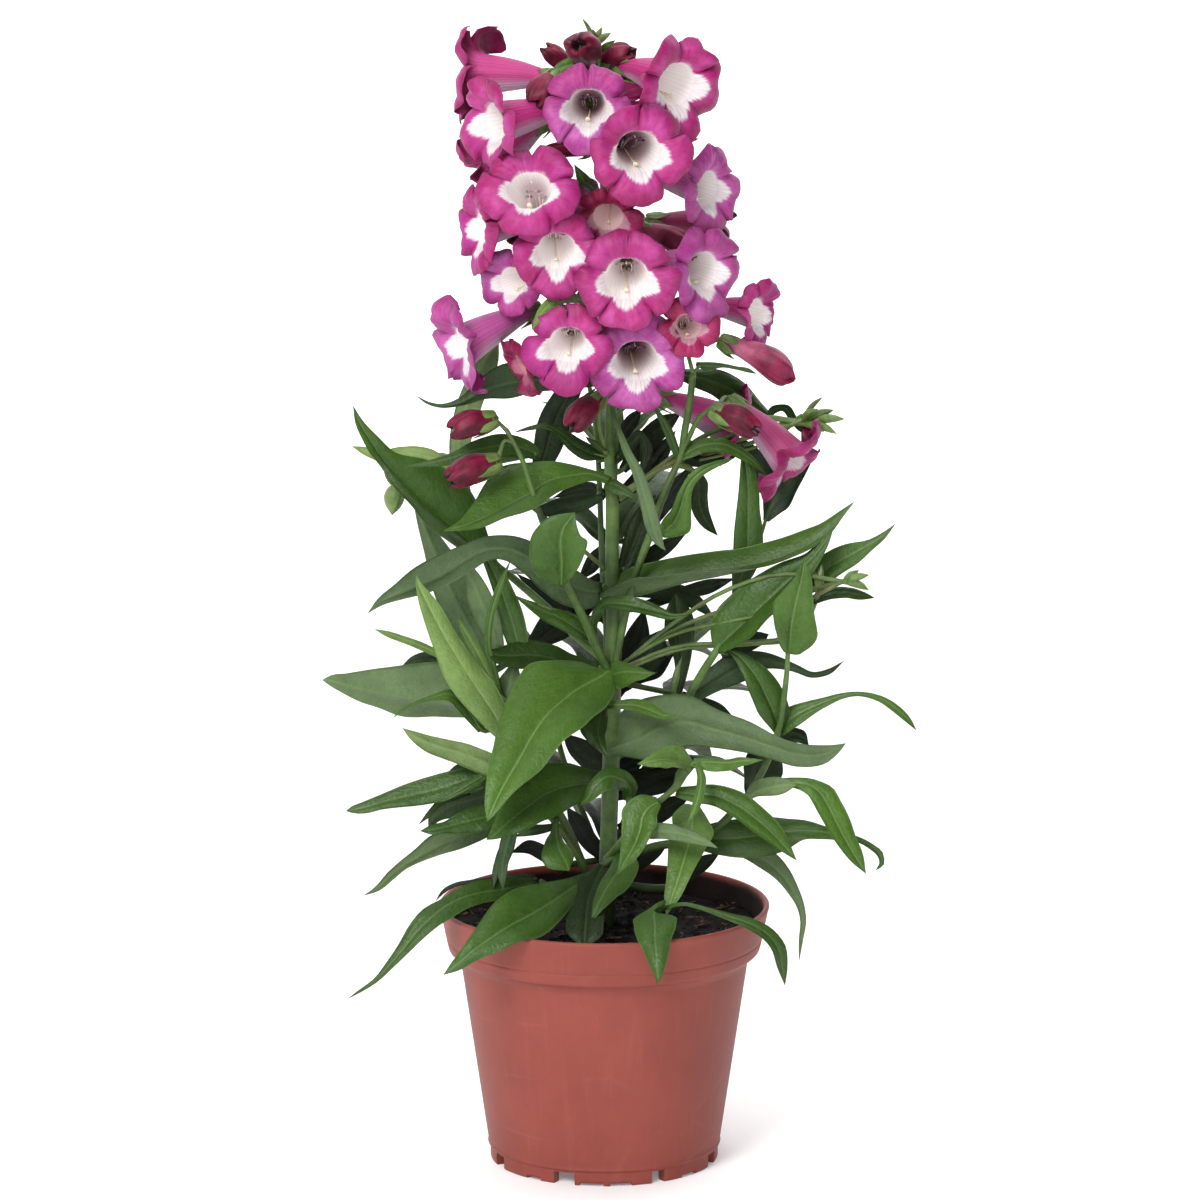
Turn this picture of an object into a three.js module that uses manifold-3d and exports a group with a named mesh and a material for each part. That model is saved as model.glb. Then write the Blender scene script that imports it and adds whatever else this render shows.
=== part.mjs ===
// Flowering beardtongue (Penstemon) growing in a round plastic nursery pot.
// Millimetres, +Z up, origin at the middle of the pot's underside, the flowering side faces -Y.
import * as THREE from "three";
import { mergeVertices } from "three/addons/utils/BufferGeometryUtils.js";
import Module from "manifold-3d";

// ---------------------------------------------------------------- driving dimensions, mm
const RIM_R = 65.0; // outside of the rim
const POT_H = 103.0; // floor to rim top
const BAND_R = 61.4; // outside of the band at its lower edge
const BAND_Z = 85.2; // lower edge of the band
const BODY_TOP_R = 56.8; // body just under the band
const BODY_FOOT_R = 45.6; // body at the foot line
const FOOT_R = 45.0; // outside of the foot ring
const FOOT_H = 6.0; // height of the foot ring
const FOOT_IN_R = 40.5; // inside of the foot ring
const WALL = 1.5; // wall of the pot
const FLOOR_Z = 5.0; // underside of the pot's floor
const FLOOR_TOP = 7.5; // upper side of the pot's floor
const PAD_R = 14.0; // centre pad that stands on the floor
const DRAIN_R = 3.6; // drain hole radius
const DRAIN_PITCH_R = 29.0; // drain hole circle
const COMPOST_Z = 93.0; // mean level of the compost
const SIDES = 38; // facets round the pot
const TRIM = 0.28; // smallest detail kept where bodies are joined
const CLEAR = 0.5; // gap left between neighbouring bodies
const LEAF_T = 0.8; // leaf thickness at the midrib
const BLADE_T = 0.62; // leaf thickness in the half blades
const BULGE = 0.09; // rise of each half blade, of its width
const TUBE_L = 31.0; // flower tube length at scale 1
const MOUTH_R = 8.6; // flower mouth radius at scale 1
const LIMB_R = 20.4; // lobe tip radius at scale 1
const NOTCH_R = 12.6; // notch radius between lobes at scale 1
const PETAL_T = 0.8; // petal thickness
const PEDICEL_R = 0.85; // flower stalk radius

// ---------------------------------------------------------------- measured layout, mm
// leaves: node, stations from base to tip as left edge, midrib, right edge (x y z each), foot where the stalk leaves the stem (x y z radius)
const LEAVES = {
  "L01": {"node":"leaf_pair_upper","side":"U","tint":0.55,"wave":0,"sheen":0,"st":[[1.6,-5.0,271.2,2.2,-4.0,272.5,2.8,-3.0,273.8],[-2.3,-7.3,272.8,-1.7,-6.1,274.5,-1.1,-4.8,276.1],[-5.7,-10.0,273.3,-5.6,-8.0,276.0,-5.5,-5.1,277.8],[-12.7,-16.0,272.5,-13.3,-11.7,275.9,-14.0,-8.4,280.4],[-17.7,-21.6,271.7,-19.1,-14.4,275.3,-21.1,-9.6,281.6],[-20.1,-26.1,271.2,-22.9,-16.2,274.0,-27.9,-10.2,281.3],[-25.9,-34.3,268.9,-28.7,-19.3,270.3,-36.2,-10.6,280.6],[-32.1,-37.5,266.6,-34.5,-22.0,267.7,-41.3,-13.0,278.8],[-38.3,-37.6,264.1,-40.2,-24.6,265.1,-45.8,-17.0,274.4],[-46.5,-35.2,260.4,-47.9,-27.8,261.8,-50.6,-23.4,267.4],[-55.0,-33.0,258.6,-55.5,-30.7,259.6,-56.2,-29.2,261.6],[-62.0,-33.0,258.5,-62.0,-33.0,258.5,-62.0,-33.0,258.5]]},
  "L01b": {"node":"leaf_pair_upper","side":"U","tint":0.35,"wave":0,"sheen":0,"st":[[1.1,-0.7,273.0,0.6,-4.0,272.1,-0.4,-5.3,269.4],[6.1,-4.1,272.3,5.3,-7.7,271.2,3.8,-9.1,268.3],[10.2,-8.5,269.6,9.5,-10.5,269.0,8.5,-11.2,267.5],[13.0,-12.0,266.9,13.0,-12.0,266.9,13.0,-12.0,266.9]]},
  "L10": {"node":"centre_shoot","side":"D","tint":0.1,"wave":0,"sheen":0,"st":[[-0.3,-1.5,264.5,-0.5,-1.0,265.6,-0.8,-0.5,266.7],[-6.8,-5.8,261.5,-7.5,-4.4,264.7,-8.1,-2.5,267.0],[-14.5,-9.1,260.1,-15.3,-7.4,263.7,-16.0,-5.5,266.8],[-21.8,-11.0,259.7,-22.2,-9.7,262.5,-22.5,-8.0,264.6],[-27.6,-11.0,262.8,-27.6,-11.0,262.8,-27.6,-11.0,262.8]]},
  "L02": {"node":"leaf_pair_low_front","side":"U","tint":0.62,"wave":0,"sheen":0,"st":[[4.5,-4.7,197.0,3.0,-4.0,198.6,1.9,-2.7,199.5],[3.9,-11.0,190.5,-0.5,-8.6,196.5,-2.5,-3.8,198.3],[0.8,-16.9,185.9,-4.8,-13.3,195.1,-9.1,-7.1,201.3],[-4.4,-26.4,183.6,-11.4,-20.2,192.7,-19.5,-15.4,203.7],[-8.9,-36.1,181.5,-17.2,-26.6,189.3,-29.8,-20.3,203.0],[-13.4,-40.0,179.8,-21.8,-31.6,186.1,-34.4,-26.2,197.2],[-15.9,-42.7,178.4,-24.9,-35.3,183.0,-37.9,-30.9,191.2],[-19.7,-46.8,173.9,-28.7,-40.5,177.9,-41.0,-36.7,184.4],[-24.4,-50.4,168.3,-32.5,-45.7,171.9,-42.5,-42.6,177.1],[-30.6,-54.3,163.9,-36.3,-50.2,166.3,-44.3,-47.7,170.4],[-36.6,-57.3,159.1,-40.1,-54.4,160.2,-45.6,-52.8,162.7],[-41.4,-59.3,153.8,-43.1,-57.9,154.3,-45.9,-57.1,155.4],[-45.0,-60.0,150.1,-45.0,-60.0,150.1,-45.0,-60.0,150.1]]},
  "L02b": {"node":"leaf_pair_low_front","side":"U","tint":0.5,"wave":0,"sheen":0,"st":[[0.5,-2.5,200.0,2.2,-5.0,195.3,3.9,-7.5,190.5],[6.2,-6.1,201.4,6.9,-10.1,198.0,7.9,-13.1,192.4],[11.6,-11.8,201.1,11.5,-14.3,198.9,11.3,-16.1,195.3],[16.2,-16.3,200.2,16.2,-17.6,199.2,16.1,-18.5,197.5],[20.4,-20.0,199.8,20.4,-20.0,199.8,20.4,-20.0,199.8]]},
  "L03": {"node":"leaf_pair_middle","side":"U","tint":0.5,"wave":0,"sheen":0.5,"st":[[-1.7,-0.0,230.1,-1.7,-3.0,226.7,-1.7,-6.8,229.1],[4.9,2.7,235.1,5.3,-4.4,227.0,5.0,-12.9,233.5],[12.0,2.6,237.7,13.9,-5.9,228.1,12.7,-15.5,236.8],[18.7,1.4,239.7,21.6,-7.1,230.4,20.2,-17.8,237.5],[27.1,-0.2,241.8,29.4,-8.2,233.0,28.4,-18.8,238.6],[43.1,-2.5,244.3,44.9,-9.6,236.4,44.4,-19.7,240.0],[52.8,-3.7,245.7,54.6,-10.1,238.5,54.2,-19.5,241.2],[59.9,-3.9,247.6,62.3,-10.3,240.5,62.1,-19.9,242.5],[69.0,-4.5,250.2,72.0,-10.3,244.1,71.9,-19.1,245.5],[78.3,-5.1,253.9,81.7,-9.9,249.2,81.8,-17.4,250.0],[84.3,-6.2,256.6,87.5,-9.5,253.8,87.8,-14.8,254.3],[90.1,-7.0,260.6,92.1,-8.9,259.2,92.3,-11.9,259.6],[97.1,-8.0,265.4,97.1,-8.0,265.4,97.1,-8.0,265.4]]},
  "L11": {"node":"leaf_pair_middle","side":"D","tint":0.36,"wave":0,"sheen":0,"st":[[-1.3,-2.8,223.9,-0.9,-3.0,228.7,-0.7,-4.7,232.2],[-7.0,-5.6,221.8,-5.6,-5.9,229.7,-4.9,-9.5,234.4],[-14.9,-9.0,224.0,-11.4,-9.4,232.0,-9.2,-12.8,237.8],[-24.4,-14.2,231.5,-20.3,-14.8,238.3,-17.0,-17.0,244.1],[-31.7,-19.0,239.5,-28.8,-19.4,245.1,-25.8,-19.7,250.8],[-38.2,-21.7,244.5,-37.2,-22.8,249.4,-36.0,-23.0,254.8],[-44.0,-24.1,245.4,-44.9,-25.3,249.9,-46.0,-25.5,254.9],[-50.1,-26.6,242.1,-52.6,-27.4,246.8,-55.2,-27.7,251.7],[-59.2,-26.4,236.6,-61.4,-29.4,241.3,-64.9,-29.8,247.9],[-69.7,-27.3,232.9,-71.0,-30.5,236.8,-73.8,-30.9,243.3],[-78.7,-29.2,230.8,-79.5,-30.8,233.3,-81.0,-31.0,237.0],[-85.6,-30.5,228.8,-86.5,-30.6,230.1,-87.3,-30.7,231.5],[-91.5,-30.0,225.3,-91.5,-30.0,225.3,-91.5,-30.0,225.3]]},
  "L09": {"node":"main_stem","side":"U","tint":0.15,"wave":0,"sheen":0,"st":[[-0.4,-0.8,280.6,-0.1,0.0,281.6,0.1,0.8,282.6],[-6.7,-4.1,280.6,-5.6,-2.1,283.2,-4.5,-0.1,285.8],[-13.1,-6.1,284.5,-11.4,-4.2,286.7,-9.6,-2.3,289.0],[-17.7,-7.3,289.7,-16.4,-5.8,291.4,-15.3,-3.9,292.6],[-22.4,-7.8,293.7,-22.2,-7.0,294.7,-22.0,-6.2,295.7],[-28.6,-8.3,293.3,-28.8,-7.7,294.1,-28.9,-7.2,294.8],[-35.7,-8.0,292.2,-35.7,-8.0,292.2,-35.7,-8.0,292.2]],"foot":[1.8,2.0,281.6,0.91]},
  "L09b": {"node":"main_stem","side":"U","tint":0.35,"wave":0,"sheen":0,"st":[[-0.7,-4.5,283.4,-0.1,-4.0,283.9,0.4,-3.5,284.5],[-3.6,-7.7,286.1,-2.9,-6.3,286.7,-1.9,-5.4,287.8],[-5.7,-8.9,288.2,-5.2,-7.7,288.6,-4.4,-7.0,289.4],[-7.5,-9.0,291.2,-7.5,-9.0,291.2,-7.5,-9.0,291.2]],"foot":[1.8,2.2,283.3,0.7]},
  "L08": {"node":"leaf_pair_top","side":"D","tint":0.24,"wave":0,"sheen":0,"st":[[-1.0,2.1,309.2,-0.9,2.0,311.2,-0.8,1.9,313.2],[-7.7,-0.9,308.6,-7.5,-1.7,312.2,-7.3,-1.9,316.2],[-17.1,-5.1,308.5,-17.2,-6.4,313.5,-17.2,-6.8,319.0],[-28.2,-8.6,308.0,-28.7,-11.0,313.5,-29.4,-11.5,320.6],[-37.1,-11.2,306.6,-38.3,-14.0,312.5,-40.0,-14.6,320.2],[-45.8,-14.6,306.6,-47.1,-16.1,310.1,-48.9,-16.5,314.5],[-54.3,-16.9,304.5,-54.8,-17.4,306.0,-55.5,-17.6,307.9],[-63.3,-18.0,303.8,-63.3,-18.1,304.6,-63.3,-18.1,305.4],[-68.1,-18.1,305.2,-67.9,-18.2,305.8,-67.6,-18.2,306.3],[-72.9,-18.0,308.9,-72.9,-18.0,308.9,-72.9,-18.0,308.9]]},
  "L25": {"node":"leaf_pair_top","side":"U","tint":0.24,"wave":0,"sheen":0,"st":[[6.5,7.3,310.2,6.8,6.0,308.5,7.2,5.1,306.8],[17.2,13.5,311.9,17.8,11.8,309.5,18.3,10.5,307.0],[28.6,18.8,313.0,28.7,16.4,311.0,28.9,15.1,308.5],[36.9,22.8,312.2,36.1,18.9,309.4,35.2,16.9,305.5],[45.1,24.2,311.3,43.2,20.9,307.1,41.3,18.6,302.7],[53.8,28.1,306.2,51.1,22.6,302.8,47.7,19.9,297.9],[60.0,29.0,299.3,57.7,23.7,297.5,54.4,21.3,293.5],[64.7,26.9,294.4,63.3,24.0,293.0,61.3,22.7,290.8],[68.0,24.0,289.5,68.0,24.0,289.5,68.0,24.0,289.5]]},
  "L37": {"node":"leaf_pair_low","side":"D","tint":0.54,"wave":0,"sheen":0,"st":[[0.7,-1.1,169.3,2.2,-3.0,165.2,3.0,-6.0,163.6],[4.0,-1.9,175.7,6.9,-5.6,167.4,8.3,-11.7,164.2],[6.7,-3.2,180.5,12.0,-8.3,169.6,15.1,-16.3,164.2],[17.0,-7.9,187.4,21.7,-13.2,175.9,25.3,-20.6,167.6],[31.6,-12.5,189.4,31.3,-17.0,179.2,31.1,-22.9,171.0],[44.9,-17.5,184.3,43.0,-20.7,177.3,41.2,-24.6,171.2],[56.5,-20.8,180.6,54.6,-23.5,174.7,52.8,-26.9,169.8],[67.6,-23.5,175.3,66.2,-25.4,171.2,64.8,-27.3,167.0],[76.4,-23.9,172.4,75.9,-26.2,168.6,75.3,-28.1,164.3],[84.9,-25.0,172.2,85.5,-26.4,169.0,86.2,-27.8,165.8],[89.9,-25.6,172.6,90.6,-26.2,171.4,91.3,-26.8,170.1],[93.7,-26.0,173.3,93.7,-26.0,173.3,93.7,-26.0,173.3]]},
  "L47": {"node":"leaf_pair_low","side":"U","tint":0.42,"wave":0,"sheen":0.8,"st":[[1.6,-3.9,152.7,0.6,-3.0,154.7,-0.3,-2.0,156.7],[-4.3,-14.3,149.9,-5.6,-10.6,153.7,-7.3,-7.9,159.2],[-11.7,-23.8,147.9,-13.4,-18.8,154.5,-15.4,-14.6,162.8],[-17.1,-32.7,146.8,-21.1,-26.4,153.9,-26.1,-21.3,163.5],[-24.0,-41.0,145.4,-28.8,-34.1,150.5,-35.8,-29.1,159.4],[-30.4,-44.7,143.1,-34.6,-39.5,147.1,-40.5,-35.7,153.6],[-36.4,-45.4,141.2,-39.1,-43.4,144.1,-42.2,-41.5,147.2],[-41.4,-47.3,140.3,-42.6,-46.1,141.5,-44.0,-45.1,143.2],[-45.6,-48.0,140.0,-45.6,-48.0,140.0,-45.6,-48.0,140.0]]},
  "L38": {"node":"leaf_pair_low_front","side":"U","tint":0.55,"wave":0,"sheen":0,"st":[[0.2,-3.3,184.1,0.3,-4.0,183.0,0.3,-4.7,182.0],[6.1,-12.1,187.3,6.1,-13.2,185.5,6.1,-14.7,184.3],[13.5,-20.6,189.5,13.0,-22.1,187.1,12.6,-24.1,185.2],[19.4,-26.3,188.7,18.4,-27.8,186.4,17.6,-29.7,184.7],[22.9,-30.3,186.6,22.7,-31.2,185.2,22.5,-32.4,184.3],[28.4,-34.0,186.3,28.4,-34.0,186.3,28.4,-34.0,186.3]]},
  "L39": {"node":"leaf_pair_low_front","side":"U","tint":0.28,"wave":0,"sheen":0,"st":[[1.4,-3.4,183.3,-0.1,-4.0,183.8,-2.0,-4.3,184.5],[1.3,-6.8,178.2,-1.7,-9.6,179.5,-7.8,-10.7,181.2],[0.6,-10.1,174.8,-2.5,-13.5,175.6,-9.5,-15.1,176.0],[0.6,-15.1,171.8,-1.7,-16.7,171.5,-5.1,-17.6,170.8],[0.9,-18.5,168.5,-0.1,-18.9,168.1,-1.2,-19.2,167.6],[1.4,-20.0,165.9,1.4,-20.0,165.9,1.4,-20.0,165.9]]},
  "L26": {"node":"left_front_shoot","side":"U","tint":0.38,"wave":1.0,"sheen":0,"st":[[-4.8,-4.2,211.8,-4.0,-5.0,212.0,-2.9,-5.5,212.2],[-5.6,-6.5,216.4,-4.4,-7.5,216.5,-2.9,-8.2,216.5],[-4.9,-8.5,222.2,-3.3,-10.0,221.4,-1.3,-11.3,220.4],[-0.8,-10.8,227.7,0.2,-12.5,225.1,0.9,-15.6,223.9],[6.3,-13.4,228.9,6.1,-15.1,226.1,5.8,-17.7,223.9],[14.5,-16.1,228.2,13.8,-18.0,225.1,13.3,-21.5,223.5],[21.3,-18.7,226.0,20.7,-20.0,223.9,20.4,-22.3,222.9],[27.4,-20.6,223.7,27.3,-21.2,222.6,27.3,-22.4,222.1],[32.8,-21.4,224.6,33.1,-21.8,223.9,33.3,-22.6,223.6],[38.5,-22.0,227.9,38.5,-22.0,227.9,38.5,-22.0,227.9]]},
  "L27": {"node":"left_front_shoot","side":"U","tint":0.35,"wave":1.0,"sheen":0,"st":[[-5.5,-5.7,208.8,-4.8,-5.0,209.6,-4.1,-4.4,210.5],[-8.7,-8.0,210.7,-7.5,-6.8,212.0,-6.4,-5.8,213.4],[-14.1,-11.7,213.7,-12.2,-9.6,216.2,-10.3,-7.7,218.8],[-19.6,-14.5,217.6,-18.0,-12.3,220.3,-16.6,-10.0,222.7],[-24.4,-16.3,219.9,-23.0,-14.1,222.7,-22.0,-11.4,224.7],[-29.6,-16.6,224.6,-28.8,-15.7,225.8,-28.1,-14.8,227.0],[-35.8,-17.0,230.4,-35.8,-17.0,230.4,-35.8,-17.0,230.4]]},
  "L28": {"node":"centre_shoot","side":"U","tint":0.22,"wave":0,"sheen":0,"st":[[-0.1,-3.5,196.5,-0.1,-2.0,197.8,-0.1,-0.9,199.6],[-5.9,-5.4,195.4,-5.6,-3.7,198.2,-5.3,-1.9,201.0],[-14.4,-8.7,196.2,-13.4,-6.3,199.9,-12.4,-3.9,203.7],[-22.3,-12.8,199.1,-21.2,-9.3,203.4,-19.9,-6.2,208.1],[-29.9,-16.4,200.6,-29.7,-12.6,205.3,-29.4,-9.3,210.6],[-37.4,-19.0,201.9,-37.4,-15.9,205.6,-37.4,-13.3,209.8],[-43.0,-20.1,204.6,-42.4,-18.2,206.5,-41.7,-16.6,208.9],[-45.9,-20.0,208.9,-45.9,-20.0,208.9,-45.9,-20.0,208.9]]},
  "L73": {"node":"centre_shoot","side":"D","tint":0.06,"wave":0,"sheen":0,"st":[[6.0,0.9,197.4,6.9,0.0,195.8,7.8,-0.9,194.2],[10.3,6.3,200.5,12.4,3.7,197.8,14.9,1.6,194.2],[12.9,9.4,204.1,17.1,6.2,201.2,21.9,3.7,197.7],[16.0,10.5,207.4,19.8,7.6,206.1,24.8,5.7,204.1],[21.8,8.0,210.8,21.8,8.0,210.8,21.8,8.0,210.8]]},
  "L12": {"node":"leaf_pair_left_shoot_1","side":"U","tint":0.88,"wave":0,"sheen":0,"st":[[-37.2,-22.7,171.3,-35.9,-22.0,172.0,-34.6,-21.5,172.7],[-41.9,-26.0,175.3,-38.5,-24.3,176.9,-36.2,-22.2,177.8],[-46.2,-29.3,180.2,-41.2,-26.8,182.6,-37.2,-23.9,184.4],[-50.1,-32.2,185.2,-44.2,-29.2,188.3,-39.4,-25.7,190.8],[-54.7,-35.2,191.0,-48.0,-31.7,194.8,-43.0,-27.4,197.4],[-58.9,-37.6,197.4,-51.8,-34.0,201.3,-47.4,-29.0,203.2],[-62.9,-39.7,205.9,-56.4,-36.4,209.3,-52.2,-32.0,211.1],[-65.8,-40.9,214.2,-60.5,-38.3,216.8,-56.6,-35.0,218.5],[-68.7,-41.9,223.2,-64.7,-40.0,225.0,-61.0,-38.0,226.6],[-71.2,-42.4,232.0,-68.5,-41.1,233.1,-65.7,-40.1,234.3],[-72.3,-42.6,238.4,-71.1,-41.7,238.7,-69.7,-41.2,239.2],[-72.2,-42.0,243.1,-72.2,-42.0,243.1,-72.2,-42.0,243.1]]},
  "L31": {"node":"leaf_pair_left_shoot_1","side":"D","tint":0.75,"wave":0,"sheen":0,"st":[[-35.1,-17.3,161.9,-36.0,-16.0,163.4,-37.0,-14.9,165.3],[-40.7,-20.0,158.3,-40.6,-17.1,161.3,-40.5,-14.9,165.5],[-50.0,-20.7,160.4,-48.4,-18.6,164.4,-46.8,-16.4,168.4],[-56.7,-21.7,163.8,-55.4,-19.7,167.5,-54.0,-17.7,171.2],[-63.1,-22.3,166.3,-61.9,-20.6,169.7,-60.8,-18.8,173.0],[-69.8,-22.8,169.3,-68.5,-21.2,172.2,-67.3,-19.3,174.7],[-74.9,-22.6,173.6,-73.9,-21.7,175.1,-73.0,-20.8,176.6],[-78.5,-22.0,178.4,-78.5,-22.0,178.4,-78.5,-22.0,178.4]]},
  "L29": {"node":"leaf_pair_left_shoot_2","side":"D","tint":0.55,"wave":0,"sheen":0,"st":[[-36.1,-11.8,180.8,-35.9,-14.0,182.9,-35.7,-13.8,186.0],[-41.1,-9.7,179.2,-40.6,-14.1,183.3,-39.8,-13.7,189.6],[-49.4,-6.5,178.1,-48.4,-14.4,184.6,-46.5,-13.8,195.1],[-57.3,-3.8,178.3,-56.1,-14.8,186.3,-53.7,-13.9,200.2],[-64.8,-3.4,178.9,-63.9,-15.3,187.6,-62.3,-14.3,202.8],[-72.6,-4.5,179.2,-71.7,-15.9,188.1,-70.1,-14.9,202.9],[-80.9,-7.5,180.7,-79.4,-16.5,189.5,-77.2,-15.7,202.2],[-88.6,-10.6,183.8,-87.1,-17.3,191.2,-85.1,-16.7,201.2],[-96.2,-13.6,187.3,-94.9,-18.1,193.0,-93.1,-17.7,200.3],[-102.7,-16.7,191.6,-101.8,-19.0,195.2,-100.7,-18.7,199.3],[-106.8,-18.2,194.6,-106.4,-19.6,196.5,-106.0,-19.4,198.8],[-109.5,-20.0,197.0,-109.5,-20.0,197.0,-109.5,-20.0,197.0]]},
  "L28b": {"node":"leaf_pair_left_shoot_2","side":"D","tint":0.45,"wave":0,"sheen":0,"st":[[-39.8,-13.6,181.3,-38.3,-14.0,181.3,-36.7,-14.4,181.3],[-41.0,-11.8,188.4,-37.9,-12.6,188.2,-34.8,-13.3,188.0],[-40.9,-10.3,194.9,-36.7,-11.9,194.4,-32.1,-13.1,193.7],[-37.5,-10.9,200.1,-35.5,-11.8,199.9,-33.2,-12.4,199.7],[-35.1,-12.0,204.8,-35.1,-12.0,204.8,-35.1,-12.0,204.8]]},
  "L29b": {"node":"left_low_shoot","side":"U","tint":0.15,"wave":0,"sheen":0,"st":[[-52.6,-8.5,198.9,-52.3,-8.0,199.9,-52.1,-7.5,201.0],[-60.4,-6.3,199.6,-60.2,-5.2,200.9,-59.9,-4.4,202.7],[-67.9,-5.8,200.6,-68.0,-3.8,201.4,-68.1,-2.3,204.6],[-74.7,-4.9,199.3,-75.0,-3.5,200.1,-75.7,-2.6,202.2],[-79.7,-4.0,198.2,-79.7,-4.0,198.2,-79.7,-4.0,198.2]],"foot":[-43.5,-9.6,202.0,0.83]},
  "L29c": {"node":"left_low_shoot","side":"U","tint":0.45,"wave":0,"sheen":0,"st":[[-48.8,-20.9,176.3,-47.5,-20.0,177.1,-46.3,-19.1,177.9],[-53.2,-24.6,181.9,-51.3,-23.3,183.0,-49.5,-22.0,184.2],[-57.6,-29.3,188.1,-55.5,-26.7,189.8,-53.1,-24.6,191.8],[-60.4,-30.7,191.1,-60.1,-29.0,193.4,-59.9,-26.4,194.8],[-66.3,-32.4,191.7,-66.6,-31.4,192.4,-66.9,-30.7,193.4],[-72.9,-33.9,190.4,-73.1,-33.5,190.9,-73.4,-33.1,191.4],[-77.8,-35.3,188.0,-78.1,-34.9,188.4,-78.5,-34.6,188.9],[-82.0,-36.0,185.1,-82.0,-36.0,185.1,-82.0,-36.0,185.1]],"foot":[-38.4,-13.2,178.9,1.21]},
  "L30": {"node":"left_low_shoot","side":"U","tint":0.85,"wave":0,"sheen":0,"st":[[-56.0,-10.7,198.7,-55.4,-10.0,199.6,-54.8,-9.3,200.4],[-62.0,-12.5,202.7,-61.2,-11.5,203.9,-60.4,-10.5,205.0],[-66.8,-13.7,205.3,-66.2,-12.7,206.5,-65.6,-11.7,207.8],[-72.9,-15.1,208.4,-72.4,-14.1,209.6,-71.8,-13.1,210.9],[-79.0,-16.4,211.2,-78.5,-15.5,212.3,-78.1,-14.6,213.4],[-85.0,-17.7,214.0,-84.7,-17.0,215.0,-84.4,-16.0,215.7],[-89.3,-18.0,216.8,-89.3,-18.0,216.8,-89.3,-18.0,216.8]],"foot":[-43.5,-9.6,202.1,0.88]},
  "L32": {"node":"left_low_shoot","side":"D","tint":0.4,"wave":0,"sheen":0,"st":[[-45.5,-7.9,196.6,-43.8,-8.0,197.5,-42.0,-8.1,198.4],[-51.1,-7.0,202.1,-46.9,-7.3,204.1,-43.3,-8.4,206.1],[-54.7,-6.5,206.2,-49.2,-6.8,209.2,-45.0,-8.6,211.8],[-61.2,-5.8,216.4,-55.0,-6.2,219.8,-48.8,-6.6,223.3],[-65.7,-3.9,226.6,-60.0,-6.0,229.7,-52.9,-6.6,233.2],[-68.6,-3.9,237.3,-63.9,-6.1,239.7,-57.4,-6.7,242.4],[-71.0,-5.5,248.1,-67.7,-6.6,249.7,-63.7,-6.9,251.4],[-72.9,-6.4,257.6,-71.1,-7.3,258.5,-68.6,-7.5,259.6],[-74.2,-8.0,265.8,-74.2,-8.0,265.8,-74.2,-8.0,265.8]]},
  "L33": {"node":"left_low_shoot","side":"D","tint":0.5,"wave":0,"sheen":0,"st":[[-42.5,-11.7,201.9,-40.6,-12.0,202.4,-38.7,-12.3,202.9],[-45.8,-13.6,210.5,-42.5,-14.2,211.6,-39.1,-14.8,212.7],[-50.6,-15.5,219.5,-45.5,-16.3,221.6,-41.1,-17.8,223.6],[-53.2,-17.0,227.3,-48.5,-17.7,229.4,-44.2,-18.8,231.4],[-53.8,-17.6,236.5,-51.6,-18.9,237.6,-48.3,-19.5,238.9],[-54.2,-19.0,242.0,-53.1,-19.5,242.4,-51.6,-19.8,242.9],[-54.2,-20.0,247.2,-54.2,-20.0,247.2,-54.2,-20.0,247.2]]},
  "L34": {"node":"left_low_shoot","side":"U","tint":0.4,"wave":0,"sheen":0,"st":[[-35.1,-10.6,200.6,-32.8,-10.0,200.8,-30.5,-9.4,200.9],[-38.1,-12.3,210.4,-34.0,-11.2,211.0,-29.8,-10.1,211.6],[-41.4,-13.8,219.9,-36.6,-12.3,221.1,-31.8,-10.9,222.4],[-42.9,-15.3,229.2,-39.7,-13.2,230.0,-35.4,-11.8,231.5],[-44.9,-15.8,237.1,-42.8,-13.9,237.7,-39.3,-12.7,239.1],[-47.9,-15.9,245.3,-46.6,-14.5,245.7,-44.2,-13.6,246.9],[-50.8,-15.0,252.9,-50.8,-15.0,252.9,-50.8,-15.0,252.9]]},
  "L35": {"node":"left_low_shoot","side":"U","tint":0.75,"wave":0,"sheen":0,"st":[[-42.0,-16.4,191.8,-41.3,-16.0,192.1,-40.7,-15.7,192.5],[-46.5,-21.2,199.3,-45.1,-20.3,199.8,-43.8,-19.8,200.5],[-50.5,-24.9,206.5,-48.5,-23.7,207.3,-46.8,-22.5,208.0],[-53.6,-27.1,213.4,-51.9,-26.0,214.2,-50.6,-25.0,214.7],[-55.6,-27.9,218.7,-54.6,-27.3,219.2,-53.6,-26.9,219.7],[-56.5,-28.0,223.3,-56.5,-28.0,223.3,-56.5,-28.0,223.3]],"foot":[-41.0,-12.0,191.2,0.7]},
  "L36": {"node":"left_low_shoot","side":"U","tint":0.5,"wave":0,"sheen":0,"st":[[-41.7,-16.4,191.3,-40.9,-16.0,191.3,-40.2,-15.8,191.4],[-44.3,-19.4,201.3,-42.8,-18.6,201.4,-41.7,-17.8,201.5],[-46.6,-21.3,209.7,-44.7,-20.4,209.8,-43.6,-19.3,209.7],[-46.2,-22.6,219.5,-44.6,-22.0,219.2,-43.3,-21.4,218.9],[-43.9,-24.0,229.1,-42.7,-23.1,228.6,-41.2,-22.8,228.1],[-41.0,-24.1,236.7,-39.9,-23.7,236.2,-38.9,-23.5,235.7],[-36.0,-24.0,245.7,-36.0,-24.0,245.7,-36.0,-24.0,245.7]]},
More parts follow.
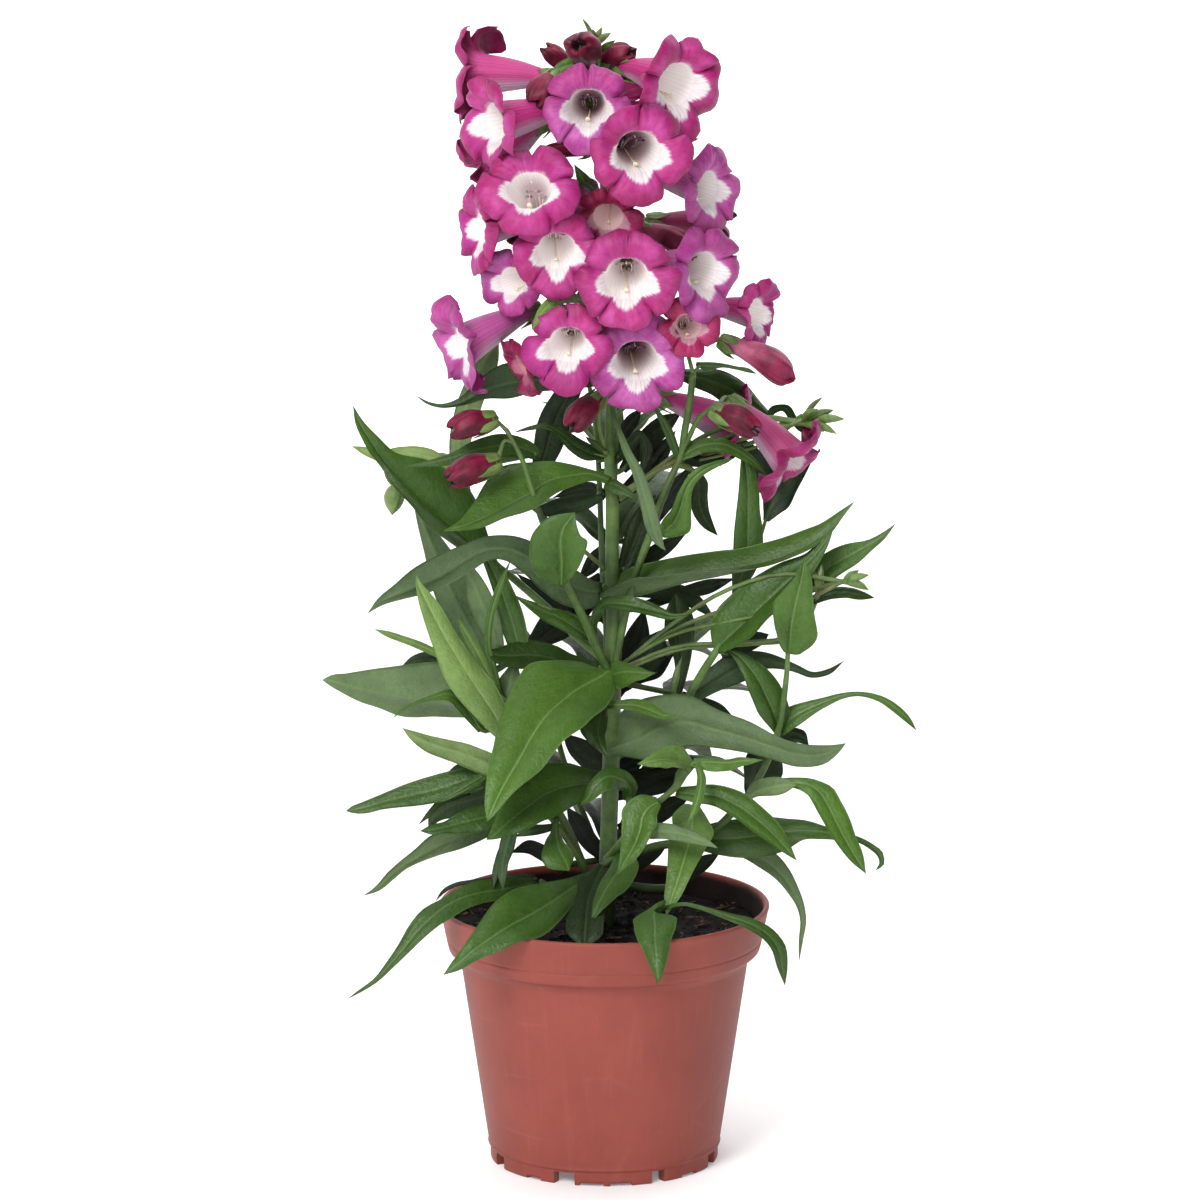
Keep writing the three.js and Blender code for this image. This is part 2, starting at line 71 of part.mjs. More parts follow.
  "L04": {"node":"left_back_shoot","side":"U","tint":0.45,"wave":0,"sheen":0,"st":[[-48.0,-7.1,241.0,-46.0,-4.0,242.8,-43.5,-2.8,245.6],[-53.0,-13.6,245.7,-50.6,-5.9,247.2,-45.6,-3.5,252.7],[-58.7,-20.7,251.2,-56.0,-8.0,252.3,-48.1,-4.1,261.3],[-66.2,-27.4,258.8,-63.7,-10.6,259.2,-53.6,-5.4,271.1],[-73.2,-30.1,266.7,-71.3,-12.8,265.9,-60.3,-7.6,277.5],[-80.8,-28.4,274.7,-79.0,-14.7,274.2,-69.2,-10.9,282.4],[-86.3,-22.3,281.7,-84.7,-16.1,281.9,-79.7,-14.4,285.3],[-91.9,-20.4,290.3,-90.3,-17.1,290.7,-87.4,-16.2,292.4],[-95.9,-18.4,297.7,-94.5,-17.7,298.3,-93.1,-17.4,298.9],[-96.8,-18.0,305.0,-96.8,-18.0,305.0,-96.8,-18.0,305.0]]},
  "L05": {"node":"left_back_shoot","side":"D","tint":0.85,"wave":0,"sheen":0,"st":[[-55.8,3.5,274.3,-55.4,4.0,275.3,-54.9,4.5,276.3],[-62.6,2.5,276.5,-62.0,3.4,278.2,-61.3,4.3,279.9],[-68.3,0.5,278.4,-67.8,2.8,280.3,-66.9,4.5,283.4],[-74.0,0.6,278.4,-73.6,2.3,281.6,-73.2,3.9,284.8],[-80.0,0.2,279.2,-80.2,1.7,282.1,-80.3,3.5,284.5],[-87.3,-0.0,279.3,-87.1,1.1,281.4,-87.0,2.4,283.1],[-93.4,-0.2,282.1,-92.9,0.5,283.5,-92.4,1.2,284.9],[-98.3,0.0,285.6,-98.3,0.0,285.6,-98.3,0.0,285.6]],"foot":[-54.4,3.7,275.5,0.84]},
  "L06": {"node":"left_back_shoot","side":"U","tint":0.35,"wave":0,"sheen":0,"st":[[-25.8,-7.1,281.2,-24.9,-6.0,282.7,-24.1,-4.9,284.3],[-30.7,-11.8,283.3,-29.5,-9.5,285.7,-28.3,-7.6,288.7],[-35.1,-15.0,284.1,-34.5,-12.6,287.9,-34.0,-10.2,291.7],[-40.6,-18.6,284.3,-41.0,-16.0,288.5,-41.5,-13.4,292.7],[-46.9,-21.1,284.5,-47.9,-19.0,287.9,-48.9,-16.8,291.3],[-56.8,-23.6,283.0,-57.5,-22.1,285.4,-58.2,-20.1,287.3],[-66.8,-24.6,281.9,-67.1,-23.7,283.3,-67.3,-22.5,284.2],[-76.7,-24.0,282.2,-76.7,-24.0,282.2,-76.7,-24.0,282.2]]},
  "L07": {"node":"left_back_shoot","side":"D","tint":0.6,"wave":0,"sheen":0,"st":[[-54.9,0.3,263.5,-53.0,0.0,264.2,-51.2,-0.3,264.9],[-58.4,1.0,270.4,-55.3,0.4,271.3,-52.7,-0.4,272.1],[-60.0,1.7,278.7,-56.5,0.9,279.1,-53.0,0.2,279.5],[-60.0,3.3,286.9,-56.4,1.4,286.9,-51.8,0.3,286.6],[-58.7,4.3,295.9,-54.9,1.9,295.5,-49.5,0.4,294.5],[-56.2,5.2,304.8,-52.5,2.5,304.0,-47.0,0.8,302.5],[-52.2,5.7,314.0,-49.0,3.0,313.0,-44.1,1.3,311.0],[-47.1,6.0,320.8,-45.1,3.5,320.0,-41.1,2.0,317.8],[-40.8,4.0,326.6,-40.8,4.0,326.6,-40.8,4.0,326.6]]},
  "L13": {"node":"left_front_shoot","side":"U","tint":0.45,"wave":0,"sheen":0,"st":[[-19.0,-27.4,236.5,-16.7,-27.0,236.1,-15.6,-28.5,236.2],[-24.8,-29.9,239.7,-16.3,-28.2,238.7,-13.2,-34.0,239.6],[-27.1,-31.9,242.2,-16.3,-29.5,241.7,-10.9,-36.3,243.1],[-28.2,-33.8,246.0,-16.3,-31.1,246.0,-8.6,-37.8,247.7],[-29.0,-35.4,251.0,-16.7,-32.6,251.0,-7.1,-38.5,252.5],[-27.3,-35.9,258.2,-16.7,-33.9,256.3,-7.1,-38.2,255.9],[-22.0,-35.5,263.9,-15.5,-34.5,260.4,-9.3,-37.4,257.8],[-16.0,-35.2,265.7,-13.2,-34.9,263.6,-10.7,-36.6,262.1],[-11.3,-35.0,266.3,-11.3,-35.0,266.3,-11.3,-35.0,266.3]]},
  "L67": {"node":"centre_shoot","side":"U","tint":0.08,"wave":0,"sheen":0,"st":[[-6.8,4.6,310.4,-7.9,4.0,311.6,-9.3,3.8,313.1],[-9.5,6.3,304.1,-12.6,4.8,306.8,-16.3,4.1,309.8],[-11.3,6.5,297.1,-16.5,5.5,299.9,-21.6,4.4,302.8],[-14.1,7.2,289.5,-20.0,6.0,292.0,-25.8,4.8,294.4],[-17.5,7.4,281.0,-22.7,6.2,282.8,-27.5,4.6,284.6],[-22.1,6.8,273.9,-25.1,6.2,274.9,-28.0,5.5,275.9],[-26.6,6.0,269.4,-26.6,6.0,269.4,-26.6,6.0,269.4]]},
  "L24": {"node":"centre_shoot","side":"U","tint":0.1,"wave":0,"sheen":0,"st":[[5.0,1.7,234.8,6.9,2.0,234.0,8.7,2.3,233.3],[6.3,2.6,243.1,9.6,4.2,241.6,14.0,4.9,239.7],[8.8,4.6,252.4,13.1,6.1,250.3,18.2,6.9,248.1],[13.1,6.4,259.7,16.2,7.3,258.0,19.8,7.8,256.2],[20.1,8.0,265.0,20.1,8.0,265.0,20.1,8.0,265.0]]},
  "L68": {"node":"centre_shoot","side":"U","tint":0.14,"wave":0,"sheen":0,"st":[[5.6,9.5,275.3,6.9,10.0,274.2,8.4,10.2,272.9],[9.9,15.1,282.4,12.4,16.2,280.2,15.4,16.5,277.6],[15.1,19.2,288.8,17.8,20.3,285.8,21.2,20.7,282.3],[21.2,22.1,293.1,23.3,22.7,290.1,25.7,22.9,286.9],[30.4,24.0,294.6,30.4,24.0,294.6,30.4,24.0,294.6]],"foot":[-2.3,9.0,273.7,1.3]},
  "L69": {"node":"centre_shoot","side":"U","tint":0.12,"wave":0,"sheen":0,"st":[[2.9,3.5,279.4,3.7,4.0,278.5,4.9,4.1,277.4],[7.8,7.5,285.6,9.2,8.3,284.0,11.1,8.5,282.0],[13.9,9.9,290.1,13.9,9.9,287.7,13.9,10.0,285.3],[18.5,9.8,284.1,16.2,10.2,283.7,13.9,10.7,283.2],[17.0,9.1,277.3,15.4,9.5,277.5,13.9,9.9,277.7],[14.3,8.0,273.0,14.3,8.0,273.0,14.3,8.0,273.0]]},
  "L70": {"node":"centre_shoot","side":"D","tint":0.1,"wave":0,"sheen":0,"st":[[8.9,2.9,229.0,9.2,2.0,227.3,9.6,1.1,225.5],[15.7,7.3,230.6,15.9,5.3,227.8,16.1,3.6,224.6],[23.1,10.2,229.9,22.5,8.0,226.8,22.0,6.2,223.2],[30.8,12.6,227.7,29.6,10.5,224.7,28.3,8.7,221.3],[37.7,14.2,222.7,36.3,12.4,221.1,34.5,11.0,218.8],[43.8,14.0,213.6,43.8,14.0,213.6,43.8,14.0,213.6]],"foot":[-0.1,8.5,226.4,1.3]},
  "L71": {"node":"centre_shoot","side":"U","tint":0.15,"wave":0,"sheen":0,"st":[[26.5,1.7,184.6,28.0,2.0,184.1,29.6,2.3,183.6],[27.7,1.5,190.9,29.6,2.0,190.5,31.5,2.5,190.1],[27.2,0.4,199.6,30.0,2.0,199.3,33.5,3.0,199.2],[25.3,-1.1,207.5,29.2,2.0,207.3,35.0,3.7,207.6],[23.7,-1.7,214.1,28.4,2.0,213.7,35.4,4.0,214.0],[24.0,-0.7,220.4,28.0,2.0,220.1,33.4,3.5,220.1],[27.6,2.0,227.3,27.6,2.0,227.3,27.6,2.0,227.3]]},
  "L72": {"node":"centre_shoot","side":"D","tint":0.6,"wave":0,"sheen":0,"st":[[26.1,-2.2,186.8,26.8,-2.0,186.6,27.6,-1.8,186.4],[26.0,-3.8,192.1,27.6,-3.4,191.7,28.7,-2.7,191.3],[27.2,-4.5,197.1,28.7,-4.2,196.7,29.5,-3.3,196.3],[30.3,-4.0,203.0,30.3,-4.0,203.0,30.3,-4.0,203.0]]},
  "L22": {"node":"main_stem","side":"D","tint":0.42,"wave":0,"sheen":0,"st":[[3.7,-6.2,303.4,2.9,-6.0,303.2,2.2,-5.8,303.0],[4.5,-9.7,299.3,3.7,-9.6,299.1,3.0,-9.4,298.9],[6.8,-14.2,294.1,5.6,-14.0,293.7,4.7,-13.5,293.2],[10.3,-19.2,287.5,8.7,-18.9,286.7,7.3,-18.4,286.0],[14.7,-23.5,280.7,12.5,-23.1,279.7,10.8,-22.2,278.8],[17.4,-26.4,274.1,14.8,-25.8,273.1,12.5,-25.0,272.3],[19.5,-28.5,267.4,16.8,-27.9,266.5,14.2,-27.0,265.6],[21.3,-30.2,261.1,18.7,-29.2,260.1,15.7,-28.5,259.1],[22.4,-30.2,256.1,20.2,-29.8,255.1,18.1,-29.3,254.1],[22.7,-30.1,253.1,21.8,-29.9,252.4,20.8,-29.8,251.7],[23.7,-30.0,250.1,23.7,-30.0,250.1,23.7,-30.0,250.1]],"foot":[2.2,3.9,302.4,0.7]},
  "L23": {"node":"right_shoot","side":"U","tint":0.35,"wave":0,"sheen":0,"st":[[27.8,-8.4,281.2,28.9,-8.0,281.5,30.0,-7.6,281.8],[25.1,-10.9,287.3,26.9,-10.3,287.9,28.4,-9.3,288.2],[22.8,-12.6,293.3,24.6,-11.9,294.1,26.0,-10.9,294.6],[20.5,-13.2,299.2,21.4,-12.8,299.7,22.4,-12.4,300.2],[17.6,-13.0,306.0,17.6,-13.0,306.0,17.6,-13.0,306.0]]},
  "L19": {"node":"right_shoot","side":"U","tint":0.5,"wave":0,"sheen":0,"st":[[28.6,-7.3,282.7,29.3,-8.0,281.9,30.0,-8.6,281.1],[32.6,-5.9,287.5,33.9,-7.6,285.4,35.2,-9.1,283.3],[38.8,-5.3,289.6,39.3,-7.0,287.3,39.8,-8.6,284.8],[46.0,-3.3,289.3,45.5,-6.2,287.5,45.0,-8.0,284.7],[52.1,-3.0,286.6,51.0,-5.3,285.0,49.7,-6.7,282.8],[57.4,-2.3,282.1,56.4,-4.0,281.2,55.2,-5.0,279.8],[62.7,-2.0,274.9,62.7,-2.0,274.9,62.7,-2.0,274.9]]},
  "L19b": {"node":"right_shoot","side":"D","tint":0.05,"wave":0,"sheen":0,"st":[[30.3,-3.3,281.0,30.5,-4.0,280.0,30.6,-4.7,279.0],[35.4,1.3,281.7,35.6,-0.8,280.2,35.8,-2.4,277.7],[40.9,4.6,281.5,41.0,2.0,280.1,41.2,0.2,277.2],[46.4,6.2,281.2,46.5,4.3,280.0,46.8,3.0,277.9],[51.6,6.0,280.5,51.6,6.0,280.5,51.6,6.0,280.5]],"foot":[28.7,-8.2,281.3,0.86]},
  "L20": {"node":"right_shoot","side":"U","tint":0.6,"wave":0,"sheen":0,"st":[[20.8,-11.1,254.1,21.9,-10.0,252.7,23.3,-9.9,251.3],[21.8,-14.0,256.8,23.5,-11.1,254.5,26.2,-10.8,251.7],[23.6,-19.3,261.3,26.6,-12.9,258.0,32.6,-12.2,253.7],[26.3,-18.2,265.8,29.2,-14.7,263.9,33.6,-14.1,262.1],[28.6,-17.8,270.9,30.7,-15.7,269.6,33.6,-15.3,268.4],[31.5,-17.3,275.8,33.0,-16.0,274.4,34.9,-15.8,273.0],[36.0,-16.9,279.8,36.9,-15.8,278.3,38.0,-15.7,276.7],[42.2,-15.6,282.5,42.7,-14.6,281.2,43.3,-14.6,279.8],[50.5,-12.0,283.1,50.5,-12.0,283.1,50.5,-12.0,283.1]]},
  "L21": {"node":"right_shoot","side":"U","tint":0.1,"wave":0,"sheen":0,"st":[[35.7,-3.4,277.6,34.0,-4.0,276.8,32.2,-4.6,276.1],[39.8,0.4,272.1,36.4,-0.6,271.5,33.3,-1.9,271.0],[40.3,4.0,263.9,36.8,3.1,263.6,33.3,2.2,263.3],[41.0,6.3,258.6,38.0,5.4,257.6,35.1,4.5,256.7],[42.4,7.7,253.6,40.8,7.0,252.5,39.2,6.3,251.5],[44.4,8.0,248.4,44.4,8.0,248.4,44.4,8.0,248.4]],"foot":[28.1,-8.3,279.9,1.3]},
  "L14": {"node":"leaf_pair_right_mid","side":"U","tint":0.42,"wave":0,"sheen":0,"st":[[42.0,-15.3,209.3,43.3,-16.0,208.0,44.4,-17.3,207.2],[41.1,-13.5,216.4,46.4,-16.5,211.3,48.7,-22.8,210.1],[43.3,-12.8,222.6,50.6,-17.0,215.4,53.9,-25.9,213.5],[50.4,-13.2,230.7,58.3,-17.7,223.1,61.9,-27.2,221.1],[59.2,-14.1,237.3,66.0,-18.0,230.6,69.6,-26.0,228.3],[68.9,-15.1,242.7,73.7,-17.9,238.1,76.8,-23.0,235.8],[78.0,-15.6,246.5,80.3,-17.4,244.7,82.8,-18.8,242.7],[83.4,-16.1,251.5,84.9,-16.8,250.5,86.5,-17.5,249.6],[88.8,-16.0,256.7,88.8,-16.0,256.7,88.8,-16.0,256.7]]},
  "L77": {"node":"leaf_pair_right_mid","side":"D","tint":0.08,"wave":0,"sheen":0,"st":[[45.4,-11.5,205.8,45.7,-12.0,204.8,46.1,-12.5,203.8],[50.8,-5.6,207.6,51.7,-6.7,205.6,52.6,-7.7,203.6],[55.3,-1.6,210.1,56.8,-3.0,207.6,58.1,-4.7,205.5],[59.9,0.3,211.8,61.1,-0.9,209.5,62.2,-2.5,207.8],[64.3,0.0,210.9,64.3,0.0,210.9,64.3,0.0,210.9]]},
  "L17": {"node":"right_mid_shoot","side":"U","tint":0.42,"wave":0,"sheen":0,"st":[[49.7,-2.3,220.4,51.3,-2.0,220.1,52.9,-1.7,219.9],[49.7,-1.9,229.3,52.1,-1.5,228.8,54.0,-0.7,228.3],[49.8,-2.3,237.9,54.0,-1.0,236.7,58.6,-0.3,235.4],[50.1,-2.6,245.6,55.5,-0.5,244.5,61.7,0.6,243.5],[50.4,-1.8,252.8,55.9,-0.1,252.3,61.7,1.1,252.0],[51.2,-0.6,260.4,55.9,0.4,260.2,60.5,1.4,260.0],[52.3,-0.9,268.2,55.8,0.9,268.0,60.1,1.8,268.1],[52.7,-0.1,275.8,55.0,1.3,275.8,58.1,2.0,276.1],[53.1,0.9,281.6,54.2,1.7,281.7,55.8,2.0,281.9],[53.0,2.0,287.2,53.0,2.0,287.2,53.0,2.0,287.2]]},
  "L41": {"node":"right_mid_shoot","side":"D","tint":0.24,"wave":0,"sheen":0,"st":[[32.5,-4.9,186.9,33.4,-6.0,185.9,34.6,-6.8,184.5],[36.9,-3.2,193.7,39.3,-5.1,190.5,41.2,-7.5,188.1],[42.9,-1.4,199.2,45.9,-4.2,194.3,48.2,-8.0,191.0],[51.2,-0.3,203.7,53.7,-3.1,198.4,55.9,-6.6,194.1],[61.2,0.0,204.1,61.5,-2.2,201.0,61.9,-4.0,197.5],[69.2,-0.2,201.7,68.6,-1.3,199.6,68.0,-2.4,197.6],[75.0,0.1,198.8,74.5,-0.6,197.5,73.9,-1.3,196.1],[81.3,0.8,195.6,81.2,0.3,194.5,81.0,-0.3,193.4],[87.0,1.6,196.5,87.4,1.0,195.5,87.9,0.5,194.6],[94.1,2.0,200.1,94.1,2.0,200.1,94.1,2.0,200.1]]},
  "L74": {"node":"right_mid_shoot","side":"U","tint":0.05,"wave":0,"sheen":0,"st":[[30.7,-1.5,188.4,30.3,-2.0,187.4,30.0,-2.5,186.4],[38.0,2.9,185.4,37.4,1.8,184.1,36.8,1.0,182.4],[45.4,6.3,181.7,44.5,5.0,180.6,43.4,4.1,178.7],[52.5,8.0,173.9,52.5,8.0,173.9,52.5,8.0,173.9]]},
  "L16": {"node":"right_outer_shoot","side":"U","tint":0.52,"wave":0,"sheen":0,"st":[[69.9,-24.3,208.8,71.1,-22.0,208.1,75.7,-22.9,207.7],[67.9,-26.9,212.4,71.4,-23.1,211.2,79.5,-24.6,210.6],[66.3,-29.3,217.5,71.8,-24.7,215.9,82.1,-26.6,214.9],[65.1,-29.5,223.4,72.4,-26.4,221.4,81.9,-28.3,220.0],[65.2,-28.8,229.2,73.5,-27.8,227.2,81.0,-30.3,226.1],[68.9,-29.5,234.3,74.6,-28.9,232.9,80.2,-30.0,231.9],[72.7,-31.1,239.5,75.7,-29.6,238.6,79.9,-30.4,237.9],[74.9,-30.8,243.4,76.5,-29.9,243.0,78.7,-30.3,242.7],[76.8,-30.0,246.9,76.8,-30.0,246.9,76.8,-30.0,246.9]]},
  "L15": {"node":"right_outer_shoot","side":"U","tint":0.48,"wave":0,"sheen":0,"st":[[72.0,-7.4,224.4,73.3,-8.0,223.8,74.7,-8.7,223.2],[73.4,-6.0,231.2,76.0,-7.5,229.3,78.4,-9.7,227.7],[79.7,-4.2,239.3,83.0,-6.8,235.5,85.8,-10.5,232.5],[87.1,-3.5,244.6,90.0,-6.2,240.5,92.4,-9.9,237.2],[94.9,-3.4,247.7,97.0,-5.5,244.3,99.0,-7.8,241.0],[102.2,-3.5,249.2,103.2,-5.0,247.8,104.4,-6.2,246.0],[107.9,-4.0,252.1,108.6,-4.5,251.2,109.3,-5.1,250.4],[113.3,-4.0,255.9,113.3,-4.0,255.9,113.3,-4.0,255.9]]},
  "L42": {"node":"leaf_pair_right_outer","side":"U","tint":0.4,"wave":0,"sheen":0,"st":[[66.6,-13.2,173.7,68.4,-12.0,174.1,70.7,-11.3,174.7],[61.6,-17.7,180.9,66.0,-14.2,181.8,71.9,-12.2,183.5],[58.2,-19.4,187.4,63.2,-15.5,188.8,69.6,-13.2,191.3],[55.3,-19.0,194.1,59.7,-16.1,196.1,64.7,-14.1,198.7],[53.1,-17.1,199.6,55.8,-15.8,201.6,58.5,-14.5,203.6],[50.7,-15.9,204.1,51.9,-15.1,205.5,53.1,-14.4,206.9],[47.2,-14.0,208.0,47.2,-14.0,208.0,47.2,-14.0,208.0]]},
  "L43": {"node":"leaf_pair_right_outer","side":"U","tint":0.52,"wave":0,"sheen":0,"st":[[67.0,-11.0,175.5,68.4,-12.0,174.5,69.9,-13.0,173.4],[70.4,-10.0,183.0,73.1,-12.2,180.1,75.5,-14.9,177.6],[78.0,-10.8,186.2,79.3,-12.5,183.8,80.6,-14.1,181.3],[85.2,-11.6,188.2,85.9,-12.7,186.6,86.5,-14.0,185.2],[92.2,-12.3,190.1,92.5,-12.9,189.0,92.7,-13.6,188.0],[99.5,-12.6,190.8,99.5,-13.1,189.9,99.4,-13.7,189.0],[106.9,-12.6,189.3,106.5,-13.4,188.3,106.0,-14.0,187.3],[114.0,-12.8,185.5,113.1,-13.6,184.4,112.2,-14.4,183.3],[119.1,-13.2,180.4,118.2,-13.8,179.7,117.3,-14.4,179.0],[121.7,-14.0,175.3,121.7,-14.0,175.3,121.7,-14.0,175.3]]},
  "L78": {"node":"right_outer_shoot","side":"U","tint":0.06,"wave":0,"sheen":0,"st":[[66.1,-1.3,171.2,66.4,-2.0,169.8,66.7,-2.7,168.4],[72.9,6.5,172.2,72.8,5.0,169.3,72.8,3.5,166.5],[79.2,8.8,169.4,78.0,7.7,167.5,76.8,6.7,165.7],[80.4,8.0,164.2,80.4,8.0,164.2,80.4,8.0,164.2]],"foot":[65.4,-13.5,168.1,1.12]},
  "L82": {"node":"right_outer_shoot","side":"U","tint":0.1,"wave":0,"sheen":0,"st":[[55.6,1.4,145.1,56.8,2.0,144.7,58.3,2.3,144.2],[54.6,0.7,152.3,58.4,2.9,150.5,64.0,3.9,148.3],[55.1,0.5,160.1,61.1,4.1,157.1,70.0,5.5,153.4],[58.4,3.1,164.9,63.1,5.1,163.3,68.8,6.1,161.5],[64.2,6.0,169.1,64.2,6.0,169.1,64.2,6.0,169.1]]},
  "L83": {"node":"right_outer_shoot","side":"U","tint":0.25,"wave":0,"sheen":0,"st":[[80.2,-17.4,228.4,80.8,-18.0,227.5,81.3,-18.6,226.6],[86.1,-14.0,231.7,86.6,-15.6,230.2,87.3,-16.9,228.2],[93.4,-12.1,232.2,93.3,-13.8,230.6,93.2,-15.2,228.5],[100.3,-11.1,230.4,99.9,-12.6,229.1,99.5,-13.7,227.4],[105.0,-12.0,227.8,105.0,-12.0,227.8,105.0,-12.0,227.8]]},
  "L40": {"node":"low_front_shoot","side":"U","tint":0.75,"wave":0,"sheen":0,"st":[[33.3,-35.9,164.6,33.9,-34.0,166.0,34.5,-33.0,168.1],[27.9,-46.3,168.2,28.4,-39.7,169.0,29.6,-37.0,174.5],[22.1,-49.4,169.3,22.2,-44.7,170.9,22.2,-42.7,175.2],[17.1,-49.2,169.2,16.8,-48.1,170.9,16.5,-47.2,172.7],[12.5,-50.0,170.6,12.5,-50.0,170.6,12.5,-50.0,170.6]]},
  "L53": {"node":"low_front_shoot","side":"U","tint":0.6,"wave":0,"sheen":0,"st":[[36.2,-34.2,167.9,35.4,-34.0,167.6,34.7,-33.8,167.3],[39.2,-40.9,163.1,37.3,-40.5,162.8,35.8,-39.6,162.5],[38.3,-46.6,157.1,36.4,-46.0,157.4,34.6,-45.4,157.7],[35.9,-50.8,152.0,34.5,-50.3,152.5,33.4,-49.4,152.7],[31.4,-54.0,147.0,31.4,-54.0,147.0,31.4,-54.0,147.0]]},
  "L54": {"node":"low_front_shoot","side":"U","tint":0.65,"wave":1.0,"sheen":0,"st":[[34.6,-33.1,168.6,34.7,-34.0,167.2,34.7,-34.9,165.8],[40.9,-31.0,168.9,40.8,-34.0,167.6,40.8,-36.0,164.5],[46.6,-31.0,168.5,46.6,-34.0,167.2,46.7,-36.0,164.1],[53.2,-32.4,168.8,53.2,-34.0,168.0,53.3,-35.1,166.3],[61.7,-34.0,168.4,61.7,-34.0,168.4,61.7,-34.0,168.4]],"foot":[33.1,-34.0,166.4,1.17]},
  "L52": {"node":"leaf_pair_front_shoot","side":"U","tint":0.5,"wave":0,"sheen":0,"st":[[28.0,-28.0,156.2,27.8,-29.0,154.5,27.5,-30.1,152.8],[34.2,-29.4,157.0,34.0,-31.0,154.2,33.7,-32.7,151.4],[42.7,-30.9,158.0,41.7,-33.1,154.3,40.8,-35.9,151.1],[53.1,-32.5,155.5,50.5,-35.2,151.2,48.3,-38.9,147.9],[61.4,-34.3,149.5,58.3,-36.7,146.0,55.4,-39.8,143.0],[67.9,-35.6,142.9,64.9,-37.6,140.2,62.4,-40.5,138.4],[71.7,-36.9,136.1,69.9,-38.0,134.8,68.2,-39.1,133.5],[74.6,-38.0,129.2,74.6,-38.0,129.2,74.6,-38.0,129.2]]},
  "L49": {"node":"leaf_pair_front_shoot","side":"U","tint":0.55,"wave":0,"sheen":0,"st":[[21.9,-35.7,150.7,21.1,-34.5,151.8,20.0,-33.7,153.7],[20.3,-39.2,148.1,17.6,-36.1,150.2,13.4,-34.2,154.4],[20.2,-41.9,145.3,14.9,-38.1,146.7,7.1,-36.1,149.7],[19.0,-43.5,142.3,14.1,-40.1,142.9,6.7,-38.5,144.6],[15.7,-45.9,137.0,12.2,-43.1,138.0,6.6,-41.6,140.3],[11.1,-48.3,131.6,8.7,-47.1,132.7,6.0,-46.3,134.1],[4.9,-52.0,127.1,4.9,-52.0,127.1,4.9,-52.0,127.1]]},
  "L48": {"node":"low_front_shoot","side":"U","tint":0.42,"wave":0,"sheen":0,"st":[[7.3,-6.3,146.2,9.3,-6.0,145.8,11.2,-5.7,145.4],[6.7,-13.4,151.1,10.0,-12.4,152.1,12.9,-11.0,152.9],[4.1,-19.8,153.1,6.1,-18.0,157.1,7.7,-15.4,160.1],[2.0,-24.1,154.3,0.6,-22.0,158.8,-0.3,-19.0,161.6],[-0.7,-25.7,153.5,-3.6,-24.3,155.8,-5.7,-22.2,157.1],[-4.8,-25.5,150.1,-6.4,-24.9,151.1,-7.6,-23.9,151.8],[-9.5,-24.0,147.7,-9.5,-24.0,147.7,-9.5,-24.0,147.7]]},
  "L60": {"node":"leaves_over_rim_front","side":"U","tint":0.48,"wave":0,"sheen":0,"st":[[7.6,-6.7,128.0,5.4,-6.0,127.2,3.1,-5.3,126.5],[13.4,-19.3,122.9,6.9,-16.7,123.5,3.4,-11.6,122.8],[8.7,-30.6,116.3,3.0,-27.6,119.0,-0.4,-22.4,119.7],[4.0,-35.9,113.6,-0.1,-33.8,115.3,-2.9,-30.4,116.0],[-0.7,-39.9,109.9,-2.9,-38.9,110.6,-4.6,-37.4,111.1],[-5.2,-42.0,105.4,-5.2,-42.0,105.4,-5.2,-42.0,105.4]]},
  "L51": {"node":"leaf_front_right","side":"U","tint":0.72,"wave":0,"sheen":0,"st":[[37.4,-9.7,144.0,35.1,-8.0,143.9,31.2,-7.3,144.1],[40.0,-16.8,141.5,34.6,-13.7,141.2,26.8,-12.4,141.6],[42.6,-21.6,137.0,34.1,-20.0,137.9,26.5,-17.6,138.5],[39.6,-29.6,132.5,32.9,-26.9,133.6,25.0,-25.2,135.2],[36.1,-35.8,127.4,30.9,-33.4,128.4,24.6,-32.0,130.0],[32.2,-40.8,121.1,28.5,-39.1,121.9,24.1,-38.1,123.1],[28.0,-43.7,114.3,25.8,-42.7,114.8,23.2,-42.1,115.6],[23.8,-44.0,108.8,23.8,-44.0,108.8,23.8,-44.0,108.8]]},
  "L50": {"node":"low_front_shoot","side":"D","tint":0.55,"wave":0,"sheen":0,"st":[[13.4,-34.1,141.0,13.8,-34.0,139.0,14.2,-33.9,137.0],[19.4,-39.7,144.7,19.6,-39.5,141.5,19.8,-39.3,138.3],[26.5,-44.4,145.5,26.1,-44.2,142.3,25.7,-44.0,139.1],[33.7,-48.4,144.0,33.0,-47.7,141.6,32.2,-47.6,138.8],[39.4,-49.6,141.1,38.8,-49.5,139.6,38.2,-49.4,138.1],[43.8,-50.0,137.3,43.8,-50.0,137.3,43.8,-50.0,137.3]]},
  "L55": {"node":"leaf_pair_right_low_1","side":"U","tint":0.62,"wave":0,"sheen":0,"st":[[60.2,-17.5,153.7,60.6,-18.0,152.7,61.0,-18.5,151.7],[67.3,-19.6,157.4,67.5,-20.3,156.0,67.8,-21.1,154.6],[75.5,-21.0,158.2,75.3,-22.5,156.5,75.0,-23.6,154.4],[81.9,-21.2,157.6,80.7,-23.9,155.7,79.0,-25.7,152.5],[88.2,-22.9,155.4,84.2,-24.9,152.7,80.7,-27.8,150.7],[92.1,-24.2,149.6,87.3,-26.2,147.5,83.1,-29.1,145.9],[95.6,-25.6,142.7,90.8,-27.6,140.6,86.9,-30.7,139.3],[98.0,-27.0,135.8,94.3,-28.7,134.1,91.1,-31.1,132.9],[100.5,-28.2,129.6,97.8,-29.4,128.2,95.7,-31.3,127.5],[101.7,-30.0,122.0,101.7,-30.0,122.0,101.7,-30.0,122.0]]},
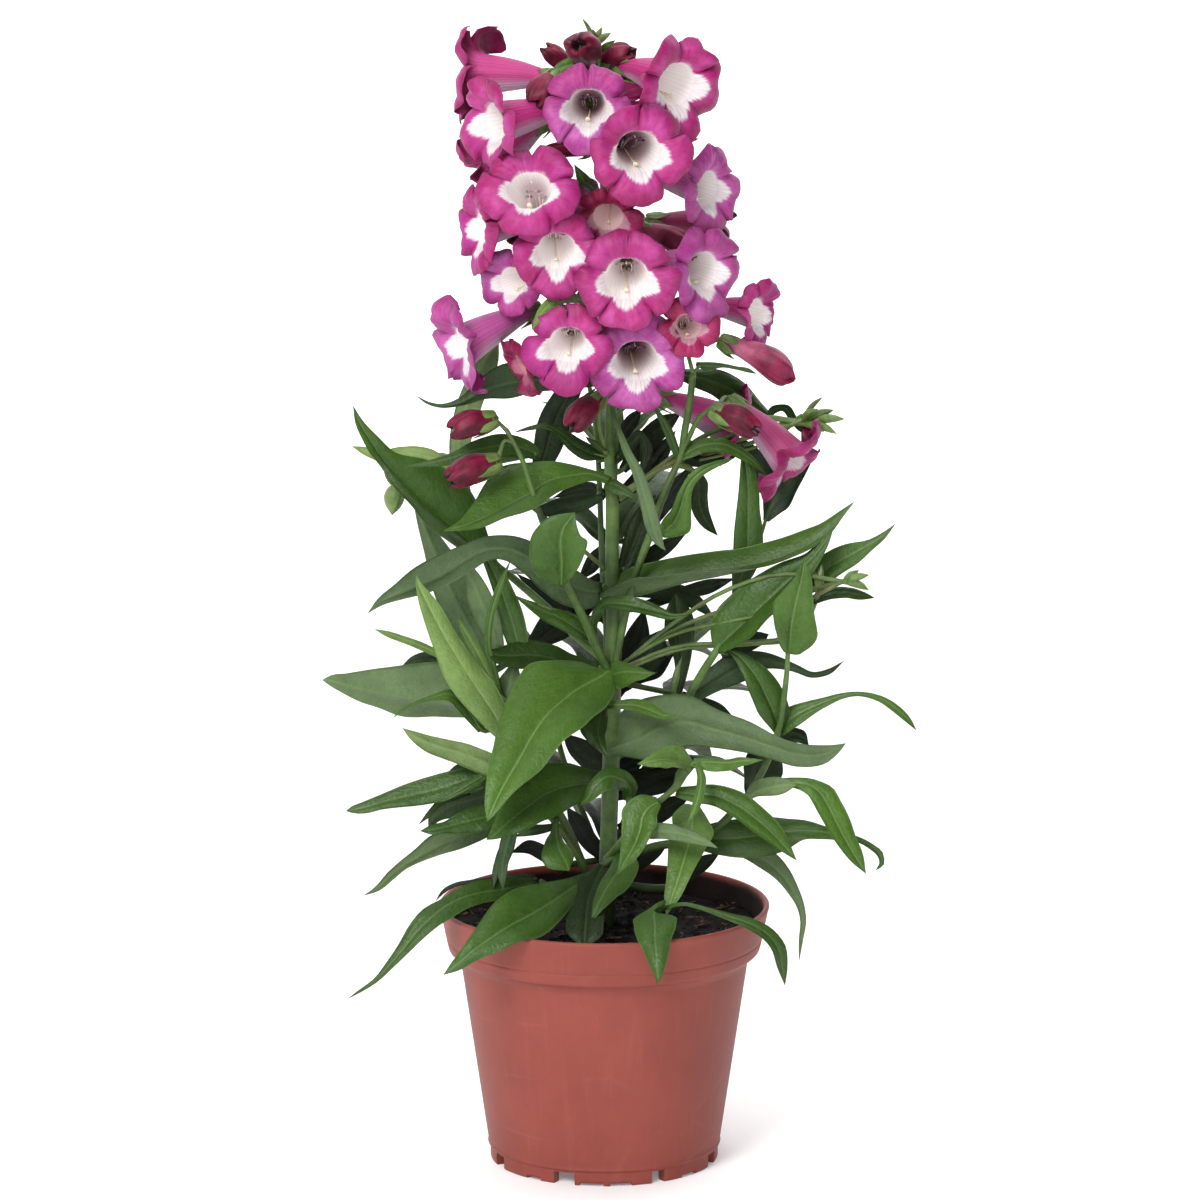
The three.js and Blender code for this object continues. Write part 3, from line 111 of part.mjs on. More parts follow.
  "L55b": {"node":"leaf_pair_right_low_1","side":"D","tint":0.6,"wave":0,"sheen":0,"st":[[54.8,-17.7,150.1,55.2,-18.0,149.5,55.6,-18.3,148.9],[57.7,-19.7,155.6,59.0,-21.1,152.6,59.7,-23.1,151.2],[63.3,-22.1,158.7,64.4,-23.9,154.9,65.1,-26.3,152.3],[69.5,-24.0,158.9,69.7,-25.5,156.5,70.1,-26.9,153.6],[74.8,-26.0,156.6,74.8,-26.0,156.6,74.8,-26.0,156.6]]},
  "L56": {"node":"leaf_pair_right_low_2","side":"U","tint":0.42,"wave":0,"sheen":0.6,"st":[[29.7,-4.4,132.1,29.6,-6.0,130.5,29.6,-7.0,128.3],[35.3,-4.8,134.2,35.1,-6.7,130.7,35.0,-8.5,127.0],[42.2,-4.6,136.2,42.2,-7.5,130.5,42.1,-11.2,125.7],[51.8,-4.2,137.7,52.3,-8.6,131.1,52.9,-12.0,123.9],[60.9,-3.4,138.2,61.7,-9.3,132.5,62.7,-13.1,124.7],[70.3,-4.8,138.2,70.7,-9.9,133.8,71.3,-13.0,127.4],[78.5,-8.1,138.3,78.5,-10.2,134.3,78.4,-13.1,131.8],[85.5,-9.1,136.4,85.1,-10.4,134.0,84.8,-11.6,131.5],[91.7,-9.1,134.0,91.4,-10.5,132.8,91.0,-11.3,131.0],[98.8,-9.9,132.2,98.4,-10.5,131.2,98.1,-11.0,130.2],[104.6,-9.9,129.2,104.0,-10.4,128.3,103.3,-10.9,127.5],[109.1,-9.8,125.3,107.9,-10.3,124.7,106.9,-11.0,124.2],[109.5,-9.9,120.6,108.3,-10.2,121.0,107.6,-10.8,121.4],[106.0,-10.0,118.2,106.0,-10.0,118.2,106.0,-10.0,118.2]]},
  "L57": {"node":"leaf_pair_right_low_2","side":"D","tint":0.5,"wave":0,"sheen":0,"st":[[34.6,-4.1,130.0,34.4,-4.0,128.4,34.2,-3.9,126.7],[45.8,-1.8,128.6,45.4,-1.6,126.2,45.1,-1.5,123.7],[56.2,-0.1,127.3,55.3,0.1,124.1,54.4,0.3,121.0],[65.7,0.8,124.0,63.2,1.2,119.8,61.3,2.8,116.3],[72.5,1.6,116.5,69.9,2.1,113.9,67.7,2.9,111.5],[76.3,2.1,108.6,74.3,2.5,107.3,72.3,2.9,106.0],[78.6,2.4,101.8,77.1,2.7,101.2,75.6,3.0,100.6],[79.6,2.4,95.2,78.3,2.7,95.0,77.1,3.1,94.9],[78.4,2.3,86.9,77.6,2.5,87.0,76.7,2.8,87.0],[76.8,2.0,77.7,76.8,2.0,77.7,76.8,2.0,77.7]]},
  "L44": {"node":"leaf_pair_base_left_1","side":"U","tint":0.42,"wave":0,"sheen":0,"st":[[-38.7,-13.3,154.0,-38.4,-12.0,156.1,-38.1,-10.7,158.1],[-44.4,-14.4,153.8,-44.6,-12.4,156.9,-44.8,-10.4,160.1],[-53.2,-15.6,151.4,-54.4,-13.0,155.5,-55.5,-10.4,159.5],[-62.6,-16.7,147.8,-64.1,-13.6,152.4,-65.7,-10.6,157.1],[-70.7,-17.4,146.7,-71.9,-14.1,150.5,-73.2,-11.3,154.9],[-78.8,-17.8,145.9,-79.7,-14.6,148.7,-80.8,-12.3,152.4],[-86.8,-17.3,144.6,-87.5,-15.1,146.8,-88.3,-13.4,149.5],[-94.0,-16.9,142.9,-94.5,-15.6,144.9,-95.1,-14.1,146.7],[-98.6,-16.5,143.1,-98.8,-15.9,144.1,-99.0,-15.2,145.2],[-100.8,-16.0,143.8,-100.8,-16.0,143.8,-100.8,-16.0,143.8]]},
  "L45": {"node":"leaf_pair_base_left_2","side":"U","tint":0.36,"wave":0,"sheen":0,"st":[[-36.4,-13.7,140.9,-36.9,-12.0,142.4,-37.4,-10.7,144.4],[-40.8,-16.4,138.7,-41.5,-13.8,141.6,-42.4,-11.6,145.0],[-46.6,-19.5,136.7,-47.7,-16.0,141.0,-48.9,-12.9,145.7],[-53.3,-20.4,136.1,-54.3,-18.0,139.9,-55.4,-15.6,143.6],[-61.5,-21.6,136.0,-62.1,-20.0,138.3,-62.6,-18.1,140.2],[-67.6,-22.3,135.9,-67.9,-21.3,137.4,-68.2,-20.3,139.0],[-71.8,-22.0,137.2,-71.8,-22.0,137.2,-71.8,-22.0,137.2]]},
  "L46": {"node":"leaf_pair_base_left_2","side":"D","tint":0.45,"wave":0,"sheen":0,"st":[[-36.2,-3.3,132.6,-36.2,-4.0,134.8,-36.2,-4.0,137.7],[-42.0,-3.8,131.6,-42.5,-4.9,135.0,-43.1,-5.0,139.5],[-48.4,-5.0,129.2,-49.5,-5.9,133.3,-50.8,-6.0,137.9],[-56.9,-6.9,126.1,-58.5,-7.0,130.7,-60.0,-7.6,135.0],[-64.8,-6.7,123.8,-66.3,-7.9,127.3,-68.4,-8.1,131.7],[-71.9,-7.7,121.1,-73.0,-8.5,123.4,-74.5,-8.7,126.3],[-78.2,-9.0,118.2,-79.3,-9.1,119.9,-80.4,-9.2,121.6],[-82.7,-9.3,114.5,-84.0,-9.4,116.0,-85.2,-9.8,117.4],[-88.0,-9.7,110.2,-88.7,-9.8,111.2,-89.4,-9.9,112.2],[-94.6,-10.0,108.1,-94.6,-10.0,108.1,-94.6,-10.0,108.1]]},
  "L46b": {"node":"base_left_shoot","side":"D","tint":0.32,"wave":0,"sheen":0,"st":[[-36.2,-4.0,144.9,-36.2,-4.0,146.9,-36.2,-4.0,148.9],[-43.7,-2.3,142.5,-44.0,-3.2,146.7,-44.4,-3.3,151.5],[-52.1,-2.0,139.4,-53.4,-2.2,144.9,-54.6,-3.1,149.8],[-60.1,-1.0,137.4,-62.1,-1.2,141.4,-63.9,-1.8,145.1],[-65.0,-0.3,135.6,-66.8,-0.6,137.2,-68.7,-0.8,138.8],[-69.2,0.0,132.2,-69.2,0.0,132.2,-69.2,0.0,132.2]],"foot":[-33.3,-7.8,151.2,1.3]},
  "L44c": {"node":"base_left_shoot","side":"U","tint":0.4,"wave":0,"sheen":0,"st":[[-40.0,-17.4,161.1,-40.6,-16.0,161.8,-41.4,-15.3,163.0],[-44.5,-20.3,158.7,-45.3,-18.6,159.6,-46.3,-17.8,161.1],[-50.6,-23.1,155.3,-51.5,-21.4,156.3,-52.5,-20.5,157.8],[-57.5,-23.9,151.8,-58.1,-23.2,152.7,-58.6,-22.7,153.6],[-62.5,-24.3,149.8,-62.7,-23.8,150.5,-63.0,-23.5,151.1],[-67.0,-24.0,149.7,-67.0,-24.0,149.7,-67.0,-24.0,149.7]]},
  "L44b": {"node":"leaf_pair_base_left_1","side":"D","tint":0.26,"wave":0,"sheen":0,"st":[[-38.9,-1.6,148.8,-38.5,-2.0,150.5,-38.1,-2.0,152.4],[-45.7,1.4,148.2,-44.8,0.5,151.5,-43.8,0.4,155.4],[-52.9,3.6,149.7,-51.9,2.2,153.1,-50.5,2.0,157.7],[-57.5,3.2,152.4,-57.4,2.5,155.0,-57.3,2.4,158.3],[-62.9,2.0,153.5,-62.9,2.0,153.5,-62.9,2.0,153.5]]},
  "L45c": {"node":"base_left_shoot","side":"U","tint":0.28,"wave":0,"sheen":0,"st":[[-52.3,-6.5,148.0,-52.6,-6.0,149.0,-52.9,-5.5,150.0],[-59.0,-8.1,146.0,-59.6,-7.4,147.3,-60.1,-6.8,148.7],[-63.5,-8.5,144.1,-64.3,-8.0,145.1,-65.1,-7.5,146.1],[-67.4,-8.7,140.3,-68.2,-8.2,141.1,-69.0,-7.8,141.8],[-72.9,-8.0,136.2,-72.9,-8.0,136.2,-72.9,-8.0,136.2]],"foot":[-39.9,-7.7,157.9,0.81]},
  "L64": {"node":"base_left_shoot","side":"D","tint":0.25,"wave":0,"sheen":0,"st":[[-33.4,-20.6,138.2,-34.8,-20.0,138.7,-36.2,-19.4,139.3],[-34.2,-23.8,134.6,-36.7,-22.9,135.4,-39.3,-21.9,136.3],[-35.2,-26.9,130.8,-38.3,-25.9,131.4,-40.9,-24.5,131.8],[-37.1,-29.6,126.4,-39.4,-28.9,126.5,-41.3,-27.9,126.5],[-38.0,-32.0,121.7,-39.8,-31.6,121.6,-41.3,-30.9,121.4],[-39.4,-34.0,116.2,-39.4,-34.0,116.2,-39.4,-34.0,116.2]],"foot":[-26.3,-9.7,145.2,1.13]},
  "L65": {"node":"base_left_shoot","side":"D","tint":0.22,"wave":0,"sheen":0,"st":[[-38.8,-18.6,130.1,-39.5,-18.0,130.2,-40.7,-17.6,130.5],[-39.9,-22.3,126.2,-41.1,-21.7,126.3,-42.4,-21.2,126.6],[-41.0,-26.0,121.2,-42.2,-25.2,121.2,-43.7,-24.8,121.4],[-43.3,-28.0,115.5,-43.3,-28.0,115.5,-43.3,-28.0,115.5]],"foot":[-23.8,-10.5,142.8,0.76]},
  "L66": {"node":"base_left_shoot","side":"U","tint":0.5,"wave":0,"sheen":0,"st":[[-18.1,-11.8,140.8,-18.9,-12.0,140.8,-19.7,-12.2,140.9],[-17.3,-19.0,136.9,-18.8,-19.8,137.1,-20.8,-20.4,137.1],[-15.8,-22.2,133.4,-18.4,-25.0,133.6,-23.4,-26.6,133.0],[-13.7,-23.8,130.8,-17.2,-28.4,130.4,-24.4,-31.1,128.0],[-11.8,-27.0,128.1,-15.3,-30.7,127.4,-21.2,-33.1,125.0],[-13.7,-32.0,123.7,-13.7,-32.0,123.7,-13.7,-32.0,123.7]]},
  "L79": {"node":"base_left_shoot","side":"D","tint":0.3,"wave":0,"sheen":0,"st":[[-18.6,-12.5,135.7,-18.9,-12.0,136.8,-19.2,-11.5,137.8],[-22.9,-18.1,135.5,-23.2,-16.9,136.8,-23.5,-16.0,138.5],[-28.5,-21.8,135.2,-29.0,-20.9,137.0,-29.5,-20.0,138.7],[-35.2,-22.0,134.8,-35.2,-22.0,134.8,-35.2,-22.0,134.8]]},
  "L62": {"node":"leaves_over_rim_front","side":"U","tint":0.45,"wave":0,"sheen":0.5,"st":[[-1.7,-12.6,117.0,-2.5,-12.0,118.3,-3.3,-11.3,119.5],[-5.2,-19.3,115.6,-6.4,-18.4,117.5,-7.6,-17.4,119.3],[-10.2,-30.1,112.7,-12.6,-28.0,115.9,-15.2,-26.0,119.4],[-16.3,-43.0,107.7,-20.3,-38.7,113.0,-24.9,-35.1,119.5],[-24.1,-54.3,103.5,-28.7,-48.1,110.2,-34.5,-43.1,119.3],[-33.4,-61.7,102.5,-37.2,-55.3,107.3,-42.7,-50.8,115.7],[-41.5,-64.1,99.5,-44.8,-60.5,103.5,-48.7,-57.6,108.7],[-49.3,-65.1,96.4,-51.7,-63.8,99.2,-54.1,-62.2,101.9],[-56.0,-66.3,92.9,-57.4,-65.5,94.5,-58.7,-64.1,95.6],[-62.1,-66.0,91.0,-62.1,-66.0,91.0,-62.1,-66.0,91.0]]},
  "L61": {"node":"leaves_over_rim_front","side":"U","tint":0.15,"wave":0,"sheen":0,"st":[[1.2,-12.5,119.8,-0.9,-12.0,120.7,-3.1,-11.5,121.5],[1.1,-25.1,114.7,-4.0,-23.0,116.2,-9.9,-21.6,118.1],[0.1,-34.9,110.2,-6.4,-32.7,111.1,-13.6,-31.4,112.3],[-0.2,-43.0,105.4,-7.1,-40.9,105.6,-14.9,-39.7,106.0],[-1.7,-47.9,101.3,-7.5,-46.1,101.3,-14.1,-45.1,101.6],[-7.9,-50.0,97.6,-7.9,-50.0,97.6,-7.9,-50.0,97.6]]},
  "L63": {"node":"leaves_over_rim_left","side":"U","tint":0.4,"wave":0,"sheen":0,"st":[[-25.6,-15.3,113.5,-26.0,-14.0,114.7,-26.4,-12.9,116.4],[-32.3,-21.8,112.3,-32.9,-19.4,114.5,-33.7,-17.5,117.5],[-40.0,-27.4,111.0,-40.7,-24.9,114.3,-41.4,-22.5,118.0],[-47.5,-32.4,110.7,-48.4,-29.6,114.3,-49.4,-27.0,118.3],[-53.6,-35.9,109.4,-55.3,-33.5,113.3,-56.9,-30.5,116.6],[-58.7,-39.2,107.1,-61.5,-36.8,110.9,-63.4,-32.8,112.9],[-64.0,-42.1,104.6,-66.8,-39.5,107.2,-70.0,-37.1,110.2],[-69.6,-44.6,100.5,-72.2,-42.0,102.3,-75.4,-39.9,104.7],[-75.7,-45.6,94.7,-77.6,-44.2,96.0,-79.8,-42.9,97.4],[-81.9,-46.6,88.8,-83.1,-45.6,89.6,-84.4,-44.7,90.5],[-87.8,-46.8,83.1,-88.5,-46.3,83.8,-89.1,-45.6,84.2],[-94.4,-46.7,78.9,-94.7,-46.4,79.4,-95.1,-46.0,79.8],[-100.2,-46.0,75.7,-100.2,-46.0,75.7,-100.2,-46.0,75.7]]},
  "L63b": {"node":"leaves_over_rim_left","side":"U","tint":0.04,"wave":0,"sheen":0,"st":[[-26.8,-12.8,114.8,-26.8,-12.0,115.8,-26.7,-11.2,116.9],[-33.0,-8.2,114.1,-33.1,-7.4,115.1,-33.1,-6.6,116.1],[-42.9,-2.6,112.1,-43.0,-2.0,112.9,-43.1,-1.4,113.7],[-52.7,0.8,110.1,-52.9,1.3,110.8,-53.0,1.9,111.6],[-58.5,1.7,108.7,-58.8,2.3,109.4,-59.1,2.8,110.1],[-62.6,2.0,106.4,-63.1,2.4,106.9,-63.7,2.9,107.4],[-66.7,2.0,102.6,-66.7,2.0,102.6,-66.7,2.0,102.6]]},
  "L59": {"node":"leaves_over_rim_right","side":"U","tint":0.42,"wave":0,"sheen":0,"st":[[18.1,-43.7,107.7,20.0,-44.0,108.0,21.9,-43.6,108.1],[16.3,-49.7,109.7,19.5,-49.8,113.1,22.5,-47.9,115.7],[26.5,-52.7,111.0,19.1,-54.0,111.3,12.6,-51.7,110.8],[27.6,-57.7,108.7,19.5,-59.2,108.7,11.4,-57.9,108.0],[26.0,-62.5,105.1,19.4,-64.3,105.3,12.5,-63.2,104.7],[24.8,-68.1,101.1,19.8,-69.0,101.0,15.2,-67.7,100.3],[23.2,-71.9,95.7,20.2,-72.5,95.6,17.9,-71.2,95.0],[22.1,-73.3,92.2,20.5,-73.6,92.3,19.4,-72.9,92.1],[20.1,-74.0,89.2,20.1,-74.0,89.2,20.1,-74.0,89.2]]},
  "L58": {"node":"leaves_over_rim_right","side":"U","tint":0.35,"wave":0,"sheen":0,"st":[[22.9,-43.6,112.6,23.1,-44.0,112.0,23.2,-44.4,111.3],[30.0,-45.8,114.8,30.0,-46.2,114.1,30.0,-46.6,113.4],[39.1,-47.8,113.5,38.9,-48.3,112.7,38.6,-48.8,111.9],[49.0,-48.8,111.1,48.5,-49.7,109.8,48.0,-50.5,108.5],[58.1,-48.7,108.7,57.0,-50.0,106.7,56.1,-51.8,105.2],[65.2,-48.3,104.5,63.2,-49.8,102.7,61.5,-51.7,101.3],[70.0,-47.7,97.9,67.1,-49.1,96.9,64.8,-51.1,96.4],[71.0,-47.0,90.0,68.7,-47.9,89.8,66.8,-49.3,89.8],[70.0,-46.0,81.3,70.0,-46.0,81.3,70.0,-46.0,81.3]]},
  "L18": {"node":"right_mid_shoot","side":"D","tint":0.08,"wave":0,"sheen":0,"st":[[61.9,6.3,255.0,63.0,6.0,254.7,64.1,5.7,254.4],[61.8,9.1,260.5,64.6,6.9,259.7,68.8,5.4,258.1],[62.2,9.7,265.6,66.5,7.3,262.8,71.2,5.3,259.7],[67.6,9.6,271.3,71.2,8.0,268.6,74.8,6.3,266.0],[73.2,9.5,276.6,75.8,8.2,274.5,78.2,6.7,272.8],[78.2,8.7,279.4,79.3,8.2,278.5,80.5,7.6,277.5],[82.0,8.0,281.7,82.0,8.0,281.7,82.0,8.0,281.7]]},
  "L18b": {"node":"right_shoot","side":"D","tint":0.08,"wave":0,"sheen":0,"st":[[53.1,8.6,287.5,52.0,8.0,286.4,50.9,7.4,285.4],[59.2,12.9,282.8,56.8,11.0,281.1,53.7,9.7,278.9],[65.0,15.9,274.9,61.5,13.9,273.5,57.4,12.4,271.5],[68.4,16.7,266.5,64.8,15.5,265.2,61.1,14.3,263.9],[67.9,16.0,257.9,67.9,16.0,257.9,67.9,16.0,257.9]]},
  "L19c": {"node":"right_shoot","side":"U","tint":0.4,"wave":0,"sheen":0,"st":[[35.4,-13.0,320.9,35.3,-13.0,320.1,35.1,-13.0,319.3],[40.0,-14.4,321.1,39.9,-14.0,319.5,39.7,-14.0,317.5],[44.6,-14.8,320.8,44.5,-14.7,319.6,44.4,-14.4,318.8],[50.4,-15.2,319.7,50.3,-15.2,318.9,50.2,-15.0,318.3],[56.2,-15.2,318.5,56.0,-15.2,317.7,55.8,-15.2,317.0],[58.7,-15.0,316.5,58.7,-15.0,316.5,58.7,-15.0,316.5]]},
  "L84": {"node":"right_shoot","side":"U","tint":0.12,"wave":0,"sheen":0,"st":[[61.8,2.9,295.8,62.4,3.0,295.3,62.9,3.1,294.7],[65.5,5.6,300.5,66.3,5.7,299.1,67.1,5.8,297.7],[71.0,7.1,300.6,70.2,7.2,299.2,69.4,7.2,297.9],[75.0,8.6,295.2,73.8,8.8,294.2,72.6,8.9,293.2],[78.0,9.6,291.1,77.3,9.7,290.1,76.7,9.7,289.1],[81.2,10.0,288.9,81.2,10.0,288.9,81.2,10.0,288.9]]},
  "BR1": {"node":"raceme_tip","side":"U","tint":0.55,"wave":0,"sheen":0,"st":[[-5.8,-3.3,432.7,-5.5,-3.0,433.4,-5.2,-2.7,434.1],[-10.4,-6.8,433.1,-10.1,-5.7,435.7,-9.9,-4.5,438.2],[-12.9,-8.4,432.0,-13.9,-7.1,434.7,-15.0,-5.8,437.4],[-16.9,-8.7,431.7,-17.8,-7.9,433.3,-18.7,-7.1,434.9],[-21.2,-8.0,431.0,-21.2,-8.0,431.0,-21.2,-8.0,431.0]],"foot":[-5.1,0.5,434.0,0.7]},
  "BR2": {"node":"raceme_tip","side":"U","tint":0.5,"wave":0,"sheen":0,"st":[[-5.0,-0.1,436.6,-4.4,0.0,436.1,-3.8,0.1,435.6],[-2.1,-7.3,441.7,-1.3,-7.2,440.9,-0.5,-7.1,440.0],[0.7,-9.0,444.0,1.4,-9.0,443.0,2.0,-8.9,442.0],[4.4,-8.0,444.8,4.4,-8.0,444.8,4.4,-8.0,444.8]],"foot":[-5.3,0.2,436.0,0.7]},
  "BR3": {"node":"raceme_tip","side":"U","tint":0.4,"wave":0,"sheen":0,"st":[[-0.6,-0.3,382.9,-0.2,0.0,383.5,0.3,0.3,384.1],[-6.0,-16.8,387.5,-4.8,-16.0,388.9,-3.5,-15.3,390.3],[-10.4,-26.1,392.9,-8.6,-25.3,394.1,-6.7,-24.5,395.4],[-11.6,-28.0,399.9,-11.6,-28.0,399.9,-11.6,-28.0,399.9]],"foot":[-0.3,4.6,383.7,0.7]},
  "BR4": {"node":"main_stem","side":"U","tint":0.85,"wave":0,"sheen":0,"st":[[2.1,-0.3,335.3,2.6,0.0,335.9,3.0,0.3,336.5],[-6.1,-17.0,343.1,-5.5,-16.5,344.1,-5.0,-16.1,345.0],[-12.6,-27.8,346.3,-12.4,-27.0,348.1,-12.2,-26.2,349.9],[-17.5,-35.5,346.6,-18.5,-34.5,348.6,-19.4,-33.6,350.5],[-21.6,-42.0,344.1,-23.4,-41.2,345.4,-24.9,-40.1,346.5],[-27.9,-48.0,338.9,-27.9,-48.0,338.9,-27.9,-48.0,338.9]],"foot":[2.7,5.0,335.9,0.7]},
  "C01": {"node":"back_shoot","side":"U","tint":0.0,"wave":0,"sheen":0,"st":[[2.1,20.2,226.8,-0.1,20.0,229.1,-2.4,19.8,231.5],[-4.6,24.5,215.1,-8.8,23.5,219.6,-13.2,23.0,224.2],[-14.9,28.2,203.2,-19.0,26.9,208.4,-23.7,26.4,214.0],[-33.3,30.0,196.4,-33.3,30.0,196.4,-33.3,30.0,196.4]],"foot":[2.5,13.9,229.0,1.3]},
  "C02": {"node":"back_shoot","side":"U","tint":0.0,"wave":0,"sheen":0,"st":[[1.0,19.0,184.1,3.8,18.0,182.9,6.7,17.0,181.8],[5.4,25.4,197.0,10.1,23.1,195.5,15.6,21.3,193.7],[9.1,27.5,206.3,13.3,25.9,205.4,17.8,24.6,204.3],[16.0,28.0,215.4,16.0,28.0,215.4,16.0,28.0,215.4]],"foot":[2.2,14.0,182.9,1.3]},
  "C03": {"node":"back_shoot","side":"U","tint":0.0,"wave":0,"sheen":0,"st":[[3.0,17.1,187.1,4.6,16.0,185.0,6.2,14.9,182.9],[10.8,21.9,192.5,12.5,20.5,189.6,14.1,19.0,186.7],[18.6,24.9,194.6,20.4,23.5,191.8,22.1,22.1,189.0],[27.5,26.0,197.3,27.5,26.0,197.3,27.5,26.0,197.3]],"foot":[2.2,14.0,185.0,1.3]},
  "C04": {"node":"back_shoot","side":"U","tint":0.0,"wave":0,"sheen":0,"st":[[-1.2,16.2,149.7,0.7,16.0,151.8,2.5,15.8,154.0],[-8.8,21.3,152.6,-5.6,20.5,156.5,-2.3,20.2,160.5],[-13.8,23.9,157.5,-11.2,23.6,160.6,-8.6,23.4,163.7],[-16.7,26.0,165.3,-16.7,26.0,165.3,-16.7,26.0,165.3]],"foot":[2.1,13.3,151.9,1.3]},
  "C05": {"node":"back_shoot","side":"U","tint":0.0,"wave":0,"sheen":0,"st":[[2.7,17.5,146.8,3.8,16.0,143.7,5.0,14.5,140.6],[12.5,23.9,151.0,14.1,21.1,146.2,15.8,18.6,140.9],[23.2,27.3,152.8,25.2,25.0,148.1,27.2,22.7,143.3],[39.1,28.0,154.7,39.1,28.0,154.7,39.1,28.0,154.7]],"foot":[2.0,13.1,143.8,1.3]},
  "C06": {"node":"back_shoot","side":"U","tint":0.0,"wave":0,"sheen":0,"st":[[4.8,13.3,131.1,6.2,12.0,128.5,7.6,10.7,125.9],[15.3,20.1,136.2,17.3,18.3,132.6,19.3,16.6,129.1],[25.1,24.3,139.7,26.8,22.9,136.8,28.5,21.4,133.9],[34.7,26.0,140.5,34.7,26.0,140.5,34.7,26.0,140.5]],"foot":[2.0,12.8,128.5,1.3]},
  "C07": {"node":"back_shoot","side":"U","tint":0.0,"wave":0,"sheen":0,"st":[[-1.0,10.2,116.6,0.7,10.0,118.4,2.3,9.8,120.2],[-8.4,14.7,121.4,-5.7,14.3,123.8,-2.9,14.0,126.2],[-13.4,18.0,128.2,-10.4,17.6,130.4,-7.4,17.2,132.5],[-15.1,20.0,137.1,-15.1,20.0,137.1,-15.1,20.0,137.1]]},
  "C08": {"node":"back_shoot","side":"U","tint":0.0,"wave":0,"sheen":0,"st":[[2.1,13.0,114.2,3.0,12.0,112.2,4.0,11.0,110.2],[12.5,19.0,118.6,14.1,17.6,115.7,15.7,16.1,112.8],[18.3,21.3,121.6,20.1,20.1,119.2,21.8,18.8,116.8],[26.0,22.0,122.8,26.0,22.0,122.8,26.0,22.0,122.8]],"foot":[1.9,12.6,112.2,1.3]},
  "C09": {"node":"back_shoot","side":"U","tint":0.0,"wave":0,"sheen":0,"st":[[7.6,14.9,247.1,9.3,14.0,245.6,10.9,13.1,244.0],[17.5,20.3,256.9,19.8,18.7,255.0,22.4,17.4,252.8],[23.7,22.7,265.1,26.5,21.5,263.2,29.3,20.2,261.3],[34.4,24.0,273.9,34.4,24.0,273.9,34.4,24.0,273.9]],"foot":[2.6,13.7,245.6,1.3]},
  "C10": {"node":"back_shoot","side":"U","tint":0.0,"wave":0,"sheen":0,"st":[[3.2,14.7,262.8,4.6,14.0,261.5,5.9,13.3,260.2],[11.4,19.7,271.6,13.9,18.4,269.4,16.5,17.1,267.2],[19.0,23.0,280.3,21.8,21.7,278.3,24.6,20.5,276.4],[28.1,24.0,287.5,28.1,24.0,287.5,28.1,24.0,287.5]],"foot":[2.6,13.5,261.5,1.3]},
  "C11": {"node":"back_shoot","side":"U","tint":0.0,"wave":0,"sheen":0,"st":[[-16.4,8.1,111.6,-15.1,8.0,113.2,-13.8,7.9,114.8],[-25.2,15.2,116.0,-23.4,15.1,118.8,-21.7,14.9,121.5],[-30.3,18.2,118.0,-30.2,18.2,120.9,-30.1,18.1,123.7],[-37.3,20.0,118.0,-37.3,20.0,118.0,-37.3,20.0,118.0]]},
  "C12": {"node":"back_shoot","side":"U","tint":0.0,"wave":0,"sheen":0,"st":[[27.1,10.8,109.2,28.3,10.0,107.8,29.5,9.2,106.4],[34.4,17.0,115.2,36.3,15.7,112.9,38.2,14.5,110.6],[39.8,19.1,117.4,41.0,18.2,115.6,42.3,17.2,113.7],[45.8,20.0,118.0,45.8,20.0,118.0,45.8,20.0,118.0]],"foot":[1.9,12.6,107.8,1.3]},
  "C13": {"node":"back_shoot","side":"U","tint":0.0,"wave":0,"sheen":0,"st":[[-0.2,12.1,261.7,0.6,12.0,263.5,1.5,11.9,265.3],[-6.0,16.0,263.5,-5.6,16.0,265.9,-5.3,15.9,268.3],[-12.2,19.3,262.1,-12.7,19.2,264.1,-13.2,19.2,266.0],[-20.5,22.0,260.7,-20.5,22.0,260.7,-20.5,22.0,260.7]]},
  "C15": {"node":"back_shoot","side":"U","tint":0.0,"wave":0,"sheen":0,"st":[[2.4,12.2,241.1,0.6,12.0,242.8,-1.1,11.8,244.4],[-1.2,17.1,234.9,-3.7,16.8,237.0,-6.1,16.5,239.1],[-5.0,20.1,230.4,-6.8,19.9,232.0,-8.6,19.6,233.6],[-10.3,22.0,227.9,-10.3,22.0,227.9,-10.3,22.0,227.9]]},
  "C16": {"node":"back_shoot","side":"U","tint":0.0,"wave":0,"sheen":0,"st":[[-13.6,24.1,212.5,-12.7,24.0,213.8,-11.9,23.9,215.2],[-22.9,25.7,217.9,-21.8,25.6,219.5,-20.6,25.5,221.2],[-29.7,26.9,222.9,-28.5,26.8,224.5,-27.3,26.7,226.1],[-34.8,28.0,229.5,-34.8,28.0,229.5,-34.8,28.0,229.5]],"foot":[2.4,14.0,213.7,1.12]},
  "C18": {"node":"back_shoot","side":"U","tint":0.0,"wave":0,"sheen":0,"st":[[0.1,12.9,152.5,1.5,12.0,150.8,2.8,11.1,149.0],[5.1,17.8,155.9,6.6,16.5,153.3,8.1,15.2,150.8],[10.5,20.9,157.3,11.7,19.6,154.6,13.0,18.3,152.0],[16.9,22.0,156.5,16.9,22.0,156.5,16.9,22.0,156.5]]},
  "C19": {"node":"back_shoot","side":"U","tint":0.0,"wave":0,"sheen":0,"st":[[13.3,16.8,219.7,14.0,16.0,217.9,14.7,15.2,216.2],[29.8,22.4,224.9,30.5,21.4,222.8,31.2,20.4,220.7],[40.8,25.2,227.6,41.6,24.1,225.1,42.3,22.9,222.6],[51.8,26.0,227.9,51.8,26.0,227.9,51.8,26.0,227.9]],"foot":[2.4,14.0,218.0,1.3]},
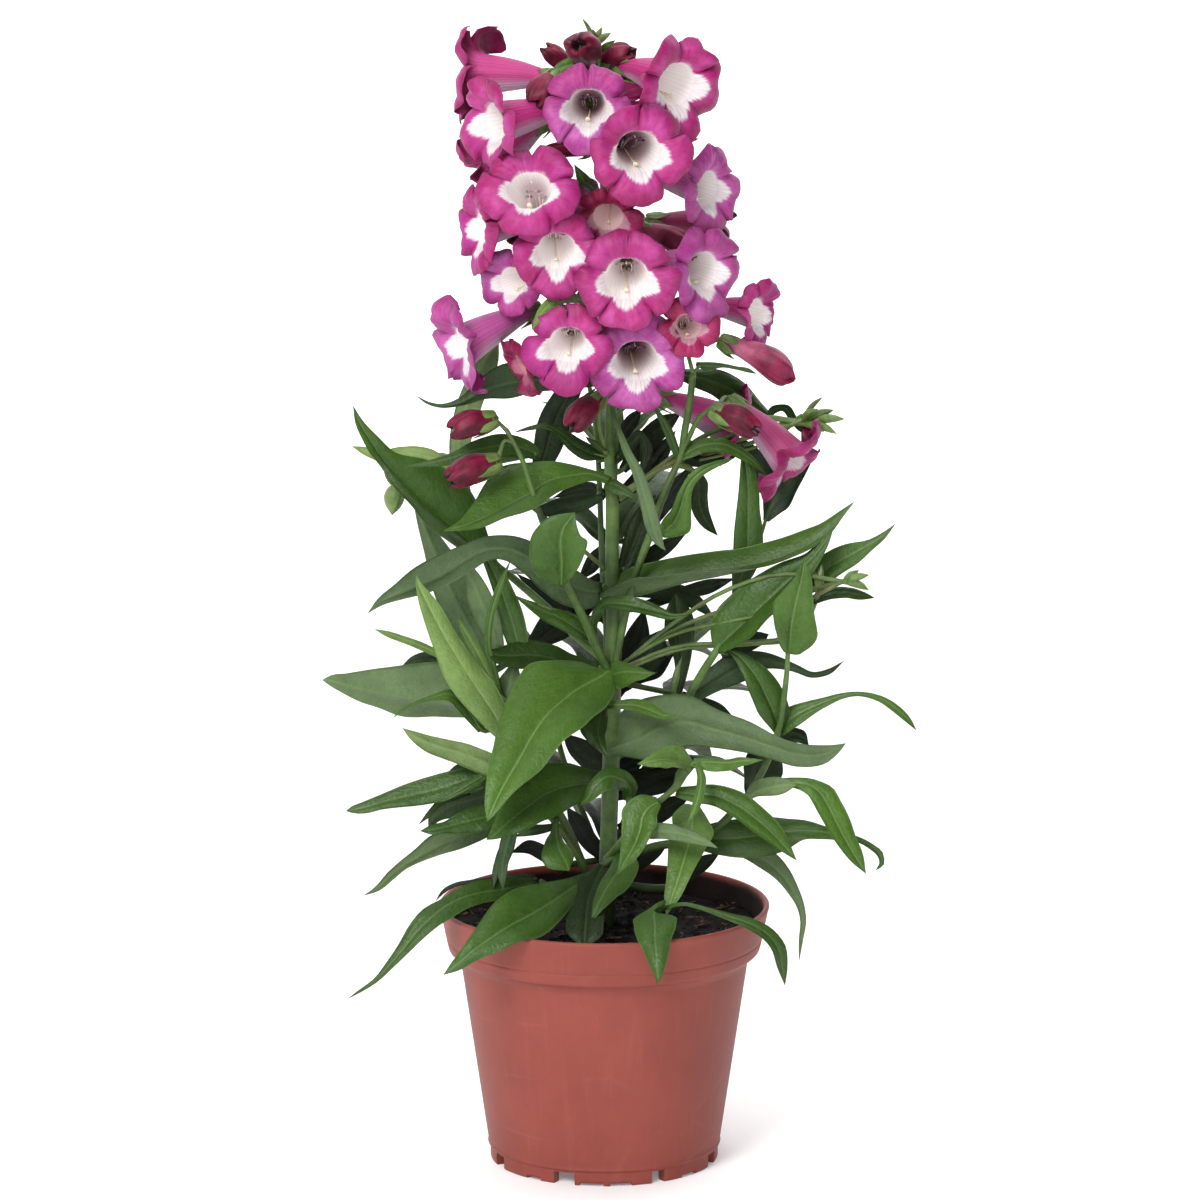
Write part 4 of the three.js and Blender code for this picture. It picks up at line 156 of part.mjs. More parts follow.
  "C22": {"node":"back_shoot","side":"U","tint":0.0,"wave":0,"sheen":0,"st":[[2.9,14.7,284.7,4.5,14.0,283.8,6.2,13.3,282.8],[6.2,20.0,290.2,8.5,19.0,288.8,10.7,18.1,287.4],[9.7,22.8,293.9,11.6,21.9,292.6,13.5,21.1,291.3],[14.7,24.0,296.2,14.7,24.0,296.2,14.7,24.0,296.2]],"foot":[2.6,13.4,276,1.3]},
  "C23": {"node":"back_shoot","side":"U","tint":0.0,"wave":0,"sheen":0,"st":[[8.3,14.8,236.0,9.3,14.0,234.4,10.2,13.2,232.8],[16.3,19.9,240.7,17.9,18.7,238.2,19.5,17.4,235.7],[23.6,22.8,244.2,25.0,21.7,242.0,26.4,20.6,239.8],[32.1,24.0,246.0,32.1,24.0,246.0,32.1,24.0,246.0]],"foot":[2.5,13.8,234.4,1.3]},
  "B11": {"node":"back_shoot","side":"U","tint":0.3,"wave":0.5,"sheen":0,"st":[[-0.2,12.9,124.7,1.8,13.6,124.0,4.0,13.6,124.7],[-4.4,23.8,129.9,-0.2,24.9,128.4,4.2,25.3,129.9],[-8.6,35.6,132.8,-2.3,36.9,130.5,4.1,37.8,132.8],[-11.4,48.1,132.9,-4.4,49.0,130.4,2.5,50.5,132.9],[-12.8,60.5,130.1,-6.5,61.0,127.9,-0.5,62.7,130.1],[-12.5,72.2,124.6,-8.5,72.2,123.3,-4.8,73.5,124.6],[-10.3,82.4,116.7,-10.3,82.4,116.7,-10.3,82.4,116.7]]},
  "B12": {"node":"back_shoot","side":"U","tint":0.32,"wave":0.5,"sheen":0,"st":[[-0.2,13.9,150.9,2.2,14.0,150.0,4.5,13.1,150.6],[-0.0,26.5,158.8,4.8,26.4,156.8,9.7,24.8,158.1],[0.5,40.5,164.1,7.6,39.8,161.0,14.9,38.0,163.1],[2.6,55.0,165.9,10.3,53.8,162.4,18.3,52.5,164.8],[5.8,69.3,164.0,12.5,67.9,161.0,19.7,67.5,163.0],[9.9,82.5,158.6,14.1,81.5,156.8,18.6,81.7,158.0],[14.9,94.1,150.0,14.9,94.1,150.0,14.9,94.1,150.0]]},
  "B13": {"node":"back_shoot","side":"U","tint":0.36,"wave":0.5,"sheen":0,"st":[[-0.4,13.6,182.6,2.0,14.8,182.0,4.5,14.9,182.9],[-7.1,25.1,191.1,-2.1,27.3,189.8,3.0,27.9,191.9],[-14.0,38.4,197.0,-6.5,41.1,194.9,1.0,42.4,198.3],[-19.1,53.4,199.5,-10.8,55.7,197.2,-2.8,57.5,201.0],[-22.1,69.3,198.5,-14.5,70.5,196.5,-7.6,72.4,199.8],[-22.2,84.9,194.1,-17.5,85.1,192.9,-13.1,86.4,194.9],[-19.3,99.0,186.6,-19.3,99.0,186.6,-19.3,99.0,186.6]]},
  "B14": {"node":"back_shoot","side":"U","tint":0.32,"wave":0.5,"sheen":0,"st":[[0.6,15.5,182.8,2.7,14.6,182.0,4.3,12.9,182.5],[5.7,25.7,190.2,9.7,23.6,188.2,13.2,20.3,189.4],[11.5,36.8,195.3,17.3,33.4,192.3,22.7,28.9,194.1],[18.8,47.8,197.3,24.9,43.8,193.9,31.3,39.4,196.0],[27.0,58.2,196.1,32.2,54.5,193.2,38.2,51.2,195.0],[35.5,67.7,191.8,38.8,65.3,190.0,42.7,63.7,191.1],[44.2,75.8,184.6,44.2,75.8,184.6,44.2,75.8,184.6]]},
  "B15": {"node":"back_shoot","side":"U","tint":0.4,"wave":0.5,"sheen":0,"st":[[0.1,14.3,212.8,2.4,14.8,212.0,4.8,14.1,212.5],[-1.2,26.2,222.2,3.7,26.8,220.3,8.7,25.5,221.6],[-2.2,39.7,229.3,5.0,40.1,226.3,12.5,38.8,228.3],[-1.6,54.2,233.1,6.2,54.3,229.7,14.3,53.6,232.0],[0.1,69.2,233.4,7.0,68.9,230.4,14.1,69.0,232.4],[2.8,83.7,230.2,7.1,83.5,228.3,11.6,83.9,229.6],[6.6,97.3,223.6,6.6,97.3,223.6,6.6,97.3,223.6]]},
  "B16": {"node":"back_shoot","side":"U","tint":0.36,"wave":0.5,"sheen":0,"st":[[0.7,12.7,212.4,1.8,14.5,212.0,3.4,15.6,212.7],[-7.5,16.8,219.2,-5.1,20.3,218.3,-1.9,22.6,219.9],[-16.5,21.8,224.3,-12.8,26.8,222.8,-8.2,30.5,225.5],[-25.2,28.9,227.2,-20.7,33.9,225.5,-15.9,38.1,228.6],[-33.0,37.6,227.8,-28.5,41.6,226.3,-24.4,45.4,229.0],[-38.9,47.6,225.9,-35.8,49.7,225.0,-33.3,52.1,226.7],[-42.2,58.1,221.8,-42.2,58.1,221.8,-42.2,58.1,221.8]]},
  "B17": {"node":"back_shoot","side":"U","tint":0.44,"wave":0.5,"sheen":0,"st":[[0.8,14.7,242.7,2.9,14.3,242.0,4.6,12.9,242.4],[3.3,24.0,251.6,7.5,23.0,249.9,11.2,20.3,250.9],[6.5,34.6,258.7,12.7,32.9,256.0,18.3,29.3,257.6],[11.5,45.8,263.0,18.0,43.7,259.9,24.4,40.3,261.8],[17.5,57.2,264.4,23.1,55.1,261.7,29.1,52.7,263.4],[24.3,68.2,262.8,27.7,66.9,261.1,31.6,65.8,262.2],[31.5,78.7,258.3,31.5,78.7,258.3,31.5,78.7,258.3]]},
  "B18": {"node":"back_shoot","side":"U","tint":0.44,"wave":0.5,"sheen":0,"st":[[1.0,12.8,242.4,2.1,14.2,242.0,3.6,14.9,242.6],[-5.6,17.4,248.3,-3.2,20.1,247.5,-0.2,21.8,248.9],[-12.9,22.9,252.8,-9.1,26.7,251.4,-4.8,29.4,253.6],[-19.6,30.1,255.2,-15.2,33.9,253.7,-10.7,37.0,256.2],[-25.4,38.6,255.5,-21.2,41.5,254.1,-17.3,44.3,256.3],[-29.5,47.8,253.6,-26.7,49.3,252.8,-24.3,51.1,254.1],[-31.5,57.1,249.7,-31.5,57.1,249.7,-31.5,57.1,249.7]]},
  "B19": {"node":"back_shoot","side":"U","tint":0.6,"wave":0.5,"sheen":0,"st":[[0.9,13.5,272.4,2.6,14.0,272.0,4.3,13.6,272.4],[-1.1,20.5,280.6,2.3,21.5,279.6,5.8,20.8,280.6],[-3.1,29.0,287.5,2.0,30.1,285.9,7.2,29.3,287.5],[-3.9,38.7,292.5,1.7,39.6,290.6,7.3,39.1,292.5],[-3.6,49.2,295.6,1.3,49.8,293.8,6.3,49.6,295.6],[-2.1,60.2,296.4,1.0,60.4,295.3,4.1,60.4,296.4],[0.6,71.0,295.1,0.6,71.0,295.1,0.6,71.0,295.1]]},
  "B20": {"node":"back_shoot","side":"U","tint":0.7,"wave":0.5,"sheen":0,"st":[[2.0,14.4,276.2,3.0,13.8,276.0,3.5,12.7,276.2],[4.2,17.8,281.8,6.2,16.4,281.2,7.2,14.2,281.8],[7.0,21.6,286.8,9.9,19.5,285.8,11.5,16.3,286.8],[11.1,25.4,290.8,14.1,23.0,289.7,15.9,19.7,290.8],[16.1,29.1,293.8,18.6,26.8,292.7,20.4,24.0,293.8],[22.0,32.4,295.5,23.5,30.9,294.8,24.6,29.2,295.5],[28.5,35.1,296.0,28.5,35.1,296.0,28.5,35.1,296.0]]},
  "B21": {"node":"back_shoot","side":"U","tint":0.7,"wave":0.5,"sheen":0,"st":[[1.7,12.6,276.2,2.2,13.7,276.0,3.1,14.4,276.2],[-2.2,14.2,282.1,-1.2,16.4,281.5,0.7,17.9,282.1],[-6.7,16.3,287.3,-5.2,19.5,286.3,-2.5,21.8,287.3],[-11.5,19.7,291.5,-9.8,23.1,290.4,-6.9,25.6,291.5],[-16.3,24.0,294.6,-14.7,26.9,293.5,-12.3,29.2,294.6],[-21.0,29.2,296.5,-19.9,31.0,295.7,-18.5,32.5,296.5],[-25.3,35.2,297.0,-25.3,35.2,297.0,-25.3,35.2,297.0]]},
  "B22": {"node":"back_shoot","side":"U","tint":0.3,"wave":0.5,"sheen":0,"st":[[-15.3,25.9,146.5,-13.6,27.1,146.0,-11.8,27.7,146.8],[-22.2,34.3,150.3,-18.6,36.4,149.1,-14.9,38.0,150.8],[-29.2,43.3,151.8,-23.7,46.1,150.1,-18.4,48.8,152.7],[-34.9,53.4,150.7,-28.6,55.9,148.8,-23.1,59.1,151.6],[-38.8,63.7,147.1,-33.0,65.4,145.5,-28.2,68.5,147.8],[-40.4,73.6,141.0,-36.7,74.3,140.2,-33.7,76.3,141.5],[-39.6,82.2,133.0,-39.6,82.2,133.0,-39.6,82.2,133.0]]},
  "B23": {"node":"back_shoot","side":"U","tint":0.3,"wave":0.5,"sheen":0,"st":[[-13.9,24.8,146.4,-14.0,26.6,146.0,-13.6,28.2,146.7],[-22.5,23.6,149.1,-22.3,27.2,148.2,-21.8,30.5,149.8],[-31.5,22.5,150.1,-31.0,27.9,148.8,-30.5,32.8,151.2],[-40.7,23.0,149.2,-39.5,28.8,147.8,-39.3,34.2,150.4],[-49.2,25.1,146.4,-47.7,30.0,145.2,-47.6,34.8,147.3],[-56.5,28.6,141.8,-55.2,31.6,141.1,-55.1,34.6,142.4],[-61.7,33.5,135.7,-61.7,33.5,135.7,-61.7,33.5,135.7]]},
  "B24": {"node":"back_shoot","side":"U","tint":0.33,"wave":0.5,"sheen":0,"st":[[-22.3,32.4,170.6,-20.6,33.1,170.0,-18.7,33.1,170.6],[-25.9,41.6,175.7,-22.2,42.7,174.4,-18.4,42.9,175.7],[-29.5,51.6,178.9,-24.0,52.9,176.9,-18.5,53.6,178.9],[-31.9,62.4,179.6,-25.9,63.4,177.4,-19.9,64.5,179.6],[-33.1,73.3,177.7,-27.7,73.7,175.8,-22.5,75.1,177.7],[-32.9,83.6,173.3,-29.5,83.7,172.2,-26.2,84.7,173.3],[-31.1,92.7,166.8,-31.1,92.7,166.8,-31.1,92.7,166.8]]},
  "B25": {"node":"back_shoot","side":"U","tint":0.33,"wave":0.5,"sheen":0,"st":[[-21.4,31.1,170.4,-21.0,32.8,170.0,-20.0,34.1,170.7],[-29.7,32.4,174.6,-28.6,35.8,173.7,-26.8,38.7,175.3],[-38.7,34.2,177.2,-36.6,39.2,175.8,-34.3,43.6,178.2],[-47.5,37.7,177.7,-44.9,42.8,176.2,-42.6,47.7,178.9],[-55.7,42.5,176.1,-52.8,46.8,174.9,-50.9,51.2,177.1],[-62.3,48.6,172.6,-60.2,51.0,171.9,-59.0,53.8,173.2],[-66.6,55.4,167.3,-66.6,55.4,167.3,-66.6,55.4,167.3]]},
  "B26": {"node":"back_shoot","side":"U","tint":0.56,"wave":0.5,"sheen":0,"st":[[-26.2,35.2,190.4,-25.3,36.4,190.0,-23.9,36.9,190.4],[-31.2,39.2,196.1,-29.3,41.5,195.2,-26.6,42.8,196.1],[-36.8,44.0,200.7,-33.8,47.2,199.3,-30.0,49.4,200.7],[-42.1,50.2,203.7,-38.6,53.4,202.0,-34.6,56.0,203.7],[-46.9,57.3,204.8,-43.7,59.9,203.3,-40.3,62.4,204.8],[-50.9,64.9,204.1,-48.8,66.5,203.2,-46.8,68.1,204.1],[-53.8,72.9,201.6,-53.8,72.9,201.6,-53.8,72.9,201.6]]},
  "B27": {"node":"back_shoot","side":"U","tint":0.3,"wave":0.5,"sheen":0,"st":[[14.6,26.8,150.8,16.5,26.1,150.0,18.2,25.0,150.5],[17.8,37.0,154.9,21.4,35.5,153.1,25.0,33.3,154.3],[21.3,47.8,156.8,26.5,45.1,154.2,32.1,42.4,156.0],[25.9,58.1,155.9,31.4,54.9,153.1,37.7,52.4,155.0],[31.1,67.5,152.3,35.9,64.5,150.0,41.6,62.8,151.6],[36.6,75.5,146.2,39.7,73.5,144.9,43.3,72.8,145.8],[42.6,81.6,138.1,42.6,81.6,138.1,42.6,81.6,138.1]]},
  "B28": {"node":"back_shoot","side":"U","tint":0.3,"wave":0.5,"sheen":0,"st":[[16.3,27.1,150.7,16.8,25.7,150.0,16.9,24.1,150.4],[23.3,29.7,153.7,24.1,26.7,152.2,24.4,23.4,153.0],[30.8,32.3,155.3,31.6,27.8,153.1,32.4,23.0,154.3],[38.4,34.1,155.0,39.1,29.2,152.6,40.5,24.0,153.9],[45.9,35.1,152.7,46.4,30.8,150.7,48.1,26.4,151.8],[52.8,35.5,148.7,53.1,32.7,147.5,54.5,30.1,148.2],[59.0,34.9,143.1,59.0,34.9,143.1,59.0,34.9,143.1]]},
  "B29": {"node":"back_shoot","side":"U","tint":0.33,"wave":0.5,"sheen":0,"st":[[23.4,31.6,174.6,25.1,31.5,174.0,26.7,30.9,174.6],[23.2,39.2,178.1,26.7,38.9,176.8,30.0,37.8,178.1],[23.2,47.5,180.2,28.3,46.5,178.3,33.3,45.3,180.2],[24.5,55.7,180.4,30.0,54.4,178.3,35.5,53.4,180.4],[26.9,63.6,178.7,31.6,62.1,176.9,36.6,61.5,178.7],[30.2,70.5,175.1,33.2,69.4,174.1,36.3,69.2,175.1],[34.6,76.1,170.0,34.6,76.1,170.0,34.6,76.1,170.0]]},
  "B30": {"node":"back_shoot","side":"U","tint":0.33,"wave":0.5,"sheen":0,"st":[[24.6,32.4,174.6,25.5,31.2,174.0,26.0,29.7,174.3],[30.7,36.9,178.9,32.4,34.3,177.5,33.5,31.2,178.3],[37.5,41.6,181.7,39.8,37.7,179.5,41.8,33.2,180.7],[45.0,45.7,182.4,47.3,41.3,180.0,49.8,36.6,181.3],[52.6,49.2,181.0,54.5,45.2,178.9,57.2,41.4,180.1],[60.0,51.9,177.6,61.2,49.4,176.3,63.2,47.3,177.0],[67.1,53.8,172.3,67.1,53.8,172.3,67.1,53.8,172.3]]},
  "B31": {"node":"back_shoot","side":"U","tint":0.58,"wave":0.5,"sheen":0,"st":[[28.9,33.9,192.4,30.3,33.4,192.0,31.2,32.3,192.4],[31.1,39.9,198.1,33.9,38.7,197.2,36.0,36.6,198.1],[34.0,46.7,202.7,37.9,44.8,201.3,41.2,41.8,202.7],[38.2,53.6,205.7,42.4,51.3,204.0,46.0,48.3,205.7],[43.5,60.4,206.8,47.0,58.1,205.3,50.3,55.7,206.8],[49.5,66.6,206.1,51.6,65.0,205.2,53.8,63.7,206.1],[56.2,71.8,203.6,56.2,71.8,203.6,56.2,71.8,203.6]]}
};
// stems: node, points x y z radius
const STEMS = [
  ["main_stem",[[0.7,0.0,90.1,3.55],[1.4,0.0,120.1,3.42],[2.6,0.0,160.5,3.37],[3.4,0.0,197.4,3.32],[3.8,0.0,216.5,3.2],[3.0,0.5,240.3,2.73],[3.0,1.0,264.0,2.53],[1.8,2.0,281.6,1.94],[1.8,3.0,291.3,1.55],[2.2,4.0,303.0,1.71],[3.0,5.0,326.4,1.71],[2.2,5.0,349.9,1.55],[1.3,5.0,363.8,1.46]]],
  ["raceme_tip",[[1.26,5.0,364.12,1.46],[0.6,5.0,373.4,1.39],[-1.7,4.0,400.7,1.23],[-4.0,2.0,424.3,1.0],[-5.5,0.0,437.6,0.84],[-4.8,0.0,443.8,0.69]]],
  ["main_stem",[[3.0,4.0,263.4,1.17],[3.8,6.0,272.6,1.32],[4.1,8.0,282.5,1.32],[5.3,10.0,294.0,1.17],[6.9,12.0,307.5,1.01],[8.4,12.0,321.3,0.93]]],
  ["left_front_shoot",[[1.8,-4.0,196.6,1.56],[0.2,-6.0,200.3,1.71],[-5.6,-12.0,214.3,1.79],[-11.4,-20.0,228.7,1.7],[-16.0,-26.0,240.2,1.54],[-20.2,-27.0,251.8,1.39],[-24.4,-27.0,262.8,1.31],[-27.9,-26.0,273.2,1.15],[-31.3,-25.0,284.0,1.0],[-34.8,-24.0,291.2,0.92],[-37.4,-24.0,295.9,0.92]]],
  ["left_front_shoot",[[-37.4,-24.0,295.9,0.92],[-40.1,-24.0,298.6,0.69],[-42.4,-24.0,300.6,0.69]]],
  ["left_front_shoot",[[-34.8,-24.0,291.2,0.77],[-38.2,-24.0,292.0,0.69],[-39.8,-25.0,288.6,0.85],[-40.5,-26.0,284.1,0.85]]],
  ["left_back_shoot",[[-0.1,3.0,199.9,1.56],[-11.5,4.0,209.7,1.56],[-23.2,4.0,221.3,1.56],[-34.8,2.0,232.1,1.48],[-44.5,-1.0,241.4,1.4],[-49.2,0.0,252.3,1.24],[-52.3,1.0,262.0,1.17],[-53.8,3.0,271.6,0.93],[-54.6,4.0,276.9,0.62]]],
  ["left_low_shoot",[[-1.7,-2.0,102.4,1.73],[-7.6,-6.0,117.6,1.73],[-17.3,-10.0,140.7,1.72],[-28.2,-13.0,157.5,1.72],[-36.0,-14.0,169.7,1.64],[-39.1,-13.0,181.5,1.56],[-41.0,-12.0,191.2,1.4],[-43.0,-10.0,199.6,1.17],[-44.5,-9.0,206.5,0.93]]],
  ["centre_shoot",[[1.4,7.0,191.0,1.33],[0.6,8.0,214.8,1.25],[-0.9,9.0,238.6,1.17],[-1.7,9.0,262.5,1.09],[-2.9,9.0,286.3,1.01],[-4.8,8.0,302.3,0.93],[-6.4,7.0,310.3,0.78]]],
  ["right_shoot",[[4.5,-3.0,200.4,1.4],[6.9,-5.0,213.6,1.48],[10.0,-7.0,228.0,1.48],[13.8,-9.0,241.5,1.47],[17.7,-10.0,252.3,1.55],[21.5,-10.0,264.2,1.47],[25.4,-9.0,273.9,1.39],[29.3,-8.0,282.7,1.32],[31.1,-10.0,293.7,1.39],[33.0,-12.0,305.8,1.39],[34.1,-14.0,316.4,1.31]]],
  ["right_shoot",[[29.3,-8.0,283.5,1.01],[33.1,-10.0,291.7,1.0],[36.5,-12.0,298.8,0.93],[39.9,-14.0,302.3,0.85],[43.0,-16.0,304.6,0.85]]],
  ["right_mid_shoot",[[3.8,2.0,160.0,1.57],[14.0,0.0,170.5,1.57],[23.7,-4.0,180.6,1.56],[32.6,-8.0,187.5,1.56],[35.3,-10.0,192.8,1.56],[39.9,-14.0,201.6,1.55],[44.1,-16.0,208.8,1.4],[48.1,-10.0,214.7,1.17],[51.3,-4.0,219.8,0.93]]],
  ["right_outer_shoot",[[2.2,4.0,116.7,1.73],[18.0,2.0,124.5,1.73],[33.6,-4.0,129.2,1.65],[43.3,-8.0,134.6,1.57],[50.3,-10.0,141.9,1.56],[56.1,-11.0,149.0,1.48],[60.7,-12.0,156.9,1.4],[64.6,-13.0,165.5,1.33],[68.0,-15.0,177.2,1.25],[70.1,-18.0,192.6,1.16],[70.8,-20.0,201.0,1.01],[71.1,-22.0,209.3,0.93]]],
  ["right_outer_shoot",[[71.1,-22.0,209.3,0.77],[74.8,-12.0,215.1,0.78],[78.3,-12.0,222.3,0.85],[81.6,-16.0,228.6,0.93],[83.4,-18.0,233.0,0.93]]],
  ["right_outer_shoot",[[82.7,-17.0,231.2,0.77],[86.5,-18.0,234.2,0.62],[90.4,-19.0,236.0,0.58],[94.2,-20.0,236.2,0.62]]],
  ["low_front_shoot",[[0.7,-6.0,121.6,1.57],[8.1,-16.0,132.9,1.56],[15.8,-26.0,144.6,1.48],[20.0,-30.0,150.0,1.32],[24.6,-32.0,154.4,1.24],[28.1,-33.0,158.2,1.55],[30.0,-34.0,162.9,2.32],[33.1,-34.0,166.4,1.55]]],
  ["base_left_shoot",[[-1.3,-8.0,99.9,1.57],[-11.5,-12.0,107.0,1.33],[-20.5,-13.0,112.1,1.17],[-25.2,-13.0,114.9,1.02]]],
  ["base_left_shoot",[[-1.3,-8.0,99.9,1.57],[-5.6,-10.0,114.5,1.41],[-11.9,-12.0,127.1,1.33],[-18.9,-12.0,137.6,1.25],[-25.2,-10.0,144.3,1.17],[-32.2,-8.0,150.3,1.17],[-37.7,-7.0,154.9,1.02],[-40.8,-8.0,159.1,0.78]]],
  ["right_mid_shoot",[[51.3,-4.0,219.8,0.86],[56.9,7.0,234.2,0.7],[63.0,6.0,255.5,0.7]]],
  ["right_shoot",[[30.8,-9.0,289.6,0.77],[41.1,4.0,284.8,0.7],[52.0,8.0,286.1,0.7]]],
  ["left_back_shoot",[[-79.4,2.0,281.6,0.54],[-84.9,3.0,277.9,0.47],[-84.5,3.0,272.3,0.47],[-82.2,3.0,269.6,0.47],[-79.5,3.0,270.0,0.62]]],
  ["right_shoot",[[39.9,-14.0,302.3,0.77],[50.6,0.0,298.2,0.7],[62.4,4.0,295.1,0.7],[70.1,2.0,293.5,0.7],[76.6,0.0,297.8,0.7]]],
  ["back_shoot",[[1.9,12.5,102,1.6],[2,13,140,1.6],[2.2,14,180,1.6],[2.4,14,220,1.5],[2.6,13.6,250,1.3],[2.6,13.4,276,1.1]]],
  ["back_shoot",[[1,13.2,112,1.3],[-6,20,128,1.3],[-15,28,150,1.2],[-21,33,172,1.1],[-25,36,190,0.9]]],
  ["back_shoot",[[2.5,13.2,118,1.3],[9,20,134,1.3],[18,27,154,1.2],[25,31,174,1.1],[30,33,192,0.9]]]
];
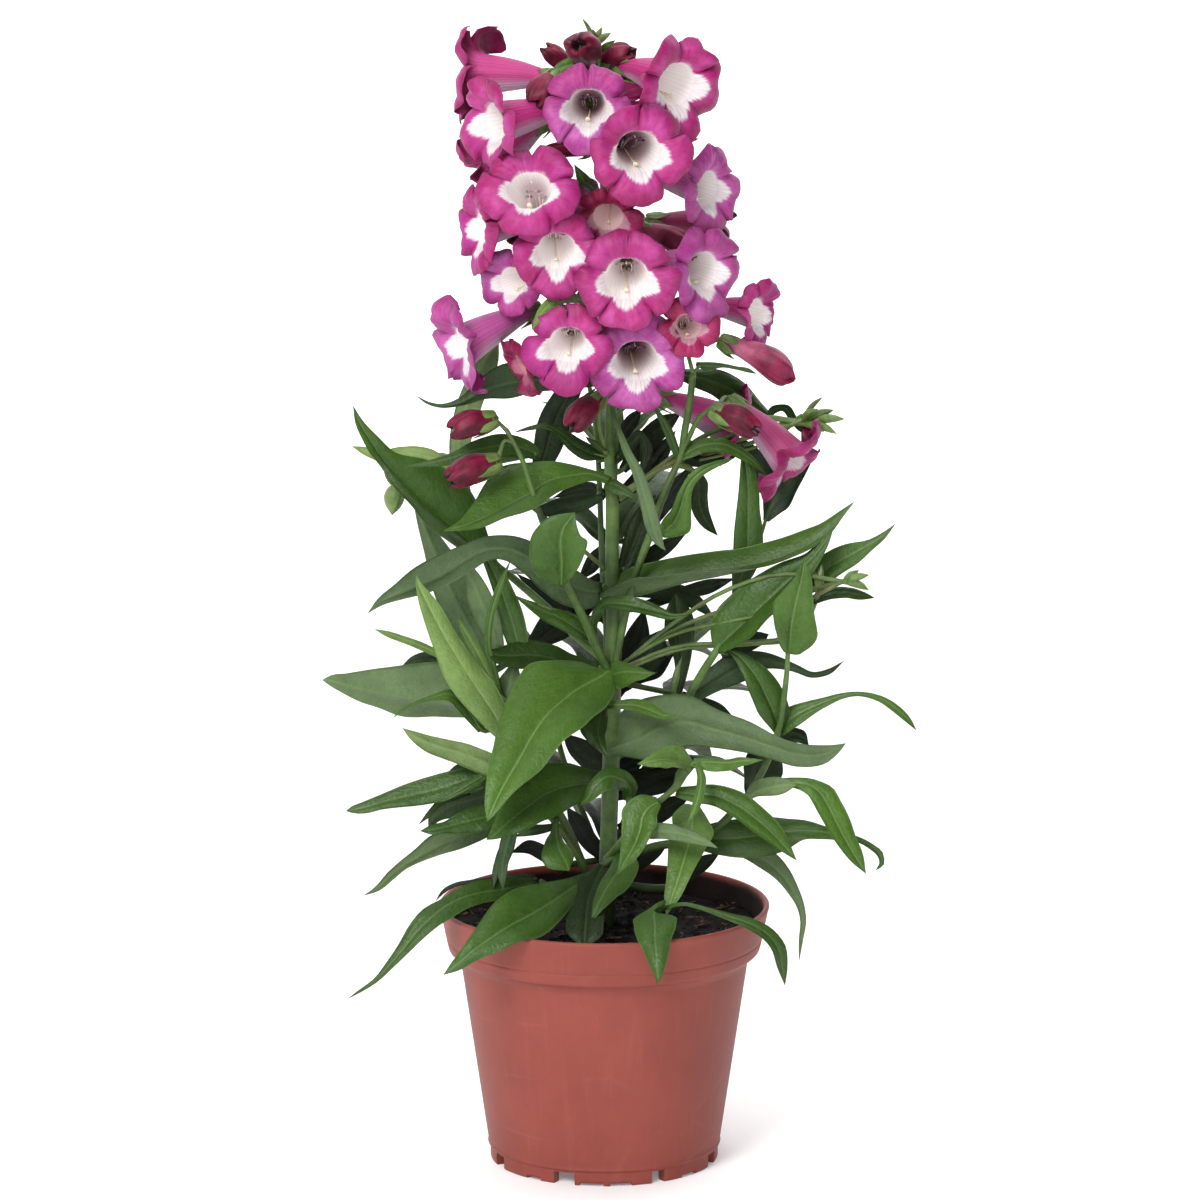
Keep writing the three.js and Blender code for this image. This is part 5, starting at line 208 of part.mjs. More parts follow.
// flowers: node, m mouth centre, d direction the mouth faces, u upward direction of the face, s scale, ped stalk points
const FLOWERS = {
  "F01": {"node":"flower_01","m":[-47.1,8.0,430.0],"d":[-0.913,0.4065,0.0349],"u":[0.0319,-0.0142,0.9994],"s":1.04,"hue":"m","ped":[[-5.2,1.4,423.1],[-8.0,-0.8,425.6],[-10.9,-3.5,427.4],[-14.0,-5.4,428.5],[-17.7,-5.1,428.9]],"seed":167,"curl":12,"ruf":2.4,"dark":0,"bend":[0,0,0,20,45],"lob":[1.05,1,1.0,1.05,1.0]},
  "F02": {"node":"flower_02","m":[-40.8,-30.0,416.6],"d":[-0.8639,-0.4988,-0.0698],"u":[-0.0604,-0.0349,0.9976],"s":1.06,"hue":"m","ped":[[-3.5,1.7,411.6],[-5.2,-2.1,414.9],[-6.6,-6.3,417.3],[-8.8,-10.3,418.7],[-12.4,-13.6,418.9]],"seed":168,"curl":0,"ruf":1.6,"dark":0.6,"bend":[0,0,0,-12,-12],"lob":[1,1,1,1,1]},
  "F26": {"node":"flower_26","m":[-43.9,-8.0,395.5],"d":[-0.7656,0.0267,-0.6428],"u":[-0.6424,0.0224,0.766],"s":0.98,"hue":"m","ped":[[-3.6,2.6,406.6],[-7.6,-0.7,411.0],[-11.7,-4.5,414.9],[-16.0,-7.6,416.8],[-20.6,-8.8,415.0]],"seed":174,"curl":15,"ruf":1.8,"dark":0,"bend":[0,0,0,0,0],"lob":[1,1,1,1,1]},
  "F03": {"node":"flower_03","m":[-6.2,-38.0,423.5],"d":[-0.0347,-0.9939,0.1045],"u":[0.0036,0.1045,0.9945],"s":0.96,"hue":"v","ped":[[-3.5,1.2,416.0],[-3.9,-1.0,417.8],[-4.5,-3.2,419.0],[-5.0,-5.6,419.9],[-5.2,-8.4,420.3]],"seed":169,"curl":0,"ruf":1.25,"dark":0.8,"bend":[0,0,0,0,0],"lob":[1,1,1,1,1]},
  "F04": {"node":"flower_04","m":[27.1,-30.0,431.5],"d":[0.6142,-0.7861,-0.0698],"u":[0.0429,-0.055,0.9976],"s":1.12,"hue":"m","ped":[[-3.3,0.7,429.4],[-1.0,0.2,431.3],[1.4,-0.2,432.8],[3.7,-1.0,433.8],[5.8,-2.7,434.0]],"seed":170,"curl":6,"ruf":1.7,"dark":0,"bend":[0,0,0,0,0],"lob":[1.08,1.0,1,1.05,0.9]},
  "F05": {"node":"flower_05","m":[12.7,-46.0,407.8],"d":[0.2078,-0.9776,0.0349],"u":[-0.0073,0.0341,0.9994],"s":1.08,"hue":"m","ped":[[-0.9,2.5,399.2],[0.8,-1.0,402.3],[2.6,-4.6,404.6],[4.3,-8.6,406.0],[5.7,-13.3,406.6]],"seed":171,"curl":0,"ruf":1.25,"dark":1,"bend":[0,0,0,0,0],"lob":[1,1,1,1,1]},
  "F06": {"node":"flower_06","m":[-28.2,-42.0,392.4],"d":[-0.118,-0.8398,0.5299],"u":[0.0738,0.5248,0.848],"s":1.04,"hue":"m","ped":[[-0.2,3.8,362.5],[-6.9,-0.0,367.2],[-14.5,-3.7,369.6],[-21.0,-8.3,371.6],[-24.4,-14.9,375.3]],"seed":172,"curl":0,"ruf":1.25,"dark":0,"bend":[0,0,0,0,0],"lob":[1,1,1,1,1]},
  "F07": {"node":"flower_07","m":[38.8,-22.0,390.2],"d":[0.807,-0.5864,-0.0698],"u":[0.0564,-0.041,0.9976],"s":0.95,"hue":"v","ped":[[1.1,3.7,384.9],[4.4,1.8,388.0],[7.6,-0.0,390.4],[11.1,-2.1,391.9],[15.0,-4.7,392.2]],"seed":173,"curl":0,"ruf":1.4,"dark":0.5,"bend":[0,0,0,0,0],"lob":[1,1,1,1,1]},
  "F08": {"node":"flower_08","m":[-46.1,-18.0,374.5],"d":[-0.9374,-0.3412,-0.0698],"u":[-0.0655,-0.0239,0.9976],"s":0.95,"hue":"m","ped":[[-0.6,4.0,367.5],[-4.5,1.0,371.5],[-8.5,-2.2,374.5],[-13.0,-5.3,376.3],[-18.5,-8.0,376.6]],"seed":174,"curl":6,"ruf":1.8,"dark":0,"bend":[0,0,0,0,0],"lob":[1,1,1,1,1]},
  "F09": {"node":"flower_09","m":[1.4,-27.0,379.8],"d":[-0.0677,-0.9679,-0.2419],"u":[-0.0169,-0.2413,0.9703],"s":0.74,"hue":"y","ped":[[0.5,3.0,381.3],[1.2,1.2,383.1],[2.1,-0.6,384.5],[2.7,-2.5,385.4],[2.9,-4.8,385.3]],"seed":175,"curl":0,"ruf":1.25,"dark":0,"bend":[0,0,0,0,0],"lob":[1,1,1,1,1]},
  "F10": {"node":"flower_10","m":[-18.0,-42.0,369.4],"d":[0.0518,-0.9889,-0.1392],"u":[0.0073,-0.139,0.9903],"s":0.95,"hue":"m","ped":[[-0.1,3.8,362.7],[-5.7,0.5,367.6],[-12.3,-2.6,371.3],[-17.6,-6.6,373.4],[-19.5,-12.9,373.5]],"seed":167,"curl":0,"ruf":1.25,"dark":0,"bend":[0,0,0,0,0],"lob":[1,1,1,1,1]},
  "F11": {"node":"flower_11","m":[8.5,-46.0,359.3],"d":[0.0,-1.0,0.0],"u":[0.0,0.0,1.0],"s":1.08,"hue":"m","ped":[[2.8,3.1,351.7],[4.4,-0.4,354.9],[6.3,-3.9,357.3],[7.9,-7.8,358.8],[8.5,-12.5,359.3]],"seed":168,"curl":0,"ruf":1.25,"dark":0,"bend":[0,0,0,0,0],"lob":[1,1,1,1,1]},
  "F12": {"node":"flower_12","m":[37.2,-31.0,360.0],"d":[0.6691,-0.7431,0.0],"u":[0.0,0.0,1.0],"s":1.0,"hue":"v","ped":[[3.5,3.7,352.0],[6.6,1.1,355.3],[9.7,-1.5,357.8],[12.9,-4.4,359.4],[16.5,-8.0,360.0]],"seed":169,"curl":0,"ruf":1.3,"dark":0.5,"bend":[0,0,0,0,0],"lob":[1,1,1,1,1]},
  "F13": {"node":"flower_13","m":[-35.0,-24.0,354.6],"d":[-0.5592,-0.829,0.0],"u":[0.0,0.0,1.0],"s":0.74,"hue":"v","ped":[[0.5,4.2,344.2],[-5.2,2.8,348.7],[-11.3,1.7,351.9],[-17.2,-0.4,353.9],[-22.1,-5.0,354.6]],"seed":170,"curl":0,"ruf":1.25,"dark":0,"bend":[0,0,0,0,0],"lob":[1,1,1,1,1]},
  "F14": {"node":"flower_14","m":[-13.9,-42.0,333.2],"d":[-0.087,-0.9948,-0.0523],"u":[-0.0046,-0.0521,0.9986],"s":0.93,"hue":"m","ped":[[1.6,3.3,325.5],[-2.0,-0.3,329.5],[-6.1,-3.7,332.5],[-9.6,-7.8,334.3],[-11.4,-13.3,334.7]],"seed":171,"curl":0,"ruf":1.25,"dark":0,"bend":[0,0,0,0,0],"lob":[1,1,1,1,1]},
  "F15": {"node":"flower_15","m":[12.4,-36.0,326.0],"d":[0.1045,-0.9939,-0.0349],"u":[0.0036,-0.0347,0.9994],"s":1.05,"hue":"v","ped":[[4.1,3.1,322.9],[5.5,1.6,324.6],[7.0,0.2,326.0],[8.3,-1.4,326.9],[9.0,-3.6,327.2]],"seed":172,"curl":0,"ruf":1.25,"dark":1,"bend":[0,0,0,0,0],"lob":[1,1,1,1,1]},
  "F16": {"node":"flower_16","m":[31.9,-34.0,338.8],"d":[0.1029,-0.9794,0.1736],"u":[-0.0182,0.1727,0.9848],"s":0.66,"hue":"y","ped":[[34.0,-14.0,316.9],[32.5,-13.0,322.6],[31.0,-11.3,328.3],[29.9,-11.0,332.9],[29.8,-14.0,335.3]],"seed":173,"curl":0,"ruf":1.25,"dark":0,"bend":[0,0,0,0,0],"lob":[1,1,1,1,1]},
  "F17": {"node":"flower_17","m":[-53.1,-20.0,329.9],"d":[-0.8585,-0.3822,-0.342],"u":[-0.3125,-0.1391,0.9397],"s":1.02,"hue":"v","ped":[[1.0,4.1,328.2],[-5.3,1.3,334.2],[-11.7,-1.5,339.0],[-18.5,-4.6,341.6],[-26.0,-7.9,340.7]],"seed":174,"curl":-6,"ruf":2.0,"dark":0,"bend":[50,0,-10,-30,-20],"lob":[1.05,1,1.1,1.1,1.0]},
  "F18": {"node":"flower_18","m":[-30.8,-26.0,322.3],"d":[-0.7936,-0.422,-0.4384],"u":[-0.3871,-0.2058,0.8988],"s":0.72,"hue":"c","ped":[[1.5,3.1,321.4],[-1.5,-2.0,326.6],[-4.5,-7.4,331.0],[-8.1,-12.6,333.3],[-13.1,-16.6,332.1]],"seed":175,"curl":0,"ruf":1.6,"dark":0,"bend":[0,0,0,0,0],"lob":[1,1,1,1,1]},
  "F19": {"node":"flower_19","m":[58.0,-8.0,339.5],"d":[0.848,-0.5299,0.0],"u":[0.0,0.0,1.0],"s":0.8,"hue":"m","ped":[[5.1,5.0,325.8],[12.7,6.0,331.6],[20.5,7.7,336.0],[28.7,8.1,338.6],[37.0,5.1,339.5]],"seed":176,"curl":14,"ruf":1.8,"dark":0,"bend":[0,0,0,0,0],"lob":[0.9,1,1,0.9,1.0]},
  "F21": {"node":"flower_21","m":[71.3,-12.0,283.9],"d":[0.7178,-0.2332,-0.6561],"u":[0.6239,-0.2027,0.7547],"s":1.0,"hue":"d","ped":[[43.6,-15.5,304.9],[44.9,-11.9,305.1],[45.9,-8.2,305.6],[47.1,-5.4,305.5],[49.1,-4.8,304.2]],"seed":169,"curl":30,"ruf":2.2,"dark":0.6,"bend":[0,0,0,0,0],"lob":[1,1,1,1,1]},
  "F22": {"node":"flower_22","m":[48.2,14.0,291.7],"d":[0.9266,0.0324,-0.3746],"u":[0.3744,0.0131,0.9272],"s":1.0,"hue":"m","ped":[[3.7,4.4,295.5],[7.3,6.8,299.2],[10.8,9.6,302.3],[14.8,11.9,304.0],[19.5,13.0,303.3]],"seed":170,"curl":0,"ruf":1.25,"dark":0,"bend":[0,0,0,0,0],"lob":[1,1,1,1,1]},
  "F23": {"node":"flower_23","m":[43.3,14.0,369.7],"d":[0.9848,0.1384,-0.1045],"u":[0.1035,0.0145,0.9945],"s":0.85,"hue":"c","ped":[[2.9,5.6,365.4],[6.2,6.8,368.4],[9.5,8.2,370.7],[13.1,9.4,372.2],[17.3,10.4,372.4]],"seed":171,"curl":0,"ruf":1.25,"dark":0,"bend":[0,0,0,0,0],"lob":[1,1,1,1,1]},
  "FB1": {"node":"flower_back_1","m":[0.6,46.0,410.6],"d":[0.0872,0.9962,0.0],"u":[0.0,0.0,1.0],"s":0.95,"hue":"m","ped":[[-2.1,5.3,405.2],[-2.1,7.9,407.4],[-2.1,10.5,409.1],[-2.1,13.4,410.2],[-1.9,16.7,410.6]],"seed":185,"curl":0,"ruf":1.25,"dark":0,"bend":[0,0,0,0,0],"lob":[1,1,1,1,1]},
  "FB2": {"node":"flower_back_2","m":[-1.7,48.0,366.1],"d":[-0.1392,0.9903,0.0],"u":[0.0,0.0,1.0],"s":1.0,"hue":"v","ped":[[1.6,6.9,361.1],[2.0,9.3,363.1],[2.5,11.7,364.7],[2.8,14.3,365.7],[2.6,17.3,366.1]],"seed":186,"curl":0,"ruf":1.25,"dark":0,"bend":[0,0,0,0,0],"lob":[1,1,1,1,1]},
  "FB3": {"node":"flower_back_3","m":[3.0,48.0,327.9],"d":[0.0348,0.997,-0.0698],"u":[0.0024,0.0697,0.9976],"s":1.0,"hue":"m","ped":[[2.8,7.1,325.2],[2.5,9.4,327.2],[2.2,11.7,328.8],[2.0,14.2,329.8],[1.9,17.1,330.0]],"seed":187,"curl":0,"ruf":1.25,"dark":0,"bend":[0,0,0,0,0],"lob":[1,1,1,1,1]}
};
// buds: node, b base, t tip, r largest radius, ped stalk points
const BUDS = {
  "bud_front": {"node":"raceme_tip","b":[-5.5,-4.0,435.8],"t":[-10.1,-22.0,445.0],"r":6.89,"kind":"m","ped":[[-5.0,0.7,432.8],[-5.2,-1.5,433.7],[-5.2,-2.2,434.5],[-5.3,-3.0,435.2],[-5.5,-4.0,435.8]]},
  "bud_right": {"node":"raceme_tip","b":[-1.7,0.0,433.8],"t":[10.5,-8.0,440.2],"r":5.18,"kind":"m","ped":[[-4.7,1.0,430.8],[-2.9,0.5,431.5],[-2.6,0.4,432.4],[-2.3,0.3,433.2],[-1.7,0.0,433.8]]},
  "bud_left": {"node":"raceme_tip","b":[-14.0,0.0,431.5],"t":[-22.4,-4.0,441.2],"r":4.22,"kind":"m","ped":[[-4.4,1.5,427.8],[-7.8,1.0,429.0],[-10.0,0.9,429.6],[-12.1,0.6,430.2],[-14.0,0.0,431.5]]},
  "bud_low_left": {"node":"raceme_tip","b":[-18.5,-16.0,432.0],"t":[-27.2,-26.0,422.6],"r":5.72,"kind":"m","ped":[[-3.9,2.1,423.3],[-8.0,-3.1,427.9],[-11.4,-7.4,431.8],[-14.9,-11.8,433.7],[-18.5,-16.0,432.0]]},
  "bud_dark": {"node":"raceme_tip","b":[-6.3,-4.0,401.1],"t":[-22.4,-14.0,402.5],"r":3.26,"kind":"m","ped":[[-1.4,4.1,397.4],[-3.1,1.0,398.9],[-3.7,-0.8,400.0],[-4.7,-2.5,400.7],[-6.3,-4.0,401.1]]},
  "bud_small_right": {"node":"raceme_tip","b":[21.4,-2.0,401.6],"t":[34.4,-6.0,406.8],"r":2.11,"kind":"m","ped":[[-1.0,4.3,392.0],[5.5,2.5,395.6],[10.4,1.2,397.9],[15.7,-0.3,399.6],[21.4,-2.0,401.6]]},
  "bud_fill": {"node":"raceme_tip","b":[-11.7,-2.0,362.8],"t":[-36.2,-12.0,369.0],"r":3.85,"kind":"m","ped":[[1.7,5.0,356.8],[-2.7,2.6,359.1],[-5.4,1.1,360.7],[-8.3,-0.5,361.8],[-11.7,-2.0,362.8]]},
  "bud_crimson": {"node":"raceme_tip","b":[12.2,0.0,371.8],"t":[32.9,-6.0,363.4],"r":5.2,"kind":"p","ped":[[1.1,5.0,366.8],[4.9,3.2,369.0],[7.1,2.0,371.0],[9.5,0.9,372.1],[12.2,0.0,371.8]]},
  "B_L1": {"node":"left_front_shoot","b":[-42.4,-24.0,300.6],"t":[-58.5,-28.0,296.2],"r":5.76,"kind":"m","ped":[[-40.1,-24.0,298.6],[-42.4,-24.0,300.6]]},
  "B_L2": {"node":"left_front_shoot","b":[-41.3,-26.0,284.1],"t":[-59.2,-32.0,278.2],"r":6.15,"kind":"m","ped":[[-39.8,-25.0,288.6],[-41.3,-26.0,284.1]]},
  "B_C": {"node":"bud_centre","b":[-1.7,-10.0,307.0],"t":[-12.5,-18.0,296.0],"r":5.79,"kind":"m","ped":[[0.2,-0.1,284.6],[-2.1,-6.0,294.9],[-1.7,-10.0,307.0]]},
  "B_R": {"node":"right_shoot","b":[42.1,-22.0,303.7],"t":[58.2,-28.0,296.6],"r":5.76,"kind":"m","ped":[[39.9,-14.0,302.3],[42.1,-22.0,303.7]]},
  "F20": {"node":"flower_young_right","b":[45.2,-14.0,329.2],"t":[72.4,-22.0,315.8],"r":6.35,"kind":"p","ped":[[4.4,3.5,310.7],[13.9,-0.9,319.8],[23.6,-5.5,327.5],[33.9,-10.1,331.4],[45.2,-14.0,329.2]]},
  "calyx_old": {"node":"left_back_shoot","b":[-79.9,3.0,270.0],"t":[-82.6,1.0,258.1],"r":4.28,"kind":"g","ped":[[-0.1,0.5,237.0],[-21.9,2.0,255.8],[-46.4,4.0,273.5],[-67.8,5.0,281.2],[-79.9,3.0,270.0]]},
  "g_r1": {"node":"right_shoot","b":[80.5,0.0,295.4],"t":[93.1,-4.0,296.9],"r":1.94,"kind":"g","ped":[[6.0,1.0,264.0],[23.2,2.0,277.1],[40.9,3.8,286.1],[59.8,4.0,291.9],[80.5,0.0,295.4]]},
  "g_r2": {"node":"right_shoot","b":[78.2,0.0,295.8],"t":[89.0,0.0,299.8],"r":1.94,"kind":"g","ped":[[5.8,1.0,265.3],[22.6,0.7,277.0],[39.8,0.4,284.2],[58.2,0.1,289.5],[78.2,0.0,295.8]]},
  "g_r3": {"node":"right_shoot","b":[78.9,-1.0,294.8],"t":[90.0,-6.0,291.4],"r":1.74,"kind":"g","ped":[[6.0,0.9,264.0],[23.1,2.0,278.4],[40.9,4.2,290.0],[59.5,4.2,296.3],[78.9,-1.0,294.8]]},
  "g_r4": {"node":"right_shoot","b":[77.5,2.0,296.6],"t":[84.8,4.0,304.2],"r":1.16,"kind":"g","ped":[[5.7,1.2,266.4],[23.3,0.6,276.6],[42.2,-0.4,281.2],[60.7,-0.4,285.9],[77.5,2.0,296.6]]},
  "g_r5": {"node":"right_shoot","b":[76.6,-2.0,296.2],"t":[82.6,-5.0,301.0],"r":1.74,"kind":"g","ped":[[5.7,1.0,266.3],[23.0,1.6,276.8],[41.3,3.1,282.2],[59.6,2.8,287.1],[76.6,-2.0,296.2]]},
  "g_r6": {"node":"right_shoot","b":[77.3,-2.0,294.6],"t":[85.0,-7.0,292.4],"r":1.74,"kind":"g","ped":[[5.9,0.9,264.4],[23.0,2.3,278.4],[40.9,5.0,289.5],[59.2,5.0,295.6],[77.3,-2.0,294.6]]},
  "g_o1": {"node":"right_outer_shoot","b":[82.7,-17.0,228.9],"t":[81.5,-18.0,239.7],"r":1.55,"kind":"g","ped":[[7.1,-0.8,196.4],[29.2,-5.0,206.0],[55.0,-9.7,208.8],[75.7,-13.9,213.5],[82.7,-17.0,228.9]]},
  "g_o2": {"node":"right_outer_shoot","b":[83.5,-17.0,230.4],"t":[84.2,-16.0,242.1],"r":1.55,"kind":"g","ped":[[7.1,-0.8,197.6],[28.6,-5.8,207.3],[53.3,-11.8,210.1],[74.0,-16.3,214.8],[83.5,-17.0,230.4]]},
  "g_o3": {"node":"right_outer_shoot","b":[93.4,-20.0,236.2],"t":[102.2,-22.0,239.0],"r":1.74,"kind":"g","ped":[[7.1,-0.8,199.2],[27.0,-5.2,213.7],[47.4,-9.7,222.8],[69.3,-14.6,229.3],[93.4,-20.0,236.2]]},
  "g_o4": {"node":"right_outer_shoot","b":[93.4,-20.0,235.8],"t":[102.3,-20.0,232.6],"r":1.74,"kind":"g","ped":[[7.1,-0.8,198.8],[26.9,-6.3,216.6],[47.3,-12.6,231.0],[69.2,-17.8,238.6],[93.4,-20.0,235.8]]},
  "g_o5": {"node":"right_outer_shoot","b":[92.6,-20.0,236.2],"t":[98.5,-18.0,240.1],"r":1.55,"kind":"g","ped":[[7.1,-0.8,199.5],[27.5,-7.7,212.7],[48.9,-16.3,219.6],[70.8,-22.0,225.7],[92.6,-20.0,236.2]]},
  "g_t1": {"node":"raceme_tip","b":[-4.0,0.0,442.3],"t":[-8.6,-2.0,452.5],"r":0.96,"kind":"g","ped":[[-5.3,0.0,439.3],[-3.6,0.0,439.9],[-3.5,0.1,440.7],[-3.7,0.1,441.5],[-4.0,0.0,442.3]]},
  "g_t2": {"node":"raceme_tip","b":[-3.6,0.0,441.5],"t":[-0.9,0.0,448.8],"r":1.53,"kind":"g","ped":[[-5.4,0.0,438.5],[-3.7,0.0,439.1],[-3.7,0.0,439.9],[-3.7,0.0,440.7],[-3.6,0.0,441.5]]},
  "g_t3": {"node":"raceme_tip","b":[-3.6,0.0,441.5],"t":[2.5,-3.0,446.9],"r":1.53,"kind":"g","ped":[[-5.4,0.0,438.5],[-3.8,0.1,439.2],[-3.9,0.1,440.0],[-3.9,0.2,440.8],[-3.6,0.0,441.5]]},
  "g_t4": {"node":"raceme_tip","b":[-4.0,-1.0,441.6],"t":[-4.4,-5.0,448.6],"r":1.34,"kind":"g","ped":[[-5.4,0.0,438.6],[-4.0,-0.9,439.3],[-3.9,-0.8,440.0],[-3.9,-0.8,440.8],[-4.0,-1.0,441.6]]}
};
// collars where a leaf pair clasps its stem: node, x y z radius
const JOINTS = [
  ["leaf_pair_low_front",[3.0,-1.0,196.8,5.6]],
  ["leaf_pair_middle",[2.6,-1.0,227.9,5.2]],
  ["leaf_pair_upper",[1.8,-1.0,271.9,5.0]],
  ["leaf_pair_top",[2.6,4.0,310.1,4.8]],
  ["leaf_pair_low",[2.2,-1.0,159.9,6.5]],
  ["leaf_pair_left_shoot_1",[-35.9,-17.0,167.6,6.5]],
  ["leaf_pair_left_shoot_2",[-37.9,-13.0,182.3,4.0]],
  ["leaf_pair_right_mid",[44.1,-15.0,207.4,4.0]],
  ["leaf_pair_right_outer",[68.0,-13.0,175.1,4.0]],
  ["leaf_pair_front_shoot",[23.9,-32.0,152.8,5.8]],
  ["leaf_pair_right_low_1",[57.6,-13.0,151.5,5.2]],
  ["leaf_pair_right_low_2",[32.8,-5.0,129.8,4.2]],
  ["leaf_pair_base_left_1",[-37.6,-10.0,154.4,4.0]],
  ["leaf_pair_base_left_2",[-36.1,-10.0,139.1,4.2]],
  ["leaves_over_rim_front",[-0.5,-8.0,119.7,5.0]],
  ["leaves_over_rim_left",[-26.0,-13.0,115.3,3.2]],
  ["leaves_over_rim_right",[21.5,-44.0,110.0,3.6]],
  ["leaf_front_right",[36.2,-8.0,141.8,2.4]]
];
// short stalks that join leaves inside one node: node, points x y z radius
const LINKS = [
  ["leaf_pair_low_front",[[2.6,-6.4,194.0,1.4],[0.3,-6.2,183.5,1.4]]],
  ["leaves_over_rim_front",[[0.3,-8.0,120.5,1.6],[6.1,-7.0,127.1,1.6]]],
  ["leaves_over_rim_right",[[17.7,-42.0,93.8,1.4],[19.6,-43.0,101.3,1.4],[21.5,-44.0,109.6,1.4]]],
  ["centre_shoot",[[-1.9,9.0,265.5,0.95],[-2.9,-2.2,265.3,0.78]]],
  ["leaf_pair_middle",[[2.6,-1.0,227.9,1.43],[0.7,-3.5,226.8,1.17]]],
  ["leaf_pair_top",[[2.6,4.0,310.1,1.43],[10.6,8.0,308.9,1.17]]],
  ["leaf_pair_low_front",[[3.0,-1.0,196.8,0.97],[2.3,-7.2,183.9,0.8]]],
  ["leaf_pair_low_front",[[3.0,-1.0,196.8,1.43],[-0.7,-6.0,182.3,1.17]]],
  ["left_front_shoot",[[-3.8,-10.1,209.9,0.9],[-4.1,-5.9,213.6,0.74]]],
  ["left_front_shoot",[[-3.1,-9.5,208.4,0.98],[-5.7,-5.6,210.4,0.81]]],
  ["centre_shoot",[[1.2,7.3,197.5,1.43],[-2.0,-2.6,197.9,1.17]]],
  ["centre_shoot",[[1.3,7.2,195.3,1.43],[8.8,1.3,196.5,1.17]]],
  ["leaf_pair_left_shoot_1",[[-35.9,-17.0,167.6,1.23],[-36.8,-22.8,173.7,1.0]]],
  ["left_low_shoot",[[-42.7,-10.3,198.3,1.43],[-44.9,-7.8,199.8,1.17]]],
  ["left_low_shoot",[[-43.4,-9.7,201.5,1.43],[-41.3,-12.8,205.6,1.17]]],
  ["left_low_shoot",[[-42.7,-10.3,198.5,1.43],[-33.2,-10.4,204.4,1.17]]],
  ["left_low_shoot",[[-40.9,-12.0,190.9,0.77],[-41.6,-16.9,194.8,0.63]]],
  ["left_back_shoot",[[-45.1,-0.9,242.9,1.43],[-47.6,-4.7,244.3,1.17]]],
  ["left_back_shoot",[[-54.5,3.9,276.4,1.43],[-26.5,-7.2,283.8,1.17]]],
  ["left_back_shoot",[[-52.6,1.4,264.0,1.43],[-53.8,0.1,266.7,1.17]]],
  ["left_front_shoot",[[-15.1,-24.8,237.9,1.38],[-16.6,-27.4,237.0,1.13]]],
  ["centre_shoot",[[-6.4,7.0,310.3,1.43],[-9.5,4.3,309.9,1.17]]],
  ["centre_shoot",[[-0.6,8.8,233.2,1.43],[7.8,2.8,236.7,1.17]]],
  ["centre_shoot",[[-2.5,9.0,278.2,1.11],[5.6,5.5,280.4,0.91]]],
  ["centre_shoot",[[1.4,7.0,191.0,1.28],[28.6,2.0,186.3,1.04]]],
  ["centre_shoot",[[1.4,7.0,191.0,0.77],[27.1,-2.5,188.4,0.63]]],
  ["right_shoot",[[18.2,-10.0,253.9,1.43],[22.5,-10.4,253.3,1.17]]],
  ["leaf_pair_right_mid",[[44.1,-15.0,207.4,0.9],[47.8,-10.1,205.1,0.74]]],
  ["right_mid_shoot",[[51.7,-3.2,220.9,1.27],[51.6,-1.8,223.1,1.04]]],
  ["right_mid_shoot",[[31.9,-7.7,186.9,1.43],[35.5,-5.7,187.5,1.17]]],
  ["right_mid_shoot",[[29.8,-6.7,185.3,0.9],[32.8,-0.7,186.2,0.74]]],
  ["right_outer_shoot",[[77.9,-12.0,221.5,1.24],[74.2,-7.8,225.7,1.02]]],
  ["right_outer_shoot",[[53.4,-10.5,145.7,1.15],[57.4,2.3,146.7,0.94]]],
  ["right_outer_shoot",[[81.5,-15.9,228.5,0.93],[82.8,-17.2,228.4,0.76]]],
  ["low_front_shoot",[[33.1,-34.0,166.4,0.77],[36.1,-36.3,165.9,0.63]]],
  ["low_front_shoot",[[9.7,-18.0,135.3,1.43],[9.5,-8.2,148.0,1.17]]],
  ["leaves_over_rim_front",[[-0.5,-8.0,119.7,1.43],[5.9,-9.7,125.9,1.17]]],
  ["leaf_front_right",[[36.2,-8.0,141.8,1.43],[34.9,-10.0,143.0,1.17]]],
  ["low_front_shoot",[[15.8,-26.0,144.6,1.43],[15.8,-35.9,139.9,1.17]]],
  ["leaf_pair_right_low_1",[[57.6,-13.0,151.5,0.91],[63.0,-18.8,153.9,0.75]]],
  ["leaf_pair_right_low_1",[[57.6,-13.0,151.5,0.77],[56.5,-19.1,150.6,0.63]]],
  ["leaf_pair_base_left_2",[[-36.1,-10.0,139.1,1.43],[-38.5,-12.6,142.1,1.17]]],
  ["leaf_pair_base_left_2",[[-36.1,-10.0,139.1,1.43],[-38.4,-4.3,134.9,1.17]]],
  ["base_left_shoot",[[-40.8,-8.0,159.1,1.22],[-42.2,-16.9,161.0,1.0]]],
  ["leaf_pair_base_left_1",[[-37.6,-10.0,154.4,1.43],[-40.7,-1.1,150.8,1.17]]],
  ["base_left_shoot",[[-20.4,-11.5,139.2,0.77],[-18.9,-14.7,139.5,0.63]]],
  ["leaves_over_rim_front",[[-0.5,-8.0,119.7,1.25],[-3.9,-14.2,118.0,1.02]]],
  ["right_shoot",[[34.1,-14.0,316.4,0.77],[36.9,-13.3,319.9,0.63]]],
  ["right_shoot",[[62.1,3.9,295.2,0.77],[63.8,3.9,296.6,0.63]]],
  ["back_shoot",[[1.9,12.7,118.4,1.43],[-1.5,11.5,120.3,1.17]]],
  ["back_shoot",[[-0.9,15.1,116.4,1.43],[-18.0,10.5,115.2,1.17]]],
  ["back_shoot",[[2.6,13.5,263.5,1.43],[-1.6,13.4,264.3,1.17]]],
  ["back_shoot",[[2.6,13.7,242.8,1.43],[-0.9,13.7,240.8,1.17]]],
  ["back_shoot",[[2.1,13.3,150.8,1.43],[3.3,13.6,151.7,1.17]]]
];

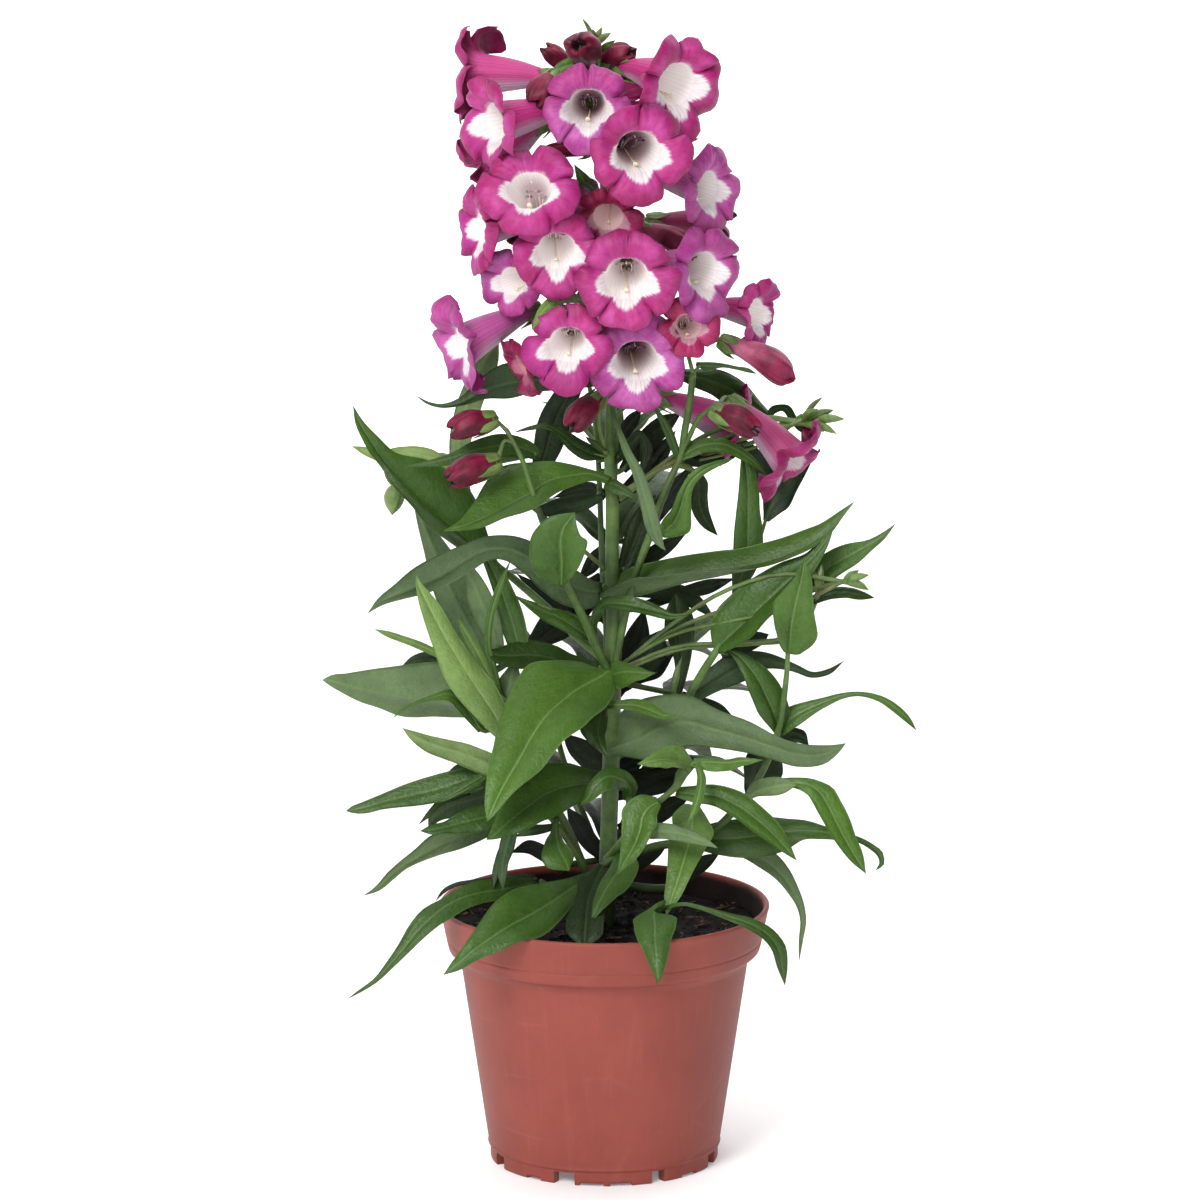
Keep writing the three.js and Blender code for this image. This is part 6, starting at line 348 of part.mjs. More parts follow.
const wasm = await Module();
wasm.setup();

// ---------------------------------------------------------------- vectors
const add = (a, b, k = 1) => [a[0] + k * b[0], a[1] + k * b[1], a[2] + k * b[2]];
const sub = (a, b) => [a[0] - b[0], a[1] - b[1], a[2] - b[2]];
const dot = (a, b) => a[0] * b[0] + a[1] * b[1] + a[2] * b[2];
const cross = (a, b) => [a[1] * b[2] - a[2] * b[1], a[2] * b[0] - a[0] * b[2], a[0] * b[1] - a[1] * b[0]];
const len = (a) => Math.sqrt(dot(a, a));
const unit = (a) => {
  const m = len(a) || 1;
  return [a[0] / m, a[1] / m, a[2] / m];
};

// a closed body from rings of equal size, a first and a last point or flat caps
// flat: the second half of each ring mirrors the first, so both faces of a blade fold along the same lines
function loft(rings, first, last, flat) {
  const n = rings[0].length,
    P = [],
    T = [];
  for (const r of rings) for (const q of r) P.push(q);
  for (let i = 0; i + 1 < rings.length; i++)
    for (let j = 0; j < n; j++) {
      const a = i * n + j,
        b = i * n + ((j + 1) % n),
        c = a + n,
        d = b + n;
      if (flat && j >= n / 2) T.push([a, b, c], [b, d, c]);
      else T.push([a, b, d], [a, d, c]);
    }
  const mid = (r) => r.reduce((s, q) => add(s, q), [0, 0, 0]).map((c) => c / r.length);
  P.push(first || mid(rings[0]));
  const f = P.length - 1;
  P.push(last || mid(rings[rings.length - 1]));
  const l = P.length - 1,
    o = (rings.length - 1) * n;
  for (let j = 0; j < n; j++) {
    T.push([f, (j + 1) % n, j]);
    T.push([l, o + j, o + ((j + 1) % n)]);
  }
  return solid(P, T);
}
// points and triangles as a solid whose faces point outwards
function solid(P, T) {
  let vol = 0;
  for (const [a, b, c] of T) vol += dot(P[a], cross(P[b], P[c])) / 6;
  const t = vol < 0 ? T.map(([a, b, c]) => [a, c, b]) : T;
  return new wasm.Manifold(
    new wasm.Mesh({
      numProp: 3,
      vertProperties: new Float32Array(P.flat()),
      triVerts: new Uint32Array(t.flat()),
    }),
  );
}
const join = (list) => list.reduce((a, b) => a.add(b));

// ---------------------------------------------------------------- round stalk through points
function tube(pts, sides, fat) {
  const n = pts.length,
    rings = [];
  let side = null;
  for (let i = 0; i < n; i++) {
    const d = unit(sub(pts[Math.min(n - 1, i + 1)], pts[Math.max(0, i - 1)]));
    let s = side || (Math.abs(d[2]) < 0.9 ? cross(d, [0, 0, 1]) : cross(d, [0, 1, 0]));
    s = unit(add(s, d, -dot(s, d)));
    side = s;
    const t = cross(d, s),
      c = i === 0 ? add(pts[i], d, -fat) : i === n - 1 ? add(pts[i], d, fat) : pts[i],
      r = pts[i][3] + fat,
      ring = [];
    for (let k = 0; k < sides; k++) {
      const a = (2 * Math.PI * k) / sides;
      ring.push(add(add(c, s, r * Math.cos(a)), t, r * Math.sin(a)));
    }
    rings.push(ring);
  }
  return loft(rings);
}

// ---------------------------------------------------------------- leaf blade: thin, keeled along the midrib, half blades slightly domed
function leafBlade(full, fat, foot) {
  const last = full.length - 1,
    st = last > 7 ? full.filter((_, i) => i === 0 || i === last || (last - i) % 2 === 1) : full;
  const n = st.length,
    rings = [];
  const C = st.map((s) => s.slice(3, 6));
  let wmax = 0;
  for (const s of st) wmax = Math.max(wmax, len(sub(s.slice(0, 3), s.slice(6, 9))));
  const wide = wmax > 24;
  for (let i = 0; i + 1 < n; i++) {
    const A0 = st[i].slice(0, 3),
      B0 = st[i].slice(6, 9),
      c = C[i];
    const T = unit(sub(C[Math.min(n - 1, i + 1)], C[Math.max(0, i - 1)]));
    const cc = i === 0 ? add(c, T, -fat) : c;
    const A = add(add(A0, unit(sub(A0, c)), fat), sub(cc, c)),
      B = add(add(B0, unit(sub(B0, c)), fat), sub(cc, c));
    const nA = unit(cross(sub(cc, A), T)),
      nB = unit(cross(sub(B, cc), T)),
      nC = unit(add(nA, nB));
    const hC = LEAF_T / 2 + fat,
      hB = BLADE_T / 2 + fat;
    if (wide) {
      const qa = add(A.map((v, k) => (v + cc[k]) / 2), nA, BULGE * len(sub(A, cc))),
        qb = add(B.map((v, k) => (v + cc[k]) / 2), nB, BULGE * len(sub(B, cc)));
      rings.push([A, add(qa, nA, hB), add(cc, nC, hC), add(qb, nB, hB), B, add(qb, nB, -hB), add(cc, nC, -hC), add(qa, nA, -hB)]);
    } else rings.push([A, add(cc, nC, hC), B, add(cc, nC, -hC)]);
  }
  if (foot) {
    const d = unit(sub(C[0], foot)),
      r = foot[3] + fat,
      r0 = rings[0],
      m = r0.length,
      flat = (v) => add(v, d, -dot(v, d)),
      cut = unit(sub(r0[m / 2], r0[0])),
      top = unit(sub(r0[m / 4], r0[(3 * m) / 4]));
    let x = flat(cut);
    if (len(x) < 0.3) x = flat(top);
    x = unit(x);
    let y = unit(cross(d, x));
    if (dot(y, top) < 0) y = y.map((v) => -v);
    if (len(flat(cut)) < 0.3) y = y.map((v) => v);
    const ring = r0.map((_, k) => {
      const t = Math.PI - (2 * Math.PI * k) / m;
      return add(add(add(foot, d, -fat), x, r * Math.cos(t)), y, r * Math.sin(t));
    });
    rings.unshift(ring);
  }
  const T = unit(sub(C[n - 1], C[n - 2]));
  return loft(rings, undefined, add(C[n - 1], T, fat), true);
}

// ---------------------------------------------------------------- small rounded swelling
function swelling(c, r, fat) {
  const R = r + fat,
    rings = [];
  for (const a of [-45, 0, 45]) {
    const z = R * Math.sin((a * Math.PI) / 180),
      q = R * Math.cos((a * Math.PI) / 180),
      ring = [];
    for (let k = 0; k < 7; k++) ring.push([c[0] + q * Math.cos((k * Math.PI) / 3.5), c[1] + q * Math.sin((k * Math.PI) / 3.5), c[2] + z]);
    rings.push(ring);
  }
  return loft(rings, [c[0], c[1], c[2] - R * 0.9], [c[0], c[1], c[2] + R * 0.9]);
}

// ---------------------------------------------------------------- spindle turned round a line: buds and calyces
function spindle(b, t, prof, sides, fat) {
  const d = unit(sub(t, b)),
    L = len(sub(t, b));
  let s = unit(Math.abs(d[2]) < 0.9 ? cross(d, [0, 0, 1]) : cross(d, [0, 1, 0]));
  const w = cross(d, s),
    rings = prof.map(([x, r]) => {
      const ring = [];
      for (let k = 0; k < sides; k++) {
        const a = (2 * Math.PI * k) / sides;
        ring.push(add(add(add(b, d, x * L), s, (r + fat) * Math.cos(a)), w, (r + fat) * Math.sin(a)));
      }
      return ring;
    });
  return loft(rings, add(b, d, -fat), add(t, d, fat));
}
function budBody(q, fat) {
  const r = q.r;
  return spindle(
    q.b,
    q.t,
    r < 3
      ? [
          [0.2, r * 0.85],
          [0.7, r * 0.85],
        ]
      : [
          [0.06, r * 0.55],
          [0.28, r * 0.92],
          [0.6, r],
          [0.86, r * 0.62],
        ],
    r > 4 ? 7 : 5,
    fat,
  );
}

// ---------------------------------------------------------------- open flower: trumpet with five rounded lobes, hollow
function flowerBody(q, fat) {
  const { m, d, u, s } = q,
    r = unit(cross(d, u)),
    N = 15;
  const at = (x, rad, k) => {
    const a = (2 * Math.PI * k) / N;
    return add(add(add(m, d, x), u, rad * Math.cos(a)), r, rad * Math.sin(a));
  };
  const ring = (f) => Array.from({ length: N }, (_, k) => at(...f(k), k));
  const L = TUBE_L * s;
  const lobe = (k) => (k % 3 === 0 ? NOTCH_R : LIMB_R) * s;
  const lean = (k) => (k % 3 === 0 ? 2.2 : 3.2) * s;
  const o = PETAL_T;
  const outer = [
      ring(() => [-L + 0.8 * s, 3.3 * s + fat]),
      ring(() => [-L + 7.5 * s, 4.2 * s + fat]),
      ring(() => [-L * 0.3, (MOUTH_R - 1.7) * s + fat]),
      ring(() => [-0.5 * s - fat, MOUTH_R * s + fat]),
      ring((k) => [lean(k) - o / 2 - fat, lobe(k) + fat]),
    ],
    inner = [
      ring((k) => [lean(k) + o / 2 + fat, lobe(k) + fat - 0.2]),
      ring(() => [1.2 * s + fat, MOUTH_R * s - 0.6 - fat]),
    ];
  const body = loft([...outer, ...inner], add(m, d, -L - 2.6 * s - fat), add(m, d, -L * 0.7));
  const base = add(m, d, -L);
  const ped = [0, 2, 4].map((i) => [...q.ped[i], PEDICEL_R]);
  ped[2] = [...add(base, d, 1.5), PEDICEL_R];
  return join([body, tube(ped, 5, fat)]);
}

// ---------------------------------------------------------------- body of revolution about Z from a closed profile of r, z
function turned(prof, sides, level) {
  const ring = [...prof, prof[0]].map(([r, z]) => new THREE.Vector2(r, z));
  const g = new THREE.LatheGeometry(ring, sides);
  g.rotateX(Math.PI / 2); // lathe axis Y becomes Z
  const p = g.getAttribute("position");
  if (level)
    for (let i = 0; i < p.count; i++) {
      const x = p.getX(i),
        y = p.getY(i),
        z = p.getZ(i);
      p.setZ(i, z + level(Math.hypot(x, y), Math.atan2(y, x), z));
    }
  g.deleteAttribute("normal");
  g.deleteAttribute("uv");
  const w = mergeVertices(g, 1e-3),
    q = w.getAttribute("position"),
    P = [],
    T = [];
  for (let i = 0; i < q.count; i++) P.push([q.getX(i), q.getY(i), q.getZ(i)]);
  const ix = w.index.array;
  for (let i = 0; i < ix.length; i += 3) if (ix[i] !== ix[i + 1] && ix[i + 1] !== ix[i + 2] && ix[i] !== ix[i + 2]) T.push([ix[i], ix[i + 1], ix[i + 2]]);
  return solid(P, T);
}
function block(cx, cy, cz, lx, ly, lz, turn) {
  const P = [];
  const c = Math.cos(turn),
    s = Math.sin(turn);
  for (const z of [-lz / 2, lz / 2])
    for (const [x, y] of [
      [-lx / 2, -ly / 2],
      [lx / 2, -ly / 2],
      [lx / 2, ly / 2],
      [-lx / 2, ly / 2],
    ])
      P.push([cx + x * c - y * s, cy + x * s + y * c, cz + z]);
  const T = [
    [0, 2, 1],
    [0, 3, 2],
    [4, 5, 6],
    [4, 6, 7],
  ];
  for (let k = 0; k < 4; k++) T.push([k, (k + 1) % 4, ((k + 1) % 4) + 4], [k, ((k + 1) % 4) + 4, k + 4]);
  return solid(P, T);
}
// vertical round plug, to cut a drain hole
function plug(cx, cy, r, z0, z1) {
  const ring = (z) => Array.from({ length: 10 }, (_, k) => [cx + r * Math.cos((k * Math.PI) / 5), cy + r * Math.sin((k * Math.PI) / 5), z]);
  return loft([ring(z0), ring(z1)]);
}

// ---------------------------------------------------------------- pot
const potOuter = (z) =>
  z >= BAND_Z ? BAND_R + ((RIM_R - BAND_R) * (z - BAND_Z)) / (POT_H - BAND_Z) : BODY_FOOT_R + ((BODY_TOP_R - BODY_FOOT_R) * (z - FOOT_H)) / (BAND_Z - 3.5 - FOOT_H);
// the cavity's radius at a height
const potInner = (z) => (z >= BAND_Z + 1 ? potOuter(z) - WALL : Math.min(potOuter(Math.min(z, BAND_Z - 3.5)) - WALL, BODY_TOP_R - WALL));
function potBody() {
  const prof = [
    [FOOT_IN_R, FLOOR_Z],
    [FOOT_IN_R, 0],
    [FOOT_R, 0],
    [FOOT_R, FOOT_H],
    [BODY_FOOT_R + 0.3, FOOT_H + 0.8],
    [BODY_TOP_R, BAND_Z - 3.8],
    [BAND_R, BAND_Z + 0.9],
    [RIM_R, POT_H - 1.5],
    [RIM_R - 0.7, POT_H],
    [RIM_R - 1.8, POT_H],
    [RIM_R - 2.5, POT_H - 1.5],
    [potInner(BAND_Z + 1), BAND_Z + 1],
    [BODY_TOP_R - WALL, BAND_Z - 3],
    [BODY_FOOT_R - WALL + 0.3, FLOOR_TOP],
    [0, FLOOR_TOP],
    [0, 0],
    [PAD_R, 0],
    [PAD_R + 0.8, FLOOR_Z],
  ];
  let pot = turned(prof, SIDES);
  // notches in the foot ring, by angle from the front, with their width and height
  const notches = [
    [-20.5, 8.2, 5.0],
    [-6.5, 9.5, 1.2],
    [8.5, 8.5, 1.2],
    [28.0, 5.4, 5.0],
    [-38.0, 6.5, 1.2],
    [48.0, 8.0, 1.2],
    [70.0, 7.0, 5.0],
    [96.0, 8.5, 1.2],
    [118.0, 7.0, 5.0],
    [142.0, 8.5, 1.2],
    [166.0, 7.0, 5.0],
    [-66.0, 7.0, 5.0],
    [-92.0, 8.5, 1.2],
    [-115.0, 7.0, 5.0],
    [-140.0, 8.5, 1.2],
    [-164.0, 7.0, 5.0],
  ];
  for (const [deg, w, h] of notches) {
    const a = (deg * Math.PI) / 180;
    pot = pot.subtract(block(43 * Math.sin(a), -43 * Math.cos(a), h / 2 - 1, w, 10, h + 2, a));
  }
  for (let k = 0; k < 8; k++) {
    const a = ((k + 0.5) * Math.PI) / 4;
    pot = pot.subtract(plug(DRAIN_PITCH_R * Math.cos(a), DRAIN_PITCH_R * Math.sin(a), DRAIN_R, FLOOR_Z - 1, FLOOR_TOP + 1));
  }
  return pot;
}

// ---------------------------------------------------------------- compost: fills the cavity, its top slightly uneven
const bumps = (r, a) => 0.7 * Math.sin(3 * a + r * 0.21) + 0.5 * Math.sin(7 * a - r * 0.33) + 0.45 * Math.cos(5 * a + r * 0.5) - (r > 50 ? 0.8 : 0);
function compostBody(fat) {
  const g = 0.5 - fat,
    top = COMPOST_Z + fat;
  const prof = [
    [0, FLOOR_TOP + g],
    [BODY_FOOT_R - WALL + 0.3 - g, FLOOR_TOP + g],
    [BODY_TOP_R - WALL - g - 0.1, BAND_Z - 3.4],
    [potInner(BAND_Z + 2) - g - 0.1, BAND_Z + 1.4],
    [potInner(92) - g - 0.2, top - 1.6],
    [50, top],
    [40, top],
    [16, top + 1.0],
    [0, top + 1.0],
  ];
  return turned(prof, 26, (r, a, z) => (z > 90 && r > 0.1 && r < 58 ? bumps(r, a) : 0));
}

// ---------------------------------------------------------------- assemble, node by node
const names = [];
const want = (n) => {
  if (!names.includes(n)) names.push(n);
};
for (const [n] of STEMS) want(n);
for (const [n] of JOINTS) want(n);
for (const k in LEAVES) want(LEAVES[k].node);
for (const k in BUDS) want(BUDS[k].node);
for (const k in FLOWERS) want(FLOWERS[k].node);

function nodeBody(name, fat) {
  const list = [];
  for (const [n, pts] of STEMS) if (n === name) list.push(tube(pts, name === "main_stem" ? 8 : 5, fat));
  for (const [n, q] of JOINTS) if (n === name) list.push(swelling(q, q[3], fat));
  for (const [n, pts] of LINKS) if (n === name) list.push(tube([pts[0], pts[pts.length - 1]], 4, fat));
  for (const k in LEAVES) if (LEAVES[k].node === name) list.push(leafBlade(LEAVES[k].st, fat, LEAVES[k].foot));
  for (const k in BUDS)
    if (BUDS[k].node === name) {
      const q = BUDS[k];
      list.push(budBody(q, fat));
      const e = add(q.b, unit(sub(q.t, q.b)), 0.12 * len(sub(q.t, q.b)));
      const stalk = q.ped.length > 3 ? [q.ped[0], q.ped[2]] : q.ped.slice(0, -1);
      list.push(tube([...stalk, e].map((p) => [...p.slice(0, 3), Math.min(PEDICEL_R, q.r * 0.5)]), 4, fat));
    }
  for (const k in FLOWERS) if (FLOWERS[k].node === name) list.push(flowerBody(FLOWERS[k], fat));
  return join(list);
}

// points moved to a fine grid and the faces that collapse dropped, then simplified again
function tidy(b, grid) {
  const m = b.getMesh(),
    n = m.vertProperties.length / 3,
    key = new Map(),
    P = [],
    id = new Array(n);
  for (let i = 0; i < n; i++) {
    const q = [0, 1, 2].map((k) => Math.round(m.vertProperties[3 * i + k] * grid) / grid),
      s = q.join();
    if (!key.has(s)) {
      key.set(s, P.length);
      P.push(q);
    }
    id[i] = key.get(s);
  }
  const T = [];
  for (let i = 0; i < m.triVerts.length; i += 3) {
    const t = [0, 1, 2].map((k) => id[m.triVerts[i + k]]);
    if (t[0] !== t[1] && t[1] !== t[2] && t[0] !== t[2]) T.push(t);
  }
  // an edge shared by more than two faces means that two sheets touch there: then nothing is returned
  const edges = new Map();
  for (const t of T)
    for (let k = 0; k < 3; k++) {
      const e = t[k] < t[(k + 1) % 3] ? t[k] + "_" + t[(k + 1) % 3] : t[(k + 1) % 3] + "_" + t[k];
      edges.set(e, (edges.get(e) || 0) + 1);
    }
  if ([...edges.values()].some((c) => c !== 2)) return null;
  return solid(P, T);
}

const done = [];
function place(name, body, fatBody, clear) {
  let b = body;
  for (const e of clear ? [] : done) {
    const p = e.box,
      q = b.boundingBox();
    if (p.min.some((v, i) => v > q.max[i]) || p.max.some((v, i) => v < q.min[i])) continue;
    b = b.subtract(e.fat);
  }
  if (!clear && name !== "pot") {
    let t = null;
    search: for (const k of [1, 0.85, 0.7, 0.93, 0.6, 0.78, 0.5, 0.4, 0.3, 1.15, 0.2]) for (const grid of [64, 50, 100, 200, 500, 37, 81, 27]) if ((t = tidy(b.asOriginal().simplify(TRIM * k), grid))) break search;
    if (!t) console.log("not tidied:", name);
    b = t || b;
  }
  const parts = b.decompose().sort((x, y) => y.volume() - x.volume());
  let keep = parts[0];
  done.push({ name, body: keep, whole: body, raw: body, parts: parts.map((p) => p.volume()), fat: fatBody, box: fatBody.boundingBox() });
}
place("pot", potBody(), turnedFatPot());
place("compost", compostBody(0), compostBody(CLEAR), true);
for (const n of names) place(n, nodeBody(n, 0), nodeBody(n, CLEAR));

// the pot's shell with the gap added, for clearing the plant from it
function turnedFatPot() {
  const c = CLEAR;
  return turned(
    [
      [0, -c],
      [FOOT_R + c, -c],
      [FOOT_R + c, FOOT_H],
      [BODY_TOP_R + c, BAND_Z - 4.4],
      [BAND_R + c, BAND_Z - 1.2],
      [BAND_R + c + 0.1, BAND_Z + 0.9],
      [RIM_R + c, POT_H - 2.2],
      [RIM_R + c, POT_H - 0.9],
      [RIM_R - 0.4, POT_H + c],
      [RIM_R - 2.2, POT_H + c],
      [RIM_R - 2.5 - c, POT_H - 1.2],
      [potInner(BAND_Z + 1) - c, BAND_Z + 1],
      [BODY_TOP_R - WALL - c, BAND_Z - 3],
      [BODY_FOOT_R - WALL + 0.3 - c, FLOOR_TOP + c],
      [0, FLOOR_TOP + c],
    ],
    SIDES,
  );
}

// ---------------------------------------------------------------- looks
const look = (color, roughness) => new THREE.MeshStandardMaterial({ color, roughness, metalness: 0 });
const LOOKS = {
  pot: () => look(0xa0523f, 0.45),
  compost: () => look(0x2c221c, 0.95),
  stem: () => look(0x6f9a4c, 0.5),
  leaf: () => look(0x4e7f3c, 0.38),
  flower: () => look(0xc8308c, 0.5),
};
const slotOf = (n) => (n === "pot" || n === "compost" ? n : n.startsWith("flower") || n === "bud_centre" ? "flower" : n.startsWith("leaf") || n.startsWith("leaves") ? "leaf" : "stem");

function meshOf(name, body) {
  const m = body.getMesh(),
    box = body.boundingBox(),
    c = box.min.map((v, i) => Math.round((v + box.max[i]) / 2)),
    g = new THREE.BufferGeometry();
  if (name === "pot" || name === "compost") c.fill(0);
  g.setAttribute("position", new THREE.BufferAttribute(new Float32Array(m.vertProperties), 3));
  g.setIndex(new THREE.BufferAttribute(new Uint32Array(m.triVerts), 1));
  g.translate(-c[0], -c[1], -c[2]);
  g.computeVertexNormals();
  const mesh = new THREE.Mesh(g, LOOKS[slotOf(name)]());
  mesh.name = name;
  mesh.position.set(...c);
  return mesh;
}

const root = new THREE.Group(),
  plant = new THREE.Group(),
  raceme = new THREE.Group();
for (const e of done) (slotOf(e.name) === "flower" ? raceme : slotOf(e.name) === "pot" || slotOf(e.name) === "compost" ? root : plant).add(meshOf(e.name, e.body));
plant.add(raceme);
root.add(plant);
export { done };
export default root;
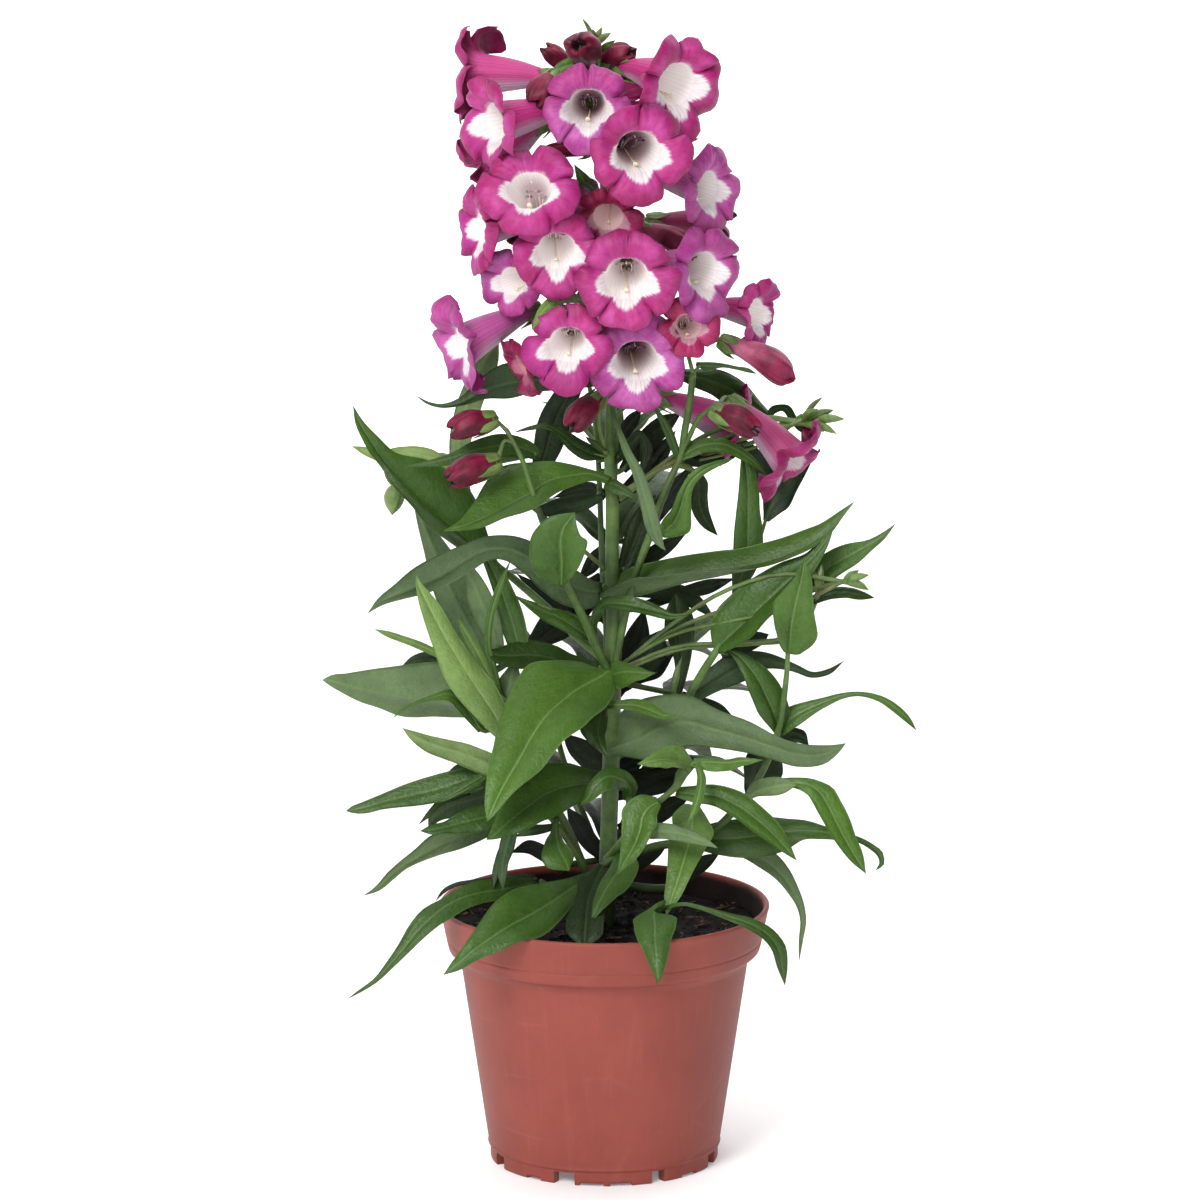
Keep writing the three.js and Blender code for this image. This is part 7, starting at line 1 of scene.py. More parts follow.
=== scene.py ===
# Flowering beardtongue in a round nursery pot: fine surfaces, materials, light and camera.
import bpy, json, math
import numpy as np
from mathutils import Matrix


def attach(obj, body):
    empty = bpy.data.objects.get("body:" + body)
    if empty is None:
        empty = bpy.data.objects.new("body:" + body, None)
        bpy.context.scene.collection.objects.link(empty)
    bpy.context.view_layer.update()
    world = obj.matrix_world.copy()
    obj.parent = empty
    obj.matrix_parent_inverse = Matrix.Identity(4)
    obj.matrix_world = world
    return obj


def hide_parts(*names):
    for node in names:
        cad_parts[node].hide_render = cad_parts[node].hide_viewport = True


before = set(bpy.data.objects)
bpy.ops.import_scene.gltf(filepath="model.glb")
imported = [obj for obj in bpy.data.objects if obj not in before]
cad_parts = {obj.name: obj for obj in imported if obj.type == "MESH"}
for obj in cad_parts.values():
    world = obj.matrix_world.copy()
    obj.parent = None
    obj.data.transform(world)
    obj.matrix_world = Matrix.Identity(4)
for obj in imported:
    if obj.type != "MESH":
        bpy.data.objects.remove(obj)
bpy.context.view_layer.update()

# ------------------------------------------------------------------ measured layout, mm, origin at the pot's underside
# leaves: node, side facing the viewer (U upper, D under), tone (the leaf's own green from dark to yellowish, set low
# as painted shade for leaves in shadow, 0 and near-black for the C leaves inside the plant), wave, painted shade
# level, stations left edge / midrib / right edge
LEAVES = json.loads(r'''{
  "L01": {"node":"leaf_pair_upper","side":"U","tint":0.55,"wave":0,"sheen":0,"st":[[1.6,-5.0,271.2,2.2,-4.0,272.5,2.8,-3.0,273.8],[-2.3,-7.3,272.8,-1.7,-6.1,274.5,-1.1,-4.8,276.1],[-5.7,-10.0,273.3,-5.6,-8.0,276.0,-5.5,-5.1,277.8],[-12.7,-16.0,272.5,-13.3,-11.7,275.9,-14.0,-8.4,280.4],[-17.7,-21.6,271.7,-19.1,-14.4,275.3,-21.1,-9.6,281.6],[-20.1,-26.1,271.2,-22.9,-16.2,274.0,-27.9,-10.2,281.3],[-25.9,-34.3,268.9,-28.7,-19.3,270.3,-36.2,-10.6,280.6],[-32.1,-37.5,266.6,-34.5,-22.0,267.7,-41.3,-13.0,278.8],[-38.3,-37.6,264.1,-40.2,-24.6,265.1,-45.8,-17.0,274.4],[-46.5,-35.2,260.4,-47.9,-27.8,261.8,-50.6,-23.4,267.4],[-55.0,-33.0,258.6,-55.5,-30.7,259.6,-56.2,-29.2,261.6],[-62.0,-33.0,258.5,-62.0,-33.0,258.5,-62.0,-33.0,258.5]]},
  "L01b": {"node":"leaf_pair_upper","side":"U","tint":0.35,"wave":0,"sheen":0,"st":[[1.1,-0.7,273.0,0.6,-4.0,272.1,-0.4,-5.3,269.4],[6.1,-4.1,272.3,5.3,-7.7,271.2,3.8,-9.1,268.3],[10.2,-8.5,269.6,9.5,-10.5,269.0,8.5,-11.2,267.5],[13.0,-12.0,266.9,13.0,-12.0,266.9,13.0,-12.0,266.9]]},
  "L10": {"node":"centre_shoot","side":"D","tint":0.1,"wave":0,"sheen":0,"st":[[-0.3,-1.5,264.5,-0.5,-1.0,265.6,-0.8,-0.5,266.7],[-6.8,-5.8,261.5,-7.5,-4.4,264.7,-8.1,-2.5,267.0],[-14.5,-9.1,260.1,-15.3,-7.4,263.7,-16.0,-5.5,266.8],[-21.8,-11.0,259.7,-22.2,-9.7,262.5,-22.5,-8.0,264.6],[-27.6,-11.0,262.8,-27.6,-11.0,262.8,-27.6,-11.0,262.8]]},
  "L02": {"node":"leaf_pair_low_front","side":"U","tint":0.62,"wave":0,"sheen":0,"st":[[4.5,-4.7,197.0,3.0,-4.0,198.6,1.9,-2.7,199.5],[3.9,-11.0,190.5,-0.5,-8.6,196.5,-2.5,-3.8,198.3],[0.8,-16.9,185.9,-4.8,-13.3,195.1,-9.1,-7.1,201.3],[-4.4,-26.4,183.6,-11.4,-20.2,192.7,-19.5,-15.4,203.7],[-8.9,-36.1,181.5,-17.2,-26.6,189.3,-29.8,-20.3,203.0],[-13.4,-40.0,179.8,-21.8,-31.6,186.1,-34.4,-26.2,197.2],[-15.9,-42.7,178.4,-24.9,-35.3,183.0,-37.9,-30.9,191.2],[-19.7,-46.8,173.9,-28.7,-40.5,177.9,-41.0,-36.7,184.4],[-24.4,-50.4,168.3,-32.5,-45.7,171.9,-42.5,-42.6,177.1],[-30.6,-54.3,163.9,-36.3,-50.2,166.3,-44.3,-47.7,170.4],[-36.6,-57.3,159.1,-40.1,-54.4,160.2,-45.6,-52.8,162.7],[-41.4,-59.3,153.8,-43.1,-57.9,154.3,-45.9,-57.1,155.4],[-45.0,-60.0,150.1,-45.0,-60.0,150.1,-45.0,-60.0,150.1]]},
  "L02b": {"node":"leaf_pair_low_front","side":"U","tint":0.5,"wave":0,"sheen":0,"st":[[0.5,-2.5,200.0,2.2,-5.0,195.3,3.9,-7.5,190.5],[6.2,-6.1,201.4,6.9,-10.1,198.0,7.9,-13.1,192.4],[11.6,-11.8,201.1,11.5,-14.3,198.9,11.3,-16.1,195.3],[16.2,-16.3,200.2,16.2,-17.6,199.2,16.1,-18.5,197.5],[20.4,-20.0,199.8,20.4,-20.0,199.8,20.4,-20.0,199.8]]},
  "L03": {"node":"leaf_pair_middle","side":"U","tint":0.5,"wave":0,"sheen":0.5,"st":[[-1.7,-0.0,230.1,-1.7,-3.0,226.7,-1.7,-6.8,229.1],[4.9,2.7,235.1,5.3,-4.4,227.0,5.0,-12.9,233.5],[12.0,2.6,237.7,13.9,-5.9,228.1,12.7,-15.5,236.8],[18.7,1.4,239.7,21.6,-7.1,230.4,20.2,-17.8,237.5],[27.1,-0.2,241.8,29.4,-8.2,233.0,28.4,-18.8,238.6],[43.1,-2.5,244.3,44.9,-9.6,236.4,44.4,-19.7,240.0],[52.8,-3.7,245.7,54.6,-10.1,238.5,54.2,-19.5,241.2],[59.9,-3.9,247.6,62.3,-10.3,240.5,62.1,-19.9,242.5],[69.0,-4.5,250.2,72.0,-10.3,244.1,71.9,-19.1,245.5],[78.3,-5.1,253.9,81.7,-9.9,249.2,81.8,-17.4,250.0],[84.3,-6.2,256.6,87.5,-9.5,253.8,87.8,-14.8,254.3],[90.1,-7.0,260.6,92.1,-8.9,259.2,92.3,-11.9,259.6],[97.1,-8.0,265.4,97.1,-8.0,265.4,97.1,-8.0,265.4]]},
  "L11": {"node":"leaf_pair_middle","side":"D","tint":0.36,"wave":0,"sheen":0,"st":[[-1.3,-2.8,223.9,-0.9,-3.0,228.7,-0.7,-4.7,232.2],[-7.0,-5.6,221.8,-5.6,-5.9,229.7,-4.9,-9.5,234.4],[-14.9,-9.0,224.0,-11.4,-9.4,232.0,-9.2,-12.8,237.8],[-24.4,-14.2,231.5,-20.3,-14.8,238.3,-17.0,-17.0,244.1],[-31.7,-19.0,239.5,-28.8,-19.4,245.1,-25.8,-19.7,250.8],[-38.2,-21.7,244.5,-37.2,-22.8,249.4,-36.0,-23.0,254.8],[-44.0,-24.1,245.4,-44.9,-25.3,249.9,-46.0,-25.5,254.9],[-50.1,-26.6,242.1,-52.6,-27.4,246.8,-55.2,-27.7,251.7],[-59.2,-26.4,236.6,-61.4,-29.4,241.3,-64.9,-29.8,247.9],[-69.7,-27.3,232.9,-71.0,-30.5,236.8,-73.8,-30.9,243.3],[-78.7,-29.2,230.8,-79.5,-30.8,233.3,-81.0,-31.0,237.0],[-85.6,-30.5,228.8,-86.5,-30.6,230.1,-87.3,-30.7,231.5],[-91.5,-30.0,225.3,-91.5,-30.0,225.3,-91.5,-30.0,225.3]]},
  "L09": {"node":"main_stem","side":"U","tint":0.15,"wave":0,"sheen":0,"st":[[-0.4,-0.8,280.6,-0.1,0.0,281.6,0.1,0.8,282.6],[-6.7,-4.1,280.6,-5.6,-2.1,283.2,-4.5,-0.1,285.8],[-13.1,-6.1,284.5,-11.4,-4.2,286.7,-9.6,-2.3,289.0],[-17.7,-7.3,289.7,-16.4,-5.8,291.4,-15.3,-3.9,292.6],[-22.4,-7.8,293.7,-22.2,-7.0,294.7,-22.0,-6.2,295.7],[-28.6,-8.3,293.3,-28.8,-7.7,294.1,-28.9,-7.2,294.8],[-35.7,-8.0,292.2,-35.7,-8.0,292.2,-35.7,-8.0,292.2]],"foot":[1.8,2.0,281.6,0.91]},
  "L09b": {"node":"main_stem","side":"U","tint":0.35,"wave":0,"sheen":0,"st":[[-0.7,-4.5,283.4,-0.1,-4.0,283.9,0.4,-3.5,284.5],[-3.6,-7.7,286.1,-2.9,-6.3,286.7,-1.9,-5.4,287.8],[-5.7,-8.9,288.2,-5.2,-7.7,288.6,-4.4,-7.0,289.4],[-7.5,-9.0,291.2,-7.5,-9.0,291.2,-7.5,-9.0,291.2]],"foot":[1.8,2.2,283.3,0.7]},
  "L08": {"node":"leaf_pair_top","side":"D","tint":0.24,"wave":0,"sheen":0,"st":[[-1.0,2.1,309.2,-0.9,2.0,311.2,-0.8,1.9,313.2],[-7.7,-0.9,308.6,-7.5,-1.7,312.2,-7.3,-1.9,316.2],[-17.1,-5.1,308.5,-17.2,-6.4,313.5,-17.2,-6.8,319.0],[-28.2,-8.6,308.0,-28.7,-11.0,313.5,-29.4,-11.5,320.6],[-37.1,-11.2,306.6,-38.3,-14.0,312.5,-40.0,-14.6,320.2],[-45.8,-14.6,306.6,-47.1,-16.1,310.1,-48.9,-16.5,314.5],[-54.3,-16.9,304.5,-54.8,-17.4,306.0,-55.5,-17.6,307.9],[-63.3,-18.0,303.8,-63.3,-18.1,304.6,-63.3,-18.1,305.4],[-68.1,-18.1,305.2,-67.9,-18.2,305.8,-67.6,-18.2,306.3],[-72.9,-18.0,308.9,-72.9,-18.0,308.9,-72.9,-18.0,308.9]]},
  "L25": {"node":"leaf_pair_top","side":"U","tint":0.24,"wave":0,"sheen":0,"st":[[6.5,7.3,310.2,6.8,6.0,308.5,7.2,5.1,306.8],[17.2,13.5,311.9,17.8,11.8,309.5,18.3,10.5,307.0],[28.6,18.8,313.0,28.7,16.4,311.0,28.9,15.1,308.5],[36.9,22.8,312.2,36.1,18.9,309.4,35.2,16.9,305.5],[45.1,24.2,311.3,43.2,20.9,307.1,41.3,18.6,302.7],[53.8,28.1,306.2,51.1,22.6,302.8,47.7,19.9,297.9],[60.0,29.0,299.3,57.7,23.7,297.5,54.4,21.3,293.5],[64.7,26.9,294.4,63.3,24.0,293.0,61.3,22.7,290.8],[68.0,24.0,289.5,68.0,24.0,289.5,68.0,24.0,289.5]]},
  "L37": {"node":"leaf_pair_low","side":"D","tint":0.44,"wave":0,"sheen":0,"st":[[0.7,-1.1,169.3,2.2,-3.0,165.2,3.0,-6.0,163.6],[4.0,-1.9,175.7,6.9,-5.6,167.4,8.3,-11.7,164.2],[6.7,-3.2,180.5,12.0,-8.3,169.6,15.1,-16.3,164.2],[17.0,-7.9,187.4,21.7,-13.2,175.9,25.3,-20.6,167.6],[31.6,-12.5,189.4,31.3,-17.0,179.2,31.1,-22.9,171.0],[44.9,-17.5,184.3,43.0,-20.7,177.3,41.2,-24.6,171.2],[56.5,-20.8,180.6,54.6,-23.5,174.7,52.8,-26.9,169.8],[67.6,-23.5,175.3,66.2,-25.4,171.2,64.8,-27.3,167.0],[76.4,-23.9,172.4,75.9,-26.2,168.6,75.3,-28.1,164.3],[84.9,-25.0,172.2,85.5,-26.4,169.0,86.2,-27.8,165.8],[89.9,-25.6,172.6,90.6,-26.2,171.4,91.3,-26.8,170.1],[93.7,-26.0,173.3,93.7,-26.0,173.3,93.7,-26.0,173.3]]},
  "L47": {"node":"leaf_pair_low","side":"U","tint":0.42,"wave":0,"sheen":0.8,"st":[[1.6,-3.9,152.7,0.6,-3.0,154.7,-0.3,-2.0,156.7],[-4.3,-14.3,149.9,-5.6,-10.6,153.7,-7.3,-7.9,159.2],[-11.7,-23.8,147.9,-13.4,-18.8,154.5,-15.4,-14.6,162.8],[-17.1,-32.7,146.8,-21.1,-26.4,153.9,-26.1,-21.3,163.5],[-24.0,-41.0,145.4,-28.8,-34.1,150.5,-35.8,-29.1,159.4],[-30.4,-44.7,143.1,-34.6,-39.5,147.1,-40.5,-35.7,153.6],[-36.4,-45.4,141.2,-39.1,-43.4,144.1,-42.2,-41.5,147.2],[-41.4,-47.3,140.3,-42.6,-46.1,141.5,-44.0,-45.1,143.2],[-45.6,-48.0,140.0,-45.6,-48.0,140.0,-45.6,-48.0,140.0]]},
  "L38": {"node":"leaf_pair_low_front","side":"U","tint":0.55,"wave":0,"sheen":0,"st":[[0.2,-3.3,184.1,0.3,-4.0,183.0,0.3,-4.7,182.0],[6.1,-12.1,187.3,6.1,-13.2,185.5,6.1,-14.7,184.3],[13.5,-20.6,189.5,13.0,-22.1,187.1,12.6,-24.1,185.2],[19.4,-26.3,188.7,18.4,-27.8,186.4,17.6,-29.7,184.7],[22.9,-30.3,186.6,22.7,-31.2,185.2,22.5,-32.4,184.3],[28.4,-34.0,186.3,28.4,-34.0,186.3,28.4,-34.0,186.3]]},
  "L39": {"node":"leaf_pair_low_front","side":"U","tint":0.28,"wave":0,"sheen":0,"st":[[1.4,-3.4,183.3,-0.1,-4.0,183.8,-2.0,-4.3,184.5],[1.3,-6.8,178.2,-1.7,-9.6,179.5,-7.8,-10.7,181.2],[0.6,-10.1,174.8,-2.5,-13.5,175.6,-9.5,-15.1,176.0],[0.6,-15.1,171.8,-1.7,-16.7,171.5,-5.1,-17.6,170.8],[0.9,-18.5,168.5,-0.1,-18.9,168.1,-1.2,-19.2,167.6],[1.4,-20.0,165.9,1.4,-20.0,165.9,1.4,-20.0,165.9]]},
  "L26": {"node":"left_front_shoot","side":"U","tint":0.38,"wave":1.0,"sheen":0,"st":[[-4.8,-4.2,211.8,-4.0,-5.0,212.0,-2.9,-5.5,212.2],[-5.6,-6.5,216.4,-4.4,-7.5,216.5,-2.9,-8.2,216.5],[-4.9,-8.5,222.2,-3.3,-10.0,221.4,-1.3,-11.3,220.4],[-0.8,-10.8,227.7,0.2,-12.5,225.1,0.9,-15.6,223.9],[6.3,-13.4,228.9,6.1,-15.1,226.1,5.8,-17.7,223.9],[14.5,-16.1,228.2,13.8,-18.0,225.1,13.3,-21.5,223.5],[21.3,-18.7,226.0,20.7,-20.0,223.9,20.4,-22.3,222.9],[27.4,-20.6,223.7,27.3,-21.2,222.6,27.3,-22.4,222.1],[32.8,-21.4,224.6,33.1,-21.8,223.9,33.3,-22.6,223.6],[38.5,-22.0,227.9,38.5,-22.0,227.9,38.5,-22.0,227.9]]},
  "L27": {"node":"left_front_shoot","side":"U","tint":0.35,"wave":1.0,"sheen":0,"st":[[-5.5,-5.7,208.8,-4.8,-5.0,209.6,-4.1,-4.4,210.5],[-8.7,-8.0,210.7,-7.5,-6.8,212.0,-6.4,-5.8,213.4],[-14.1,-11.7,213.7,-12.2,-9.6,216.2,-10.3,-7.7,218.8],[-19.6,-14.5,217.6,-18.0,-12.3,220.3,-16.6,-10.0,222.7],[-24.4,-16.3,219.9,-23.0,-14.1,222.7,-22.0,-11.4,224.7],[-29.6,-16.6,224.6,-28.8,-15.7,225.8,-28.1,-14.8,227.0],[-35.8,-17.0,230.4,-35.8,-17.0,230.4,-35.8,-17.0,230.4]]},
  "L28": {"node":"centre_shoot","side":"U","tint":0.22,"wave":0,"sheen":0,"st":[[-0.1,-3.5,196.5,-0.1,-2.0,197.8,-0.1,-0.9,199.6],[-5.9,-5.4,195.4,-5.6,-3.7,198.2,-5.3,-1.9,201.0],[-14.4,-8.7,196.2,-13.4,-6.3,199.9,-12.4,-3.9,203.7],[-22.3,-12.8,199.1,-21.2,-9.3,203.4,-19.9,-6.2,208.1],[-29.9,-16.4,200.6,-29.7,-12.6,205.3,-29.4,-9.3,210.6],[-37.4,-19.0,201.9,-37.4,-15.9,205.6,-37.4,-13.3,209.8],[-43.0,-20.1,204.6,-42.4,-18.2,206.5,-41.7,-16.6,208.9],[-45.9,-20.0,208.9,-45.9,-20.0,208.9,-45.9,-20.0,208.9]]},
  "L73": {"node":"centre_shoot","side":"D","tint":0.06,"wave":0,"sheen":0,"st":[[6.0,0.9,197.4,6.9,0.0,195.8,7.8,-0.9,194.2],[10.3,6.3,200.5,12.4,3.7,197.8,14.9,1.6,194.2],[12.9,9.4,204.1,17.1,6.2,201.2,21.9,3.7,197.7],[16.0,10.5,207.4,19.8,7.6,206.1,24.8,5.7,204.1],[21.8,8.0,210.8,21.8,8.0,210.8,21.8,8.0,210.8]]},
  "L12": {"node":"leaf_pair_left_shoot_1","side":"U","tint":0.88,"wave":0,"sheen":0,"st":[[-37.2,-22.7,171.3,-35.9,-22.0,172.0,-34.6,-21.5,172.7],[-41.9,-26.0,175.3,-38.5,-24.3,176.9,-36.2,-22.2,177.8],[-46.2,-29.3,180.2,-41.2,-26.8,182.6,-37.2,-23.9,184.4],[-50.1,-32.2,185.2,-44.2,-29.2,188.3,-39.4,-25.7,190.8],[-54.7,-35.2,191.0,-48.0,-31.7,194.8,-43.0,-27.4,197.4],[-58.9,-37.6,197.4,-51.8,-34.0,201.3,-47.4,-29.0,203.2],[-62.9,-39.7,205.9,-56.4,-36.4,209.3,-52.2,-32.0,211.1],[-65.8,-40.9,214.2,-60.5,-38.3,216.8,-56.6,-35.0,218.5],[-68.7,-41.9,223.2,-64.7,-40.0,225.0,-61.0,-38.0,226.6],[-71.2,-42.4,232.0,-68.5,-41.1,233.1,-65.7,-40.1,234.3],[-72.3,-42.6,238.4,-71.1,-41.7,238.7,-69.7,-41.2,239.2],[-72.2,-42.0,243.1,-72.2,-42.0,243.1,-72.2,-42.0,243.1]]},
  "L31": {"node":"leaf_pair_left_shoot_1","side":"D","tint":0.75,"wave":0,"sheen":0,"st":[[-35.1,-17.3,161.9,-36.0,-16.0,163.4,-37.0,-14.9,165.3],[-40.7,-20.0,158.3,-40.6,-17.1,161.3,-40.5,-14.9,165.5],[-50.0,-20.7,160.4,-48.4,-18.6,164.4,-46.8,-16.4,168.4],[-56.7,-21.7,163.8,-55.4,-19.7,167.5,-54.0,-17.7,171.2],[-63.1,-22.3,166.3,-61.9,-20.6,169.7,-60.8,-18.8,173.0],[-69.8,-22.8,169.3,-68.5,-21.2,172.2,-67.3,-19.3,174.7],[-74.9,-22.6,173.6,-73.9,-21.7,175.1,-73.0,-20.8,176.6],[-78.5,-22.0,178.4,-78.5,-22.0,178.4,-78.5,-22.0,178.4]]},
  "L29": {"node":"leaf_pair_left_shoot_2","side":"D","tint":0.55,"wave":0,"sheen":0,"st":[[-36.1,-11.8,180.8,-35.9,-14.0,182.9,-35.7,-13.8,186.0],[-41.1,-9.7,179.2,-40.6,-14.1,183.3,-39.8,-13.7,189.6],[-49.4,-6.5,178.1,-48.4,-14.4,184.6,-46.5,-13.8,195.1],[-57.3,-3.8,178.3,-56.1,-14.8,186.3,-53.7,-13.9,200.2],[-64.8,-3.4,178.9,-63.9,-15.3,187.6,-62.3,-14.3,202.8],[-72.6,-4.5,179.2,-71.7,-15.9,188.1,-70.1,-14.9,202.9],[-80.9,-7.5,180.7,-79.4,-16.5,189.5,-77.2,-15.7,202.2],[-88.6,-10.6,183.8,-87.1,-17.3,191.2,-85.1,-16.7,201.2],[-96.2,-13.6,187.3,-94.9,-18.1,193.0,-93.1,-17.7,200.3],[-102.7,-16.7,191.6,-101.8,-19.0,195.2,-100.7,-18.7,199.3],[-106.8,-18.2,194.6,-106.4,-19.6,196.5,-106.0,-19.4,198.8],[-109.5,-20.0,197.0,-109.5,-20.0,197.0,-109.5,-20.0,197.0]]},
  "L28b": {"node":"leaf_pair_left_shoot_2","side":"D","tint":0.45,"wave":0,"sheen":0,"st":[[-39.8,-13.6,181.3,-38.3,-14.0,181.3,-36.7,-14.4,181.3],[-41.0,-11.8,188.4,-37.9,-12.6,188.2,-34.8,-13.3,188.0],[-40.9,-10.3,194.9,-36.7,-11.9,194.4,-32.1,-13.1,193.7],[-37.5,-10.9,200.1,-35.5,-11.8,199.9,-33.2,-12.4,199.7],[-35.1,-12.0,204.8,-35.1,-12.0,204.8,-35.1,-12.0,204.8]]},
  "L29b": {"node":"left_low_shoot","side":"U","tint":0.15,"wave":0,"sheen":0,"st":[[-52.6,-8.5,198.9,-52.3,-8.0,199.9,-52.1,-7.5,201.0],[-60.4,-6.3,199.6,-60.2,-5.2,200.9,-59.9,-4.4,202.7],[-67.9,-5.8,200.6,-68.0,-3.8,201.4,-68.1,-2.3,204.6],[-74.7,-4.9,199.3,-75.0,-3.5,200.1,-75.7,-2.6,202.2],[-79.7,-4.0,198.2,-79.7,-4.0,198.2,-79.7,-4.0,198.2]],"foot":[-43.5,-9.6,202.0,0.83]},
  "L29c": {"node":"left_low_shoot","side":"U","tint":0.45,"wave":0,"sheen":0,"st":[[-48.8,-20.9,176.3,-47.5,-20.0,177.1,-46.3,-19.1,177.9],[-53.2,-24.6,181.9,-51.3,-23.3,183.0,-49.5,-22.0,184.2],[-57.6,-29.3,188.1,-55.5,-26.7,189.8,-53.1,-24.6,191.8],[-60.4,-30.7,191.1,-60.1,-29.0,193.4,-59.9,-26.4,194.8],[-66.3,-32.4,191.7,-66.6,-31.4,192.4,-66.9,-30.7,193.4],[-72.9,-33.9,190.4,-73.1,-33.5,190.9,-73.4,-33.1,191.4],[-77.8,-35.3,188.0,-78.1,-34.9,188.4,-78.5,-34.6,188.9],[-82.0,-36.0,185.1,-82.0,-36.0,185.1,-82.0,-36.0,185.1]],"foot":[-38.4,-13.2,178.9,1.21]},
  "L30": {"node":"left_low_shoot","side":"U","tint":0.85,"wave":0,"sheen":0,"st":[[-56.0,-10.7,198.7,-55.4,-10.0,199.6,-54.8,-9.3,200.4],[-62.0,-12.5,202.7,-61.2,-11.5,203.9,-60.4,-10.5,205.0],[-66.8,-13.7,205.3,-66.2,-12.7,206.5,-65.6,-11.7,207.8],[-72.9,-15.1,208.4,-72.4,-14.1,209.6,-71.8,-13.1,210.9],[-79.0,-16.4,211.2,-78.5,-15.5,212.3,-78.1,-14.6,213.4],[-85.0,-17.7,214.0,-84.7,-17.0,215.0,-84.4,-16.0,215.7],[-89.3,-18.0,216.8,-89.3,-18.0,216.8,-89.3,-18.0,216.8]],"foot":[-43.5,-9.6,202.1,0.88]},
  "L32": {"node":"left_low_shoot","side":"D","tint":0.4,"wave":0,"sheen":0,"st":[[-45.5,-7.9,196.6,-43.8,-8.0,197.5,-42.0,-8.1,198.4],[-51.1,-7.0,202.1,-46.9,-7.3,204.1,-43.3,-8.4,206.1],[-54.7,-6.5,206.2,-49.2,-6.8,209.2,-45.0,-8.6,211.8],[-61.2,-5.8,216.4,-55.0,-6.2,219.8,-48.8,-6.6,223.3],[-65.7,-3.9,226.6,-60.0,-6.0,229.7,-52.9,-6.6,233.2],[-68.6,-3.9,237.3,-63.9,-6.1,239.7,-57.4,-6.7,242.4],[-71.0,-5.5,248.1,-67.7,-6.6,249.7,-63.7,-6.9,251.4],[-72.9,-6.4,257.6,-71.1,-7.3,258.5,-68.6,-7.5,259.6],[-74.2,-8.0,265.8,-74.2,-8.0,265.8,-74.2,-8.0,265.8]]},
  "L33": {"node":"left_low_shoot","side":"D","tint":0.5,"wave":0,"sheen":0,"st":[[-42.5,-11.7,201.9,-40.6,-12.0,202.4,-38.7,-12.3,202.9],[-45.8,-13.6,210.5,-42.5,-14.2,211.6,-39.1,-14.8,212.7],[-50.6,-15.5,219.5,-45.5,-16.3,221.6,-41.1,-17.8,223.6],[-53.2,-17.0,227.3,-48.5,-17.7,229.4,-44.2,-18.8,231.4],[-53.8,-17.6,236.5,-51.6,-18.9,237.6,-48.3,-19.5,238.9],[-54.2,-19.0,242.0,-53.1,-19.5,242.4,-51.6,-19.8,242.9],[-54.2,-20.0,247.2,-54.2,-20.0,247.2,-54.2,-20.0,247.2]]},
  "L34": {"node":"left_low_shoot","side":"U","tint":0.4,"wave":0,"sheen":0,"st":[[-35.1,-10.6,200.6,-32.8,-10.0,200.8,-30.5,-9.4,200.9],[-38.1,-12.3,210.4,-34.0,-11.2,211.0,-29.8,-10.1,211.6],[-41.4,-13.8,219.9,-36.6,-12.3,221.1,-31.8,-10.9,222.4],[-42.9,-15.3,229.2,-39.7,-13.2,230.0,-35.4,-11.8,231.5],[-44.9,-15.8,237.1,-42.8,-13.9,237.7,-39.3,-12.7,239.1],[-47.9,-15.9,245.3,-46.6,-14.5,245.7,-44.2,-13.6,246.9],[-50.8,-15.0,252.9,-50.8,-15.0,252.9,-50.8,-15.0,252.9]]},
  "L35": {"node":"left_low_shoot","side":"U","tint":0.75,"wave":0,"sheen":0,"st":[[-42.0,-16.4,191.8,-41.3,-16.0,192.1,-40.7,-15.7,192.5],[-46.5,-21.2,199.3,-45.1,-20.3,199.8,-43.8,-19.8,200.5],[-50.5,-24.9,206.5,-48.5,-23.7,207.3,-46.8,-22.5,208.0],[-53.6,-27.1,213.4,-51.9,-26.0,214.2,-50.6,-25.0,214.7],[-55.6,-27.9,218.7,-54.6,-27.3,219.2,-53.6,-26.9,219.7],[-56.5,-28.0,223.3,-56.5,-28.0,223.3,-56.5,-28.0,223.3]],"foot":[-41.0,-12.0,191.2,0.7]},
  "L36": {"node":"left_low_shoot","side":"U","tint":0.5,"wave":0,"sheen":0,"st":[[-41.7,-16.4,191.3,-40.9,-16.0,191.3,-40.2,-15.8,191.4],[-44.3,-19.4,201.3,-42.8,-18.6,201.4,-41.7,-17.8,201.5],[-46.6,-21.3,209.7,-44.7,-20.4,209.8,-43.6,-19.3,209.7],[-46.2,-22.6,219.5,-44.6,-22.0,219.2,-43.3,-21.4,218.9],[-43.9,-24.0,229.1,-42.7,-23.1,228.6,-41.2,-22.8,228.1],[-41.0,-24.1,236.7,-39.9,-23.7,236.2,-38.9,-23.5,235.7],[-36.0,-24.0,245.7,-36.0,-24.0,245.7,-36.0,-24.0,245.7]]},
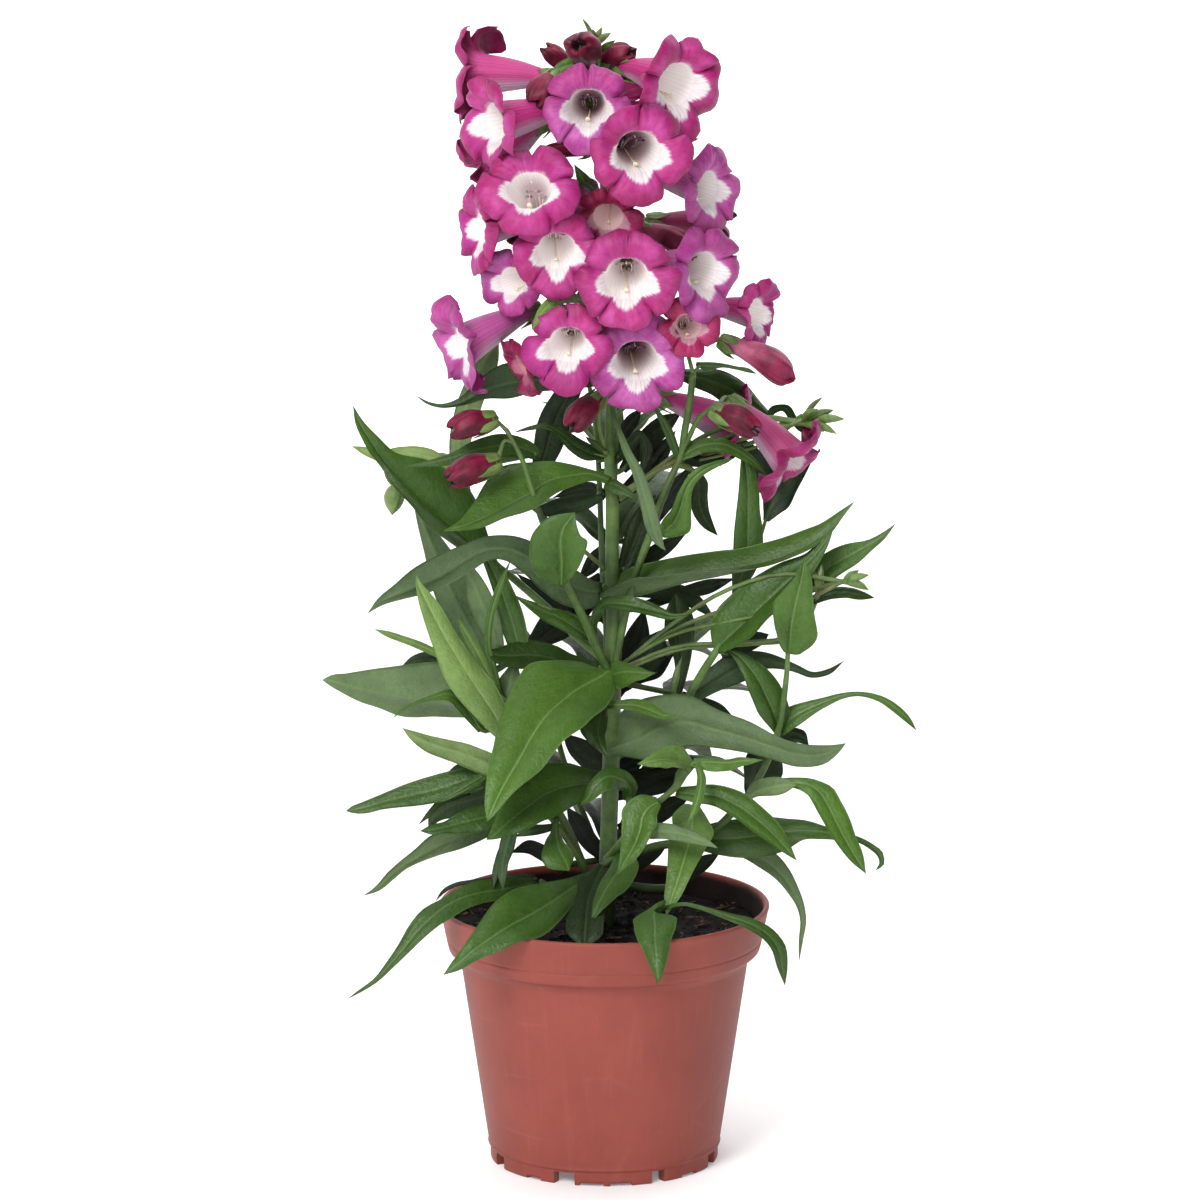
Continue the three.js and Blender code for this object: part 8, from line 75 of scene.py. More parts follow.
  "L04": {"node":"left_back_shoot","side":"U","tint":0.45,"wave":0,"sheen":0,"st":[[-48.0,-7.1,241.0,-46.0,-4.0,242.8,-43.5,-2.8,245.6],[-53.0,-13.6,245.7,-50.6,-5.9,247.2,-45.6,-3.5,252.7],[-58.7,-20.7,251.2,-56.0,-8.0,252.3,-48.1,-4.1,261.3],[-66.2,-27.4,258.8,-63.7,-10.6,259.2,-53.6,-5.4,271.1],[-73.2,-30.1,266.7,-71.3,-12.8,265.9,-60.3,-7.6,277.5],[-80.8,-28.4,274.7,-79.0,-14.7,274.2,-69.2,-10.9,282.4],[-86.3,-22.3,281.7,-84.7,-16.1,281.9,-79.7,-14.4,285.3],[-91.9,-20.4,290.3,-90.3,-17.1,290.7,-87.4,-16.2,292.4],[-95.9,-18.4,297.7,-94.5,-17.7,298.3,-93.1,-17.4,298.9],[-96.8,-18.0,305.0,-96.8,-18.0,305.0,-96.8,-18.0,305.0]]},
  "L05": {"node":"left_back_shoot","side":"D","tint":0.85,"wave":0,"sheen":0,"st":[[-55.8,3.5,274.3,-55.4,4.0,275.3,-54.9,4.5,276.3],[-62.6,2.5,276.5,-62.0,3.4,278.2,-61.3,4.3,279.9],[-68.3,0.5,278.4,-67.8,2.8,280.3,-66.9,4.5,283.4],[-74.0,0.6,278.4,-73.6,2.3,281.6,-73.2,3.9,284.8],[-80.0,0.2,279.2,-80.2,1.7,282.1,-80.3,3.5,284.5],[-87.3,-0.0,279.3,-87.1,1.1,281.4,-87.0,2.4,283.1],[-93.4,-0.2,282.1,-92.9,0.5,283.5,-92.4,1.2,284.9],[-98.3,0.0,285.6,-98.3,0.0,285.6,-98.3,0.0,285.6]],"foot":[-54.4,3.7,275.5,0.84]},
  "L06": {"node":"left_back_shoot","side":"U","tint":0.35,"wave":0,"sheen":0,"st":[[-25.8,-7.1,281.2,-24.9,-6.0,282.7,-24.1,-4.9,284.3],[-30.7,-11.8,283.3,-29.5,-9.5,285.7,-28.3,-7.6,288.7],[-35.1,-15.0,284.1,-34.5,-12.6,287.9,-34.0,-10.2,291.7],[-40.6,-18.6,284.3,-41.0,-16.0,288.5,-41.5,-13.4,292.7],[-46.9,-21.1,284.5,-47.9,-19.0,287.9,-48.9,-16.8,291.3],[-56.8,-23.6,283.0,-57.5,-22.1,285.4,-58.2,-20.1,287.3],[-66.8,-24.6,281.9,-67.1,-23.7,283.3,-67.3,-22.5,284.2],[-76.7,-24.0,282.2,-76.7,-24.0,282.2,-76.7,-24.0,282.2]]},
  "L07": {"node":"left_back_shoot","side":"D","tint":0.6,"wave":0,"sheen":0,"st":[[-54.9,0.3,263.5,-53.0,0.0,264.2,-51.2,-0.3,264.9],[-58.4,1.0,270.4,-55.3,0.4,271.3,-52.7,-0.4,272.1],[-60.0,1.7,278.7,-56.5,0.9,279.1,-53.0,0.2,279.5],[-60.0,3.3,286.9,-56.4,1.4,286.9,-51.8,0.3,286.6],[-58.7,4.3,295.9,-54.9,1.9,295.5,-49.5,0.4,294.5],[-56.2,5.2,304.8,-52.5,2.5,304.0,-47.0,0.8,302.5],[-52.2,5.7,314.0,-49.0,3.0,313.0,-44.1,1.3,311.0],[-47.1,6.0,320.8,-45.1,3.5,320.0,-41.1,2.0,317.8],[-40.8,4.0,326.6,-40.8,4.0,326.6,-40.8,4.0,326.6]]},
  "L13": {"node":"left_front_shoot","side":"U","tint":0.45,"wave":0,"sheen":0,"st":[[-19.0,-27.4,236.5,-16.7,-27.0,236.1,-15.6,-28.5,236.2],[-24.8,-29.9,239.7,-16.3,-28.2,238.7,-13.2,-34.0,239.6],[-27.1,-31.9,242.2,-16.3,-29.5,241.7,-10.9,-36.3,243.1],[-28.2,-33.8,246.0,-16.3,-31.1,246.0,-8.6,-37.8,247.7],[-29.0,-35.4,251.0,-16.7,-32.6,251.0,-7.1,-38.5,252.5],[-27.3,-35.9,258.2,-16.7,-33.9,256.3,-7.1,-38.2,255.9],[-22.0,-35.5,263.9,-15.5,-34.5,260.4,-9.3,-37.4,257.8],[-16.0,-35.2,265.7,-13.2,-34.9,263.6,-10.7,-36.6,262.1],[-11.3,-35.0,266.3,-11.3,-35.0,266.3,-11.3,-35.0,266.3]]},
  "L67": {"node":"centre_shoot","side":"U","tint":0.08,"wave":0,"sheen":0,"st":[[-6.8,4.6,310.4,-7.9,4.0,311.6,-9.3,3.8,313.1],[-9.5,6.3,304.1,-12.6,4.8,306.8,-16.3,4.1,309.8],[-11.3,6.5,297.1,-16.5,5.5,299.9,-21.6,4.4,302.8],[-14.1,7.2,289.5,-20.0,6.0,292.0,-25.8,4.8,294.4],[-17.5,7.4,281.0,-22.7,6.2,282.8,-27.5,4.6,284.6],[-22.1,6.8,273.9,-25.1,6.2,274.9,-28.0,5.5,275.9],[-26.6,6.0,269.4,-26.6,6.0,269.4,-26.6,6.0,269.4]]},
  "L24": {"node":"centre_shoot","side":"U","tint":0.1,"wave":0,"sheen":0,"st":[[5.0,1.7,234.8,6.9,2.0,234.0,8.7,2.3,233.3],[6.3,2.6,243.1,9.6,4.2,241.6,14.0,4.9,239.7],[8.8,4.6,252.4,13.1,6.1,250.3,18.2,6.9,248.1],[13.1,6.4,259.7,16.2,7.3,258.0,19.8,7.8,256.2],[20.1,8.0,265.0,20.1,8.0,265.0,20.1,8.0,265.0]]},
  "L68": {"node":"centre_shoot","side":"U","tint":0.14,"wave":0,"sheen":0,"st":[[5.6,9.5,275.3,6.9,10.0,274.2,8.4,10.2,272.9],[9.9,15.1,282.4,12.4,16.2,280.2,15.4,16.5,277.6],[15.1,19.2,288.8,17.8,20.3,285.8,21.2,20.7,282.3],[21.2,22.1,293.1,23.3,22.7,290.1,25.7,22.9,286.9],[30.4,24.0,294.6,30.4,24.0,294.6,30.4,24.0,294.6]],"foot":[-2.3,9.0,273.7,1.3]},
  "L69": {"node":"centre_shoot","side":"U","tint":0.12,"wave":0,"sheen":0,"st":[[2.9,3.5,279.4,3.7,4.0,278.5,4.9,4.1,277.4],[7.8,7.5,285.6,9.2,8.3,284.0,11.1,8.5,282.0],[13.9,9.9,290.1,13.9,9.9,287.7,13.9,10.0,285.3],[18.5,9.8,284.1,16.2,10.2,283.7,13.9,10.7,283.2],[17.0,9.1,277.3,15.4,9.5,277.5,13.9,9.9,277.7],[14.3,8.0,273.0,14.3,8.0,273.0,14.3,8.0,273.0]]},
  "L70": {"node":"centre_shoot","side":"D","tint":0.1,"wave":0,"sheen":0,"st":[[8.9,2.9,229.0,9.2,2.0,227.3,9.6,1.1,225.5],[15.7,7.3,230.6,15.9,5.3,227.8,16.1,3.6,224.6],[23.1,10.2,229.9,22.5,8.0,226.8,22.0,6.2,223.2],[30.8,12.6,227.7,29.6,10.5,224.7,28.3,8.7,221.3],[37.7,14.2,222.7,36.3,12.4,221.1,34.5,11.0,218.8],[43.8,14.0,213.6,43.8,14.0,213.6,43.8,14.0,213.6]],"foot":[-0.1,8.5,226.4,1.3]},
  "L71": {"node":"centre_shoot","side":"U","tint":0.15,"wave":0,"sheen":0,"st":[[26.5,1.7,184.6,28.0,2.0,184.1,29.6,2.3,183.6],[27.7,1.5,190.9,29.6,2.0,190.5,31.5,2.5,190.1],[27.2,0.4,199.6,30.0,2.0,199.3,33.5,3.0,199.2],[25.3,-1.1,207.5,29.2,2.0,207.3,35.0,3.7,207.6],[23.7,-1.7,214.1,28.4,2.0,213.7,35.4,4.0,214.0],[24.0,-0.7,220.4,28.0,2.0,220.1,33.4,3.5,220.1],[27.6,2.0,227.3,27.6,2.0,227.3,27.6,2.0,227.3]]},
  "L72": {"node":"centre_shoot","side":"D","tint":0.6,"wave":0,"sheen":0,"st":[[26.1,-2.2,186.8,26.8,-2.0,186.6,27.6,-1.8,186.4],[26.0,-3.8,192.1,27.6,-3.4,191.7,28.7,-2.7,191.3],[27.2,-4.5,197.1,28.7,-4.2,196.7,29.5,-3.3,196.3],[30.3,-4.0,203.0,30.3,-4.0,203.0,30.3,-4.0,203.0]]},
  "L22": {"node":"main_stem","side":"D","tint":0.42,"wave":0,"sheen":0,"st":[[3.7,-6.2,303.4,2.9,-6.0,303.2,2.2,-5.8,303.0],[4.5,-9.7,299.3,3.7,-9.6,299.1,3.0,-9.4,298.9],[6.8,-14.2,294.1,5.6,-14.0,293.7,4.7,-13.5,293.2],[10.3,-19.2,287.5,8.7,-18.9,286.7,7.3,-18.4,286.0],[14.7,-23.5,280.7,12.5,-23.1,279.7,10.8,-22.2,278.8],[17.4,-26.4,274.1,14.8,-25.8,273.1,12.5,-25.0,272.3],[19.5,-28.5,267.4,16.8,-27.9,266.5,14.2,-27.0,265.6],[21.3,-30.2,261.1,18.7,-29.2,260.1,15.7,-28.5,259.1],[22.4,-30.2,256.1,20.2,-29.8,255.1,18.1,-29.3,254.1],[22.7,-30.1,253.1,21.8,-29.9,252.4,20.8,-29.8,251.7],[23.7,-30.0,250.1,23.7,-30.0,250.1,23.7,-30.0,250.1]],"foot":[2.2,3.9,302.4,0.7]},
  "L23": {"node":"right_shoot","side":"U","tint":0.35,"wave":0,"sheen":0,"st":[[27.8,-8.4,281.2,28.9,-8.0,281.5,30.0,-7.6,281.8],[25.1,-10.9,287.3,26.9,-10.3,287.9,28.4,-9.3,288.2],[22.8,-12.6,293.3,24.6,-11.9,294.1,26.0,-10.9,294.6],[20.5,-13.2,299.2,21.4,-12.8,299.7,22.4,-12.4,300.2],[17.6,-13.0,306.0,17.6,-13.0,306.0,17.6,-13.0,306.0]]},
  "L19": {"node":"right_shoot","side":"U","tint":0.5,"wave":0,"sheen":0,"st":[[28.6,-7.3,282.7,29.3,-8.0,281.9,30.0,-8.6,281.1],[32.6,-5.9,287.5,33.9,-7.6,285.4,35.2,-9.1,283.3],[38.8,-5.3,289.6,39.3,-7.0,287.3,39.8,-8.6,284.8],[46.0,-3.3,289.3,45.5,-6.2,287.5,45.0,-8.0,284.7],[52.1,-3.0,286.6,51.0,-5.3,285.0,49.7,-6.7,282.8],[57.4,-2.3,282.1,56.4,-4.0,281.2,55.2,-5.0,279.8],[62.7,-2.0,274.9,62.7,-2.0,274.9,62.7,-2.0,274.9]]},
  "L19b": {"node":"right_shoot","side":"D","tint":0.05,"wave":0,"sheen":0,"st":[[30.3,-3.3,281.0,30.5,-4.0,280.0,30.6,-4.7,279.0],[35.4,1.3,281.7,35.6,-0.8,280.2,35.8,-2.4,277.7],[40.9,4.6,281.5,41.0,2.0,280.1,41.2,0.2,277.2],[46.4,6.2,281.2,46.5,4.3,280.0,46.8,3.0,277.9],[51.6,6.0,280.5,51.6,6.0,280.5,51.6,6.0,280.5]],"foot":[28.7,-8.2,281.3,0.86]},
  "L20": {"node":"right_shoot","side":"U","tint":0.6,"wave":0,"sheen":0,"st":[[20.8,-11.1,254.1,21.9,-10.0,252.7,23.3,-9.9,251.3],[21.8,-14.0,256.8,23.5,-11.1,254.5,26.2,-10.8,251.7],[23.6,-19.3,261.3,26.6,-12.9,258.0,32.6,-12.2,253.7],[26.3,-18.2,265.8,29.2,-14.7,263.9,33.6,-14.1,262.1],[28.6,-17.8,270.9,30.7,-15.7,269.6,33.6,-15.3,268.4],[31.5,-17.3,275.8,33.0,-16.0,274.4,34.9,-15.8,273.0],[36.0,-16.9,279.8,36.9,-15.8,278.3,38.0,-15.7,276.7],[42.2,-15.6,282.5,42.7,-14.6,281.2,43.3,-14.6,279.8],[50.5,-12.0,283.1,50.5,-12.0,283.1,50.5,-12.0,283.1]]},
  "L21": {"node":"right_shoot","side":"U","tint":0.1,"wave":0,"sheen":0,"st":[[35.7,-3.4,277.6,34.0,-4.0,276.8,32.2,-4.6,276.1],[39.8,0.4,272.1,36.4,-0.6,271.5,33.3,-1.9,271.0],[40.3,4.0,263.9,36.8,3.1,263.6,33.3,2.2,263.3],[41.0,6.3,258.6,38.0,5.4,257.6,35.1,4.5,256.7],[42.4,7.7,253.6,40.8,7.0,252.5,39.2,6.3,251.5],[44.4,8.0,248.4,44.4,8.0,248.4,44.4,8.0,248.4]],"foot":[28.1,-8.3,279.9,1.3]},
  "L14": {"node":"leaf_pair_right_mid","side":"U","tint":0.42,"wave":0,"sheen":0,"st":[[42.0,-15.3,209.3,43.3,-16.0,208.0,44.4,-17.3,207.2],[41.1,-13.5,216.4,46.4,-16.5,211.3,48.7,-22.8,210.1],[43.3,-12.8,222.6,50.6,-17.0,215.4,53.9,-25.9,213.5],[50.4,-13.2,230.7,58.3,-17.7,223.1,61.9,-27.2,221.1],[59.2,-14.1,237.3,66.0,-18.0,230.6,69.6,-26.0,228.3],[68.9,-15.1,242.7,73.7,-17.9,238.1,76.8,-23.0,235.8],[78.0,-15.6,246.5,80.3,-17.4,244.7,82.8,-18.8,242.7],[83.4,-16.1,251.5,84.9,-16.8,250.5,86.5,-17.5,249.6],[88.8,-16.0,256.7,88.8,-16.0,256.7,88.8,-16.0,256.7]]},
  "L77": {"node":"leaf_pair_right_mid","side":"D","tint":0.08,"wave":0,"sheen":0,"st":[[45.4,-11.5,205.8,45.7,-12.0,204.8,46.1,-12.5,203.8],[50.8,-5.6,207.6,51.7,-6.7,205.6,52.6,-7.7,203.6],[55.3,-1.6,210.1,56.8,-3.0,207.6,58.1,-4.7,205.5],[59.9,0.3,211.8,61.1,-0.9,209.5,62.2,-2.5,207.8],[64.3,0.0,210.9,64.3,0.0,210.9,64.3,0.0,210.9]]},
  "L17": {"node":"right_mid_shoot","side":"U","tint":0.42,"wave":0,"sheen":0,"st":[[49.7,-2.3,220.4,51.3,-2.0,220.1,52.9,-1.7,219.9],[49.7,-1.9,229.3,52.1,-1.5,228.8,54.0,-0.7,228.3],[49.8,-2.3,237.9,54.0,-1.0,236.7,58.6,-0.3,235.4],[50.1,-2.6,245.6,55.5,-0.5,244.5,61.7,0.6,243.5],[50.4,-1.8,252.8,55.9,-0.1,252.3,61.7,1.1,252.0],[51.2,-0.6,260.4,55.9,0.4,260.2,60.5,1.4,260.0],[52.3,-0.9,268.2,55.8,0.9,268.0,60.1,1.8,268.1],[52.7,-0.1,275.8,55.0,1.3,275.8,58.1,2.0,276.1],[53.1,0.9,281.6,54.2,1.7,281.7,55.8,2.0,281.9],[53.0,2.0,287.2,53.0,2.0,287.2,53.0,2.0,287.2]]},
  "L41": {"node":"right_mid_shoot","side":"D","tint":0.24,"wave":0,"sheen":0,"st":[[32.5,-4.9,186.9,33.4,-6.0,185.9,34.6,-6.8,184.5],[36.9,-3.2,193.7,39.3,-5.1,190.5,41.2,-7.5,188.1],[42.9,-1.4,199.2,45.9,-4.2,194.3,48.2,-8.0,191.0],[51.2,-0.3,203.7,53.7,-3.1,198.4,55.9,-6.6,194.1],[61.2,0.0,204.1,61.5,-2.2,201.0,61.9,-4.0,197.5],[69.2,-0.2,201.7,68.6,-1.3,199.6,68.0,-2.4,197.6],[75.0,0.1,198.8,74.5,-0.6,197.5,73.9,-1.3,196.1],[81.3,0.8,195.6,81.2,0.3,194.5,81.0,-0.3,193.4],[87.0,1.6,196.5,87.4,1.0,195.5,87.9,0.5,194.6],[94.1,2.0,200.1,94.1,2.0,200.1,94.1,2.0,200.1]]},
  "L74": {"node":"right_mid_shoot","side":"U","tint":0.05,"wave":0,"sheen":0,"st":[[30.7,-1.5,188.4,30.3,-2.0,187.4,30.0,-2.5,186.4],[38.0,2.9,185.4,37.4,1.8,184.1,36.8,1.0,182.4],[45.4,6.3,181.7,44.5,5.0,180.6,43.4,4.1,178.7],[52.5,8.0,173.9,52.5,8.0,173.9,52.5,8.0,173.9]]},
  "L16": {"node":"right_outer_shoot","side":"U","tint":0.52,"wave":0,"sheen":0,"st":[[69.9,-24.3,208.8,71.1,-22.0,208.1,75.7,-22.9,207.7],[67.9,-26.9,212.4,71.4,-23.1,211.2,79.5,-24.6,210.6],[66.3,-29.3,217.5,71.8,-24.7,215.9,82.1,-26.6,214.9],[65.1,-29.5,223.4,72.4,-26.4,221.4,81.9,-28.3,220.0],[65.2,-28.8,229.2,73.5,-27.8,227.2,81.0,-30.3,226.1],[68.9,-29.5,234.3,74.6,-28.9,232.9,80.2,-30.0,231.9],[72.7,-31.1,239.5,75.7,-29.6,238.6,79.9,-30.4,237.9],[74.9,-30.8,243.4,76.5,-29.9,243.0,78.7,-30.3,242.7],[76.8,-30.0,246.9,76.8,-30.0,246.9,76.8,-30.0,246.9]]},
  "L15": {"node":"right_outer_shoot","side":"U","tint":0.48,"wave":0,"sheen":0,"st":[[72.0,-7.4,224.4,73.3,-8.0,223.8,74.7,-8.7,223.2],[73.4,-6.0,231.2,76.0,-7.5,229.3,78.4,-9.7,227.7],[79.7,-4.2,239.3,83.0,-6.8,235.5,85.8,-10.5,232.5],[87.1,-3.5,244.6,90.0,-6.2,240.5,92.4,-9.9,237.2],[94.9,-3.4,247.7,97.0,-5.5,244.3,99.0,-7.8,241.0],[102.2,-3.5,249.2,103.2,-5.0,247.8,104.4,-6.2,246.0],[107.9,-4.0,252.1,108.6,-4.5,251.2,109.3,-5.1,250.4],[113.3,-4.0,255.9,113.3,-4.0,255.9,113.3,-4.0,255.9]]},
  "L42": {"node":"leaf_pair_right_outer","side":"U","tint":0.4,"wave":0,"sheen":0,"st":[[66.6,-13.2,173.7,68.4,-12.0,174.1,70.7,-11.3,174.7],[61.6,-17.7,180.9,66.0,-14.2,181.8,71.9,-12.2,183.5],[58.2,-19.4,187.4,63.2,-15.5,188.8,69.6,-13.2,191.3],[55.3,-19.0,194.1,59.7,-16.1,196.1,64.7,-14.1,198.7],[53.1,-17.1,199.6,55.8,-15.8,201.6,58.5,-14.5,203.6],[50.7,-15.9,204.1,51.9,-15.1,205.5,53.1,-14.4,206.9],[47.2,-14.0,208.0,47.2,-14.0,208.0,47.2,-14.0,208.0]]},
  "L43": {"node":"leaf_pair_right_outer","side":"U","tint":0.52,"wave":0,"sheen":0,"st":[[67.0,-11.0,175.5,68.4,-12.0,174.5,69.9,-13.0,173.4],[70.4,-10.0,183.0,73.1,-12.2,180.1,75.5,-14.9,177.6],[78.0,-10.8,186.2,79.3,-12.5,183.8,80.6,-14.1,181.3],[85.2,-11.6,188.2,85.9,-12.7,186.6,86.5,-14.0,185.2],[92.2,-12.3,190.1,92.5,-12.9,189.0,92.7,-13.6,188.0],[99.5,-12.6,190.8,99.5,-13.1,189.9,99.4,-13.7,189.0],[106.9,-12.6,189.3,106.5,-13.4,188.3,106.0,-14.0,187.3],[114.0,-12.8,185.5,113.1,-13.6,184.4,112.2,-14.4,183.3],[119.1,-13.2,180.4,118.2,-13.8,179.7,117.3,-14.4,179.0],[121.7,-14.0,175.3,121.7,-14.0,175.3,121.7,-14.0,175.3]]},
  "L78": {"node":"right_outer_shoot","side":"U","tint":0.06,"wave":0,"sheen":0,"st":[[66.1,-1.3,171.2,66.4,-2.0,169.8,66.7,-2.7,168.4],[72.9,6.5,172.2,72.8,5.0,169.3,72.8,3.5,166.5],[79.2,8.8,169.4,78.0,7.7,167.5,76.8,6.7,165.7],[80.4,8.0,164.2,80.4,8.0,164.2,80.4,8.0,164.2]],"foot":[65.4,-13.5,168.1,1.12]},
  "L82": {"node":"right_outer_shoot","side":"U","tint":0.1,"wave":0,"sheen":0,"st":[[55.6,1.4,145.1,56.8,2.0,144.7,58.3,2.3,144.2],[54.6,0.7,152.3,58.4,2.9,150.5,64.0,3.9,148.3],[55.1,0.5,160.1,61.1,4.1,157.1,70.0,5.5,153.4],[58.4,3.1,164.9,63.1,5.1,163.3,68.8,6.1,161.5],[64.2,6.0,169.1,64.2,6.0,169.1,64.2,6.0,169.1]]},
  "L83": {"node":"right_outer_shoot","side":"U","tint":0.25,"wave":0,"sheen":0,"st":[[80.2,-17.4,228.4,80.8,-18.0,227.5,81.3,-18.6,226.6],[86.1,-14.0,231.7,86.6,-15.6,230.2,87.3,-16.9,228.2],[93.4,-12.1,232.2,93.3,-13.8,230.6,93.2,-15.2,228.5],[100.3,-11.1,230.4,99.9,-12.6,229.1,99.5,-13.7,227.4],[105.0,-12.0,227.8,105.0,-12.0,227.8,105.0,-12.0,227.8]]},
  "L40": {"node":"low_front_shoot","side":"U","tint":0.75,"wave":0,"sheen":0,"st":[[33.3,-35.9,164.6,33.9,-34.0,166.0,34.5,-33.0,168.1],[27.9,-46.3,168.2,28.4,-39.7,169.0,29.6,-37.0,174.5],[22.1,-49.4,169.3,22.2,-44.7,170.9,22.2,-42.7,175.2],[17.1,-49.2,169.2,16.8,-48.1,170.9,16.5,-47.2,172.7],[12.5,-50.0,170.6,12.5,-50.0,170.6,12.5,-50.0,170.6]]},
  "L53": {"node":"low_front_shoot","side":"U","tint":0.6,"wave":0,"sheen":0,"st":[[36.2,-34.2,167.9,35.4,-34.0,167.6,34.7,-33.8,167.3],[39.2,-40.9,163.1,37.3,-40.5,162.8,35.8,-39.6,162.5],[38.3,-46.6,157.1,36.4,-46.0,157.4,34.6,-45.4,157.7],[35.9,-50.8,152.0,34.5,-50.3,152.5,33.4,-49.4,152.7],[31.4,-54.0,147.0,31.4,-54.0,147.0,31.4,-54.0,147.0]]},
  "L54": {"node":"low_front_shoot","side":"U","tint":0.65,"wave":1.0,"sheen":0,"st":[[34.6,-33.1,168.6,34.7,-34.0,167.2,34.7,-34.9,165.8],[40.9,-31.0,168.9,40.8,-34.0,167.6,40.8,-36.0,164.5],[46.6,-31.0,168.5,46.6,-34.0,167.2,46.7,-36.0,164.1],[53.2,-32.4,168.8,53.2,-34.0,168.0,53.3,-35.1,166.3],[61.7,-34.0,168.4,61.7,-34.0,168.4,61.7,-34.0,168.4]],"foot":[33.1,-34.0,166.4,1.17]},
  "L52": {"node":"leaf_pair_front_shoot","side":"U","tint":0.5,"wave":0,"sheen":0,"st":[[28.0,-28.0,156.2,27.8,-29.0,154.5,27.5,-30.1,152.8],[34.2,-29.4,157.0,34.0,-31.0,154.2,33.7,-32.7,151.4],[42.7,-30.9,158.0,41.7,-33.1,154.3,40.8,-35.9,151.1],[53.1,-32.5,155.5,50.5,-35.2,151.2,48.3,-38.9,147.9],[61.4,-34.3,149.5,58.3,-36.7,146.0,55.4,-39.8,143.0],[67.9,-35.6,142.9,64.9,-37.6,140.2,62.4,-40.5,138.4],[71.7,-36.9,136.1,69.9,-38.0,134.8,68.2,-39.1,133.5],[74.6,-38.0,129.2,74.6,-38.0,129.2,74.6,-38.0,129.2]]},
  "L49": {"node":"leaf_pair_front_shoot","side":"U","tint":0.55,"wave":0,"sheen":0,"st":[[21.9,-35.7,150.7,21.1,-34.5,151.8,20.0,-33.7,153.7],[20.3,-39.2,148.1,17.6,-36.1,150.2,13.4,-34.2,154.4],[20.2,-41.9,145.3,14.9,-38.1,146.7,7.1,-36.1,149.7],[19.0,-43.5,142.3,14.1,-40.1,142.9,6.7,-38.5,144.6],[15.7,-45.9,137.0,12.2,-43.1,138.0,6.6,-41.6,140.3],[11.1,-48.3,131.6,8.7,-47.1,132.7,6.0,-46.3,134.1],[4.9,-52.0,127.1,4.9,-52.0,127.1,4.9,-52.0,127.1]]},
  "L48": {"node":"low_front_shoot","side":"U","tint":0.42,"wave":0,"sheen":0,"st":[[7.3,-6.3,146.2,9.3,-6.0,145.8,11.2,-5.7,145.4],[6.7,-13.4,151.1,10.0,-12.4,152.1,12.9,-11.0,152.9],[4.1,-19.8,153.1,6.1,-18.0,157.1,7.7,-15.4,160.1],[2.0,-24.1,154.3,0.6,-22.0,158.8,-0.3,-19.0,161.6],[-0.7,-25.7,153.5,-3.6,-24.3,155.8,-5.7,-22.2,157.1],[-4.8,-25.5,150.1,-6.4,-24.9,151.1,-7.6,-23.9,151.8],[-9.5,-24.0,147.7,-9.5,-24.0,147.7,-9.5,-24.0,147.7]]},
  "L60": {"node":"leaves_over_rim_front","side":"U","tint":0.48,"wave":0,"sheen":0,"st":[[7.6,-6.7,128.0,5.4,-6.0,127.2,3.1,-5.3,126.5],[13.4,-19.3,122.9,6.9,-16.7,123.5,3.4,-11.6,122.8],[8.7,-30.6,116.3,3.0,-27.6,119.0,-0.4,-22.4,119.7],[4.0,-35.9,113.6,-0.1,-33.8,115.3,-2.9,-30.4,116.0],[-0.7,-39.9,109.9,-2.9,-38.9,110.6,-4.6,-37.4,111.1],[-5.2,-42.0,105.4,-5.2,-42.0,105.4,-5.2,-42.0,105.4]]},
  "L51": {"node":"leaf_front_right","side":"U","tint":0.72,"wave":0,"sheen":0,"st":[[37.4,-9.7,144.0,35.1,-8.0,143.9,31.2,-7.3,144.1],[40.0,-16.8,141.5,34.6,-13.7,141.2,26.8,-12.4,141.6],[42.6,-21.6,137.0,34.1,-20.0,137.9,26.5,-17.6,138.5],[39.6,-29.6,132.5,32.9,-26.9,133.6,25.0,-25.2,135.2],[36.1,-35.8,127.4,30.9,-33.4,128.4,24.6,-32.0,130.0],[32.2,-40.8,121.1,28.5,-39.1,121.9,24.1,-38.1,123.1],[28.0,-43.7,114.3,25.8,-42.7,114.8,23.2,-42.1,115.6],[23.8,-44.0,108.8,23.8,-44.0,108.8,23.8,-44.0,108.8]]},
  "L50": {"node":"low_front_shoot","side":"D","tint":0.55,"wave":0,"sheen":0,"st":[[13.4,-34.1,141.0,13.8,-34.0,139.0,14.2,-33.9,137.0],[19.4,-39.7,144.7,19.6,-39.5,141.5,19.8,-39.3,138.3],[26.5,-44.4,145.5,26.1,-44.2,142.3,25.7,-44.0,139.1],[33.7,-48.4,144.0,33.0,-47.7,141.6,32.2,-47.6,138.8],[39.4,-49.6,141.1,38.8,-49.5,139.6,38.2,-49.4,138.1],[43.8,-50.0,137.3,43.8,-50.0,137.3,43.8,-50.0,137.3]]},
  "L55": {"node":"leaf_pair_right_low_1","side":"U","tint":0.62,"wave":0,"sheen":0,"st":[[60.2,-17.5,153.7,60.6,-18.0,152.7,61.0,-18.5,151.7],[67.3,-19.6,157.4,67.5,-20.3,156.0,67.8,-21.1,154.6],[75.5,-21.0,158.2,75.3,-22.5,156.5,75.0,-23.6,154.4],[81.9,-21.2,157.6,80.7,-23.9,155.7,79.0,-25.7,152.5],[88.2,-22.9,155.4,84.2,-24.9,152.7,80.7,-27.8,150.7],[92.1,-24.2,149.6,87.3,-26.2,147.5,83.1,-29.1,145.9],[95.6,-25.6,142.7,90.8,-27.6,140.6,86.9,-30.7,139.3],[98.0,-27.0,135.8,94.3,-28.7,134.1,91.1,-31.1,132.9],[100.5,-28.2,129.6,97.8,-29.4,128.2,95.7,-31.3,127.5],[101.7,-30.0,122.0,101.7,-30.0,122.0,101.7,-30.0,122.0]]},
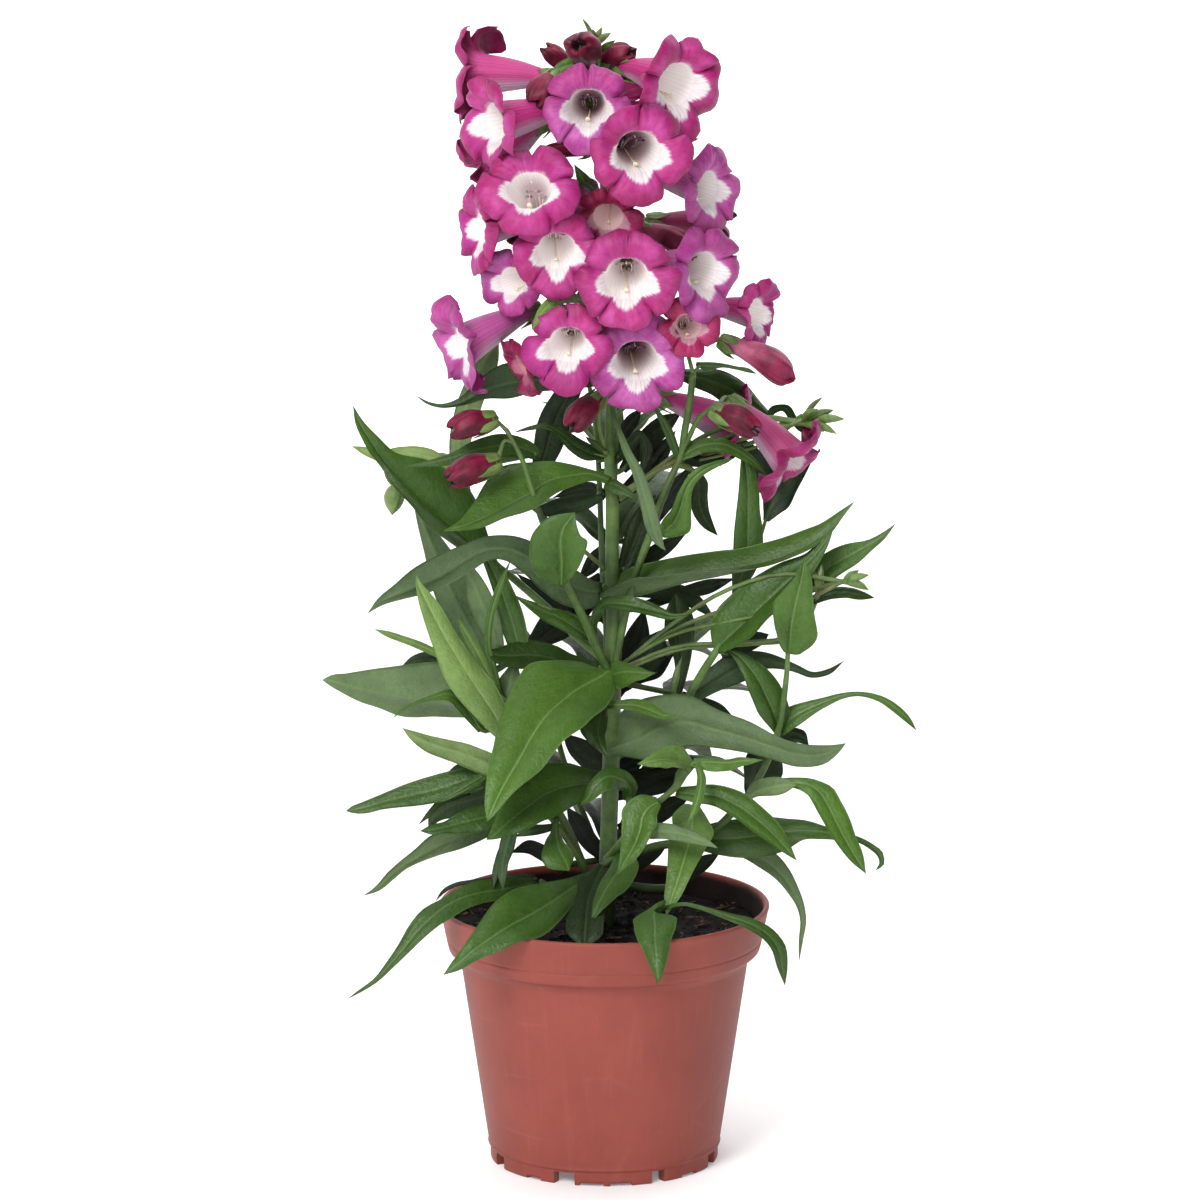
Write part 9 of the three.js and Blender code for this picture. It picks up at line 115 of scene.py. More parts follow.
  "L55b": {"node":"leaf_pair_right_low_1","side":"D","tint":0.6,"wave":0,"sheen":0,"st":[[54.8,-17.7,150.1,55.2,-18.0,149.5,55.6,-18.3,148.9],[57.7,-19.7,155.6,59.0,-21.1,152.6,59.7,-23.1,151.2],[63.3,-22.1,158.7,64.4,-23.9,154.9,65.1,-26.3,152.3],[69.5,-24.0,158.9,69.7,-25.5,156.5,70.1,-26.9,153.6],[74.8,-26.0,156.6,74.8,-26.0,156.6,74.8,-26.0,156.6]]},
  "L56": {"node":"leaf_pair_right_low_2","side":"U","tint":0.42,"wave":0,"sheen":0.6,"st":[[29.7,-4.4,132.1,29.6,-6.0,130.5,29.6,-7.0,128.3],[35.3,-4.8,134.2,35.1,-6.7,130.7,35.0,-8.5,127.0],[42.2,-4.6,136.2,42.2,-7.5,130.5,42.1,-11.2,125.7],[51.8,-4.2,137.7,52.3,-8.6,131.1,52.9,-12.0,123.9],[60.9,-3.4,138.2,61.7,-9.3,132.5,62.7,-13.1,124.7],[70.3,-4.8,138.2,70.7,-9.9,133.8,71.3,-13.0,127.4],[78.5,-8.1,138.3,78.5,-10.2,134.3,78.4,-13.1,131.8],[85.5,-9.1,136.4,85.1,-10.4,134.0,84.8,-11.6,131.5],[91.7,-9.1,134.0,91.4,-10.5,132.8,91.0,-11.3,131.0],[98.8,-9.9,132.2,98.4,-10.5,131.2,98.1,-11.0,130.2],[104.6,-9.9,129.2,104.0,-10.4,128.3,103.3,-10.9,127.5],[109.1,-9.8,125.3,107.9,-10.3,124.7,106.9,-11.0,124.2],[109.5,-9.9,120.6,108.3,-10.2,121.0,107.6,-10.8,121.4],[106.0,-10.0,118.2,106.0,-10.0,118.2,106.0,-10.0,118.2]]},
  "L57": {"node":"leaf_pair_right_low_2","side":"D","tint":0.5,"wave":0,"sheen":0,"st":[[34.6,-4.1,130.0,34.4,-4.0,128.4,34.2,-3.9,126.7],[45.8,-1.8,128.6,45.4,-1.6,126.2,45.1,-1.5,123.7],[56.2,-0.1,127.3,55.3,0.1,124.1,54.4,0.3,121.0],[65.7,0.8,124.0,63.2,1.2,119.8,61.3,2.8,116.3],[72.5,1.6,116.5,69.9,2.1,113.9,67.7,2.9,111.5],[76.3,2.1,108.6,74.3,2.5,107.3,72.3,2.9,106.0],[78.6,2.4,101.8,77.1,2.7,101.2,75.6,3.0,100.6],[79.6,2.4,95.2,78.3,2.7,95.0,77.1,3.1,94.9],[78.4,2.3,86.9,77.6,2.5,87.0,76.7,2.8,87.0],[76.8,2.0,77.7,76.8,2.0,77.7,76.8,2.0,77.7]]},
  "L44": {"node":"leaf_pair_base_left_1","side":"U","tint":0.42,"wave":0,"sheen":0,"st":[[-38.7,-13.3,154.0,-38.4,-12.0,156.1,-38.1,-10.7,158.1],[-44.4,-14.4,153.8,-44.6,-12.4,156.9,-44.8,-10.4,160.1],[-53.2,-15.6,151.4,-54.4,-13.0,155.5,-55.5,-10.4,159.5],[-62.6,-16.7,147.8,-64.1,-13.6,152.4,-65.7,-10.6,157.1],[-70.7,-17.4,146.7,-71.9,-14.1,150.5,-73.2,-11.3,154.9],[-78.8,-17.8,145.9,-79.7,-14.6,148.7,-80.8,-12.3,152.4],[-86.8,-17.3,144.6,-87.5,-15.1,146.8,-88.3,-13.4,149.5],[-94.0,-16.9,142.9,-94.5,-15.6,144.9,-95.1,-14.1,146.7],[-98.6,-16.5,143.1,-98.8,-15.9,144.1,-99.0,-15.2,145.2],[-100.8,-16.0,143.8,-100.8,-16.0,143.8,-100.8,-16.0,143.8]]},
  "L45": {"node":"leaf_pair_base_left_2","side":"U","tint":0.36,"wave":0,"sheen":0,"st":[[-36.4,-13.7,140.9,-36.9,-12.0,142.4,-37.4,-10.7,144.4],[-40.8,-16.4,138.7,-41.5,-13.8,141.6,-42.4,-11.6,145.0],[-46.6,-19.5,136.7,-47.7,-16.0,141.0,-48.9,-12.9,145.7],[-53.3,-20.4,136.1,-54.3,-18.0,139.9,-55.4,-15.6,143.6],[-61.5,-21.6,136.0,-62.1,-20.0,138.3,-62.6,-18.1,140.2],[-67.6,-22.3,135.9,-67.9,-21.3,137.4,-68.2,-20.3,139.0],[-71.8,-22.0,137.2,-71.8,-22.0,137.2,-71.8,-22.0,137.2]]},
  "L46": {"node":"leaf_pair_base_left_2","side":"D","tint":0.45,"wave":0,"sheen":0,"st":[[-36.2,-3.3,132.6,-36.2,-4.0,134.8,-36.2,-4.0,137.7],[-42.0,-3.8,131.6,-42.5,-4.9,135.0,-43.1,-5.0,139.5],[-48.4,-5.0,129.2,-49.5,-5.9,133.3,-50.8,-6.0,137.9],[-56.9,-6.9,126.1,-58.5,-7.0,130.7,-60.0,-7.6,135.0],[-64.8,-6.7,123.8,-66.3,-7.9,127.3,-68.4,-8.1,131.7],[-71.9,-7.7,121.1,-73.0,-8.5,123.4,-74.5,-8.7,126.3],[-78.2,-9.0,118.2,-79.3,-9.1,119.9,-80.4,-9.2,121.6],[-82.7,-9.3,114.5,-84.0,-9.4,116.0,-85.2,-9.8,117.4],[-88.0,-9.7,110.2,-88.7,-9.8,111.2,-89.4,-9.9,112.2],[-94.6,-10.0,108.1,-94.6,-10.0,108.1,-94.6,-10.0,108.1]]},
  "L46b": {"node":"base_left_shoot","side":"D","tint":0.32,"wave":0,"sheen":0,"st":[[-36.2,-4.0,144.9,-36.2,-4.0,146.9,-36.2,-4.0,148.9],[-43.7,-2.3,142.5,-44.0,-3.2,146.7,-44.4,-3.3,151.5],[-52.1,-2.0,139.4,-53.4,-2.2,144.9,-54.6,-3.1,149.8],[-60.1,-1.0,137.4,-62.1,-1.2,141.4,-63.9,-1.8,145.1],[-65.0,-0.3,135.6,-66.8,-0.6,137.2,-68.7,-0.8,138.8],[-69.2,0.0,132.2,-69.2,0.0,132.2,-69.2,0.0,132.2]],"foot":[-33.3,-7.8,151.2,1.3]},
  "L44c": {"node":"base_left_shoot","side":"U","tint":0.4,"wave":0,"sheen":0,"st":[[-40.0,-17.4,161.1,-40.6,-16.0,161.8,-41.4,-15.3,163.0],[-44.5,-20.3,158.7,-45.3,-18.6,159.6,-46.3,-17.8,161.1],[-50.6,-23.1,155.3,-51.5,-21.4,156.3,-52.5,-20.5,157.8],[-57.5,-23.9,151.8,-58.1,-23.2,152.7,-58.6,-22.7,153.6],[-62.5,-24.3,149.8,-62.7,-23.8,150.5,-63.0,-23.5,151.1],[-67.0,-24.0,149.7,-67.0,-24.0,149.7,-67.0,-24.0,149.7]]},
  "L44b": {"node":"leaf_pair_base_left_1","side":"D","tint":0.26,"wave":0,"sheen":0,"st":[[-38.9,-1.6,148.8,-38.5,-2.0,150.5,-38.1,-2.0,152.4],[-45.7,1.4,148.2,-44.8,0.5,151.5,-43.8,0.4,155.4],[-52.9,3.6,149.7,-51.9,2.2,153.1,-50.5,2.0,157.7],[-57.5,3.2,152.4,-57.4,2.5,155.0,-57.3,2.4,158.3],[-62.9,2.0,153.5,-62.9,2.0,153.5,-62.9,2.0,153.5]]},
  "L45c": {"node":"base_left_shoot","side":"U","tint":0.28,"wave":0,"sheen":0,"st":[[-52.3,-6.5,148.0,-52.6,-6.0,149.0,-52.9,-5.5,150.0],[-59.0,-8.1,146.0,-59.6,-7.4,147.3,-60.1,-6.8,148.7],[-63.5,-8.5,144.1,-64.3,-8.0,145.1,-65.1,-7.5,146.1],[-67.4,-8.7,140.3,-68.2,-8.2,141.1,-69.0,-7.8,141.8],[-72.9,-8.0,136.2,-72.9,-8.0,136.2,-72.9,-8.0,136.2]],"foot":[-39.9,-7.7,157.9,0.81]},
  "L64": {"node":"base_left_shoot","side":"D","tint":0.25,"wave":0,"sheen":0,"st":[[-33.4,-20.6,138.2,-34.8,-20.0,138.7,-36.2,-19.4,139.3],[-34.2,-23.8,134.6,-36.7,-22.9,135.4,-39.3,-21.9,136.3],[-35.2,-26.9,130.8,-38.3,-25.9,131.4,-40.9,-24.5,131.8],[-37.1,-29.6,126.4,-39.4,-28.9,126.5,-41.3,-27.9,126.5],[-38.0,-32.0,121.7,-39.8,-31.6,121.6,-41.3,-30.9,121.4],[-39.4,-34.0,116.2,-39.4,-34.0,116.2,-39.4,-34.0,116.2]],"foot":[-26.3,-9.7,145.2,1.13]},
  "L65": {"node":"base_left_shoot","side":"D","tint":0.22,"wave":0,"sheen":0,"st":[[-38.8,-18.6,130.1,-39.5,-18.0,130.2,-40.7,-17.6,130.5],[-39.9,-22.3,126.2,-41.1,-21.7,126.3,-42.4,-21.2,126.6],[-41.0,-26.0,121.2,-42.2,-25.2,121.2,-43.7,-24.8,121.4],[-43.3,-28.0,115.5,-43.3,-28.0,115.5,-43.3,-28.0,115.5]],"foot":[-23.8,-10.5,142.8,0.76]},
  "L66": {"node":"base_left_shoot","side":"U","tint":0.5,"wave":0,"sheen":0,"st":[[-18.1,-11.8,140.8,-18.9,-12.0,140.8,-19.7,-12.2,140.9],[-17.3,-19.0,136.9,-18.8,-19.8,137.1,-20.8,-20.4,137.1],[-15.8,-22.2,133.4,-18.4,-25.0,133.6,-23.4,-26.6,133.0],[-13.7,-23.8,130.8,-17.2,-28.4,130.4,-24.4,-31.1,128.0],[-11.8,-27.0,128.1,-15.3,-30.7,127.4,-21.2,-33.1,125.0],[-13.7,-32.0,123.7,-13.7,-32.0,123.7,-13.7,-32.0,123.7]]},
  "L79": {"node":"base_left_shoot","side":"D","tint":0.3,"wave":0,"sheen":0,"st":[[-18.6,-12.5,135.7,-18.9,-12.0,136.8,-19.2,-11.5,137.8],[-22.9,-18.1,135.5,-23.2,-16.9,136.8,-23.5,-16.0,138.5],[-28.5,-21.8,135.2,-29.0,-20.9,137.0,-29.5,-20.0,138.7],[-35.2,-22.0,134.8,-35.2,-22.0,134.8,-35.2,-22.0,134.8]]},
  "L62": {"node":"leaves_over_rim_front","side":"U","tint":0.45,"wave":0,"sheen":0.5,"st":[[-1.7,-12.6,117.0,-2.5,-12.0,118.3,-3.3,-11.3,119.5],[-5.2,-19.3,115.6,-6.4,-18.4,117.5,-7.6,-17.4,119.3],[-10.2,-30.1,112.7,-12.6,-28.0,115.9,-15.2,-26.0,119.4],[-16.3,-43.0,107.7,-20.3,-38.7,113.0,-24.9,-35.1,119.5],[-24.1,-54.3,103.5,-28.7,-48.1,110.2,-34.5,-43.1,119.3],[-33.4,-61.7,102.5,-37.2,-55.3,107.3,-42.7,-50.8,115.7],[-41.5,-64.1,99.5,-44.8,-60.5,103.5,-48.7,-57.6,108.7],[-49.3,-65.1,96.4,-51.7,-63.8,99.2,-54.1,-62.2,101.9],[-56.0,-66.3,92.9,-57.4,-65.5,94.5,-58.7,-64.1,95.6],[-62.1,-66.0,91.0,-62.1,-66.0,91.0,-62.1,-66.0,91.0]]},
  "L61": {"node":"leaves_over_rim_front","side":"U","tint":0.15,"wave":0,"sheen":0,"st":[[1.2,-12.5,119.8,-0.9,-12.0,120.7,-3.1,-11.5,121.5],[1.1,-25.1,114.7,-4.0,-23.0,116.2,-9.9,-21.6,118.1],[0.1,-34.9,110.2,-6.4,-32.7,111.1,-13.6,-31.4,112.3],[-0.2,-43.0,105.4,-7.1,-40.9,105.6,-14.9,-39.7,106.0],[-1.7,-47.9,101.3,-7.5,-46.1,101.3,-14.1,-45.1,101.6],[-7.9,-50.0,97.6,-7.9,-50.0,97.6,-7.9,-50.0,97.6]]},
  "L63": {"node":"leaves_over_rim_left","side":"U","tint":0.4,"wave":0,"sheen":0,"st":[[-25.6,-15.3,113.5,-26.0,-14.0,114.7,-26.4,-12.9,116.4],[-32.3,-21.8,112.3,-32.9,-19.4,114.5,-33.7,-17.5,117.5],[-40.0,-27.4,111.0,-40.7,-24.9,114.3,-41.4,-22.5,118.0],[-47.5,-32.4,110.7,-48.4,-29.6,114.3,-49.4,-27.0,118.3],[-53.6,-35.9,109.4,-55.3,-33.5,113.3,-56.9,-30.5,116.6],[-58.7,-39.2,107.1,-61.5,-36.8,110.9,-63.4,-32.8,112.9],[-64.0,-42.1,104.6,-66.8,-39.5,107.2,-70.0,-37.1,110.2],[-69.6,-44.6,100.5,-72.2,-42.0,102.3,-75.4,-39.9,104.7],[-75.7,-45.6,94.7,-77.6,-44.2,96.0,-79.8,-42.9,97.4],[-81.9,-46.6,88.8,-83.1,-45.6,89.6,-84.4,-44.7,90.5],[-87.8,-46.8,83.1,-88.5,-46.3,83.8,-89.1,-45.6,84.2],[-94.4,-46.7,78.9,-94.7,-46.4,79.4,-95.1,-46.0,79.8],[-100.2,-46.0,75.7,-100.2,-46.0,75.7,-100.2,-46.0,75.7]]},
  "L63b": {"node":"leaves_over_rim_left","side":"U","tint":0.04,"wave":0,"sheen":0,"st":[[-26.8,-12.8,114.8,-26.8,-12.0,115.8,-26.7,-11.2,116.9],[-33.0,-8.2,114.1,-33.1,-7.4,115.1,-33.1,-6.6,116.1],[-42.9,-2.6,112.1,-43.0,-2.0,112.9,-43.1,-1.4,113.7],[-52.7,0.8,110.1,-52.9,1.3,110.8,-53.0,1.9,111.6],[-58.5,1.7,108.7,-58.8,2.3,109.4,-59.1,2.8,110.1],[-62.6,2.0,106.4,-63.1,2.4,106.9,-63.7,2.9,107.4],[-66.7,2.0,102.6,-66.7,2.0,102.6,-66.7,2.0,102.6]]},
  "L59": {"node":"leaves_over_rim_right","side":"U","tint":0.42,"wave":0,"sheen":0,"st":[[18.1,-43.7,107.7,20.0,-44.0,108.0,21.9,-43.6,108.1],[16.3,-49.7,109.7,19.5,-49.8,113.1,22.5,-47.9,115.7],[26.5,-52.7,111.0,19.1,-54.0,111.3,12.6,-51.7,110.8],[27.6,-57.7,108.7,19.5,-59.2,108.7,11.4,-57.9,108.0],[26.0,-62.5,105.1,19.4,-64.3,105.3,12.5,-63.2,104.7],[24.8,-68.1,101.1,19.8,-69.0,101.0,15.2,-67.7,100.3],[23.2,-71.9,95.7,20.2,-72.5,95.6,17.9,-71.2,95.0],[22.1,-73.3,92.2,20.5,-73.6,92.3,19.4,-72.9,92.1],[20.1,-74.0,89.2,20.1,-74.0,89.2,20.1,-74.0,89.2]]},
  "L58": {"node":"leaves_over_rim_right","side":"U","tint":0.35,"wave":0,"sheen":0,"st":[[22.9,-43.6,112.6,23.1,-44.0,112.0,23.2,-44.4,111.3],[30.0,-45.8,114.8,30.0,-46.2,114.1,30.0,-46.6,113.4],[39.1,-47.8,113.5,38.9,-48.3,112.7,38.6,-48.8,111.9],[49.0,-48.8,111.1,48.5,-49.7,109.8,48.0,-50.5,108.5],[58.1,-48.7,108.7,57.0,-50.0,106.7,56.1,-51.8,105.2],[65.2,-48.3,104.5,63.2,-49.8,102.7,61.5,-51.7,101.3],[70.0,-47.7,97.9,67.1,-49.1,96.9,64.8,-51.1,96.4],[71.0,-47.0,90.0,68.7,-47.9,89.8,66.8,-49.3,89.8],[70.0,-46.0,81.3,70.0,-46.0,81.3,70.0,-46.0,81.3]]},
  "L18": {"node":"right_mid_shoot","side":"D","tint":0.08,"wave":0,"sheen":0,"st":[[61.9,6.3,255.0,63.0,6.0,254.7,64.1,5.7,254.4],[61.8,9.1,260.5,64.6,6.9,259.7,68.8,5.4,258.1],[62.2,9.7,265.6,66.5,7.3,262.8,71.2,5.3,259.7],[67.6,9.6,271.3,71.2,8.0,268.6,74.8,6.3,266.0],[73.2,9.5,276.6,75.8,8.2,274.5,78.2,6.7,272.8],[78.2,8.7,279.4,79.3,8.2,278.5,80.5,7.6,277.5],[82.0,8.0,281.7,82.0,8.0,281.7,82.0,8.0,281.7]]},
  "L18b": {"node":"right_shoot","side":"D","tint":0.08,"wave":0,"sheen":0,"st":[[53.1,8.6,287.5,52.0,8.0,286.4,50.9,7.4,285.4],[59.2,12.9,282.8,56.8,11.0,281.1,53.7,9.7,278.9],[65.0,15.9,274.9,61.5,13.9,273.5,57.4,12.4,271.5],[68.4,16.7,266.5,64.8,15.5,265.2,61.1,14.3,263.9],[67.9,16.0,257.9,67.9,16.0,257.9,67.9,16.0,257.9]]},
  "L19c": {"node":"right_shoot","side":"U","tint":0.4,"wave":0,"sheen":0,"st":[[35.4,-13.0,320.9,35.3,-13.0,320.1,35.1,-13.0,319.3],[40.0,-14.4,321.1,39.9,-14.0,319.5,39.7,-14.0,317.5],[44.6,-14.8,320.8,44.5,-14.7,319.6,44.4,-14.4,318.8],[50.4,-15.2,319.7,50.3,-15.2,318.9,50.2,-15.0,318.3],[56.2,-15.2,318.5,56.0,-15.2,317.7,55.8,-15.2,317.0],[58.7,-15.0,316.5,58.7,-15.0,316.5,58.7,-15.0,316.5]]},
  "L84": {"node":"right_shoot","side":"U","tint":0.12,"wave":0,"sheen":0,"st":[[61.8,2.9,295.8,62.4,3.0,295.3,62.9,3.1,294.7],[65.5,5.6,300.5,66.3,5.7,299.1,67.1,5.8,297.7],[71.0,7.1,300.6,70.2,7.2,299.2,69.4,7.2,297.9],[75.0,8.6,295.2,73.8,8.8,294.2,72.6,8.9,293.2],[78.0,9.6,291.1,77.3,9.7,290.1,76.7,9.7,289.1],[81.2,10.0,288.9,81.2,10.0,288.9,81.2,10.0,288.9]]},
  "BR1": {"node":"raceme_tip","side":"U","tint":0.55,"wave":0,"sheen":0,"st":[[-5.8,-3.3,432.7,-5.5,-3.0,433.4,-5.2,-2.7,434.1],[-10.4,-6.8,433.1,-10.1,-5.7,435.7,-9.9,-4.5,438.2],[-12.9,-8.4,432.0,-13.9,-7.1,434.7,-15.0,-5.8,437.4],[-16.9,-8.7,431.7,-17.8,-7.9,433.3,-18.7,-7.1,434.9],[-21.2,-8.0,431.0,-21.2,-8.0,431.0,-21.2,-8.0,431.0]],"foot":[-5.1,0.5,434.0,0.7]},
  "BR2": {"node":"raceme_tip","side":"U","tint":0.5,"wave":0,"sheen":0,"st":[[-5.0,-0.1,436.6,-4.4,0.0,436.1,-3.8,0.1,435.6],[-2.1,-7.3,441.7,-1.3,-7.2,440.9,-0.5,-7.1,440.0],[0.7,-9.0,444.0,1.4,-9.0,443.0,2.0,-8.9,442.0],[4.4,-8.0,444.8,4.4,-8.0,444.8,4.4,-8.0,444.8]],"foot":[-5.3,0.2,436.0,0.7]},
  "BR3": {"node":"raceme_tip","side":"U","tint":0.4,"wave":0,"sheen":0,"st":[[-0.6,-0.3,382.9,-0.2,0.0,383.5,0.3,0.3,384.1],[-6.0,-16.8,387.5,-4.8,-16.0,388.9,-3.5,-15.3,390.3],[-10.4,-26.1,392.9,-8.6,-25.3,394.1,-6.7,-24.5,395.4],[-11.6,-28.0,399.9,-11.6,-28.0,399.9,-11.6,-28.0,399.9]],"foot":[-0.3,4.6,383.7,0.7]},
  "BR4": {"node":"main_stem","side":"U","tint":0.85,"wave":0,"sheen":0,"st":[[2.1,-0.3,335.3,2.6,0.0,335.9,3.0,0.3,336.5],[-6.1,-17.0,343.1,-5.5,-16.5,344.1,-5.0,-16.1,345.0],[-12.6,-27.8,346.3,-12.4,-27.0,348.1,-12.2,-26.2,349.9],[-17.5,-35.5,346.6,-18.5,-34.5,348.6,-19.4,-33.6,350.5],[-21.6,-42.0,344.1,-23.4,-41.2,345.4,-24.9,-40.1,346.5],[-27.9,-48.0,338.9,-27.9,-48.0,338.9,-27.9,-48.0,338.9]],"foot":[2.7,5.0,335.9,0.7]},
  "C01": {"node":"back_shoot","side":"U","tint":0.0,"wave":0,"sheen":0,"st":[[2.1,20.2,226.8,-0.1,20.0,229.1,-2.4,19.8,231.5],[-4.6,24.5,215.1,-8.8,23.5,219.6,-13.2,23.0,224.2],[-14.9,28.2,203.2,-19.0,26.9,208.4,-23.7,26.4,214.0],[-33.3,30.0,196.4,-33.3,30.0,196.4,-33.3,30.0,196.4]],"foot":[2.5,13.9,229.0,1.3]},
  "C02": {"node":"back_shoot","side":"U","tint":0.0,"wave":0,"sheen":0,"st":[[1.0,19.0,184.1,3.8,18.0,182.9,6.7,17.0,181.8],[5.4,25.4,197.0,10.1,23.1,195.5,15.6,21.3,193.7],[9.1,27.5,206.3,13.3,25.9,205.4,17.8,24.6,204.3],[16.0,28.0,215.4,16.0,28.0,215.4,16.0,28.0,215.4]],"foot":[2.2,14.0,182.9,1.3]},
  "C03": {"node":"back_shoot","side":"U","tint":0.0,"wave":0,"sheen":0,"st":[[3.0,17.1,187.1,4.6,16.0,185.0,6.2,14.9,182.9],[10.8,21.9,192.5,12.5,20.5,189.6,14.1,19.0,186.7],[18.6,24.9,194.6,20.4,23.5,191.8,22.1,22.1,189.0],[27.5,26.0,197.3,27.5,26.0,197.3,27.5,26.0,197.3]],"foot":[2.2,14.0,185.0,1.3]},
  "C04": {"node":"back_shoot","side":"U","tint":0.0,"wave":0,"sheen":0,"st":[[-1.2,16.2,149.7,0.7,16.0,151.8,2.5,15.8,154.0],[-8.8,21.3,152.6,-5.6,20.5,156.5,-2.3,20.2,160.5],[-13.8,23.9,157.5,-11.2,23.6,160.6,-8.6,23.4,163.7],[-16.7,26.0,165.3,-16.7,26.0,165.3,-16.7,26.0,165.3]],"foot":[2.1,13.3,151.9,1.3]},
  "C05": {"node":"back_shoot","side":"U","tint":0.0,"wave":0,"sheen":0,"st":[[2.7,17.5,146.8,3.8,16.0,143.7,5.0,14.5,140.6],[12.5,23.9,151.0,14.1,21.1,146.2,15.8,18.6,140.9],[23.2,27.3,152.8,25.2,25.0,148.1,27.2,22.7,143.3],[39.1,28.0,154.7,39.1,28.0,154.7,39.1,28.0,154.7]],"foot":[2.0,13.1,143.8,1.3]},
  "C06": {"node":"back_shoot","side":"U","tint":0.0,"wave":0,"sheen":0,"st":[[4.8,13.3,131.1,6.2,12.0,128.5,7.6,10.7,125.9],[15.3,20.1,136.2,17.3,18.3,132.6,19.3,16.6,129.1],[25.1,24.3,139.7,26.8,22.9,136.8,28.5,21.4,133.9],[34.7,26.0,140.5,34.7,26.0,140.5,34.7,26.0,140.5]],"foot":[2.0,12.8,128.5,1.3]},
  "C07": {"node":"back_shoot","side":"U","tint":0.0,"wave":0,"sheen":0,"st":[[-1.0,10.2,116.6,0.7,10.0,118.4,2.3,9.8,120.2],[-8.4,14.7,121.4,-5.7,14.3,123.8,-2.9,14.0,126.2],[-13.4,18.0,128.2,-10.4,17.6,130.4,-7.4,17.2,132.5],[-15.1,20.0,137.1,-15.1,20.0,137.1,-15.1,20.0,137.1]]},
  "C08": {"node":"back_shoot","side":"U","tint":0.0,"wave":0,"sheen":0,"st":[[2.1,13.0,114.2,3.0,12.0,112.2,4.0,11.0,110.2],[12.5,19.0,118.6,14.1,17.6,115.7,15.7,16.1,112.8],[18.3,21.3,121.6,20.1,20.1,119.2,21.8,18.8,116.8],[26.0,22.0,122.8,26.0,22.0,122.8,26.0,22.0,122.8]],"foot":[1.9,12.6,112.2,1.3]},
  "C09": {"node":"back_shoot","side":"U","tint":0.0,"wave":0,"sheen":0,"st":[[7.6,14.9,247.1,9.3,14.0,245.6,10.9,13.1,244.0],[17.5,20.3,256.9,19.8,18.7,255.0,22.4,17.4,252.8],[23.7,22.7,265.1,26.5,21.5,263.2,29.3,20.2,261.3],[34.4,24.0,273.9,34.4,24.0,273.9,34.4,24.0,273.9]],"foot":[2.6,13.7,245.6,1.3]},
  "C10": {"node":"back_shoot","side":"U","tint":0.0,"wave":0,"sheen":0,"st":[[3.2,14.7,262.8,4.6,14.0,261.5,5.9,13.3,260.2],[11.4,19.7,271.6,13.9,18.4,269.4,16.5,17.1,267.2],[19.0,23.0,280.3,21.8,21.7,278.3,24.6,20.5,276.4],[28.1,24.0,287.5,28.1,24.0,287.5,28.1,24.0,287.5]],"foot":[2.6,13.5,261.5,1.3]},
  "C11": {"node":"back_shoot","side":"U","tint":0.0,"wave":0,"sheen":0,"st":[[-16.4,8.1,111.6,-15.1,8.0,113.2,-13.8,7.9,114.8],[-25.2,15.2,116.0,-23.4,15.1,118.8,-21.7,14.9,121.5],[-30.3,18.2,118.0,-30.2,18.2,120.9,-30.1,18.1,123.7],[-37.3,20.0,118.0,-37.3,20.0,118.0,-37.3,20.0,118.0]]},
  "C12": {"node":"back_shoot","side":"U","tint":0.0,"wave":0,"sheen":0,"st":[[27.1,10.8,109.2,28.3,10.0,107.8,29.5,9.2,106.4],[34.4,17.0,115.2,36.3,15.7,112.9,38.2,14.5,110.6],[39.8,19.1,117.4,41.0,18.2,115.6,42.3,17.2,113.7],[45.8,20.0,118.0,45.8,20.0,118.0,45.8,20.0,118.0]],"foot":[1.9,12.6,107.8,1.3]},
  "C13": {"node":"back_shoot","side":"U","tint":0.0,"wave":0,"sheen":0,"st":[[-0.2,12.1,261.7,0.6,12.0,263.5,1.5,11.9,265.3],[-6.0,16.0,263.5,-5.6,16.0,265.9,-5.3,15.9,268.3],[-12.2,19.3,262.1,-12.7,19.2,264.1,-13.2,19.2,266.0],[-20.5,22.0,260.7,-20.5,22.0,260.7,-20.5,22.0,260.7]]},
  "C15": {"node":"back_shoot","side":"U","tint":0.0,"wave":0,"sheen":0,"st":[[2.4,12.2,241.1,0.6,12.0,242.8,-1.1,11.8,244.4],[-1.2,17.1,234.9,-3.7,16.8,237.0,-6.1,16.5,239.1],[-5.0,20.1,230.4,-6.8,19.9,232.0,-8.6,19.6,233.6],[-10.3,22.0,227.9,-10.3,22.0,227.9,-10.3,22.0,227.9]]},
  "C16": {"node":"back_shoot","side":"U","tint":0.0,"wave":0,"sheen":0,"st":[[-13.6,24.1,212.5,-12.7,24.0,213.8,-11.9,23.9,215.2],[-22.9,25.7,217.9,-21.8,25.6,219.5,-20.6,25.5,221.2],[-29.7,26.9,222.9,-28.5,26.8,224.5,-27.3,26.7,226.1],[-34.8,28.0,229.5,-34.8,28.0,229.5,-34.8,28.0,229.5]],"foot":[2.4,14.0,213.7,1.12]},
  "C18": {"node":"back_shoot","side":"U","tint":0.0,"wave":0,"sheen":0,"st":[[0.1,12.9,152.5,1.5,12.0,150.8,2.8,11.1,149.0],[5.1,17.8,155.9,6.6,16.5,153.3,8.1,15.2,150.8],[10.5,20.9,157.3,11.7,19.6,154.6,13.0,18.3,152.0],[16.9,22.0,156.5,16.9,22.0,156.5,16.9,22.0,156.5]]},
  "C19": {"node":"back_shoot","side":"U","tint":0.0,"wave":0,"sheen":0,"st":[[13.3,16.8,219.7,14.0,16.0,217.9,14.7,15.2,216.2],[29.8,22.4,224.9,30.5,21.4,222.8,31.2,20.4,220.7],[40.8,25.2,227.6,41.6,24.1,225.1,42.3,22.9,222.6],[51.8,26.0,227.9,51.8,26.0,227.9,51.8,26.0,227.9]],"foot":[2.4,14.0,218.0,1.3]},
